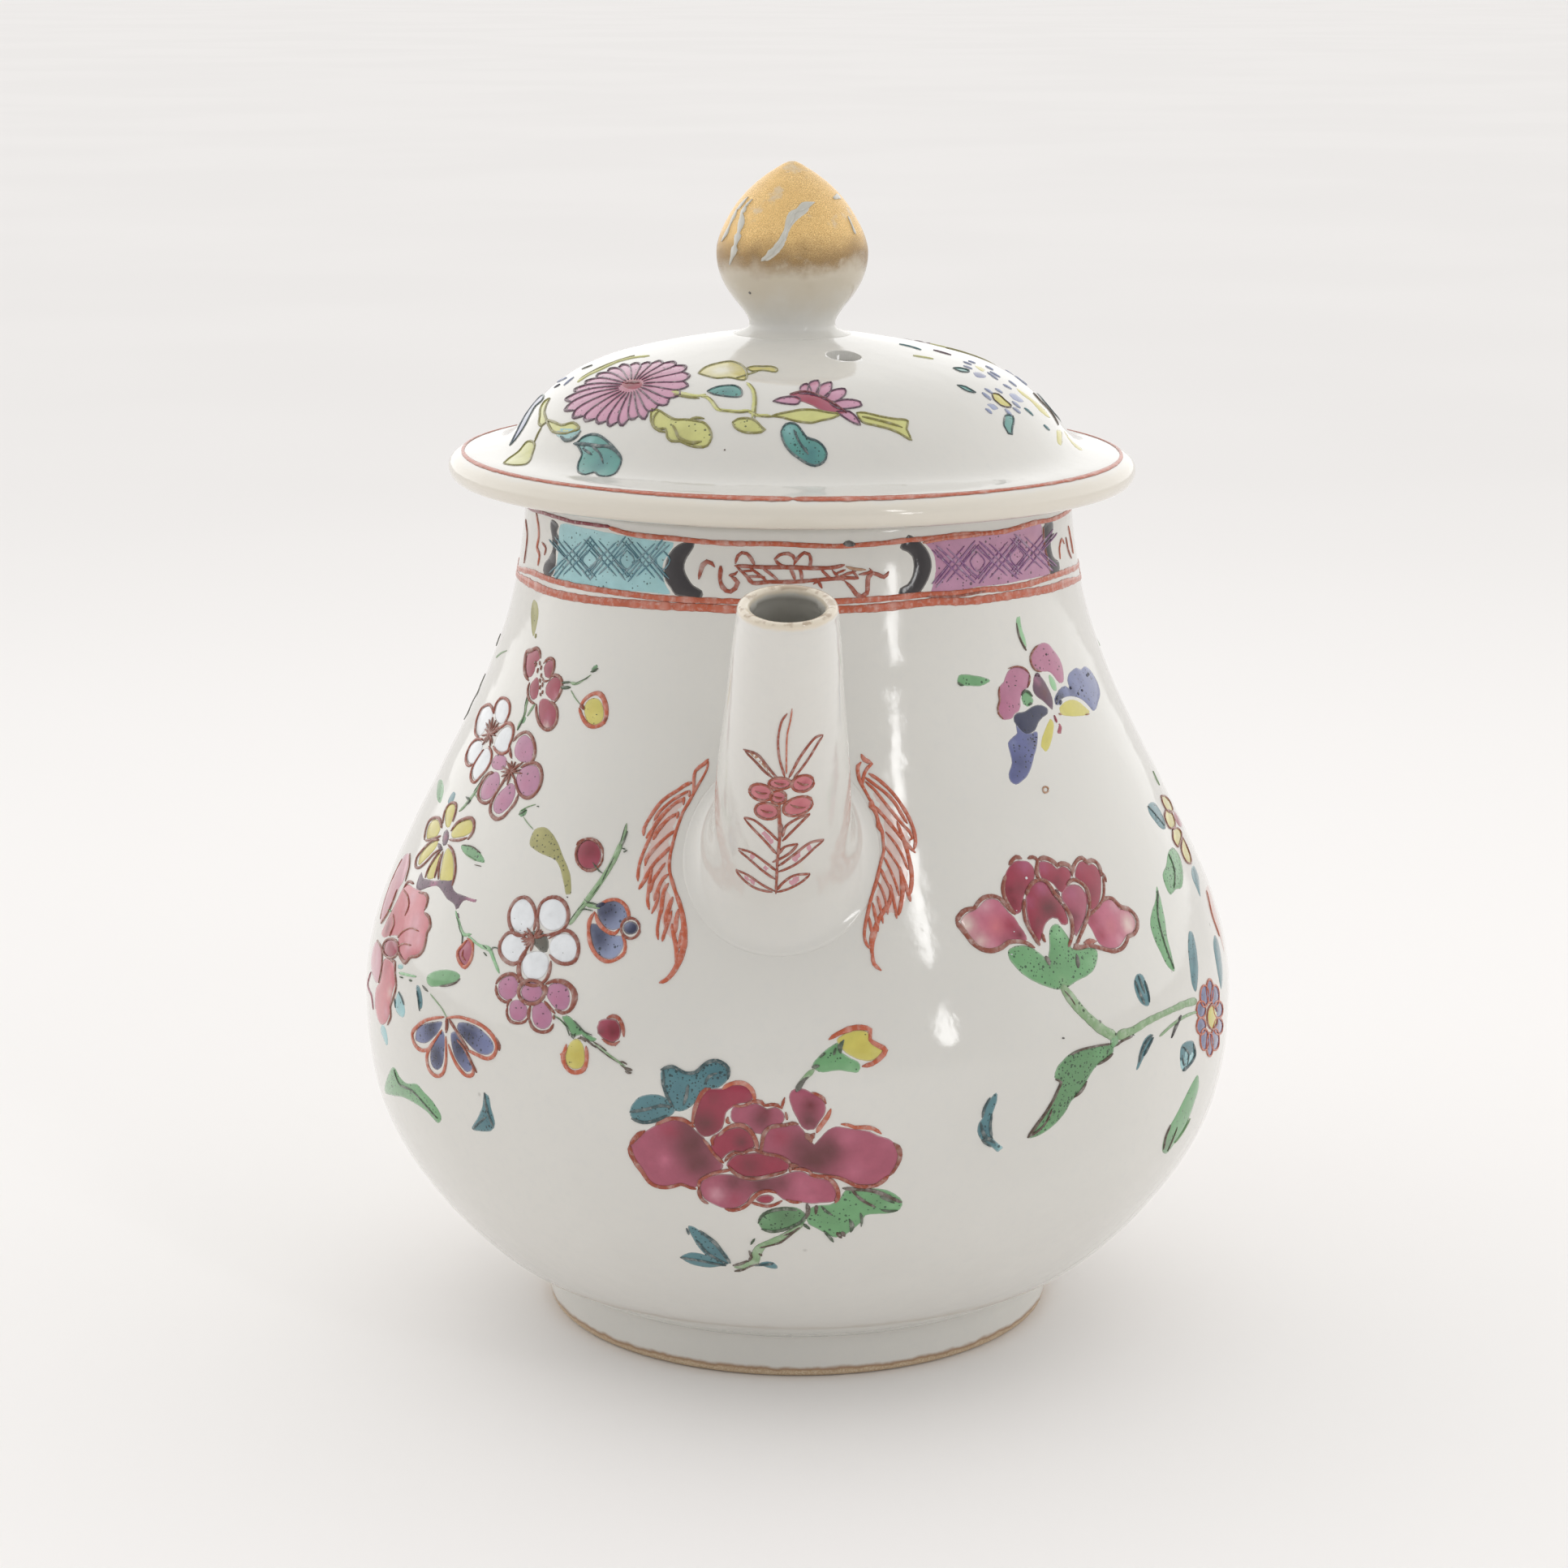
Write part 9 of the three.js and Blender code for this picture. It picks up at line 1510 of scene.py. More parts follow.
        ("S", "ash", [(-56.566, 40.842, 0.155), (-55.849, 40.664, 0.217), (-54.968, 40.516, 0.155)], 0.08, 1),
        ("S", "sage", [(-54.324, 40.402, 0.108), (-52.618, 39.938, 0.123), (-51.2, 39.498, 0.123), (-49.97, 38.868, 0.123)], 0.05, 1),
        ("F", "turquoise", [(-63.116, 38.855), (-62.161, 38.89), (-60.984, 38.332), (-60.164, 37.383), (-60.653, 36.801), (-62.332, 36.772), (-63.421, 37.187), (-63.549, 38.126)], [(-62.258, 37.912, 0.799, "teal", 0.4)], 0.15, 0.09),
        ("S", "tealink", [(-62.855, 38.988, 0.094), (-61.482, 38.55, 0.125), (-60.684, 38.075, 0.109)], 0.1, 1),
        ("S", "tealink", [(-63.809, 38.072, 0.094), (-63.212, 37.231, 0.11)], 0.08, 1),
        ("F", "teal", [(-58.271, 40.6), (-57.547, 40.659), (-56.561, 40.142), (-55.943, 39.478), (-55.822, 38.719), (-56.287, 38.393), (-56.918, 38.979), (-57.765, 39.757)], [(-56.777, 39.476, 0.79, "tealdark", 0.5)], 0.2, 0.09),
        ("S", "tealink", [(-57.697, 40.083, 0.124), (-56.915, 39.293, 0.155), (-56.263, 38.319, 0.124)], 0.1, 1),
        ("F", "turquoise", [(-68.908, 34.176), (-67.214, 34.395), (-66.338, 33.765), (-66.068, 32.833), (-66.777, 32.505), (-68.317, 32.982), (-69.403, 33.398)], [], 0.2, 0.09),
        ("F", "tealpale", [(-62.946, 41.506), (-62.946, 41.383), (-63.12, 41.25), (-63.435, 41.133), (-63.833, 41.055), (-64.235, 41.031), (-64.56, 41.066), (-64.74, 41.154), (-64.738, 41.278), (-64.553, 41.414), (-64.227, 41.533), (-63.827, 41.611), (-63.432, 41.633), (-63.119, 41.595)], [], 0.1, 0.09),
        ("F", "slate", [(-56.898, 35.887), (-56.34, 36.561), (-54.488, 37.403), (-52.372, 37.994), (-50.735, 38.265), (-51.17, 37.404), (-52.445, 36.374), (-54.26, 35.457), (-56.044, 35.175), (-57.088, 35.283)], [(-52.936, 37.228, 1.836, "navy", 1), (-51.17, 37.404, 0.627, "sky", 0.4)], 0.45, 0.09),
        ("F", "slate", [(-53.133, 34.637), (-52.408, 35.904), (-51.116, 37.101), (-50.306, 37.408), (-49.94, 36.534), (-50.009, 35.09), (-50.495, 33.872), (-51.581, 33.204), (-52.656, 33.278), (-53.174, 33.821)], [(-51.677, 34.766, 1.834, "navy", 1), (-50.009, 35.09, 0.627, "sky", 0.4)], 0.45, 0.09),
        ("F", "slate", [(-48.821, 37.522), (-48.235, 37.86), (-47.365, 37.471), (-45.847, 36.491), (-44.456, 35.478), (-44.314, 34.711), (-45.367, 34.17), (-46.417, 34.489), (-47.652, 35.217), (-48.498, 36.328)], [(-47.061, 36.275, 1.819, "navy", 1), (-44.314, 34.711, 0.62, "sky", 0.4)], 0.45, 0.09),
        ("F", "slate", [(-47.767, 38.638), (-46.594, 38.993), (-44.484, 39.038), (-42.377, 38.616), (-40.874, 37.938), (-40.639, 37.209), (-41.533, 36.602), (-43.202, 36.48), (-44.995, 36.952), (-46.606, 37.604), (-47.664, 38.193)], [(-45.463, 38.032, 1.812, "navy", 1), (-40.639, 37.209, 0.617, "sky", 0.4)], 0.45, 0.09),
        ("S", "rust", [(-50.467, 38.81, 0.246), (-52.462, 38.336, 0.339), (-54.559, 37.704, 0.402), (-56.565, 36.676, 0.435), (-57.746, 35.713, 0.498), (-57.305, 34.914, 0.467), (-55.858, 34.486, 0.466), (-53.879, 34.842, 0.371), (-52.4, 35.746, 0.278)], 0.075, 1),
        ("S", "rust", [(-50.667, 37.498, 0.215), (-51.899, 36.321, 0.339), (-53.31, 35.085, 0.433), (-53.994, 33.978, 0.433), (-53.535, 32.936, 0.433), (-51.99, 32.522, 0.432), (-50.372, 33.089, 0.4), (-49.624, 34.363, 0.338), (-49.551, 35.815, 0.276), (-49.736, 37.043, 0.215)], 0.075, 1),
        ("S", "rust", [(-49.156, 36.364, 0.215), (-48.457, 35.544, 0.337), (-47.04, 34.373, 0.428), (-45.383, 33.799, 0.458), (-44.182, 34.257, 0.396), (-44.25, 35.04, 0.304)], 0.075, 1),
        ("S", "brown", [(-47.471, 37.141, 0.214), (-45.847, 36.491, 0.305), (-44.455, 35.321, 0.335), (-43.51, 34.456, 0.304)], 0.1, 1),
        ("S", "rust", [(-50.111, 38.765, 0.215), (-47.622, 39.308, 0.336), (-45.164, 39.384, 0.396), (-42.774, 39.162, 0.425), (-40.975, 38.532, 0.454), (-40.17, 37.743, 0.453), (-40.46, 36.775, 0.454), (-41.642, 36.195, 0.424), (-43.473, 36.277, 0.395), (-45.241, 36.441, 0.305)], 0.075, 1),
        ("S", "brown", [(-40.42, 38.466, 0.242), (-39.726, 37.812, 0.393), (-39.658, 37.287, 0.242)], 0.075, 1),
        ("S", "brown", [(-49.447, 38.806, 0.306), (-47.601, 37.895, 0.306), (-45.896, 36.951, 0.305), (-44.941, 36.415, 0.244)], 0.1, 1),
        ("S", "brown", [(-49.97, 38.868, 0.46), (-49.682, 38.145, 0.46), (-49.721, 37.359, 0.276)], 0.12, 1),
        ("F", "coral", [(-72.432, 47.854), (-70.763, 48.342), (-68.1, 48.462), (-64.068, 48.682), (-62.971, 48.557), (-61.889, 47.818), (-61.724, 47.079), (-60.172, 46.882), (-59.027, 46.159), (-59.391, 45.486), (-58.613, 44.702), (-58.875, 43.738), (-60.435, 43.071), (-62.007, 42.546), (-62.861, 41.993), (-64.271, 42.272), (-66.327, 42.82), (-67.335, 43.573), (-70.674, 43.083), (-73.352, 42.385), (-75.376, 42.459), (-74.834, 43.543), (-73.955, 44.846), (-73.028, 46.468)], [(-71.397, 45.337, 2.164, "coral", 0.8), (-72.725, 43.639, 1.357, "umber", 0.6), (-69.126, 46.395, 1.346, "coral", 0.7), (-63.193, 45.589, 1.598, "blush", 0.7), (-67.011, 47.715, 1.073, "blush", 0.7), (-62.939, 43.463, 1.066, "blush", 0.6), (-60.392, 44.543, 0.796, "blush", 0.6)], 0, 0.08),
        ("S", "iron", [(-67.335, 43.573, 0.19), (-65.993, 44.456, 0.221), (-63.824, 45.166, 0.188), (-61.229, 45.319, 0.156)], 0.12, 1),
        ("S", "iron", [(-71.859, 47.639, 0.159), (-68.7, 47.417, 0.222), (-67.116, 46.758, 0.189), (-67.301, 45.784, 0.158)], 0.12, 1),
        ("S", "iron", [(-70.674, 43.083, 0.159), (-70.217, 44.288, 0.222), (-72.192, 45.026, 0.191)], 0.12, 1),
        ("S", "iron", [(-66.327, 42.82, 0.158), (-64.676, 43.45, 0.204), (-62.164, 43.761, 0.188)], 0.12, 1),
        ("S", "brown", [(-72.142, 47.747, 0.255), (-71.208, 48.516, 0.35), (-68.712, 48.747, 0.253)], 0.075, 1),
        ("S", "brown", [(-65.808, 48.388, 0.22), (-63.396, 48.64, 0.313), (-62.146, 48.387, 0.375), (-61.718, 47.693, 0.344), (-61.88, 47.283, 0.25)], 0.075, 1),
        ("S", "brown", [(-61.502, 47.117, 0.281), (-59.877, 46.932, 0.374), (-58.702, 46.214, 0.404), (-58.982, 45.556, 0.342), (-58.659, 44.847, 0.342), (-58.594, 43.941, 0.342), (-59.742, 43.12, 0.374), (-61.397, 42.738, 0.344), (-62.474, 41.989, 0.407), (-64.455, 42.158, 0.377), (-66.019, 42.564, 0.284)], 0.075, 1),
        ("F", "crimson", [(-71.915, 41.869), (-71.426, 42.452), (-68.974, 43.066), (-66.65, 43.074), (-66.084, 42.394), (-67.423, 41.574), (-69.743, 41.265), (-71.491, 41.39)], [(-68.701, 42.036, 0.808, "crimson", 0.6), (-70.353, 42.346, 0.541, "blush", 0.6)], 0, 0.12),
        ("S", "brown", [(-65.778, 42.8, 0.224), (-65.626, 42.495, 0.229), (-65.835, 42.16, 0.258), (-66.392, 41.831, 0.281), (-67.248, 41.544, 0.276), (-68.324, 41.327, 0.248), (-69.51, 41.205, 0.225), (-70.664, 41.191, 0.231), (-71.629, 41.294, 0.261), (-72.25, 41.509, 0.284), (-72.42, 41.818, 0.279), (-72.115, 42.181, 0.25), (-71.401, 42.548, 0.226), (-70.398, 42.866, 0.231), (-69.251, 43.092, 0.259), (-68.102, 43.199, 0.282), (-67.076, 43.179, 0.276), (-66.277, 43.038, 0.247), (-65.778, 42.8, 0.224)], 0.1, 1),
        ("F", "coral", [(-70.672, 40.589), (-66.668, 41.167), (-65.315, 40.323), (-64.565, 39.677), (-64.982, 38.309), (-65.156, 37.304), (-65.2, 36.32), (-67.052, 34.762), (-70.106, 34.235), (-72.327, 35.392), (-72.358, 37.207), (-70.524, 38.59)], [(-68.585, 40.134, 0.971, "crimson", 0.5), (-69.057, 37.603, 1.08, "coral", 0.6), (-65.615, 38.337, 0.697, "pale", 0.7), (-66.427, 36.052, 0.808, "blush", 0.7)], 0, 0.11),
        ("S", "brown", [(-67.738, 41.191, 0.222), (-65.835, 41.333, 0.315), (-65.046, 40.377, 0.346), (-63.94, 39.325, 0.346), (-64.469, 37.853, 0.346), (-65.057, 37.002, 0.252), (-64.682, 36.106, 0.315), (-66.055, 34.82, 0.285)], 0.075, 1),
        ("F", "blush", [(-77.07, 41.288), (-73.908, 41.459), (-71.799, 40.76), (-70.993, 39.142), (-71.876, 37.97), (-75.342, 38.032), (-78.329, 38.699), (-78.902, 40.07)], [(-75.707, 40.261, 0.819, "coral", 0.5)], 0, 0.1),
        ("S", "brown", [(-76.651, 41.458, 0.193), (-72.493, 41.265, 0.255), (-70.901, 39.974, 0.255), (-71.07, 38.146, 0.223)], 0.075, 1),
        ("F", "blush", [(-77.688, 50.285), (-74.492, 49.399), (-73.666, 48.269), (-74.523, 46.991), (-74.716, 45.344), (-76.334, 43.567), (-77.702, 42.963), (-81.119, 44.079), (-81.757, 45.937), (-80.962, 47.902), (-80.495, 49.299)], [(-77.979, 46.665, 1.642, "coral", 0.5), (-77.47, 44.808, 1.095, "rose", 0.5)], 0, 0.1),
        ("S", "brown", [(-76.745, 50.449, 0.16), (-73.728, 49.533, 0.223), (-72.625, 48.296, 0.191)], 0.075, 1),
        ("S", "iron", [(-74.846, 47.092, 0.16), (-74.69, 45.994, 0.192), (-75.192, 44.605, 0.192), (-77.17, 43.072, 0.161)], 0.11, 1),
        ("S", "iron", [(-80.21, 49.268, 0.145), (-80.82, 47.107, 0.178), (-80.472, 45.364, 0.162), (-78.808, 43.229, 0.145)], 0.06, 1),
        ("S", "rose", [(-76.852, 38.028, 0.226), (-78.899, 36.229, 0.292), (-74.622, 35.868, 0.289), (-73.394, 34.814, 0.225)], 0.06, 1),
        ("F", "teal", [(-42.223, 32.669), (-41.515, 32.46), (-41.169, 31.352), (-40.674, 29.664), (-41.391, 28.849), (-43.556, 28.356), (-45.265, 28.284), (-43.887, 29.669), (-42.789, 31.061)], [(-42.079, 29.836, 1.078, "tealdark", 0.6)], 0.6, 0.09),
        ("S", "tealink", [(-42.223, 32.669, 0.198), (-41.897, 31.222, 0.277), (-41.012, 29.347, 0.237)], 0.11, 1),
        ("S", "tealink", [(-44.937, 28.348, 0.199), (-43.33, 29.432, 0.238), (-42.025, 30.186, 0.198)], 0.11, 1),
        ("F", "green", [(-71.263, 26.427), (-67.372, 29.147), (-63.998, 30.814), (-62.465, 30.212), (-60.418, 29.985), (-56.941, 30.589), (-55.329, 30.165), (-53.085, 29.527), (-51.551, 28.294), (-52.618, 27.367), (-55.178, 28.028), (-58.18, 28.227), (-62.359, 27.962), (-66.583, 27.13)], [(-62.093, 29.077, 1.394, "leaf", 0.5)], 0.4, 0.09),
        ("S", "greenink", [(-64.089, 30.532, 0.205), (-62.766, 29.445, 0.246), (-58.145, 29.543, 0.244), (-52.421, 27.934, 0.202)], 0.11, 1),
    ]),
    ('spray_low_right', 'pot', [
        ("F", "lilac", [(-41.345, 42.973), (-41.354, 43.644), (-40.628, 44.191), (-39.394, 44.522), (-38.592, 44.349), (-38.042, 43.754), (-38.048, 42.975), (-38.573, 42.458), (-39.398, 42.177), (-40.627, 42.399)], [(-39.689, 43.113, 1.18, "orchid", 0.5), (-39.707, 43.668, 0.59, "lilac", 0.4)], 0.14, 0.09),
        ("S", "brown", [(-41.876, 43.347, 0.348), (-41.394, 43.974, 0.394), (-40.53, 44.449, 0.371), (-39.44, 44.627, 0.393), (-38.516, 44.414, 0.37), (-37.991, 43.983, 0.277)], 0.09, 1),
        ("F", "lilac", [(-38.847, 41.406), (-38.756, 42.096), (-38.06, 42.437), (-36.871, 42.46), (-36.047, 42.008), (-35.868, 41.357), (-36.39, 40.722), (-37.514, 40.511), (-38.364, 40.734)], [(-37.521, 41.289, 1.176, "orchid", 0.5), (-37.485, 41.859, 0.588, "lilac", 0.4)], 0.14, 0.09),
        ("S", "brown", [(-39.205, 41.582, 0.301), (-39.085, 42.164, 0.324), (-38.633, 42.338, 0.277)], 0.09, 1),
        ("F", "lilac", [(-35.127, 41.453), (-35.212, 42.115), (-34.422, 42.658), (-33.498, 42.714), (-32.527, 42.22), (-32.012, 41.614), (-32.113, 40.817), (-32.926, 40.322), (-34.036, 40.351), (-34.788, 40.82)], [(-33.768, 41.277, 1.171, "orchid", 0.5), (-33.722, 41.843, 0.585, "lilac", 0.4)], 0.14, 0.09),
        ("S", "brown", [(-35.498, 41.18, 0.299), (-34.879, 40.355, 0.345), (-33.974, 40.018, 0.368), (-32.965, 40.033, 0.367), (-32.029, 40.376, 0.367), (-31.642, 40.986, 0.344)], 0.09, 1),
        ("F", "lilac", [(-33.471, 44.093), (-33.124, 44.461), (-31.916, 44.76), (-30.767, 44.611), (-30.052, 44.033), (-29.755, 43.3), (-30.017, 42.615), (-30.829, 42.305), (-31.76, 42.42), (-32.828, 42.959), (-33.388, 43.444)], [(-31.719, 43.32, 1.168, "orchid", 0.5), (-31.703, 43.87, 0.585, "lilac", 0.4)], 0.14, 0.09),
        ("S", "brown", [(-33.852, 44.378, 0.276), (-32.681, 44.817, 0.436), (-31.221, 44.889, 0.504), (-30.034, 44.579, 0.595), (-29.213, 43.902, 0.686), (-29.183, 43.142, 0.594), (-29.62, 42.438, 0.434), (-30.602, 42.109, 0.366), (-31.731, 42.313, 0.321)], 0.09, 1),
        ("F", "lilac", [(-34.074, 43.638), (-34.112, 43.242), (-34.471, 42.884), (-35.08, 42.633), (-35.822, 42.54), (-36.553, 42.623), (-37.129, 42.866), (-37.435, 43.222), (-37.406, 43.621), (-37.044, 43.983), (-36.422, 44.235), (-35.667, 44.327), (-34.933, 44.241), (-34.366, 43.995)], [(-35.679, 43.278, 1.175, "orchid", 0.4)], 0.12, 0.12),
        ("S", "brown", [(-33.783, 43.673, 0.426), (-33.782, 43.296, 0.381), (-34.021, 42.936, 0.346), (-34.471, 42.634, 0.356), (-35.079, 42.427, 0.4), (-35.774, 42.34, 0.436), (-36.473, 42.382, 0.427), (-37.094, 42.551, 0.383), (-37.561, 42.825, 0.348), (-37.818, 43.172, 0.357), (-37.83, 43.551, 0.402), (-37.593, 43.915, 0.437), (-37.134, 44.22, 0.427), (-36.511, 44.429, 0.383), (-35.802, 44.515, 0.347), (-35.096, 44.469, 0.356), (-34.479, 44.297, 0.4), (-34.024, 44.02, 0.435), (-33.783, 43.673, 0.426)], 0.12, 1),
        ("S", "brown", [(-41.829, 43.242, 0.325), (-41.316, 42.527, 0.348), (-40.291, 42.052, 0.347), (-39.245, 42.029, 0.324), (-38.712, 42.271, 0.254)], 0.075, 1),
        ("S", "brown", [(-39.166, 41.588, 0.278), (-39.058, 40.921, 0.324), (-38.271, 40.347, 0.347), (-37.083, 40.342, 0.323), (-35.99, 40.662, 0.322), (-35.601, 41.054, 0.299)], 0.075, 1),
        ("S", "brown", [(-35.52, 42.187, 0.368), (-35.617, 41.503, 0.391), (-35.42, 40.851, 0.322)], 0.1, 1),
        ("S", "brown", [(-33.547, 42.874, 0.298), (-32.467, 42.338, 0.344), (-31.636, 41.936, 0.298)], 0.075, 1),
        ("S", "brown", [(-31.751, 41.812, 0.344), (-31.687, 41.373, 0.344)], 0.1, 1),
        ("S", "brown", [(-34.2, 44.283, 0.345), (-33.617, 43.967, 0.528), (-33.68, 43.3, 0.413)], 0.12, 1),
        ("S", "plum", [(-36.466, 43.589, 0.319), (-36.216, 43.606, 0.319)], 0.13, 1),
        ("S", "plum", [(-37.803, 41.697, 0.293), (-37.57, 41.713, 0.293)], 0.12, 1),
        ("S", "plum", [(-33.466, 41.718, 0.291), (-33.248, 41.729, 0.291)], 0.12, 1),
        ("S", "plum", [(-31.724, 43.962, 0.264), (-31.528, 43.968, 0.264)], 0.12, 1),
        ("S", "plum", [(-40.248, 43.573, 0.24), (-40.047, 43.585, 0.24)], 0.12, 1),
        ("F", "crimson", [(-25.466, 41.32), (-25.316, 41.886), (-24.542, 42.177), (-23.652, 42.258), (-22.991, 42.206), (-22.441, 41.816), (-22.218, 41.176), (-22.419, 40.493), (-23.021, 40.16), (-23.832, 40.197), (-24.678, 40.451), (-25.299, 40.781)], [(-23.172, 41.313, 0.966, "deep", 0.9), (-25.158, 41.46, 0.58, "rose", 0.7), (-24.259, 41.984, 0.464, "rose", 0.5), (-25.072, 40.915, 0.386, "umber", 0.8)], 0, 0.12),
        ("S", "iron", [(-24.314, 42.286, 0.227), (-23.539, 42.529, 0.386), (-22.7, 42.395, 0.431), (-22.124, 41.843, 0.431), (-21.871, 41.206, 0.363), (-21.735, 40.775, 0.227)], 0.075, 1),
        ("S", "iron", [(-24.664, 40.341, 0.182), (-23.812, 40.031, 0.295), (-22.841, 39.987, 0.341), (-22.241, 40.342, 0.272)], 0.075, 1),
        ("F", "yellow", [(-29.532, 38.287), (-29.286, 39.115), (-28.767, 39.742), (-27.95, 40.002), (-27.218, 39.573), (-26.829, 38.822), (-26.718, 38.036), (-27.079, 37.364), (-27.897, 37.097), (-28.831, 37.161), (-29.414, 37.611)], [(-27.754, 38.378, 0.969, "gold", 0.8), (-28.685, 37.467, 0.583, "straw", 0.4), (-28.554, 39.426, 0.581, "straw", 0.5)], 0.1, 0.09),
        ("S", "rust", [(-29.485, 39.319, 0.343), (-29.656, 38.615, 0.389), (-29.873, 38.246, 0.572), (-29.731, 37.688, 0.549), (-29.255, 37.11, 0.48), (-28.467, 36.774, 0.457), (-27.629, 36.838, 0.479), (-26.819, 37.22, 0.456), (-26.51, 37.944, 0.41), (-26.537, 38.74, 0.387), (-26.734, 39.456, 0.296)], 0.075, 1),
        ("S", "rust", [(-30.278, 38.289, 0.183), (-29.782, 38.199, 0.412)], 0.075, 1),
        ("S", "sepia", [(-27.958, 40.057, 0.16), (-27.284, 40.074, 0.205), (-26.829, 39.818, 0.182)], 0.1, 1),
        ("S", "sage", [(-31.786, 41.808, 0.137), (-30.629, 41.44, 0.16), (-29.831, 40.972, 0.251)], 0.06, 1),
        ("F", "green", [(-30.713, 41.82), (-29.953, 41.983), (-29.118, 41.775), (-28.343, 41.359), (-27.585, 40.939), (-26.858, 40.624), (-25.995, 40.433), (-25.157, 40.349), (-25.609, 40.023), (-26.092, 39.918), (-26.967, 40.22), (-27.664, 40.37), (-28.242, 40.251), (-28.538, 39.937), (-29.036, 40.388), (-29.66, 40.991)], [(-28.432, 40.904, 0.775, "leaf", 0.7), (-29.255, 41.594, 0.583, "leaf", 0.5)], 0.45, 0.09),
        ("S", "greenink", [(-31.673, 41.709, 0.103), (-30.629, 41.44, 0.114), (-29.746, 40.982, 0.114), (-29.171, 40.148, 0.114)], 0.1, 1),
        ("S", "greenink", [(-28.83, 41.64, 0.114), (-27.967, 41.177, 0.137), (-27.041, 40.716, 0.114), (-26.011, 40.543, 0.102)], 0.12, 1),
        ("S", "greenink", [(-29.036, 40.388, 0.16), (-28.604, 40.042, 0.251), (-28.36, 40.463, 0.183)], 0.12, 1),
        ("S", "sepia", [(-27.648, 40.26, 0.182), (-26.599, 39.977, 0.182), (-25.894, 39.656, 0.182), (-25.289, 39.414, 0.137)], 0.1, 1),
        ("S", "sage", [(-25.765, 39.951, 0.205), (-24.726, 39.493, 0.227), (-23.535, 38.931, 0.204), (-22.378, 38.474, 0.204), (-21.237, 37.953, 0.204)], 0.06, 1),
        ("S", "sepia", [(-25.936, 39.99, 0.091), (-24.912, 39.699, 0.114), (-23.893, 39.292, 0.091)], 0.1, 1),
        ("S", "sepia", [(-25.561, 39.634, 0.091), (-23.854, 38.901, 0.091), (-22.208, 38.32, 0.102)], 0.1, 1),
        ("S", "sepia", [(-22.06, 38.447, 0.159), (-21.586, 38.433, 0.159), (-21.07, 38.252, 0.136)], 0.1, 1),
        ("S", "sepia", [(-21.96, 38.172, 0.136), (-21.393, 37.939, 0.181), (-21.223, 37.726, 0.159)], 0.1, 1),
        ("S", "sepia", [(-21.389, 37.883, 0.25), (-20.916, 37.811, 0.317), (-20.369, 37.767, 0.249)], 0.11, 1),
        ("S", "sepia", [(-21.294, 37.606, 0.181), (-20.818, 37.477, 0.204), (-20.431, 37.511, 0.159)], 0.11, 1),
    ]),
    ('cover_chrysanthemum', 'lid', [
        ("F", "slate", [(-28.446, -7.514), (-28.174, -5.5), (-27.746, -3.24), (-27.326, -0.804), (-26.76, 0.884), (-26.101, 1.157), (-25.296, -2.12), (-25.43, -3.948), (-26.058, -3.306), (-26.562, -4.569), (-26.984, -5.781), (-27.525, -6.437)], [(-26.907, -3.183, 0.825, "teal", 0.5)], 0, 0.09),
        ("S", "tealink", [(-28.446, -7.514, 0.147), (-28.174, -5.5, 0.148), (-27.746, -3.24, 0.149), (-27.326, -0.804, 0.15), (-26.76, 0.884, 0.15), (-26.101, 1.157, 0.15), (-25.296, -2.12, 0.149), (-25.43, -3.948, 0.148), (-26.058, -3.306, 0.148), (-26.562, -4.569, 0.148), (-26.984, -5.781, 0.148), (-27.525, -6.437, 0.147), (-28.446, -7.514, 0.147)], 0.075, 1),
        ("F", "chart", [(-24.385, -6.032), (-24.929, -5.284), (-25.311, -5.831), (-25.317, -8.41), (-25.34, -9.404), (-24.939, -10.591), (-24.512, -10.86), (-24.823, -8.366), (-24.664, -6.886)], [], 0, 0.09),
        ("S", "chartink", [(-24.385, -6.032, 0.177), (-24.929, -5.284, 0.177), (-25.311, -5.831, 0.177), (-25.317, -8.41, 0.176), (-25.34, -9.404, 0.175), (-24.939, -10.591, 0.175), (-24.512, -10.86, 0.175), (-24.823, -8.366, 0.176), (-24.664, -6.886, 0.176), (-24.385, -6.032, 0.177)], 0.075, 1),
        ("S", "chartink", [(-24.931, -10.734, 0.243), (-25.318, -11.157, 0.283), (-25.599, -11.941, 0.242)], 0.075, 1),
        ("F", "chart", [(-28.577, -14.594), (-28.085, -12.517), (-27.208, -11.121), (-26.606, -10.306), (-25.782, -11.633), (-25.555, -12.677), (-25.719, -13.965), (-25.862, -15.495), (-26.275, -16.51), (-27.427, -16.058)], [(-27.06, -13.27, 0.644, "olive", 0.4)], 0, 0.09),
        ("S", "chartink", [(-28.577, -14.594, 0.173), (-28.085, -12.517, 0.174), (-27.208, -11.121, 0.175), (-26.606, -10.306, 0.175), (-25.782, -11.633, 0.174), (-25.555, -12.677, 0.174), (-25.719, -13.965, 0.173), (-25.862, -15.495, 0.173), (-26.275, -16.51, 0.172), (-27.427, -16.058, 0.173), (-28.577, -14.594, 0.173)], 0.075, 1),
        ("F", "chart", [(-24.537, -10.423), (-23.704, -12.091), (-22.706, -13.985), (-21.511, -15.182), (-20.877, -16.648), (-21.378, -16.28), (-22.049, -15.78), (-22.913, -14.708), (-23.715, -13.403), (-24.111, -12.141)], [], 0, 0.09),
        ("S", "chartink", [(-24.537, -10.423, 0.175), (-23.704, -12.091, 0.174), (-22.706, -13.985, 0.173), (-21.511, -15.182, 0.172), (-20.877, -16.648, 0.172), (-21.378, -16.28, 0.172), (-22.049, -15.78, 0.172), (-22.913, -14.708, 0.173), (-23.715, -13.403, 0.173), (-24.111, -12.141, 0.174), (-24.537, -10.423, 0.175)], 0.075, 1),
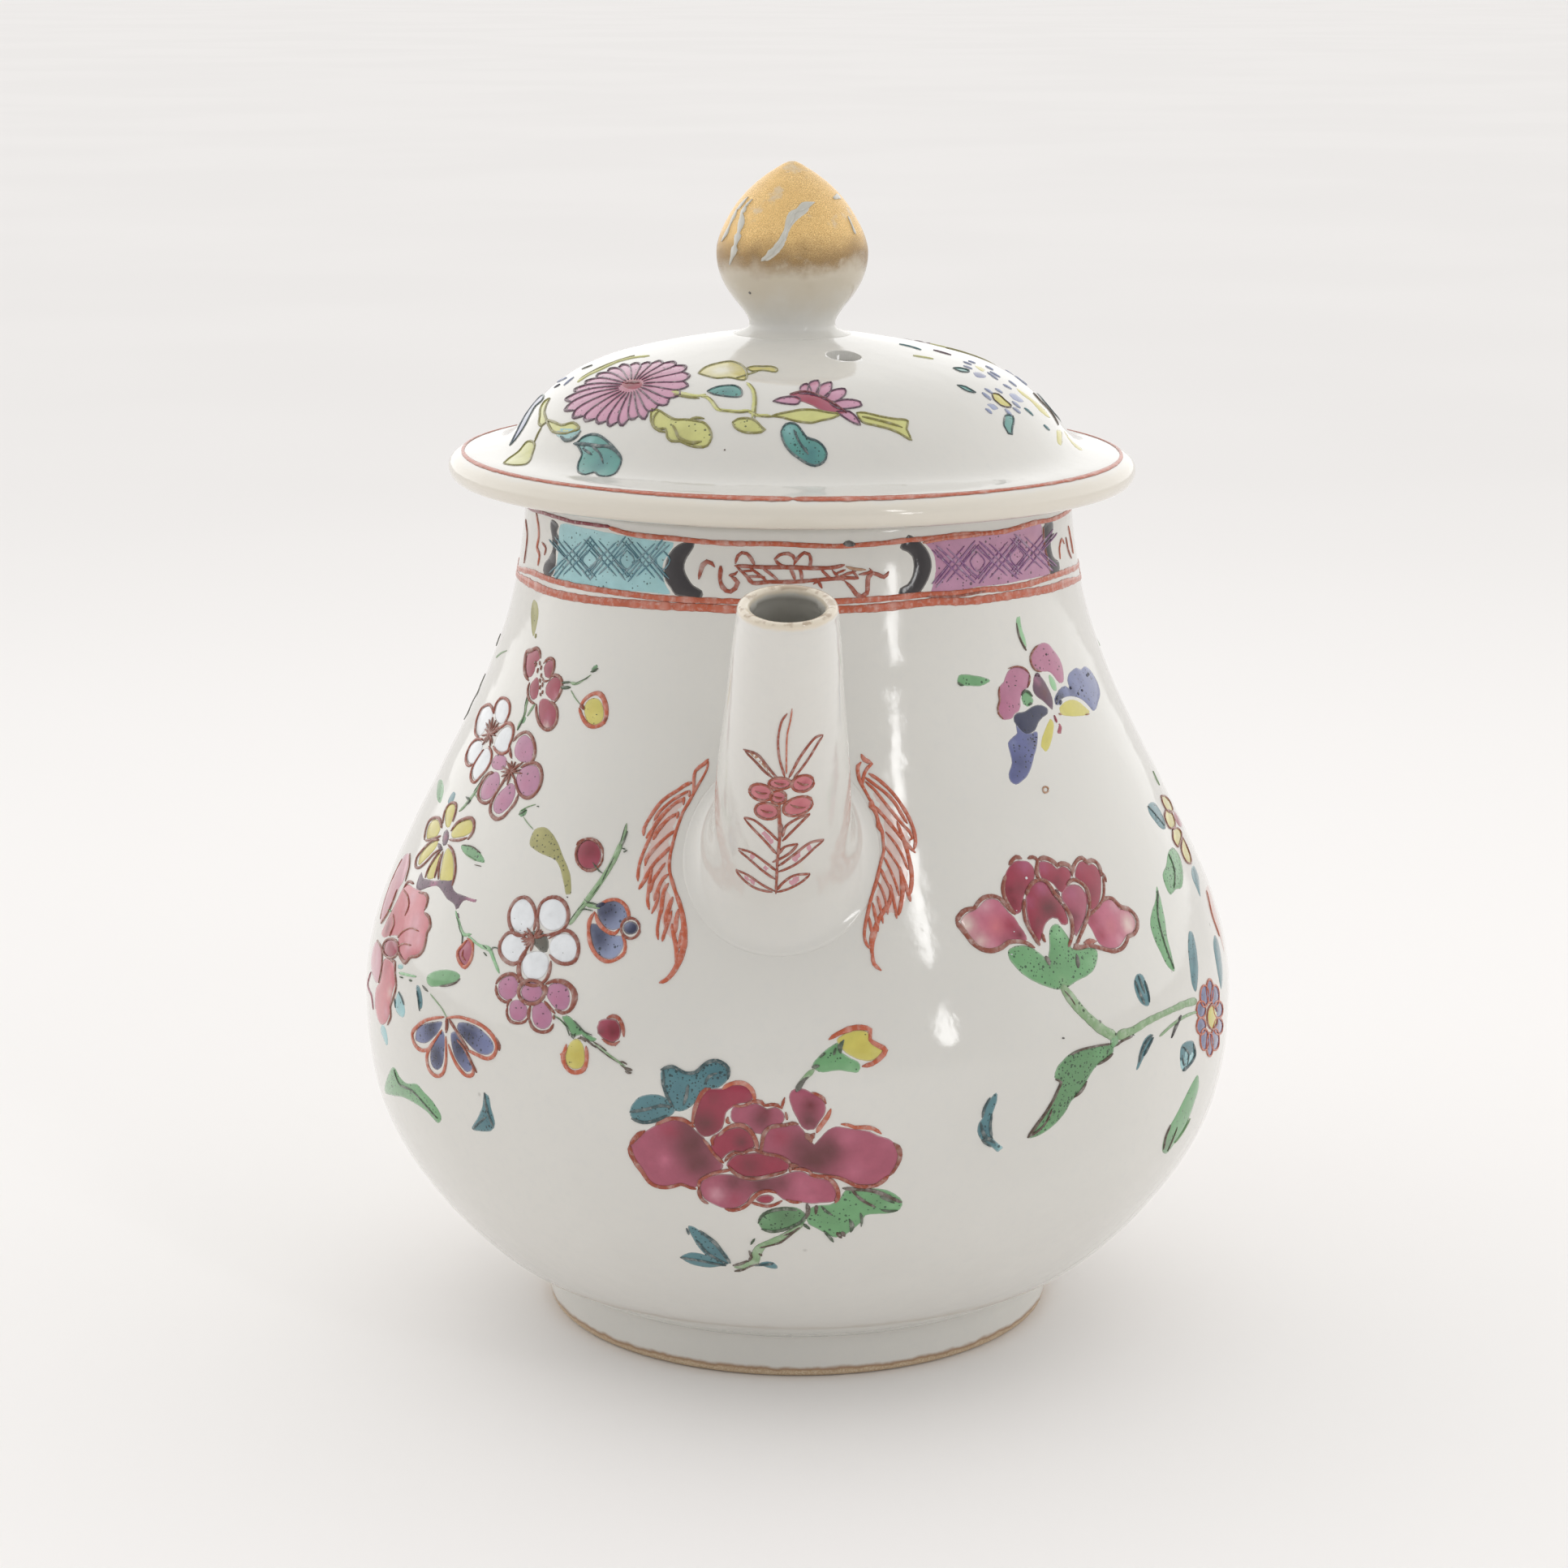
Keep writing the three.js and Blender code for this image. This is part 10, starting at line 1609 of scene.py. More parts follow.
        ("F", "seateal", [(-21.147, -17.803), (-20.581, -17.88), (-19.925, -18.192), (-18.928, -19.091), (-18.002, -20.366), (-17.161, -21.684), (-16.481, -23.06), (-16.762, -23.974), (-17.127, -24.621), (-17.819, -24.861), (-18.627, -24.289), (-19.147, -23.242), (-19.921, -23.455), (-20.683, -22.397), (-20.787, -20.362), (-20.5, -19.689)], [(-18.56, -22.33, 1.098, "tealdark", 0.5), (-20.134, -18.942, 0.791, "turquoise", 0.6)], 0.2, 0.09),
        ("S", "tealink", [(-21.147, -17.803, 0.171), (-20.581, -17.88, 0.171), (-19.925, -18.192, 0.171), (-18.928, -19.091, 0.171), (-18.002, -20.366, 0.17), (-17.161, -21.684, 0.17), (-16.481, -23.06, 0.169), (-16.762, -23.974, 0.169), (-17.127, -24.621, 0.168), (-17.819, -24.861, 0.168), (-18.627, -24.289, 0.169), (-19.147, -23.242, 0.169), (-19.921, -23.455, 0.169), (-20.683, -22.397, 0.169), (-20.787, -20.362, 0.17), (-20.5, -19.689, 0.171), (-21.147, -17.803, 0.171)], 0.075, 1),
        ("F", "tealpale", [(-23.339, -14.337), (-23.209, -13.71), (-22.088, -14.982), (-20.7, -17.01), (-21.014, -17.192), (-21.586, -17.005), (-20.986, -17.801), (-20.336, -17.959), (-20.635, -18.473), (-21.489, -17.365), (-22.704, -15.633)], [], 0.1, 0.09),
        ("S", "tealink", [(-22.805, -15.226, 0.24), (-22.264, -16.336, 0.239), (-21.586, -17.005, 0.239), (-21.014, -17.192, 0.238), (-20.7, -17.01, 0.199)], 0.11, 1),
        ("S", "tealink", [(-21.396, -17.632, 0.238), (-20.05, -19.018, 0.277), (-18.885, -20.173, 0.276), (-17.983, -20.879, 0.236), (-17.24, -21.699, 0.236), (-16.739, -22.459, 0.235), (-16.481, -23.06, 0.196)], 0.11, 1),
        ("S", "tealink", [(-19.463, -19.691, 0.197), (-18.608, -21.146, 0.197), (-18.239, -22.441, 0.196)], 0.11, 1),
        ("S", "tealink", [(-20.449, -19.054, 0.198), (-19.425, -20.59, 0.197)], 0.11, 1),
        ("S", "sky", [(-23.986, -0.276, 0.415), (-22.946, -2.291, 0.413)], 0.075, 1),
        ("S", "sky", [(-23.024, -5.24, 0.409), (-22.078, -4.424, 0.328)], 0.075, 1),
        ("S", "navy", [(-24.164, -2.832, 0.247), (-23.542, -3.475, 0.329)], 0.075, 1),
        ("S", "ash", [(-21.372, -2.197, 0.33), (-20.27, -2.658, 0.329)], 0.075, 1),
        ("S", "chart", [(-21.506, -7.376, 0.651), (-20.637, -6.747, 0.734), (-19.254, -6.526, 0.734), (-17.5, -5.498, 0.654), (-15.856, -5.62, 0.572), (-14.352, -6.492, 0.489)], 0.06, 1),
        ("S", "chartink", [(-21.37, -6.839, 0.204), (-19.29, -5.788, 0.245), (-15.891, -4.731, 0.205)], 0.09, 1),
        ("F", "petal", [(-15.876, -14.166), (-17.411, -8.559), (-18.142, -7.949), (-18.499, -8.785), (-15.959, -14.175)], [(-15.752, -14.536, 2.713, "rose", 0.85)], 0.1, 0.09),
        ("S", "plum", [(-16.107, -13.446, 0.144), (-17.411, -8.559, 0.178), (-18.22, -7.673, 0.195), (-18.499, -8.785, 0.178)], 0.1, 1),
        ("F", "petal", [(-15.959, -14.175), (-18.499, -8.785), (-19.309, -8.343), (-19.577, -9.227), (-16.042, -14.209)], [(-15.752, -14.536, 2.713, "rose", 0.85)], 0.1, 0.09),
        ("S", "plum", [(-16.347, -13.475, 0.144), (-18.499, -8.785, 0.178), (-19.425, -8.082, 0.195), (-19.577, -9.227, 0.178)], 0.1, 1),
        ("F", "petal", [(-16.042, -14.209), (-19.577, -9.227), (-20.471, -8.862), (-20.617, -9.682), (-16.122, -14.263)], [(-15.752, -14.536, 2.713, "rose", 0.85)], 0.1, 0.09),
        ("S", "plum", [(-16.584, -13.573, 0.144), (-19.577, -9.227, 0.178), (-20.623, -8.608, 0.195), (-20.617, -9.682, 0.178)], 0.1, 1),
        ("F", "petal", [(-16.122, -14.263), (-20.617, -9.682), (-21.559, -9.263), (-21.503, -10.287), (-16.188, -14.344)], [(-15.752, -14.536, 2.713, "rose", 0.85)], 0.1, 0.09),
        ("S", "plum", [(-16.811, -13.721, 0.144), (-20.617, -9.682, 0.178), (-21.747, -8.998, 0.195), (-21.503, -10.287, 0.178)], 0.1, 1),
        ("F", "petal", [(-16.188, -14.344), (-21.503, -10.287), (-22.385, -10.109), (-21.873, -11.622), (-16.217, -14.473)], [(-15.752, -14.536, 2.713, "rose", 0.85)], 0.1, 0.09),
        ("S", "plum", [(-17.002, -13.939, 0.144), (-21.503, -10.287, 0.178), (-22.6, -9.858, 0.194), (-21.873, -11.622, 0.177)], 0.1, 1),
        ("F", "petal", [(-16.217, -14.473), (-21.873, -11.622), (-22.358, -12.103), (-21.442, -13.629), (-16.186, -14.636)], [(-15.752, -14.536, 2.713, "rose", 0.85)], 0.1, 0.09),
        ("S", "plum", [(-17.085, -14.286, 0.144), (-21.873, -11.622, 0.177), (-22.57, -11.925, 0.193), (-21.442, -13.629, 0.176)], 0.1, 1),
        ("F", "petal", [(-16.186, -14.636), (-21.442, -13.629), (-21.449, -14.493), (-20.404, -15.564), (-16.107, -14.782)], [(-15.752, -14.536, 2.713, "rose", 0.85)], 0.1, 0.09),
        ("S", "plum", [(-16.994, -14.735, 0.144), (-21.442, -13.629, 0.176), (-21.63, -14.41, 0.192), (-20.404, -15.564, 0.175)], 0.1, 1),
        ("F", "petal", [(-16.107, -14.782), (-20.404, -15.564), (-20.107, -16.391), (-19.177, -17.121), (-16.013, -14.899)], [(-15.752, -14.536, 2.713, "rose", 0.85)], 0.1, 0.09),
        ("S", "plum", [(-16.769, -15.143, 0.143), (-20.404, -15.564, 0.175), (-20.245, -16.384, 0.191), (-19.177, -17.121, 0.175)], 0.1, 1),
        ("F", "petal", [(-16.013, -14.899), (-19.177, -17.121), (-18.797, -17.918), (-18.046, -18.375), (-15.925, -15.004)], [(-15.752, -14.536, 2.713, "rose", 0.85)], 0.1, 0.09),
        ("S", "plum", [(-16.5, -15.472, 0.143), (-19.177, -17.121, 0.175), (-18.894, -17.964, 0.19), (-18.046, -18.375, 0.174)], 0.1, 1),
        ("F", "petal", [(-15.925, -15.004), (-18.046, -18.375), (-17.666, -19.122), (-16.935, -19.332), (-15.838, -15.084)], [(-15.752, -14.536, 2.713, "rose", 0.85)], 0.1, 0.09),
        ("S", "plum", [(-16.249, -15.763, 0.143), (-18.046, -18.375, 0.174), (-17.727, -19.205, 0.19), (-16.935, -19.332, 0.174)], 0.1, 1),
        ("F", "petal", [(-15.838, -15.084), (-16.935, -19.332), (-16.401, -19.987), (-15.849, -19.745), (-15.753, -15.098)], [(-15.752, -14.536, 2.713, "rose", 0.85)], 0.1, 0.09),
        ("S", "plum", [(-16.001, -15.986, 0.143), (-16.935, -19.332, 0.174), (-16.423, -20.097, 0.189), (-15.849, -19.745, 0.173)], 0.1, 1),
        ("F", "petal", [(-15.753, -15.098), (-15.849, -19.745), (-15.323, -20.04), (-14.877, -20.046), (-15.677, -15.11)], [(-15.752, -14.536, 2.713, "rose", 0.85)], 0.1, 0.09),
        ("S", "plum", [(-15.76, -16.041, 0.143), (-15.849, -19.745, 0.173), (-15.312, -20.164, 0.189), (-14.877, -20.046, 0.173)], 0.1, 1),
        ("F", "petal", [(-15.677, -15.11), (-14.877, -20.046), (-14.306, -20.669), (-13.951, -20.081), (-15.605, -15.096)], [(-15.752, -14.536, 2.713, "rose", 0.85)], 0.1, 0.09),
        ("S", "plum", [(-15.542, -16.087, 0.143), (-14.877, -20.046, 0.173), (-14.264, -20.808, 0.189), (-13.951, -20.081, 0.173)], 0.1, 1),
        ("F", "petal", [(-15.605, -15.096), (-13.951, -20.081), (-13.328, -20.11), (-13.0, -19.781), (-15.531, -15.046)], [(-15.752, -14.536, 2.713, "rose", 0.85)], 0.1, 0.09),
        ("S", "plum", [(-15.336, -16.06, 0.143), (-13.951, -20.081, 0.173), (-13.255, -20.244, 0.189), (-13.0, -19.781, 0.173)], 0.1, 1),
        ("F", "petal", [(-15.531, -15.046), (-13.0, -19.781), (-12.257, -20.067), (-11.944, -19.415), (-15.449, -15.002)], [(-15.752, -14.536, 2.713, "rose", 0.85)], 0.1, 0.09),
        ("S", "plum", [(-15.125, -15.938, 0.143), (-13.0, -19.781, 0.173), (-12.152, -20.2, 0.189), (-11.944, -19.415, 0.173)], 0.1, 1),
        ("F", "petal", [(-15.449, -15.002), (-11.944, -19.415), (-11.053, -19.283), (-11.044, -18.488), (-15.379, -14.916)], [(-15.752, -14.536, 2.713, "rose", 0.85)], 0.1, 0.09),
        ("S", "plum", [(-14.89, -15.821, 0.143), (-11.944, -19.415, 0.173), (-10.911, -19.397, 0.189), (-11.044, -18.488, 0.174)], 0.1, 1),
        ("F", "petal", [(-15.379, -14.916), (-11.044, -18.488), (-10.316, -18.087), (-10.656, -16.935), (-15.35, -14.791)], [(-15.752, -14.536, 2.713, "rose", 0.85)], 0.1, 0.09),
        ("S", "plum", [(-14.691, -15.583, 0.143), (-11.044, -18.488, 0.174), (-10.151, -18.167, 0.19), (-10.656, -16.935, 0.174)], 0.1, 1),
        ("F", "petal", [(-15.35, -14.791), (-10.656, -16.935), (-10.216, -15.882), (-10.822, -14.615), (-15.365, -14.624)], [(-15.752, -14.536, 2.713, "rose", 0.85)], 0.1, 0.09),
        ("S", "plum", [(-14.607, -15.229, 0.143), (-10.656, -16.935, 0.174), (-10.046, -15.891, 0.191), (-10.822, -14.615, 0.175)], 0.1, 1),
        ("F", "petal", [(-15.365, -14.624), (-10.822, -14.615), (-10.674, -13.022), (-11.604, -12.348), (-15.427, -14.469)], [(-15.752, -14.536, 2.713, "rose", 0.85)], 0.1, 0.09),
        ("S", "plum", [(-14.648, -14.748, 0.144), (-10.822, -14.615, 0.175), (-10.518, -12.926, 0.192), (-11.604, -12.348, 0.176)], 0.1, 1),
        ("F", "petal", [(-15.427, -14.469), (-11.604, -12.348), (-11.898, -11.02), (-12.845, -10.822), (-15.524, -14.356)], [(-15.752, -14.536, 2.713, "rose", 0.85)], 0.1, 0.09),
        ("S", "plum", [(-14.824, -14.298, 0.144), (-11.604, -12.348, 0.176), (-11.779, -10.854, 0.193), (-12.845, -10.822, 0.177)], 0.1, 1),
        ("F", "petal", [(-15.524, -14.356), (-12.845, -10.822), (-13.348, -9.721), (-14.032, -10.069), (-15.616, -14.29)], [(-15.752, -14.536, 2.713, "rose", 0.85)], 0.1, 0.09),
        ("S", "plum", [(-15.1, -13.976, 0.144), (-12.845, -10.822, 0.177), (-13.274, -9.508, 0.194), (-14.032, -10.069, 0.178)], 0.1, 1),
        ("F", "petal", [(-15.616, -14.29), (-14.032, -10.069), (-14.457, -9.42), (-15.106, -9.562), (-15.699, -14.244)], [(-15.752, -14.536, 2.713, "rose", 0.85)], 0.1, 0.09),
        ("S", "plum", [(-15.363, -13.793, 0.144), (-14.032, -10.069, 0.178), (-14.419, -9.201, 0.194), (-15.106, -9.562, 0.178)], 0.1, 1),
        ("F", "petal", [(-15.699, -14.244), (-15.106, -9.562), (-15.667, -8.614), (-16.265, -8.859), (-15.788, -14.192)], [(-15.752, -14.536, 2.713, "rose", 0.85)], 0.1, 0.09),
        ("S", "plum", [(-15.601, -13.665, 0.144), (-15.106, -9.562, 0.178), (-15.667, -8.363, 0.195), (-16.265, -8.859, 0.178)], 0.1, 1),
        ("F", "petal", [(-15.788, -14.192), (-16.265, -8.859), (-16.96, -7.86), (-17.411, -8.559), (-15.876, -14.166)], [(-15.752, -14.536, 2.713, "rose", 0.85)], 0.1, 0.09),
        ("S", "plum", [(-15.855, -13.518, 0.144), (-16.265, -8.859, 0.178), (-17.001, -7.576, 0.195), (-17.411, -8.559, 0.178)], 0.1, 1),
        ("F", "crimson", [(-14.602, -15.39), (-14.697, -15.833), (-15.001, -16.007), (-15.453, -15.887), (-15.965, -15.497), (-16.437, -14.904), (-16.776, -14.214), (-16.914, -13.557), (-16.822, -13.067), (-16.518, -12.856), (-16.062, -12.976), (-15.545, -13.403), (-15.071, -14.042), (-14.735, -14.753)], [(-15.752, -14.536, 0.798, "deep", 0.8)], 0, 0.12),
        ("S", "deep", [(-16.505, -13.734, 0.32), (-15.018, -14.917, 0.319)], 0.13, 1),
        ("S", "chart", [(-11.725, -18.48, 0.395), (-10.356, -19.51, 0.394), (-9.159, -20.232, 0.314), (-8.372, -20.253, 0.236)], 0.075, 1),
        ("S", "chartink", [(-11.55, -19.1, 0.158), (-10.106, -20.112, 0.197), (-8.993, -20.653, 0.157)], 0.09, 1),
        ("F", "chart", [(-13.66, -19.916), (-12.932, -20.517), (-12.279, -21.327), (-11.312, -22.305), (-10.283, -22.728), (-9.098, -23.322), (-8.467, -23.686), (-7.909, -24.449), (-7.742, -25.161), (-8.124, -25.658), (-9.06, -25.493), (-10.082, -24.969), (-10.794, -24.458), (-11.583, -24.135), (-12.065, -23.603), (-12.24, -22.831), (-13.195, -22.361), (-13.697, -21.303)], [(-10.257, -24.019, 1.091, "olive", 0.35), (-12.902, -21.553, 0.627, "straw", 0.5)], 0.1, 0.09),
        ("S", "chartink", [(-13.66, -19.916, 0.17), (-12.932, -20.517, 0.17), (-12.279, -21.327, 0.169), (-11.312, -22.305, 0.169), (-10.283, -22.728, 0.169), (-9.098, -23.322, 0.168), (-8.467, -23.686, 0.168), (-7.909, -24.449, 0.168), (-7.742, -25.161, 0.168), (-8.124, -25.658, 0.168), (-9.06, -25.493, 0.168), (-10.082, -24.969, 0.168), (-10.794, -24.458, 0.168), (-11.583, -24.135, 0.168), (-12.065, -23.603, 0.169), (-12.24, -22.831, 0.169), (-13.195, -22.361, 0.169), (-13.697, -21.303, 0.169), (-13.66, -19.916, 0.17)], 0.075, 1),
        ("S", "chartink", [(-12.929, -20.617, 0.196), (-13.39, -21.032, 0.196), (-13.445, -21.849, 0.196), (-12.872, -22.67, 0.195), (-12.233, -23.12, 0.195)], 0.11, 1),
        ("S", "chartink", [(-11.615, -22.74, 0.195), (-11.29, -23.256, 0.234), (-10.959, -24.076, 0.234), (-10.244, -24.668, 0.233), (-9.457, -25.068, 0.233), (-8.676, -25.199, 0.194)], 0.11, 1),
        ("S", "chartink", [(-10.045, -22.903, 0.195), (-9.262, -22.933, 0.234), (-8.474, -23.277, 0.195)], 0.11, 1),
    ]),
    ('cover_trail', 'lid', [
        ("F", "straw", [(-9.257, -15.6), (-8.492, -14.08), (-7.227, -13.31), (-6.109, -13.167), (-5.218, -14.14), (-4.479, -16.352), (-4.695, -18.471), (-6.207, -17.593), (-7.316, -17.475), (-8.443, -16.527)], [(-6.871, -15.56, 1.59, "glaze", 0.7)], 0, 0.05),
        ("S", "chartink", [(-9.257, -15.6, 0.172), (-8.492, -14.08, 0.172), (-7.227, -13.31, 0.173), (-6.109, -13.167, 0.173), (-5.218, -14.14, 0.172), (-4.479, -16.352, 0.171), (-4.695, -18.471, 0.17), (-6.207, -17.593, 0.171), (-7.316, -17.475, 0.171), (-8.443, -16.527, 0.171), (-9.257, -15.6, 0.172)], 0.075, 1),
        ("F", "straw", [(-4.487, -15.465), (-3.774, -15.136), (-2.898, -15.263), (-2.102, -15.349), (-1.465, -16.07), (-1.622, -16.921), (-2.892, -16.378), (-3.923, -16.448)], [], 0, 0.05),
        ("S", "chartink", [(-4.487, -15.465, 0.149), (-3.774, -15.136, 0.149), (-2.898, -15.263, 0.149), (-2.102, -15.349, 0.149), (-1.465, -16.07, 0.149), (-1.622, -16.921, 0.148), (-2.892, -16.378, 0.148), (-3.923, -16.448, 0.148), (-4.487, -15.465, 0.149)], 0.075, 1),
        ("S", "chartink", [(-5.57, -17.931, 0.198), (-4.312, -17.215, 0.237), (-3.367, -16.532, 0.198)], 0.075, 1),
        ("F", "seateal", [(-8.303, -19.744), (-7.444, -19.288), (-6.579, -19.219), (-5.552, -19.463), (-4.911, -20.476), (-4.981, -21.374), (-5.686, -21.352), (-6.553, -21.03), (-7.581, -20.5)], [(-6.406, -20.289, 0.785, "tealdark", 0.5)], 0.3, 0.09),
        ("S", "tealink", [(-8.303, -19.744, 0.147), (-7.444, -19.288, 0.147), (-6.579, -19.219, 0.147), (-5.552, -19.463, 0.147), (-4.911, -20.476, 0.147), (-4.981, -21.374, 0.147), (-5.686, -21.352, 0.147), (-6.553, -21.03, 0.147), (-7.581, -20.5, 0.147), (-8.303, -19.744, 0.147)], 0.075, 1),
        ("S", "chart", [(-4.454, -19.031, 0.236), (-3.891, -20.506, 0.314), (-3.723, -21.933, 0.352), (-3.792, -23.264, 0.351), (-3.864, -24.139, 0.311)], 0.08, 1),
        ("S", "chartink", [(-4.215, -19.237, 0.157), (-3.654, -20.68, 0.157), (-3.488, -22.078, 0.156), (-3.558, -23.389, 0.156), (-3.63, -24.253, 0.156)], 0.09, 1),
        ("S", "chart", [(-9.079, -20.261, 0.236), (-8.365, -20.629, 0.314), (-7.8, -21.493, 0.313), (-7.235, -22.565, 0.312), (-6.213, -23.007, 0.312), (-5.274, -23.296, 0.312), (-4.259, -23.381, 0.312), (-3.476, -23.934, 0.311), (-2.075, -24.158, 0.311)], 0.08, 1),
        ("S", "chartink", [(-8.839, -20.469, 0.157), (-8.126, -20.826, 0.157), (-7.562, -21.67, 0.157), (-6.998, -22.722, 0.156), (-5.977, -23.151, 0.156), (-5.038, -23.431, 0.156), (-4.024, -23.507, 0.156), (-3.242, -24.048, 0.156), (-1.841, -24.259, 0.156)], 0.09, 1),
        ("F", "chart", [(-5.808, -24.292), (-5.266, -24.077), (-4.253, -24.166), (-3.551, -24.508), (-3.003, -25.107), (-2.614, -25.43), (-3.001, -25.597), (-3.855, -25.562), (-4.71, -25.369), (-5.491, -24.882)], [(-4.014, -24.984, 0.621, "olive", 0.5)], 0.2, 0.09),
        ("S", "chartink", [(-5.808, -24.292, 0.168), (-5.266, -24.077, 0.168), (-4.253, -24.166, 0.168), (-3.551, -24.508, 0.168), (-3.003, -25.107, 0.168), (-2.614, -25.43, 0.168), (-3.001, -25.597, 0.167), (-3.855, -25.562, 0.168), (-4.71, -25.369, 0.168), (-5.491, -24.882, 0.168), (-5.808, -24.292, 0.168)], 0.075, 1),
        ("F", "chart", [(-2.075, -24.158), (-1.219, -23.949), (-0.051, -23.708), (0.728, -23.515), (2.131, -23.442), (3.376, -23.594), (4.545, -23.605), (3.838, -24.142), (2.745, -24.517), (1.888, -24.825), (0.723, -24.799), (-0.053, -24.649), (-0.908, -24.388)], [], 0, 0.09),
        ("S", "chartink", [(-2.075, -24.158, 0.168), (-1.219, -23.949, 0.168), (-0.051, -23.708, 0.168), (0.728, -23.515, 0.168), (2.131, -23.442, 0.168), (3.376, -23.594, 0.168), (4.545, -23.605, 0.168), (3.838, -24.142, 0.168), (2.745, -24.517, 0.168), (1.888, -24.825, 0.168), (0.723, -24.799, 0.168), (-0.053, -24.649, 0.168), (-0.908, -24.388, 0.168), (-2.075, -24.158, 0.168)], 0.075, 1),
        ("F", "petal", [(-1.923, -22.456), (-1.221, -22.046), (-0.048, -21.836), (0.733, -22.179), (0.496, -22.836), (-0.674, -22.832)], [(2.218, -22.099, 1.72, "rose", 0.6)], 0.1, 0.1),
        ("S", "plum", [(-1.923, -22.456, 0.133), (-1.221, -22.046, 0.133), (-0.048, -21.836, 0.133), (0.733, -22.179, 0.133), (0.496, -22.836, 0.133), (-0.674, -22.832, 0.133), (-1.923, -22.456, 0.133)], 0.1, 1),
        ("F", "petal", [(0.657, -21.455), (0.82, -20.042), (1.373, -19.543), (1.755, -21.276)], [(2.218, -22.099, 1.72, "rose", 0.6)], 0.1, 0.1),
        ("S", "plum", [(0.657, -21.455, 0.133), (0.82, -20.042, 0.134), (1.373, -19.543, 0.134), (1.755, -21.276, 0.133), (0.657, -21.455, 0.133)], 0.1, 1),
        ("F", "petal", [(1.362, -21.428), (1.768, -19.186), (2.48, -18.782), (2.301, -21.491)], [(2.218, -22.099, 1.72, "rose", 0.6)], 0.1, 0.1),
        ("S", "plum", [(1.362, -21.428, 0.133), (1.768, -19.186, 0.134), (2.48, -18.782, 0.134), (2.301, -21.491, 0.133), (1.362, -21.428, 0.133)], 0.1, 1),
        ("F", "petal", [(2.144, -21.629), (2.708, -19.76), (3.739, -18.977), (3.318, -21.632)], [(2.218, -22.099, 1.72, "rose", 0.6)], 0.1, 0.1),
        ("S", "plum", [(2.144, -21.629, 0.133), (2.708, -19.76, 0.134), (3.739, -18.977, 0.134), (3.318, -21.632, 0.133), (2.144, -21.629, 0.133)], 0.1, 1),
        ("F", "petal", [(2.845, -21.924), (3.879, -20.508), (5.064, -20.017), (5.13, -20.839), (4.015, -22.227)], [(2.218, -22.099, 1.72, "rose", 0.6)], 0.1, 0.1),
        ("S", "plum", [(2.845, -21.924, 0.133), (3.879, -20.508, 0.133), (5.064, -20.017, 0.134), (5.13, -20.839, 0.133), (4.015, -22.227, 0.133), (2.845, -21.924, 0.133)], 0.1, 1),
        ("F", "petal", [(3.543, -22.507), (5.274, -21.673), (6.526, -21.731), (6.676, -22.118), (5.492, -22.785), (4.318, -22.997)], [(2.218, -22.099, 1.72, "rose", 0.6)], 0.1, 0.1),
        ("S", "plum", [(3.543, -22.507, 0.133), (5.274, -21.673, 0.133), (6.526, -21.731, 0.133), (6.676, -22.118, 0.133), (5.492, -22.785, 0.133), (4.318, -22.997, 0.133), (3.543, -22.507, 0.133)], 0.1, 1),
        ("F", "petal", [(4.158, -23.396), (5.487, -23.163), (6.18, -23.722), (6.483, -24.3), (5.86, -24.282), (4.931, -23.887)], [(2.218, -22.099, 1.72, "rose", 0.6)], 0.1, 0.1),
        ("S", "plum", [(4.158, -23.396, 0.132), (5.487, -23.163, 0.133), (6.18, -23.722, 0.132), (6.483, -24.3, 0.132), (5.86, -24.282, 0.132), (4.931, -23.887, 0.132), (4.158, -23.396, 0.132)], 0.1, 1),
        ("F", "rose", [(-0.36, -21.46), (0.345, -21.2), (1.207, -21.175), (2.067, -21.383), (2.769, -21.694), (3.468, -22.193), (4.167, -22.625), (4.785, -23.109), (5.249, -23.391), (4.622, -23.681), (3.688, -23.554), (2.832, -23.472), (1.978, -22.972), (1.2, -22.605), (0.186, -22.189)], [(1.827, -22.128, 1.251, "crimson", 0.8)], 0, 0.12),
        ("S", "deep", [(-0.282, -21.461, 0.188), (1.208, -21.04, 0.219), (2.769, -21.694, 0.219), (4.167, -22.625, 0.219), (5.171, -23.406, 0.187)], 0.13, 1),
        ("F", "chart", [(6.112, -23.122), (6.896, -22.934), (8.304, -22.898), (9.638, -22.714), (11.136, -22.381), (10.956, -23.249), (11.407, -23.956), (10.236, -23.89), (9.298, -23.871), (8.047, -23.968), (6.644, -23.946)], [(9.234, -23.276, 1.092, "straw", 0.5)], 0, 0.09),
        ("S", "chartink", [(6.112, -23.122, 0.168), (6.896, -22.934, 0.169), (8.304, -22.898, 0.169), (9.638, -22.714, 0.169), (11.136, -22.381, 0.169), (10.956, -23.249, 0.169), (11.407, -23.956, 0.168), (10.236, -23.89, 0.168), (9.298, -23.871, 0.168), (8.047, -23.968, 0.168), (6.644, -23.946, 0.168), (6.112, -23.122, 0.168)], 0.075, 1),
        ("S", "chartink", [(6.653, -23.44, 0.156), (8.45, -23.368, 0.195), (10.564, -23.257, 0.156)], 0.11, 1),
        ("F", "seateal", [(-1.14, -25.663), (-0.675, -25.033), (0.179, -24.964), (0.721, -25.399), (1.339, -26.107), (2.112, -26.246), (2.807, -26.541), (3.267, -27.106), (2.953, -27.689), (2.102, -28.046), (1.331, -27.915), (0.483, -27.55), (-0.212, -27.173), (-0.753, -26.665), (-0.985, -26.245)], [(1.797, -27.392, 0.927, "tealdark", 0.6), (-0.365, -25.683, 0.62, "turquoise", 0.6)], 0.45, 0.09),
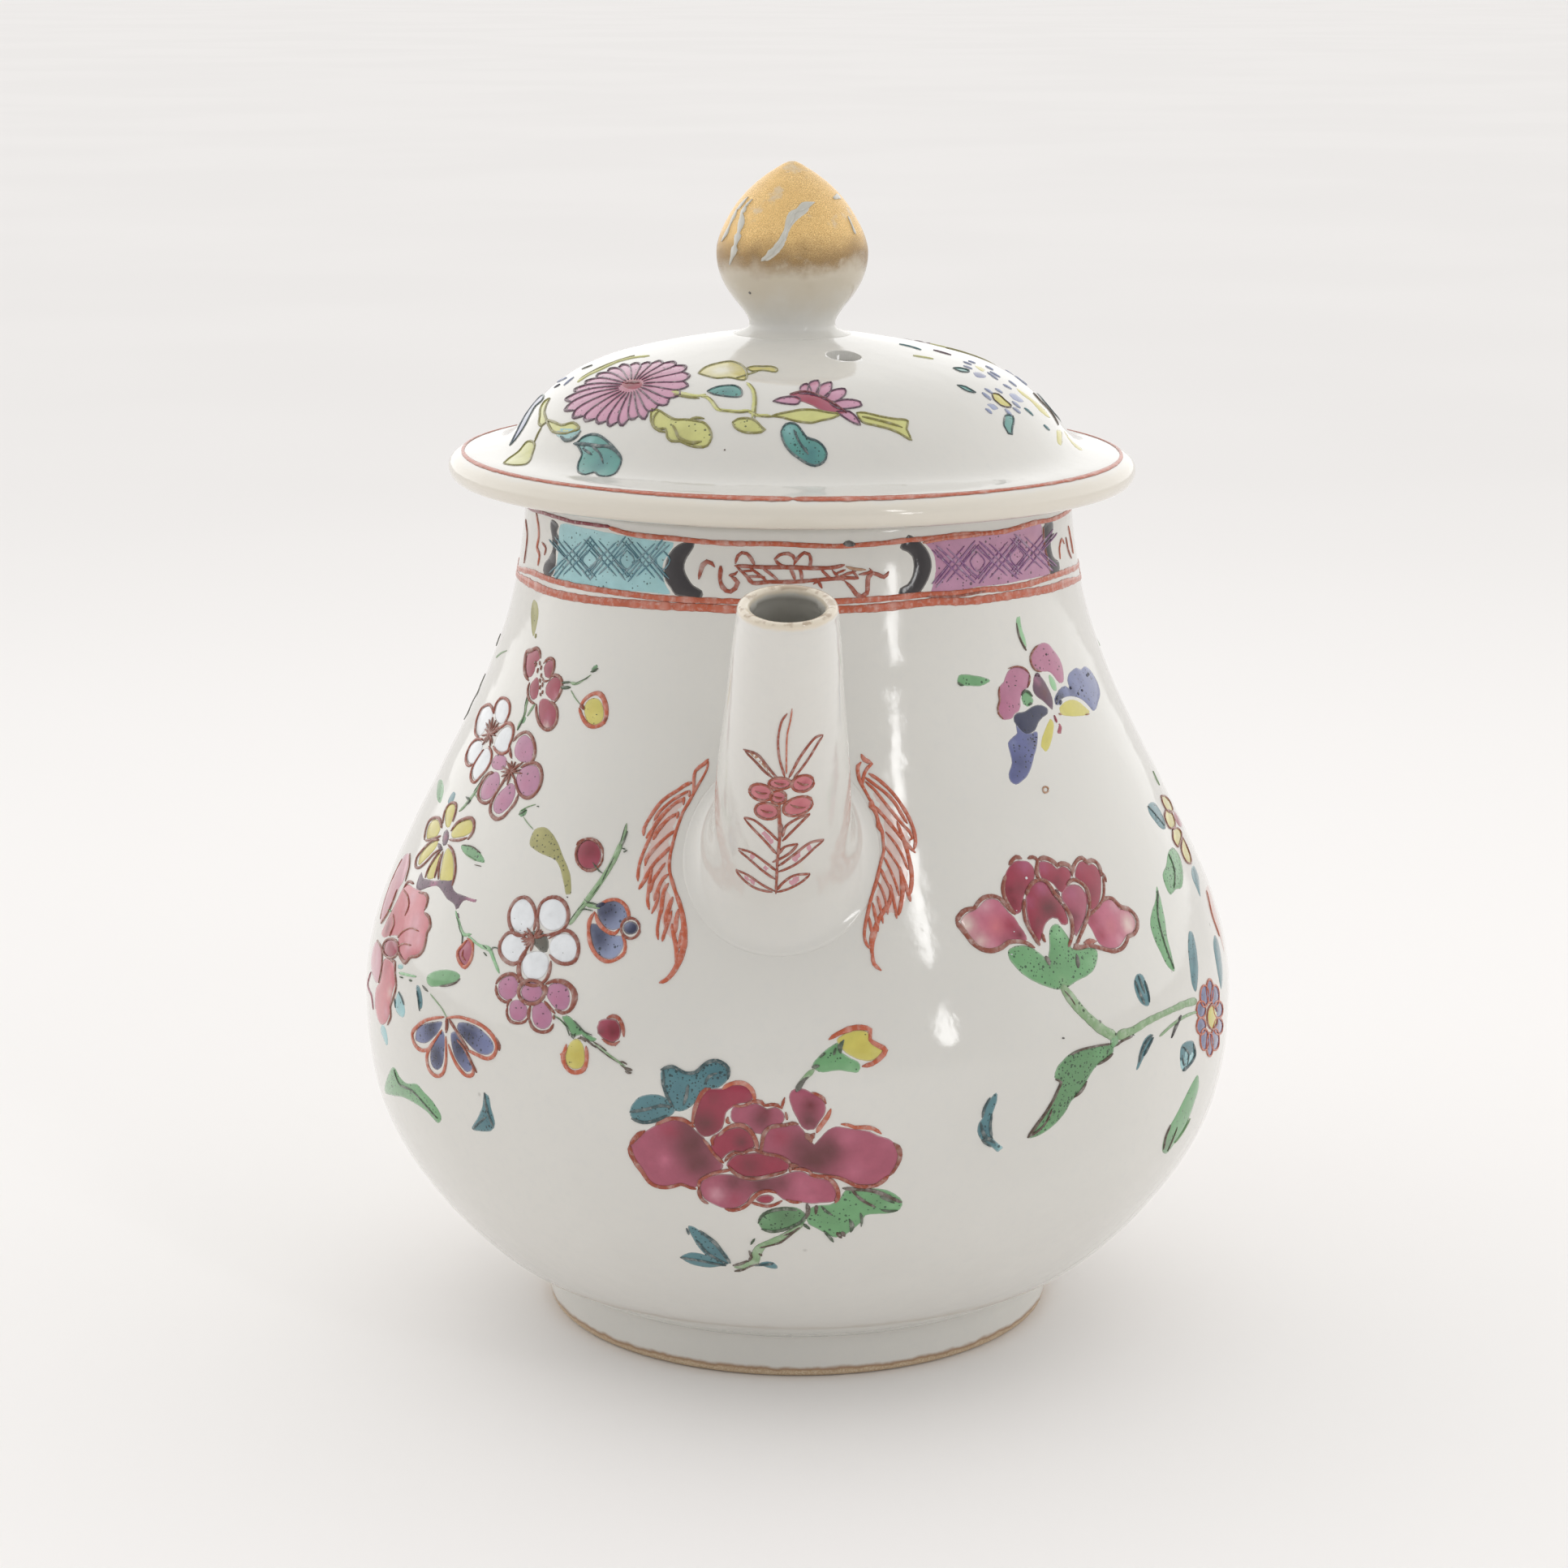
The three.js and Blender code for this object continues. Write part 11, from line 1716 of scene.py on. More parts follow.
        ("S", "tealink", [(-1.14, -25.663, 0.167), (-0.675, -25.033, 0.168), (0.179, -24.964, 0.168), (0.721, -25.399, 0.168), (1.339, -26.107, 0.167), (2.112, -26.246, 0.167), (2.807, -26.541, 0.167), (3.267, -27.106, 0.167), (2.953, -27.689, 0.167), (2.102, -28.046, 0.167), (1.331, -27.915, 0.167), (0.483, -27.55, 0.167), (-0.212, -27.173, 0.167), (-0.753, -26.665, 0.167), (-0.985, -26.245, 0.167), (-1.14, -25.663, 0.167)], 0.075, 1),
        ("S", "tealink", [(0.1, -25.548, 0.233), (0.64, -26.493, 0.232), (1.488, -27.3, 0.232)], 0.12, 1),
        ("S", "sepia", [(-6.547, -26.343, 0.263), (-6.422, -26.382, 0.263)], 0.06, 1),
    ]),
    ('cover_daisies', 'lid', [
        ("S", "sky", [(17.271, -4.584, 0.442), (18.069, -5.066, 0.589)], 0.075, 1),
        ("S", "sky", [(17.83, -3.237, 0.444), (18.566, -3.367, 0.592)], 0.075, 1),
        ("S", "sky", [(17.172, -6.682, 0.44), (18.059, -6.917, 0.586)], 0.075, 1),
        ("S", "sky", [(19.684, -2.546, 0.593), (20.292, -3.52, 0.592)], 0.075, 1),
        ("S", "sky", [(19.964, -4.98, 0.589), (20.917, -5.615, 0.736)], 0.075, 1),
        ("S", "sky", [(19.67, -5.856, 0.441), (20.586, -7.121, 0.586)], 0.075, 1),
        ("S", "sky", [(19.036, -11.766, 0.434), (19.839, -11.892, 0.724)], 0.075, 1),
        ("S", "sky", [(20.164, -10.359, 0.436), (20.899, -10.307, 0.727)], 0.075, 1),
        ("S", "sky", [(21.846, -10.87, 0.581), (22.67, -10.744, 0.727)], 0.075, 1),
        ("S", "sky", [(21.858, -12.098, 0.434), (22.613, -11.723, 0.58)], 0.075, 1),
        ("S", "sky", [(18.733, -12.99, 0.577), (19.598, -13.45, 0.865)], 0.075, 1),
        ("S", "sky", [(18.926, -15.627, 0.43), (19.571, -15.585, 0.717)], 0.075, 1),
        ("S", "sky", [(20.975, -13.391, 0.577), (21.691, -13.644, 0.721)], 0.075, 1),
        ("S", "sky", [(21.121, -7.801, 0.439), (21.958, -7.524, 0.586)], 0.075, 1),
        ("S", "sky", [(21.863, -4.932, 0.442), (22.576, -5.45, 0.589)], 0.075, 1),
        ("F", "yellow", [(18.426, -4.5), (19.011, -4.341), (19.463, -5.133), (19.063, -6.488), (18.608, -5.783)], [], 0, 0.09),
        ("F", "slate", [(18.08, -8.156), (18.868, -7.101), (19.418, -7.522), (19.107, -8.789), (18.339, -9.498)], [(18.73, -8.193, 0.487, "navy", 0.5)], 0, 0.09),
        ("F", "seateal", [(16.009, -8.966), (16.777, -8.157), (17.678, -8.047), (17.475, -8.88), (16.634, -9.507)], [], 0, 0.09),
        ("S", "tealink", [(16.009, -8.966, 0.128), (16.777, -8.157, 0.129), (17.678, -8.047, 0.129), (17.475, -8.88, 0.128), (16.634, -9.507, 0.128), (16.009, -8.966, 0.128)], 0.075, 1),
        ("F", "seateal", [(16.2, -13.808), (17.103, -13.385), (17.657, -13.572), (18.054, -13.687), (17.305, -14.234), (16.668, -14.13)], [], 0, 0.09),
        ("S", "tealink", [(16.2, -13.808, 0.127), (17.103, -13.385, 0.127), (17.657, -13.572, 0.127), (18.054, -13.687, 0.127), (17.305, -14.234, 0.127), (16.668, -14.13, 0.127), (16.2, -13.808, 0.127)], 0.075, 1),
        ("F", "yellow", [(19.753, -11.998), (20.438, -11.306), (21.07, -11.64), (21.709, -11.862), (21.34, -12.652), (20.496, -13.279), (19.941, -13.058)], [], 0, 0.09),
        ("S", "sepia", [(19.753, -11.998, 0.116), (20.438, -11.306, 0.116), (21.07, -11.64, 0.116), (21.709, -11.862, 0.116), (21.34, -12.652, 0.116), (20.496, -13.279, 0.115), (19.941, -13.058, 0.115), (19.753, -11.998, 0.116)], 0.075, 1),
        ("F", "sky", [(21.589, -9.651), (22.329, -8.194), (22.905, -8.171), (23.222, -8.376), (22.565, -9.738), (21.889, -10.111)], [(22.353, -9.167, 0.486, "blue", 0.7)], 0, 0.09),
        ("F", "sky", [(19.043, -14.876), (19.901, -13.827), (20.379, -13.966), (19.597, -15.077)], [], 0, 0.09),
        ("F", "seateal", [(20.918, -14.469), (21.358, -13.821), (21.779, -13.531), (21.825, -14.167), (21.594, -15.478), (21.563, -16.072), (21.14, -16.454), (20.757, -16.035), (20.79, -15.395)], [], 0.3, 0.09),
        ("S", "tealink", [(20.918, -14.469, 0.127), (21.358, -13.821, 0.127), (21.779, -13.531, 0.127), (21.825, -14.167, 0.127), (21.594, -15.478, 0.126), (21.563, -16.072, 0.126), (21.14, -16.454, 0.126), (20.757, -16.035, 0.126), (20.79, -15.395, 0.126), (20.918, -14.469, 0.127)], 0.075, 1),
        ("S", "teal", [(23.113, -10.179, 0.324), (23.62, -9.932, 0.486), (24.03, -9.951, 0.324)], 0.075, 1),
        ("S", "teal", [(25.127, -9.559, 0.324), (25.745, -8.973, 0.325)], 0.075, 1),
        ("F", "yellow", [(22.536, -6.1), (23.229, -5.581), (23.816, -5.464), (24.657, -5.303), (25.51, -5.003), (26.056, -5.578), (25.658, -6.525), (24.782, -7.204), (23.981, -6.782), (23.139, -7.044)], [(24.176, -6.319, 0.817, "gold", 0.4)], 0, 0.09),
        ("F", "yellow", [(26.642, -6.781), (27.265, -5.084), (27.238, -6.631), (26.859, -9.653), (26.514, -9.856), (26.529, -8.422)], [], 0, 0.09),
        ("F", "straw", [(27.641, -3.403), (28.174, -4.151), (28.922, -4.225), (29.482, -5.549), (28.998, -6.449), (28.233, -5.591), (27.711, -4.731)], [], 0, 0.09),
        ("S", "sepia", [(24.529, -2.208, 0.165), (25.299, -3.2, 0.206), (26.073, -2.926, 0.206), (26.552, -3.292, 0.206), (26.971, -4.505, 0.165)], 0.1, 1),
        ("S", "teal", [(10.849, -2.66, 0.329), (11.994, -2.922, 0.411), (13.037, -3.674, 0.328)], 0.075, 1),
        ("S", "plum", [(14.341, -1.89, 0.247), (16.135, -2.43, 0.329)], 0.075, 1),
        ("S", "chart", [(12.086, -7.462, 0.244), (14.135, -7.082, 0.325)], 0.075, 1),
    ]),
    ('side_spray', 'pot', [
        ("F", "teal", [(68.659, 56.524), (72.39, 56.373), (73.532, 55.543), (73.664, 54.73), (72.191, 53.773), (69.893, 54.129), (68.706, 55.088), (68.019, 55.967)], [(70.561, 55.202, 0.528, "tealdark", 0.5)], 0.3, 0.09),
        ("S", "tealink", [(68.659, 56.524, 0.158), (69.94, 55.556, 0.185), (71.864, 54.087, 0.159)], 0.11, 1),
        ("S", "sage", [(81.264, 58.273, 0.161), (80.729, 57.539, 0.215), (80.874, 56.84, 0.161)], 0.075, 1),
        ("F", "straw", [(77.967, 56.202), (81.842, 55.468), (83.37, 54.679), (82.664, 54.109), (77.372, 54.684), (76.818, 55.573)], [(83.37, 54.679, 0.405, "gold", 0.4)], 0, 0.1),
        ("S", "brown", [(77.967, 56.202, 0.201), (81.842, 55.468, 0.202), (83.37, 54.679, 0.203), (82.664, 54.109, 0.202), (77.372, 54.684, 0.201), (76.818, 55.573, 0.2), (77.967, 56.202, 0.201)], 0.09, 1),
        ("F", "straw", [(76.52, 54.951), (79.718, 54.176), (79.242, 53.443), (77.052, 53.128), (73.765, 53.657), (74.019, 54.543)], [(79.242, 53.443, 0.403, "gold", 0.4)], 0, 0.1),
        ("S", "brown", [(76.52, 54.951, 0.2), (79.718, 54.176, 0.201), (79.242, 53.443, 0.201), (77.052, 53.128, 0.201), (73.765, 53.657, 0.199), (74.019, 54.543, 0.199), (76.52, 54.951, 0.2)], 0.09, 1),
        ("F", "straw", [(75.16, 53.169), (78.802, 52.706), (79.825, 52.129), (76.427, 51.759), (73.348, 51.741), (72.924, 52.472)], [(79.825, 52.129, 0.403, "gold", 0.4)], 0, 0.1),
        ("S", "brown", [(75.16, 53.169, 0.2), (78.802, 52.706, 0.201), (79.825, 52.129, 0.202), (76.427, 51.759, 0.2), (73.348, 51.741, 0.199), (72.924, 52.472, 0.199), (75.16, 53.169, 0.2)], 0.09, 1),
        ("F", "straw", [(78.904, 51.879), (79.099, 51.034), (78.548, 49.913), (76.674, 49.436), (74.385, 50.105), (74.468, 51.023)], [(78.548, 49.913, 0.403, "gold", 0.4)], 0, 0.1),
        ("S", "brown", [(78.904, 51.879, 0.201), (79.099, 51.034, 0.201), (78.548, 49.913, 0.201), (76.674, 49.436, 0.201), (74.385, 50.105, 0.2), (74.468, 51.023, 0.2), (78.904, 51.879, 0.201)], 0.09, 1),
        ("F", "crimson", [(82.663, 53.835), (85.08, 53.023), (85.136, 52.184), (81.419, 52.404), (80.209, 53.081)], [], 0, 0.12),
        ("F", "green", [(68.634, 51.986), (71.539, 51.907), (72.581, 51.076), (71.958, 50.126), (70.08, 49.133), (67.615, 48.515), (65.612, 48.727), (62.867, 48.673), (62.617, 49.607), (63.127, 50.546), (65.418, 51.078)], [(67.186, 50.145, 0.789, "leaf", 0.5)], 0.8, 0.09),
        ("S", "greenink", [(68.185, 51.798, 0.158), (67.59, 50.337, 0.184), (64.932, 48.97, 0.157)], 0.12, 1),
        ("F", "teal", [(75.368, 48.999), (78.461, 48.846), (78.354, 47.918), (76.308, 47.218), (74.03, 46.437), (73.926, 47.391), (73.934, 48.322)], [], 0.4, 0.09),
        ("F", "pale", [(78.929, 46.043), (83.591, 45.683), (82.57, 44.499), (81.177, 42.708), (80.201, 41.114), (79.168, 39.535), (78.074, 41.702), (77.346, 43.765)], [(81.008, 43.985, 0.811, "pink", 0.6)], 0, 0.1),
        ("S", "rust", [(79.325, 46.103, 0.188), (77.185, 43.934, 0.241), (77.789, 41.625, 0.242)], 0.075, 1),
        ("F", "green", [(60.165, 49.997), (59.916, 49.025), (59.369, 47.977), (58.765, 46.813), (57.906, 45.437), (57.659, 43.442), (57.342, 42.092), (55.986, 42.719), (55.066, 44.273), (54.535, 45.746), (54.731, 47.09), (56.054, 48.004), (58.289, 48.905)], [(56.92, 46.739, 0.775, "leaf", 0.4)], 0.35, 0.09),
        ("S", "greenink", [(59.771, 49.553, 0.156), (57.135, 47.458, 0.207), (56.552, 44.78, 0.207), (57.183, 42.377, 0.155)], 0.12, 1),
        ("F", "teal", [(64.751, 44.737), (65.704, 44.43), (65.586, 43.274), (64.868, 41.97), (63.851, 40.59), (62.005, 39.108), (61.184, 40.065), (61.885, 42.151), (62.821, 43.534)], [(63.283, 42.145, 0.654, "tealdark", 0.4)], 0.3, 0.09),
        ("F", "teal", [(74.944, 42.351), (76.072, 41.574), (75.849, 39.979), (75.07, 38.223), (72.813, 37.071), (71.918, 38.912), (71.994, 40.661), (72.606, 41.749)], [], 0.3, 0.09),
        ("S", "sage", [(51.337, 36.724, 0.282), (54.569, 37.285, 0.335), (58.514, 37.426, 0.337), (61.735, 37.163, 0.261)], 0.05, 1),
        ("F", "slate", [(73.645, 32.982), (73.122, 32.573), (71.459, 32.636), (69.585, 33.074), (68.196, 33.72), (67.662, 34.367), (68.077, 34.797), (69.295, 34.844), (70.995, 34.456), (72.699, 33.735)], [(70.233, 33.778, 0.581, "navy", 0.7)], 0.2, 0.1),
        ("S", "rust", [(73.645, 32.982, 0.217), (73.122, 32.573, 0.217), (71.459, 32.636, 0.216), (69.585, 33.074, 0.216), (68.196, 33.72, 0.215), (67.662, 34.367, 0.215), (68.077, 34.797, 0.215), (69.295, 34.844, 0.215), (70.995, 34.456, 0.216), (72.699, 33.735, 0.217), (73.645, 32.982, 0.217)], 0.09, 1),
        ("F", "slate", [(71.381, 32.074), (71.125, 31.448), (69.931, 31.308), (68.413, 31.665), (67.183, 32.372), (66.617, 33.182), (66.86, 33.804), (67.818, 34.004), (69.197, 33.688), (70.578, 32.947)], [(68.768, 32.686, 0.58, "navy", 0.7)], 0.2, 0.1),
        ("S", "rust", [(71.381, 32.074, 0.216), (71.125, 31.448, 0.216), (69.931, 31.308, 0.216), (68.413, 31.665, 0.215), (67.183, 32.372, 0.215), (66.617, 33.182, 0.214), (66.86, 33.804, 0.214), (67.818, 34.004, 0.215), (69.197, 33.688, 0.215), (70.578, 32.947, 0.216), (71.381, 32.074, 0.216)], 0.09, 1),
        ("F", "slate", [(67.956, 32.327), (67.856, 31.61), (67.146, 31.319), (66.14, 31.553), (65.252, 32.213), (64.803, 33.052), (64.938, 33.754), (65.593, 34.06), (66.523, 33.849), (67.423, 33.189)], [(66.295, 32.711, 0.577, "navy", 0.7)], 0.2, 0.1),
        ("S", "rust", [(67.956, 32.327, 0.215), (67.856, 31.61, 0.215), (67.146, 31.319, 0.215), (66.14, 31.553, 0.214), (65.252, 32.213, 0.214), (64.803, 33.052, 0.214), (64.938, 33.754, 0.214), (65.593, 34.06, 0.214), (66.523, 33.849, 0.214), (67.423, 33.189, 0.215), (67.956, 32.327, 0.215)], 0.09, 1),
        ("F", "slate", [(65.73, 33.384), (65.522, 32.754), (64.709, 32.521), (63.642, 32.763), (62.75, 33.38), (62.365, 34.138), (62.617, 34.751), (63.388, 34.995), (64.386, 34.775), (65.275, 34.162)], [(63.962, 33.783, 0.574, "navy", 0.7)], 0.2, 0.1),
        ("S", "rust", [(65.73, 33.384, 0.214), (65.522, 32.754, 0.214), (64.709, 32.521, 0.214), (63.642, 32.763, 0.213), (62.75, 33.38, 0.213), (62.365, 34.138, 0.212), (62.617, 34.751, 0.212), (63.388, 34.995, 0.213), (64.386, 34.775, 0.213), (65.275, 34.162, 0.214), (65.73, 33.384, 0.214)], 0.09, 1),
        ("F", "slate", [(64.48, 35.079), (64.127, 34.637), (63.235, 34.514), (62.17, 34.747), (61.361, 35.242), (61.104, 35.81), (61.474, 36.243), (62.322, 36.379), (63.344, 36.161), (64.169, 35.664)], [(62.713, 35.465, 0.572, "navy", 0.7)], 0.2, 0.1),
        ("S", "rust", [(64.48, 35.079, 0.213), (64.127, 34.637, 0.213), (63.235, 34.514, 0.213), (62.17, 34.747, 0.212), (61.361, 35.242, 0.212), (61.104, 35.81, 0.212), (61.474, 36.243, 0.212), (62.322, 36.379, 0.212), (63.344, 36.161, 0.213), (64.169, 35.664, 0.213), (64.48, 35.079, 0.213)], 0.09, 1),
        ("F", "slate", [(64.747, 36.749), (64.284, 36.335), (63.354, 36.218), (62.334, 36.436), (61.616, 36.903), (61.456, 37.444), (61.9, 37.86), (62.788, 37.989), (63.8, 37.778), (64.556, 37.302)], [(63.032, 37.114, 0.572, "navy", 0.7)], 0.2, 0.1),
        ("S", "rust", [(64.747, 36.749, 0.213), (64.284, 36.335, 0.213), (63.354, 36.218, 0.213), (62.334, 36.436, 0.212), (61.616, 36.903, 0.212), (61.456, 37.444, 0.212), (61.9, 37.86, 0.212), (62.788, 37.989, 0.212), (63.8, 37.778, 0.213), (64.556, 37.302, 0.213), (64.747, 36.749, 0.213)], 0.09, 1),
        ("F", "slate", [(66.25, 37.818), (65.689, 37.276), (64.748, 37.069), (63.792, 37.272), (63.182, 37.807), (63.145, 38.47), (63.698, 39.01), (64.634, 39.221), (65.594, 39.023), (66.212, 38.486)], [(64.632, 38.16, 0.573, "navy", 0.7)], 0.2, 0.1),
        ("S", "rust", [(66.25, 37.818, 0.214), (65.689, 37.276, 0.213), (64.748, 37.069, 0.213), (63.792, 37.272, 0.213), (63.182, 37.807, 0.212), (63.145, 38.47, 0.212), (63.698, 39.01, 0.212), (64.634, 39.221, 0.213), (65.594, 39.023, 0.213), (66.212, 38.486, 0.214), (66.25, 37.818, 0.214)], 0.09, 1),
        ("F", "slate", [(68.321, 37.906), (67.732, 37.311), (66.846, 37.057), (65.99, 37.242), (65.486, 37.794), (65.534, 38.499), (66.129, 39.089), (67.044, 39.339), (67.909, 39.157), (68.392, 38.611)], [(66.868, 38.217, 0.576, "navy", 0.7)], 0.2, 0.1),
        ("S", "rust", [(68.321, 37.906, 0.214), (67.732, 37.311, 0.214), (66.846, 37.057, 0.214), (65.99, 37.242, 0.214), (65.486, 37.794, 0.213), (65.534, 38.499, 0.213), (66.129, 39.089, 0.213), (67.044, 39.339, 0.214), (67.909, 39.157, 0.214), (68.392, 38.611, 0.214), (68.321, 37.906, 0.214)], 0.09, 1),
        ("F", "slate", [(71.119, 36.756), (70.438, 36.236), (69.218, 36.093), (67.962, 36.371), (67.148, 36.961), (67.047, 37.647), (67.677, 38.175), (68.821, 38.34), (70.077, 38.069), (70.972, 37.46)], [(68.935, 37.238, 0.578, "navy", 0.7)], 0.2, 0.1),
        ("S", "rust", [(71.119, 36.756, 0.216), (70.438, 36.236, 0.216), (69.218, 36.093, 0.215), (67.962, 36.371, 0.214), (67.148, 36.961, 0.214), (67.047, 37.647, 0.214), (67.677, 38.175, 0.214), (68.821, 38.34, 0.215), (70.077, 38.069, 0.215), (70.972, 37.46, 0.216), (71.119, 36.756, 0.216)], 0.09, 1),
        ("F", "slate", [(73.188, 34.866), (72.551, 34.485), (70.989, 34.518), (69.294, 34.905), (68.113, 35.494), (67.776, 36.088), (68.329, 36.485), (69.586, 36.528), (71.179, 36.173), (72.587, 35.53)], [(70.157, 35.557, 0.58, "navy", 0.7)], 0.2, 0.1),
        ("S", "rust", [(73.188, 34.866, 0.217), (72.551, 34.485, 0.217), (70.989, 34.518, 0.216), (69.294, 34.905, 0.215), (68.113, 35.494, 0.215), (67.776, 36.088, 0.214), (68.329, 36.485, 0.215), (69.586, 36.528, 0.215), (71.179, 36.173, 0.216), (72.587, 35.53, 0.217), (73.188, 34.866, 0.217)], 0.09, 1),
        ("F", "yellow", [(69.672, 34.875), (69.418, 34.371), (68.691, 34.087), (67.656, 34.073), (66.555, 34.323), (65.623, 34.78), (65.04, 35.355), (64.902, 35.938), (65.213, 36.421), (65.901, 36.714), (66.837, 36.756), (67.856, 36.533), (68.778, 36.082), (69.43, 35.49)], [], 0, 0.13),
        ("S", "iron", [(69.672, 34.875, 0.182), (69.418, 34.371, 0.182), (68.691, 34.087, 0.182), (67.656, 34.073, 0.182), (66.555, 34.323, 0.181), (65.623, 34.78, 0.181), (65.04, 35.355, 0.181), (64.902, 35.938, 0.18), (65.213, 36.421, 0.181), (65.901, 36.714, 0.181), (66.837, 36.756, 0.181), (67.856, 36.533, 0.181), (68.778, 36.082, 0.182), (69.43, 35.49, 0.182)], 0.12, 1),
        ("F", "teal", [(56.546, 34.599), (58.139, 34.854), (60.38, 34.29), (60.77, 33.181), (59.381, 32.289), (57.754, 31.962), (56.454, 33.094)], [], 0.35, 0.09),
        ("S", "tealink", [(57.224, 34.457, 0.202), (58.737, 33.284, 0.244), (58.4, 32.333, 0.203)], 0.11, 1),
    ]),
    ('brim_line', 'lid', [
    ]),
]


# ------------------------------------------------------------------ the painting
def paint(r, g, b):
    """A painted colour, as it looks beside the glaze."""
    return np.array(srgb(r, g, b)) * 0.94


PALETTE = {
    "glaze": np.array(srgb(218, 216, 210)),
    "white": paint(232, 235, 238),
    "crimson": paint(156, 46, 70), "deep": paint(108, 16, 32), "umber": paint(98, 42, 46), "rose": paint(168, 82, 104), "pink": paint(190, 102, 126),
    "blush": paint(208, 152, 164), "pale": paint(220, 196, 188), "coral": paint(204, 116, 124),
    "iron": paint(158, 72, 48), "rust": paint(192, 94, 62), "brown": paint(142, 74, 56), "sepia": paint(84, 66, 52), "ash": paint(92, 92, 82), "black": paint(44, 38, 40),
    "mauve": paint(182, 116, 144), "lilac": paint(184, 126, 156), "plum": paint(92, 56, 80), "orchid": paint(178, 96, 132),
    "teal": paint(82, 129, 137), "tealdark": paint(58, 104, 116), "turquoise": paint(162, 206, 210), "tealink": paint(56, 82, 86), "hatch": paint(92, 136, 150), "petal": paint(206, 150, 176), "tealpale": paint(150, 192, 192),
    "green": paint(112, 166, 114), "leaf": paint(99, 145, 99), "mint": paint(150, 198, 150), "greenink": paint(62, 82, 56), "sage": paint(140, 172, 128),
    "olive": paint(162, 158, 98), "chart": paint(208, 208, 132), "seateal": paint(92, 156, 148), "chartink": paint(140, 134, 70), "yellow": paint(208, 198, 98), "straw": paint(214, 204, 130), "gold": paint(196, 178, 84),
    "navy": paint(35, 40, 74), "blue": paint(92, 98, 148), "slate": paint(114, 122, 164), "sky": paint(150, 160, 192), "purple": paint(140, 92, 140), "panel": paint(186, 136, 164),
    "wineline": paint(134, 44, 54), "sand": paint(176, 130, 96), "bare": paint(206, 204, 194),
}


def mat_enamel():
    """Glassy overglaze enamel: pitted and dotted with dark grains where the paint holds them."""
    n = Nodes("overglaze_enamel")
    p = n.place()
    at = n.t.nodes.new("ShaderNodeAttribute")
    at.attribute_name = "tint"
    c = at.outputs["Color"]
    mott = n.noise(p, 1.6, 3.0, 0.6)
    c = n.mix(n.math("MULTIPLY", n.ramp(mott, 0.42, 0.75), 0.16), c, n.mix(1.0, c, (0.66, 0.66, 0.66, 1), "MULTIPLY"))
    share = n.math("MULTIPLY", at.outputs["Alpha"], 1.2)
    d1 = n.spots(p, 2.1, 0.36, share)
    d2 = n.spots(p, 3.4, 0.38, share)
    dots = n.math("MAXIMUM", d1, d2)
    c = n.mix(n.math("MULTIPLY", dots, 0.8), c, n.mix(1.0, c, (0.10, 0.13, 0.12, 1), "MULTIPLY"))
    n.set(Base_Color=c)
    n.set(Roughness=n.math("MULTIPLY_ADD", n.ramp(mott, 0.4, 0.8), 0.06, 0.11))
    n.bsdf.inputs["IOR"].default_value = 1.52
    n.bsdf.inputs["Coat Weight"].default_value = 0.2
    n.bsdf.inputs["Coat Roughness"].default_value = 0.06
    n.bump(n.math("SUBTRACT", n.noise(p, 0.9, 2.0), n.math("MULTIPLY", dots, 0.8)), 0.05, 0.5)
    return n.mat


def mat_ink():
    """Drawn lines: thin iron and manganese paint, half matt, broken where the brush ran dry."""
    n = Nodes("drawn_line")
    p = n.place()
    at = n.t.nodes.new("ShaderNodeAttribute")
    at.attribute_name = "tint"
    g = n.noise(p, 2.4, 3.0, 0.6)
    c = n.mix(n.math("MULTIPLY", n.ramp(g, 0.45, 0.8), 0.35), at.outputs["Color"], (*PALETTE["glaze"], 1))
    c = n.mix(n.math("MULTIPLY", n.ramp(n.noise(p, 0.9, 2.0), 0.4, 0.7), 0.25), c, n.mix(1.0, c, (0.6, 0.58, 0.56, 1), "MULTIPLY"))
    n.set(Base_Color=c)
    n.bsdf.inputs["Roughness"].default_value = 0.24
    n.bsdf.inputs["IOR"].default_value = 1.5
    n.bump(g, 0.03, 0.5)
    return n.mat


ENAMEL = mat_enamel()
INK = mat_ink()

_za = np.linspace(POT_Z[0], POT_Z[-1], 1200)
_arc = np.concatenate([[0], np.cumsum(np.hypot(np.diff(_za), np.diff(_pot(_za))))])


class Ground:
    """Flat millimetre coordinates on one of the surfaces, for drawing."""

    def __init__(self, kind, points):
        self.kind = kind
        pts = np.asarray(points, float)
        if kind == "pot":
            self.k = float(_pot(np.clip(pts[:, 1].mean(), POT_Z[0], POT_Z[-1])))
        elif kind == "spout":
            self.k = 6.0
        elif kind == "knob":
            self.k = 7.0

    def flat(self, p):
        p = np.array(p, float)
        if self.kind == "lid":
            return p
        q = p.copy()
        q[:, 0] = np.radians(p[:, 0]) * self.k
        if self.kind == "pot":
            q[:, 1] = np.interp(p[:, 1], _za, _arc)
        return q

    def lift(self, q, up):
        x, y = q[:, 0], q[:, 1]
        if self.kind == "pot":
            return pot_point(x / self.k, np.interp(y, _arc, _za), up)
        if self.kind == "lid":
            return lid_point(np.arctan2(x, -y), np.hypot(x, y), up)
        if self.kind == "spout":
            return spout_line(x / self.k, y, up)
        return knob_point(x / self.k, y, up)


def inside(poly, pts):
    x, y = pts[:, 0][:, None], pts[:, 1][:, None]
    a, b = poly, np.roll(poly, -1, 0)
    hit = ((a[:, 1] > y) != (b[:, 1] > y)) & (x < (b[:, 0] - a[:, 0]) * (y - a[:, 1]) / np.where(b[:, 1] == a[:, 1], 1e-9, b[:, 1] - a[:, 1]) + a[:, 0])
    return hit.sum(1) % 2 == 1


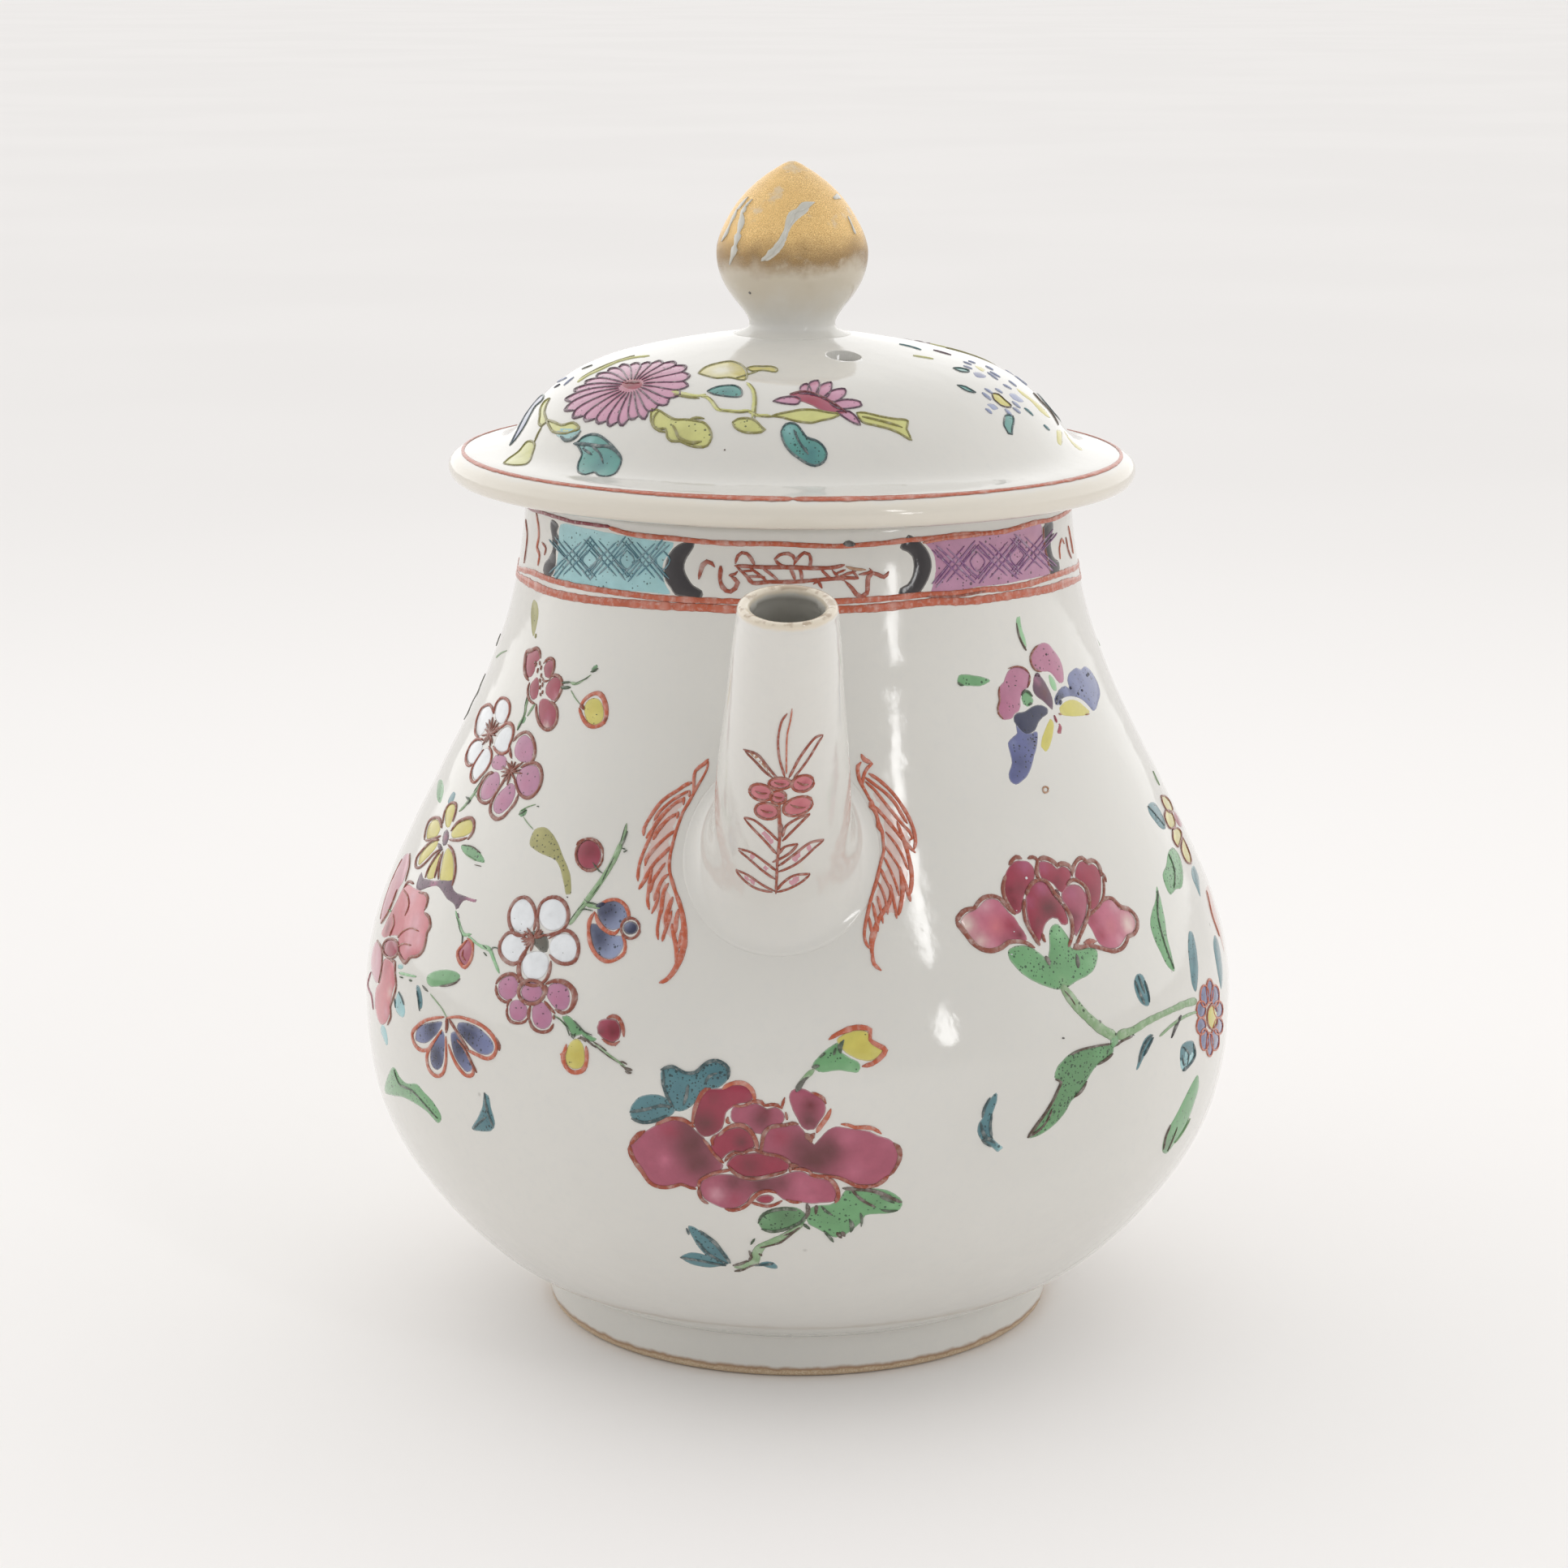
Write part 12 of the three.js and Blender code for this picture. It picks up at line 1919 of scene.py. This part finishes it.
def gap_to(poly, pts):
    """Distance from each point to the outline."""
    a, b = poly, np.roll(poly, -1, 0)
    ab = b - a
    L = np.maximum((ab**2).sum(1), 1e-9)
    out = np.empty(len(pts))
    for i in range(0, len(pts), 400):
        q = pts[i : i + 400, None, :] - a[None]
        t = np.clip((q * ab[None]).sum(2) / L, 0, 1)
        out[i : i + 400] = np.sqrt(((q - t[..., None] * ab[None]) ** 2).sum(2)).min(1)
    return out


class Piece:
    """One motif's mesh as it grows."""

    def __init__(self, ground):
        self.ground, self.v, self.f, self.c, self.m = ground, [], [], [], []
        self.n = 0

    def add(self, verts, faces, cols, mat):
        self.v.append(verts)
        self.c.append(cols)
        self.f.extend([tuple(i + self.n for i in f) for f in faces])
        self.m.extend([mat] * len(faces))
        self.n += len(verts)

    def fill(self, colour, pts, grads=(), speck=0.0, lift=0.09, soft=0.3, step=0.62, grow=0.14):
        g = Ground(self.ground, pts)
        poly = g.flat(pts)[:, :2]
        poly = catmull(poly, closed=True, step=0.42)
        keep = [0]
        for i in range(1, len(poly)):
            if np.linalg.norm(poly[i] - poly[keep[-1]]) > 0.12:
                keep.append(i)
        poly = poly[keep]
        area2 = np.sum(poly[:, 0] * np.roll(poly[:, 1], -1) - np.roll(poly[:, 0], -1) * poly[:, 1])
        if area2 < 0:
            poly = poly[::-1]
        d = np.roll(poly, -1, 0) - np.roll(poly, 1, 0)
        d /= np.maximum(np.linalg.norm(d, axis=1)[:, None], 1e-9)
        out_by = poly - np.stack([-d[:, 1], d[:, 0]], 1) * grow
        clear = ~inside(poly, out_by) & (gap_to(poly, out_by) > grow * 0.8)
        poly = np.where(clear[:, None], out_by, poly)
        inn = poly + np.stack([-d[:, 1], d[:, 0]], 1) * soft
        ok = inside(poly, inn)
        gp = gap_to(poly, inn)
        inn = inn[ok & (gp > soft * 0.85)]
        lo, hi = poly.min(0), poly.max(0)
        rows = []
        k = 0
        y = lo[1]
        while y < hi[1]:
            xs = np.arange(lo[0] + (step / 2 if k % 2 else 0), hi[0], step)
            rows.append(np.stack([xs, np.full(len(xs), y)], 1))
            y += step * 0.866
            k += 1
        grid = np.concatenate(rows) if rows else np.zeros((0, 2))
        if len(grid):
            grid = grid[inside(poly, grid)]
        if len(grid):
            gg = gap_to(poly, grid)
            grid = grid[gg > soft + 0.4 * step]
        every = np.concatenate([poly, inn, grid])
        n0 = len(poly)
        out = delaunay_2d_cdt([Vector(map(float, p)) for p in every], [(i, (i + 1) % n0) for i in range(n0)], [list(range(n0))], 1, 1e-5)
        verts2 = np.array([tuple(v) for v in out[0]], float)
        tris = [tuple(t) for t in out[2] if len(t) == 3]
        if len(verts2) == 0 or not tris:
            return
        # the rim of the sheet, from the faces themselves
        count = {}
        for t in tris:
            for a, b in ((t[0], t[1]), (t[1], t[2]), (t[2], t[0])):
                count[(a, b)] = count.get((a, b), 0) + 1
        rim = {i for e in count if (e[1], e[0]) not in count for i in e}
        gp = gap_to(poly, verts2)
        gp[list(rim)] = 0.0
        jig = np.array([fbm((q[0] * 0.9, q[1] * 0.9, 3.1), 2) for q in verts2])
        up = lift * np.sin(np.clip(gp / 0.95, 0, 1) * math.pi / 2) * (1 + 0.16 * jig) - 0.022
        top = g.lift(verts2, up)
        base = PALETTE[colour]
        col = np.tile(base, (len(verts2), 1))
        for gx, gy, gr, gc, gw in grads:
            c = g.flat([(gx, gy)])[0]
            w = gw * np.exp(-(((verts2 - c[:2]) ** 2).sum(1)) / (2 * (gr * 0.62) ** 2))
            w = np.clip(w * (1 + 0.35 * jig), 0, 1)
            col = col * (1 - w[:, None]) + PALETTE[gc] * w[:, None]
        col = col * (1 + 0.10 * jig[:, None])
        edge = smooth(gp / (soft * 1.05))
        wt = 0.42 + 0.58 * edge
        col = PALETTE["glaze"] * (1 - wt[:, None]) + col * wt[:, None]
        col = np.concatenate([col, np.full((len(col), 1), 0.0) + speck * edge[:, None]], 1)
        inner = [i for i in range(len(verts2)) if i not in rim]
        low = {i: len(verts2) + k for k, i in enumerate(inner)}
        bot = g.lift(verts2[inner], np.full(len(inner), -0.075)) if inner else np.zeros((0, 3))
        verts = np.concatenate([top, bot]) if len(inner) else top
        cols = np.concatenate([col, col[inner]]) if len(inner) else col
        p0, p1, p2 = (top[i] for i in tris[0])
        nrm = np.cross(p1 - p0, p2 - p0)
        out_dir = g.lift(verts2[tris[0][:1], :], np.array([1.0]))[0] - g.lift(verts2[tris[0][:1], :], np.array([0.0]))[0]
        flip = np.dot(nrm, out_dir) < 0
        faces = []
        for t in tris:
            a = t[::-1] if flip else t
            faces.append(a)
            b = tuple(low.get(i, i) for i in a[::-1])
            if all(i in rim for i in t):
                # a triangle with no inner corner would fold flat on itself: give it its own floor point
                continue
            faces.append(b)
        # triangles touching only the rim get a small floor point so that the piece stays closed
        extra_v, extra_c, extra_f = [], [], []
        for t in tris:
            if all(i in rim for i in t):
                m = verts2[list(t)].mean(0)[None]
                q = g.lift(m, np.array([-0.075]))[0]
                idx = len(verts) + len(extra_v)
                extra_v.append(q)
                extra_c.append(col[t[0]])
                a = t[::-1] if flip else t
                for i in range(3):
                    extra_f.append((a[(i + 1) % 3], a[i], idx))
        if extra_v:
            verts = np.concatenate([verts, np.array(extra_v)])
            cols = np.concatenate([cols, np.array(extra_c)])
        self.add(verts, faces + extra_f, cols, 0)

    def stroke(self, colour, pts, lift=0.075, mat=1, soft=0.42, speck=0.0):
        pts = np.asarray(pts, float)
        g = Ground(self.ground, pts[:, :2])
        q = g.flat(pts)
        total = np.linalg.norm(np.diff(q[:, :2], axis=0), axis=1).sum()
        line = catmull(q, step=min(0.4, max(total / 4, 0.12)))
        line[:, 2] = np.maximum(line[:, 2], 0.07)
        keep = [0]
        for i in range(1, len(line)):
            if np.linalg.norm(line[i, :2] - line[keep[-1], :2]) > 0.05:
                keep.append(i)
        line = line[keep]
        if len(line) < 2:
            return
        d = np.gradient(line[:, :2], axis=0)
        d /= np.maximum(np.linalg.norm(d, axis=1)[:, None], 1e-9)
        nn = np.stack([-d[:, 1], d[:, 0]], 1)
        # round the two ends
        first, last = line[0].copy(), line[-1].copy()
        s = np.concatenate([[0], np.cumsum(np.linalg.norm(np.diff(line[:, :2], axis=0), axis=1))])
        e = np.minimum(s, s[-1] - s)
        cap = np.sqrt(np.clip(e / (line[:, 2] * 0.55 + 1e-6), 0.12, 1.0))
        jig = np.array([fbm((p[0] * 1.3, p[1] * 1.3, 9.7), 2) for p in line])
        w = line[:, 2] * cap * (1 + 0.22 * jig) * 0.5
        tall = (lift + 0.045) * (0.55 + 0.45 * cap)
        sect = [(-1.0, -0.03, 0), (-0.82, 0.84, 1), (0.0, 1.0, 1), (0.82, 0.84, 1), (1.0, -0.03, 0), (0.0, -0.9, 0)]
        rows, cols = [], []
        base = PALETTE[colour]
        thin = np.clip(1 - 0.35 * np.clip(jig, 0, 1), 0, 1)
        for x, h, full in sect:
            up = tall * h if h > 0 else np.full(len(line), h * 0.07)
            rows.append(g.lift(line[:, :2] + nn * (w * x)[:, None], up))
            wt = (0.85 + 0.15 * full) * thin
            cc = PALETTE["glaze"] * (1 - wt[:, None]) + base * (1 + 0.1 * jig[:, None]) * wt[:, None]
            cols.append(np.concatenate([cc, np.full((len(cc), 1), speck)], 1))
        verts = np.stack(rows, 1).reshape(-1, 3)
        cols = np.stack(cols, 1).reshape(-1, 4)
        k, n = len(sect), len(line)
        faces = []
        for i in range(n - 1):
            for j in range(k):
                a, b = i * k + j, i * k + (j + 1) % k
                faces.append((a, b, b + k, a + k))
        faces.append(tuple(range(k))[::-1])
        faces.append(tuple(range((n - 1) * k, n * k)))
        nrm = np.cross(verts[k + 1] - verts[1], verts[2] - verts[1])
        out_dir = g.lift(line[:1, :2], np.array([1.0]))[0] - g.lift(line[:1, :2], np.array([0.0]))[0]
        if np.dot(nrm, out_dir) > 0:
            faces = [f[::-1] for f in faces]
        self.add(verts, faces, cols, mat)

    def finish(self, name, ride):
        if not self.v:
            return None
        me = bpy.data.meshes.new(name)
        verts = np.concatenate(self.v)
        me.from_pydata([tuple(v) for v in verts * MM], [], self.f)
        at = me.color_attributes.new("tint", "FLOAT_COLOR", "POINT")
        at.data.foreach_set("color", np.clip(np.concatenate(self.c), 0, 1).ravel())
        me.materials.append(ENAMEL)
        me.materials.append(INK)
        me.polygons.foreach_set("material_index", self.m)
        me.polygons.foreach_set("use_smooth", [True] * len(me.polygons))
        me.update()
        ob = bpy.data.objects.new(name, me)
        bpy.context.scene.collection.objects.link(ob)
        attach(ob, ride)
        return ob


def draw(name, ground, items):
    pc = Piece(ground)
    for it in items:
        if it[0] == "F":
            pc.fill(it[1], it[2], it[3], it[4], it[5])
        else:
            pc.stroke(it[1], it[2], it[3], it[4])
    return pc.finish("enamel_" + name, "cover" if ground in ("lid", "knob") else "pot")


def turned(ground, items, by, mirror=False):
    """The same drawing carried round the pot (or round the cover), by an angle in degrees."""
    c, s = math.cos(math.radians(by)), math.sin(math.radians(by))

    def at(q):
        x, y = (-q[0] if mirror else q[0]), q[1]
        return (c * x - s * y, s * x + c * y, *q[2:]) if ground == "lid" else (x + by, y, *q[2:])
    out = []
    for it in items:
        if it[0] == "F":
            out.append(("F", it[1], [at(q) for q in it[2]], [at(g) for g in it[3]], *it[4:]))
        else:
            out.append(("S", it[1], [at(q) for q in it[2]], *it[3:]))
    return out


def carried_round(items):
    """The band's long lines, taken on to a quarter turn each side, where the back's lines take over."""
    out = []
    for it in items:
        az = [q[0] for q in it[2]]
        if it[0] == "S" and max(az) - min(az) > 25:
            line = sorted(it[2])
            if min(az) < -62:
                line = [(-90.4, line[0][1], line[1][2])] + line
            if max(az) > 62:
                line = line + [(90.4, line[-1][1], line[-2][2])]
            it = ("S", it[1], line, *it[3:])
        out.append(it)
    return out


# The back isn't known. It repeats the drawings of the front and sides.
BEHIND = {"neck_band": (180, False), "front_peony": (138, False), "front_peony_leaves": (138, False), "side_peony": (-166, False), "side_peony_branch": (-166, False), "iris": (-168, False),
          "prunus_spray": (172, False), "cover_chrysanthemum": (180, False), "cover_trail": (180, False)}
for _name, _ground, _items in MOTIFS:
    if _name == "neck_band":
        _items = carried_round(_items)
    if _items:
        draw(_name, _ground, _items)
    if _name in BEHIND:
        draw("back_" + _name, _ground, turned(_ground, [it for it in _items if it[1] != "ash"], *BEHIND[_name]))
BRIM_R = 33.7
draw("brim_line", "lid", [("S", "rust", [(BRIM_R * math.sin(math.radians(a)), -BRIM_R * math.cos(math.radians(a)), (0.62 + 0.24 * math.cos(math.radians(2 * a))) * (1 + 0.18 * math.sin(0.11 * a + 0.6))) for a in range(0, 361, 4)], 0.05, 1)])


# ------------------------------------------------------------------ camera, light and floor
def place_camera():
    cd = bpy.data.cameras.new("camera")
    cd.sensor_width, cd.lens = 36.0, 82.92
    cd.clip_start, cd.clip_end = 0.01, 100.0
    cam = bpy.data.objects.new("camera", cd)
    cam.location = (-0.00145, -0.36914, 0.14269)
    cam.rotation_euler = (math.radians(90 - 13.28), 0, 0)
    bpy.context.scene.collection.objects.link(cam)
    bpy.context.scene.camera = cam


def area(name, loc, target, size, power, colour=(1, 1, 1), size_y=None):
    ld = bpy.data.lights.new(name, "AREA")
    ld.shape = "RECTANGLE"
    ld.size, ld.size_y = size, size_y or size
    ld.energy, ld.color = power, colour
    ob = bpy.data.objects.new(name, ld)
    ob.location = loc
    ob.rotation_euler = (Vector(target) - Vector(loc)).to_track_quat("-Z", "Y").to_euler()
    bpy.context.scene.collection.objects.link(ob)
    return ob


def make_floor():
    nx = 24
    half = 14.0
    verts, faces = [], []
    # a wide sheet, finer near the pot, its level just under the foot
    g = [math.copysign(abs(t) ** 3, t) * half for t in np.linspace(-1, 1, nx + 1)]
    for y in g:
        for x in g:
            verts.append((x, y, -0.00001))
    for j in range(nx):
        for i in range(nx):
            a = j * (nx + 1) + i
            faces.append((a, a + 1, a + nx + 2, a + nx + 1))
    me = bpy.data.meshes.new("table_top")
    me.from_pydata(verts, [], faces)
    me.update()
    n = Nodes("table_paper_painted_light")
    p = n.place()
    c = n.mix(n.ramp(n.noise(p, 0.004, 2.0), 0.35, 0.65), (*FLOOR_A, 1), (*FLOOR_B, 1))
    d = n.t.nodes.new("ShaderNodeVectorMath")
    d.operation = "LENGTH"
    n.link(p, d.inputs[0])
    # painted light: the floor is lighter near the pot, fully within 120 mm of its axis and fading out by 700 mm,
    # lifting the shade the pot casts round itself
    c = n.mix(n.ramp(d.outputs["Value"], 700.0, 120.0), c, (*FLOOR_PAINTED_LIGHT, 1))
    n.set(Base_Color=c)
    n.bsdf.inputs["Roughness"].default_value = 0.9
    n.bsdf.inputs["Specular IOR Level"].default_value = 0.2
    me.materials.append(n.mat)
    ob = bpy.data.objects.new("table_top", me)
    bpy.context.scene.collection.objects.link(ob)


FLOOR_A = srgb(235, 233, 232)
FLOOR_B = srgb(237, 235, 234)
# painted light: the lighter floor colour laid round the pot
FLOOR_PAINTED_LIGHT = srgb(249, 247, 246)


def make_world():
    w = bpy.data.worlds.new("room")
    bpy.context.scene.world = w
    w.use_nodes = True
    t = w.node_tree
    t.nodes.clear()
    out = t.nodes.new("ShaderNodeOutputWorld")
    bg = t.nodes.new("ShaderNodeBackground")
    tc = t.nodes.new("ShaderNodeTexCoord")
    sep = t.nodes.new("ShaderNodeSeparateXYZ")
    t.links.new(tc.outputs["Generated"], sep.inputs[0])
    mr = t.nodes.new("ShaderNodeMapRange")
    mr.interpolation_type = "SMOOTHSTEP"
    mr.inputs["From Min"].default_value, mr.inputs["From Max"].default_value = -0.95, 0.35
    t.links.new(sep.outputs[1], mr.inputs["Value"])
    mx = t.nodes.new("ShaderNodeMix")
    mx.data_type = "RGBA"
    t.links.new(mr.outputs[0], mx.inputs[0])
    mx.inputs[6].default_value = (0.42, 0.42, 0.42, 1)
    mx.inputs[7].default_value = (1.0, 0.99, 0.975, 1)
    # a little dimmer overhead than along the walls
    up = t.nodes.new("ShaderNodeMapRange")
    up.interpolation_type = "SMOOTHSTEP"
    up.inputs["From Min"].default_value, up.inputs["From Max"].default_value = 0.25, 0.95
    up.inputs["To Min"].default_value, up.inputs["To Max"].default_value = 1.0, 0.78
    t.links.new(sep.outputs[2], up.inputs["Value"])
    dim = t.nodes.new("ShaderNodeVectorMath")
    dim.operation = "SCALE"
    t.links.new(mx.outputs[2], dim.inputs[0])
    # and a little brighter from the left
    side = t.nodes.new("ShaderNodeMapRange")
    side.interpolation_type = "SMOOTHSTEP"
    side.inputs["From Min"].default_value, side.inputs["From Max"].default_value = 0.1, -0.9
    side.inputs["To Min"].default_value, side.inputs["To Max"].default_value = 1.0, 1.13
    t.links.new(sep.outputs[0], side.inputs["Value"])
    both = t.nodes.new("ShaderNodeMath")
    both.operation = "MULTIPLY"
    t.links.new(up.outputs[0], both.inputs[0])
    t.links.new(side.outputs[0], both.inputs[1])
    t.links.new(both.outputs[0], dim.inputs["Scale"])
    t.links.new(dim.outputs[0], bg.inputs[0])
    bg.inputs[1].default_value = WORLD
    t.links.new(bg.outputs[0], out.inputs[0])


WORLD = 1.37
place_camera()
make_world()
make_floor()
# two tall panes of a window to the right: they make the broken streak down the body
area("window_upper", (0.456, -0.596, 0.59), (0, 0, 0.06), 0.06, 0.34, size_y=0.27).data.shape = "ELLIPSE"
area("window_lower", (0.456, -0.596, 0.21), (0, 0, 0.06), 0.065, 0.22, size_y=0.19).data.shape = "ELLIPSE"
bpy.context.scene.view_settings.view_transform = "Standard"
bpy.context.scene.view_settings.look = "None"
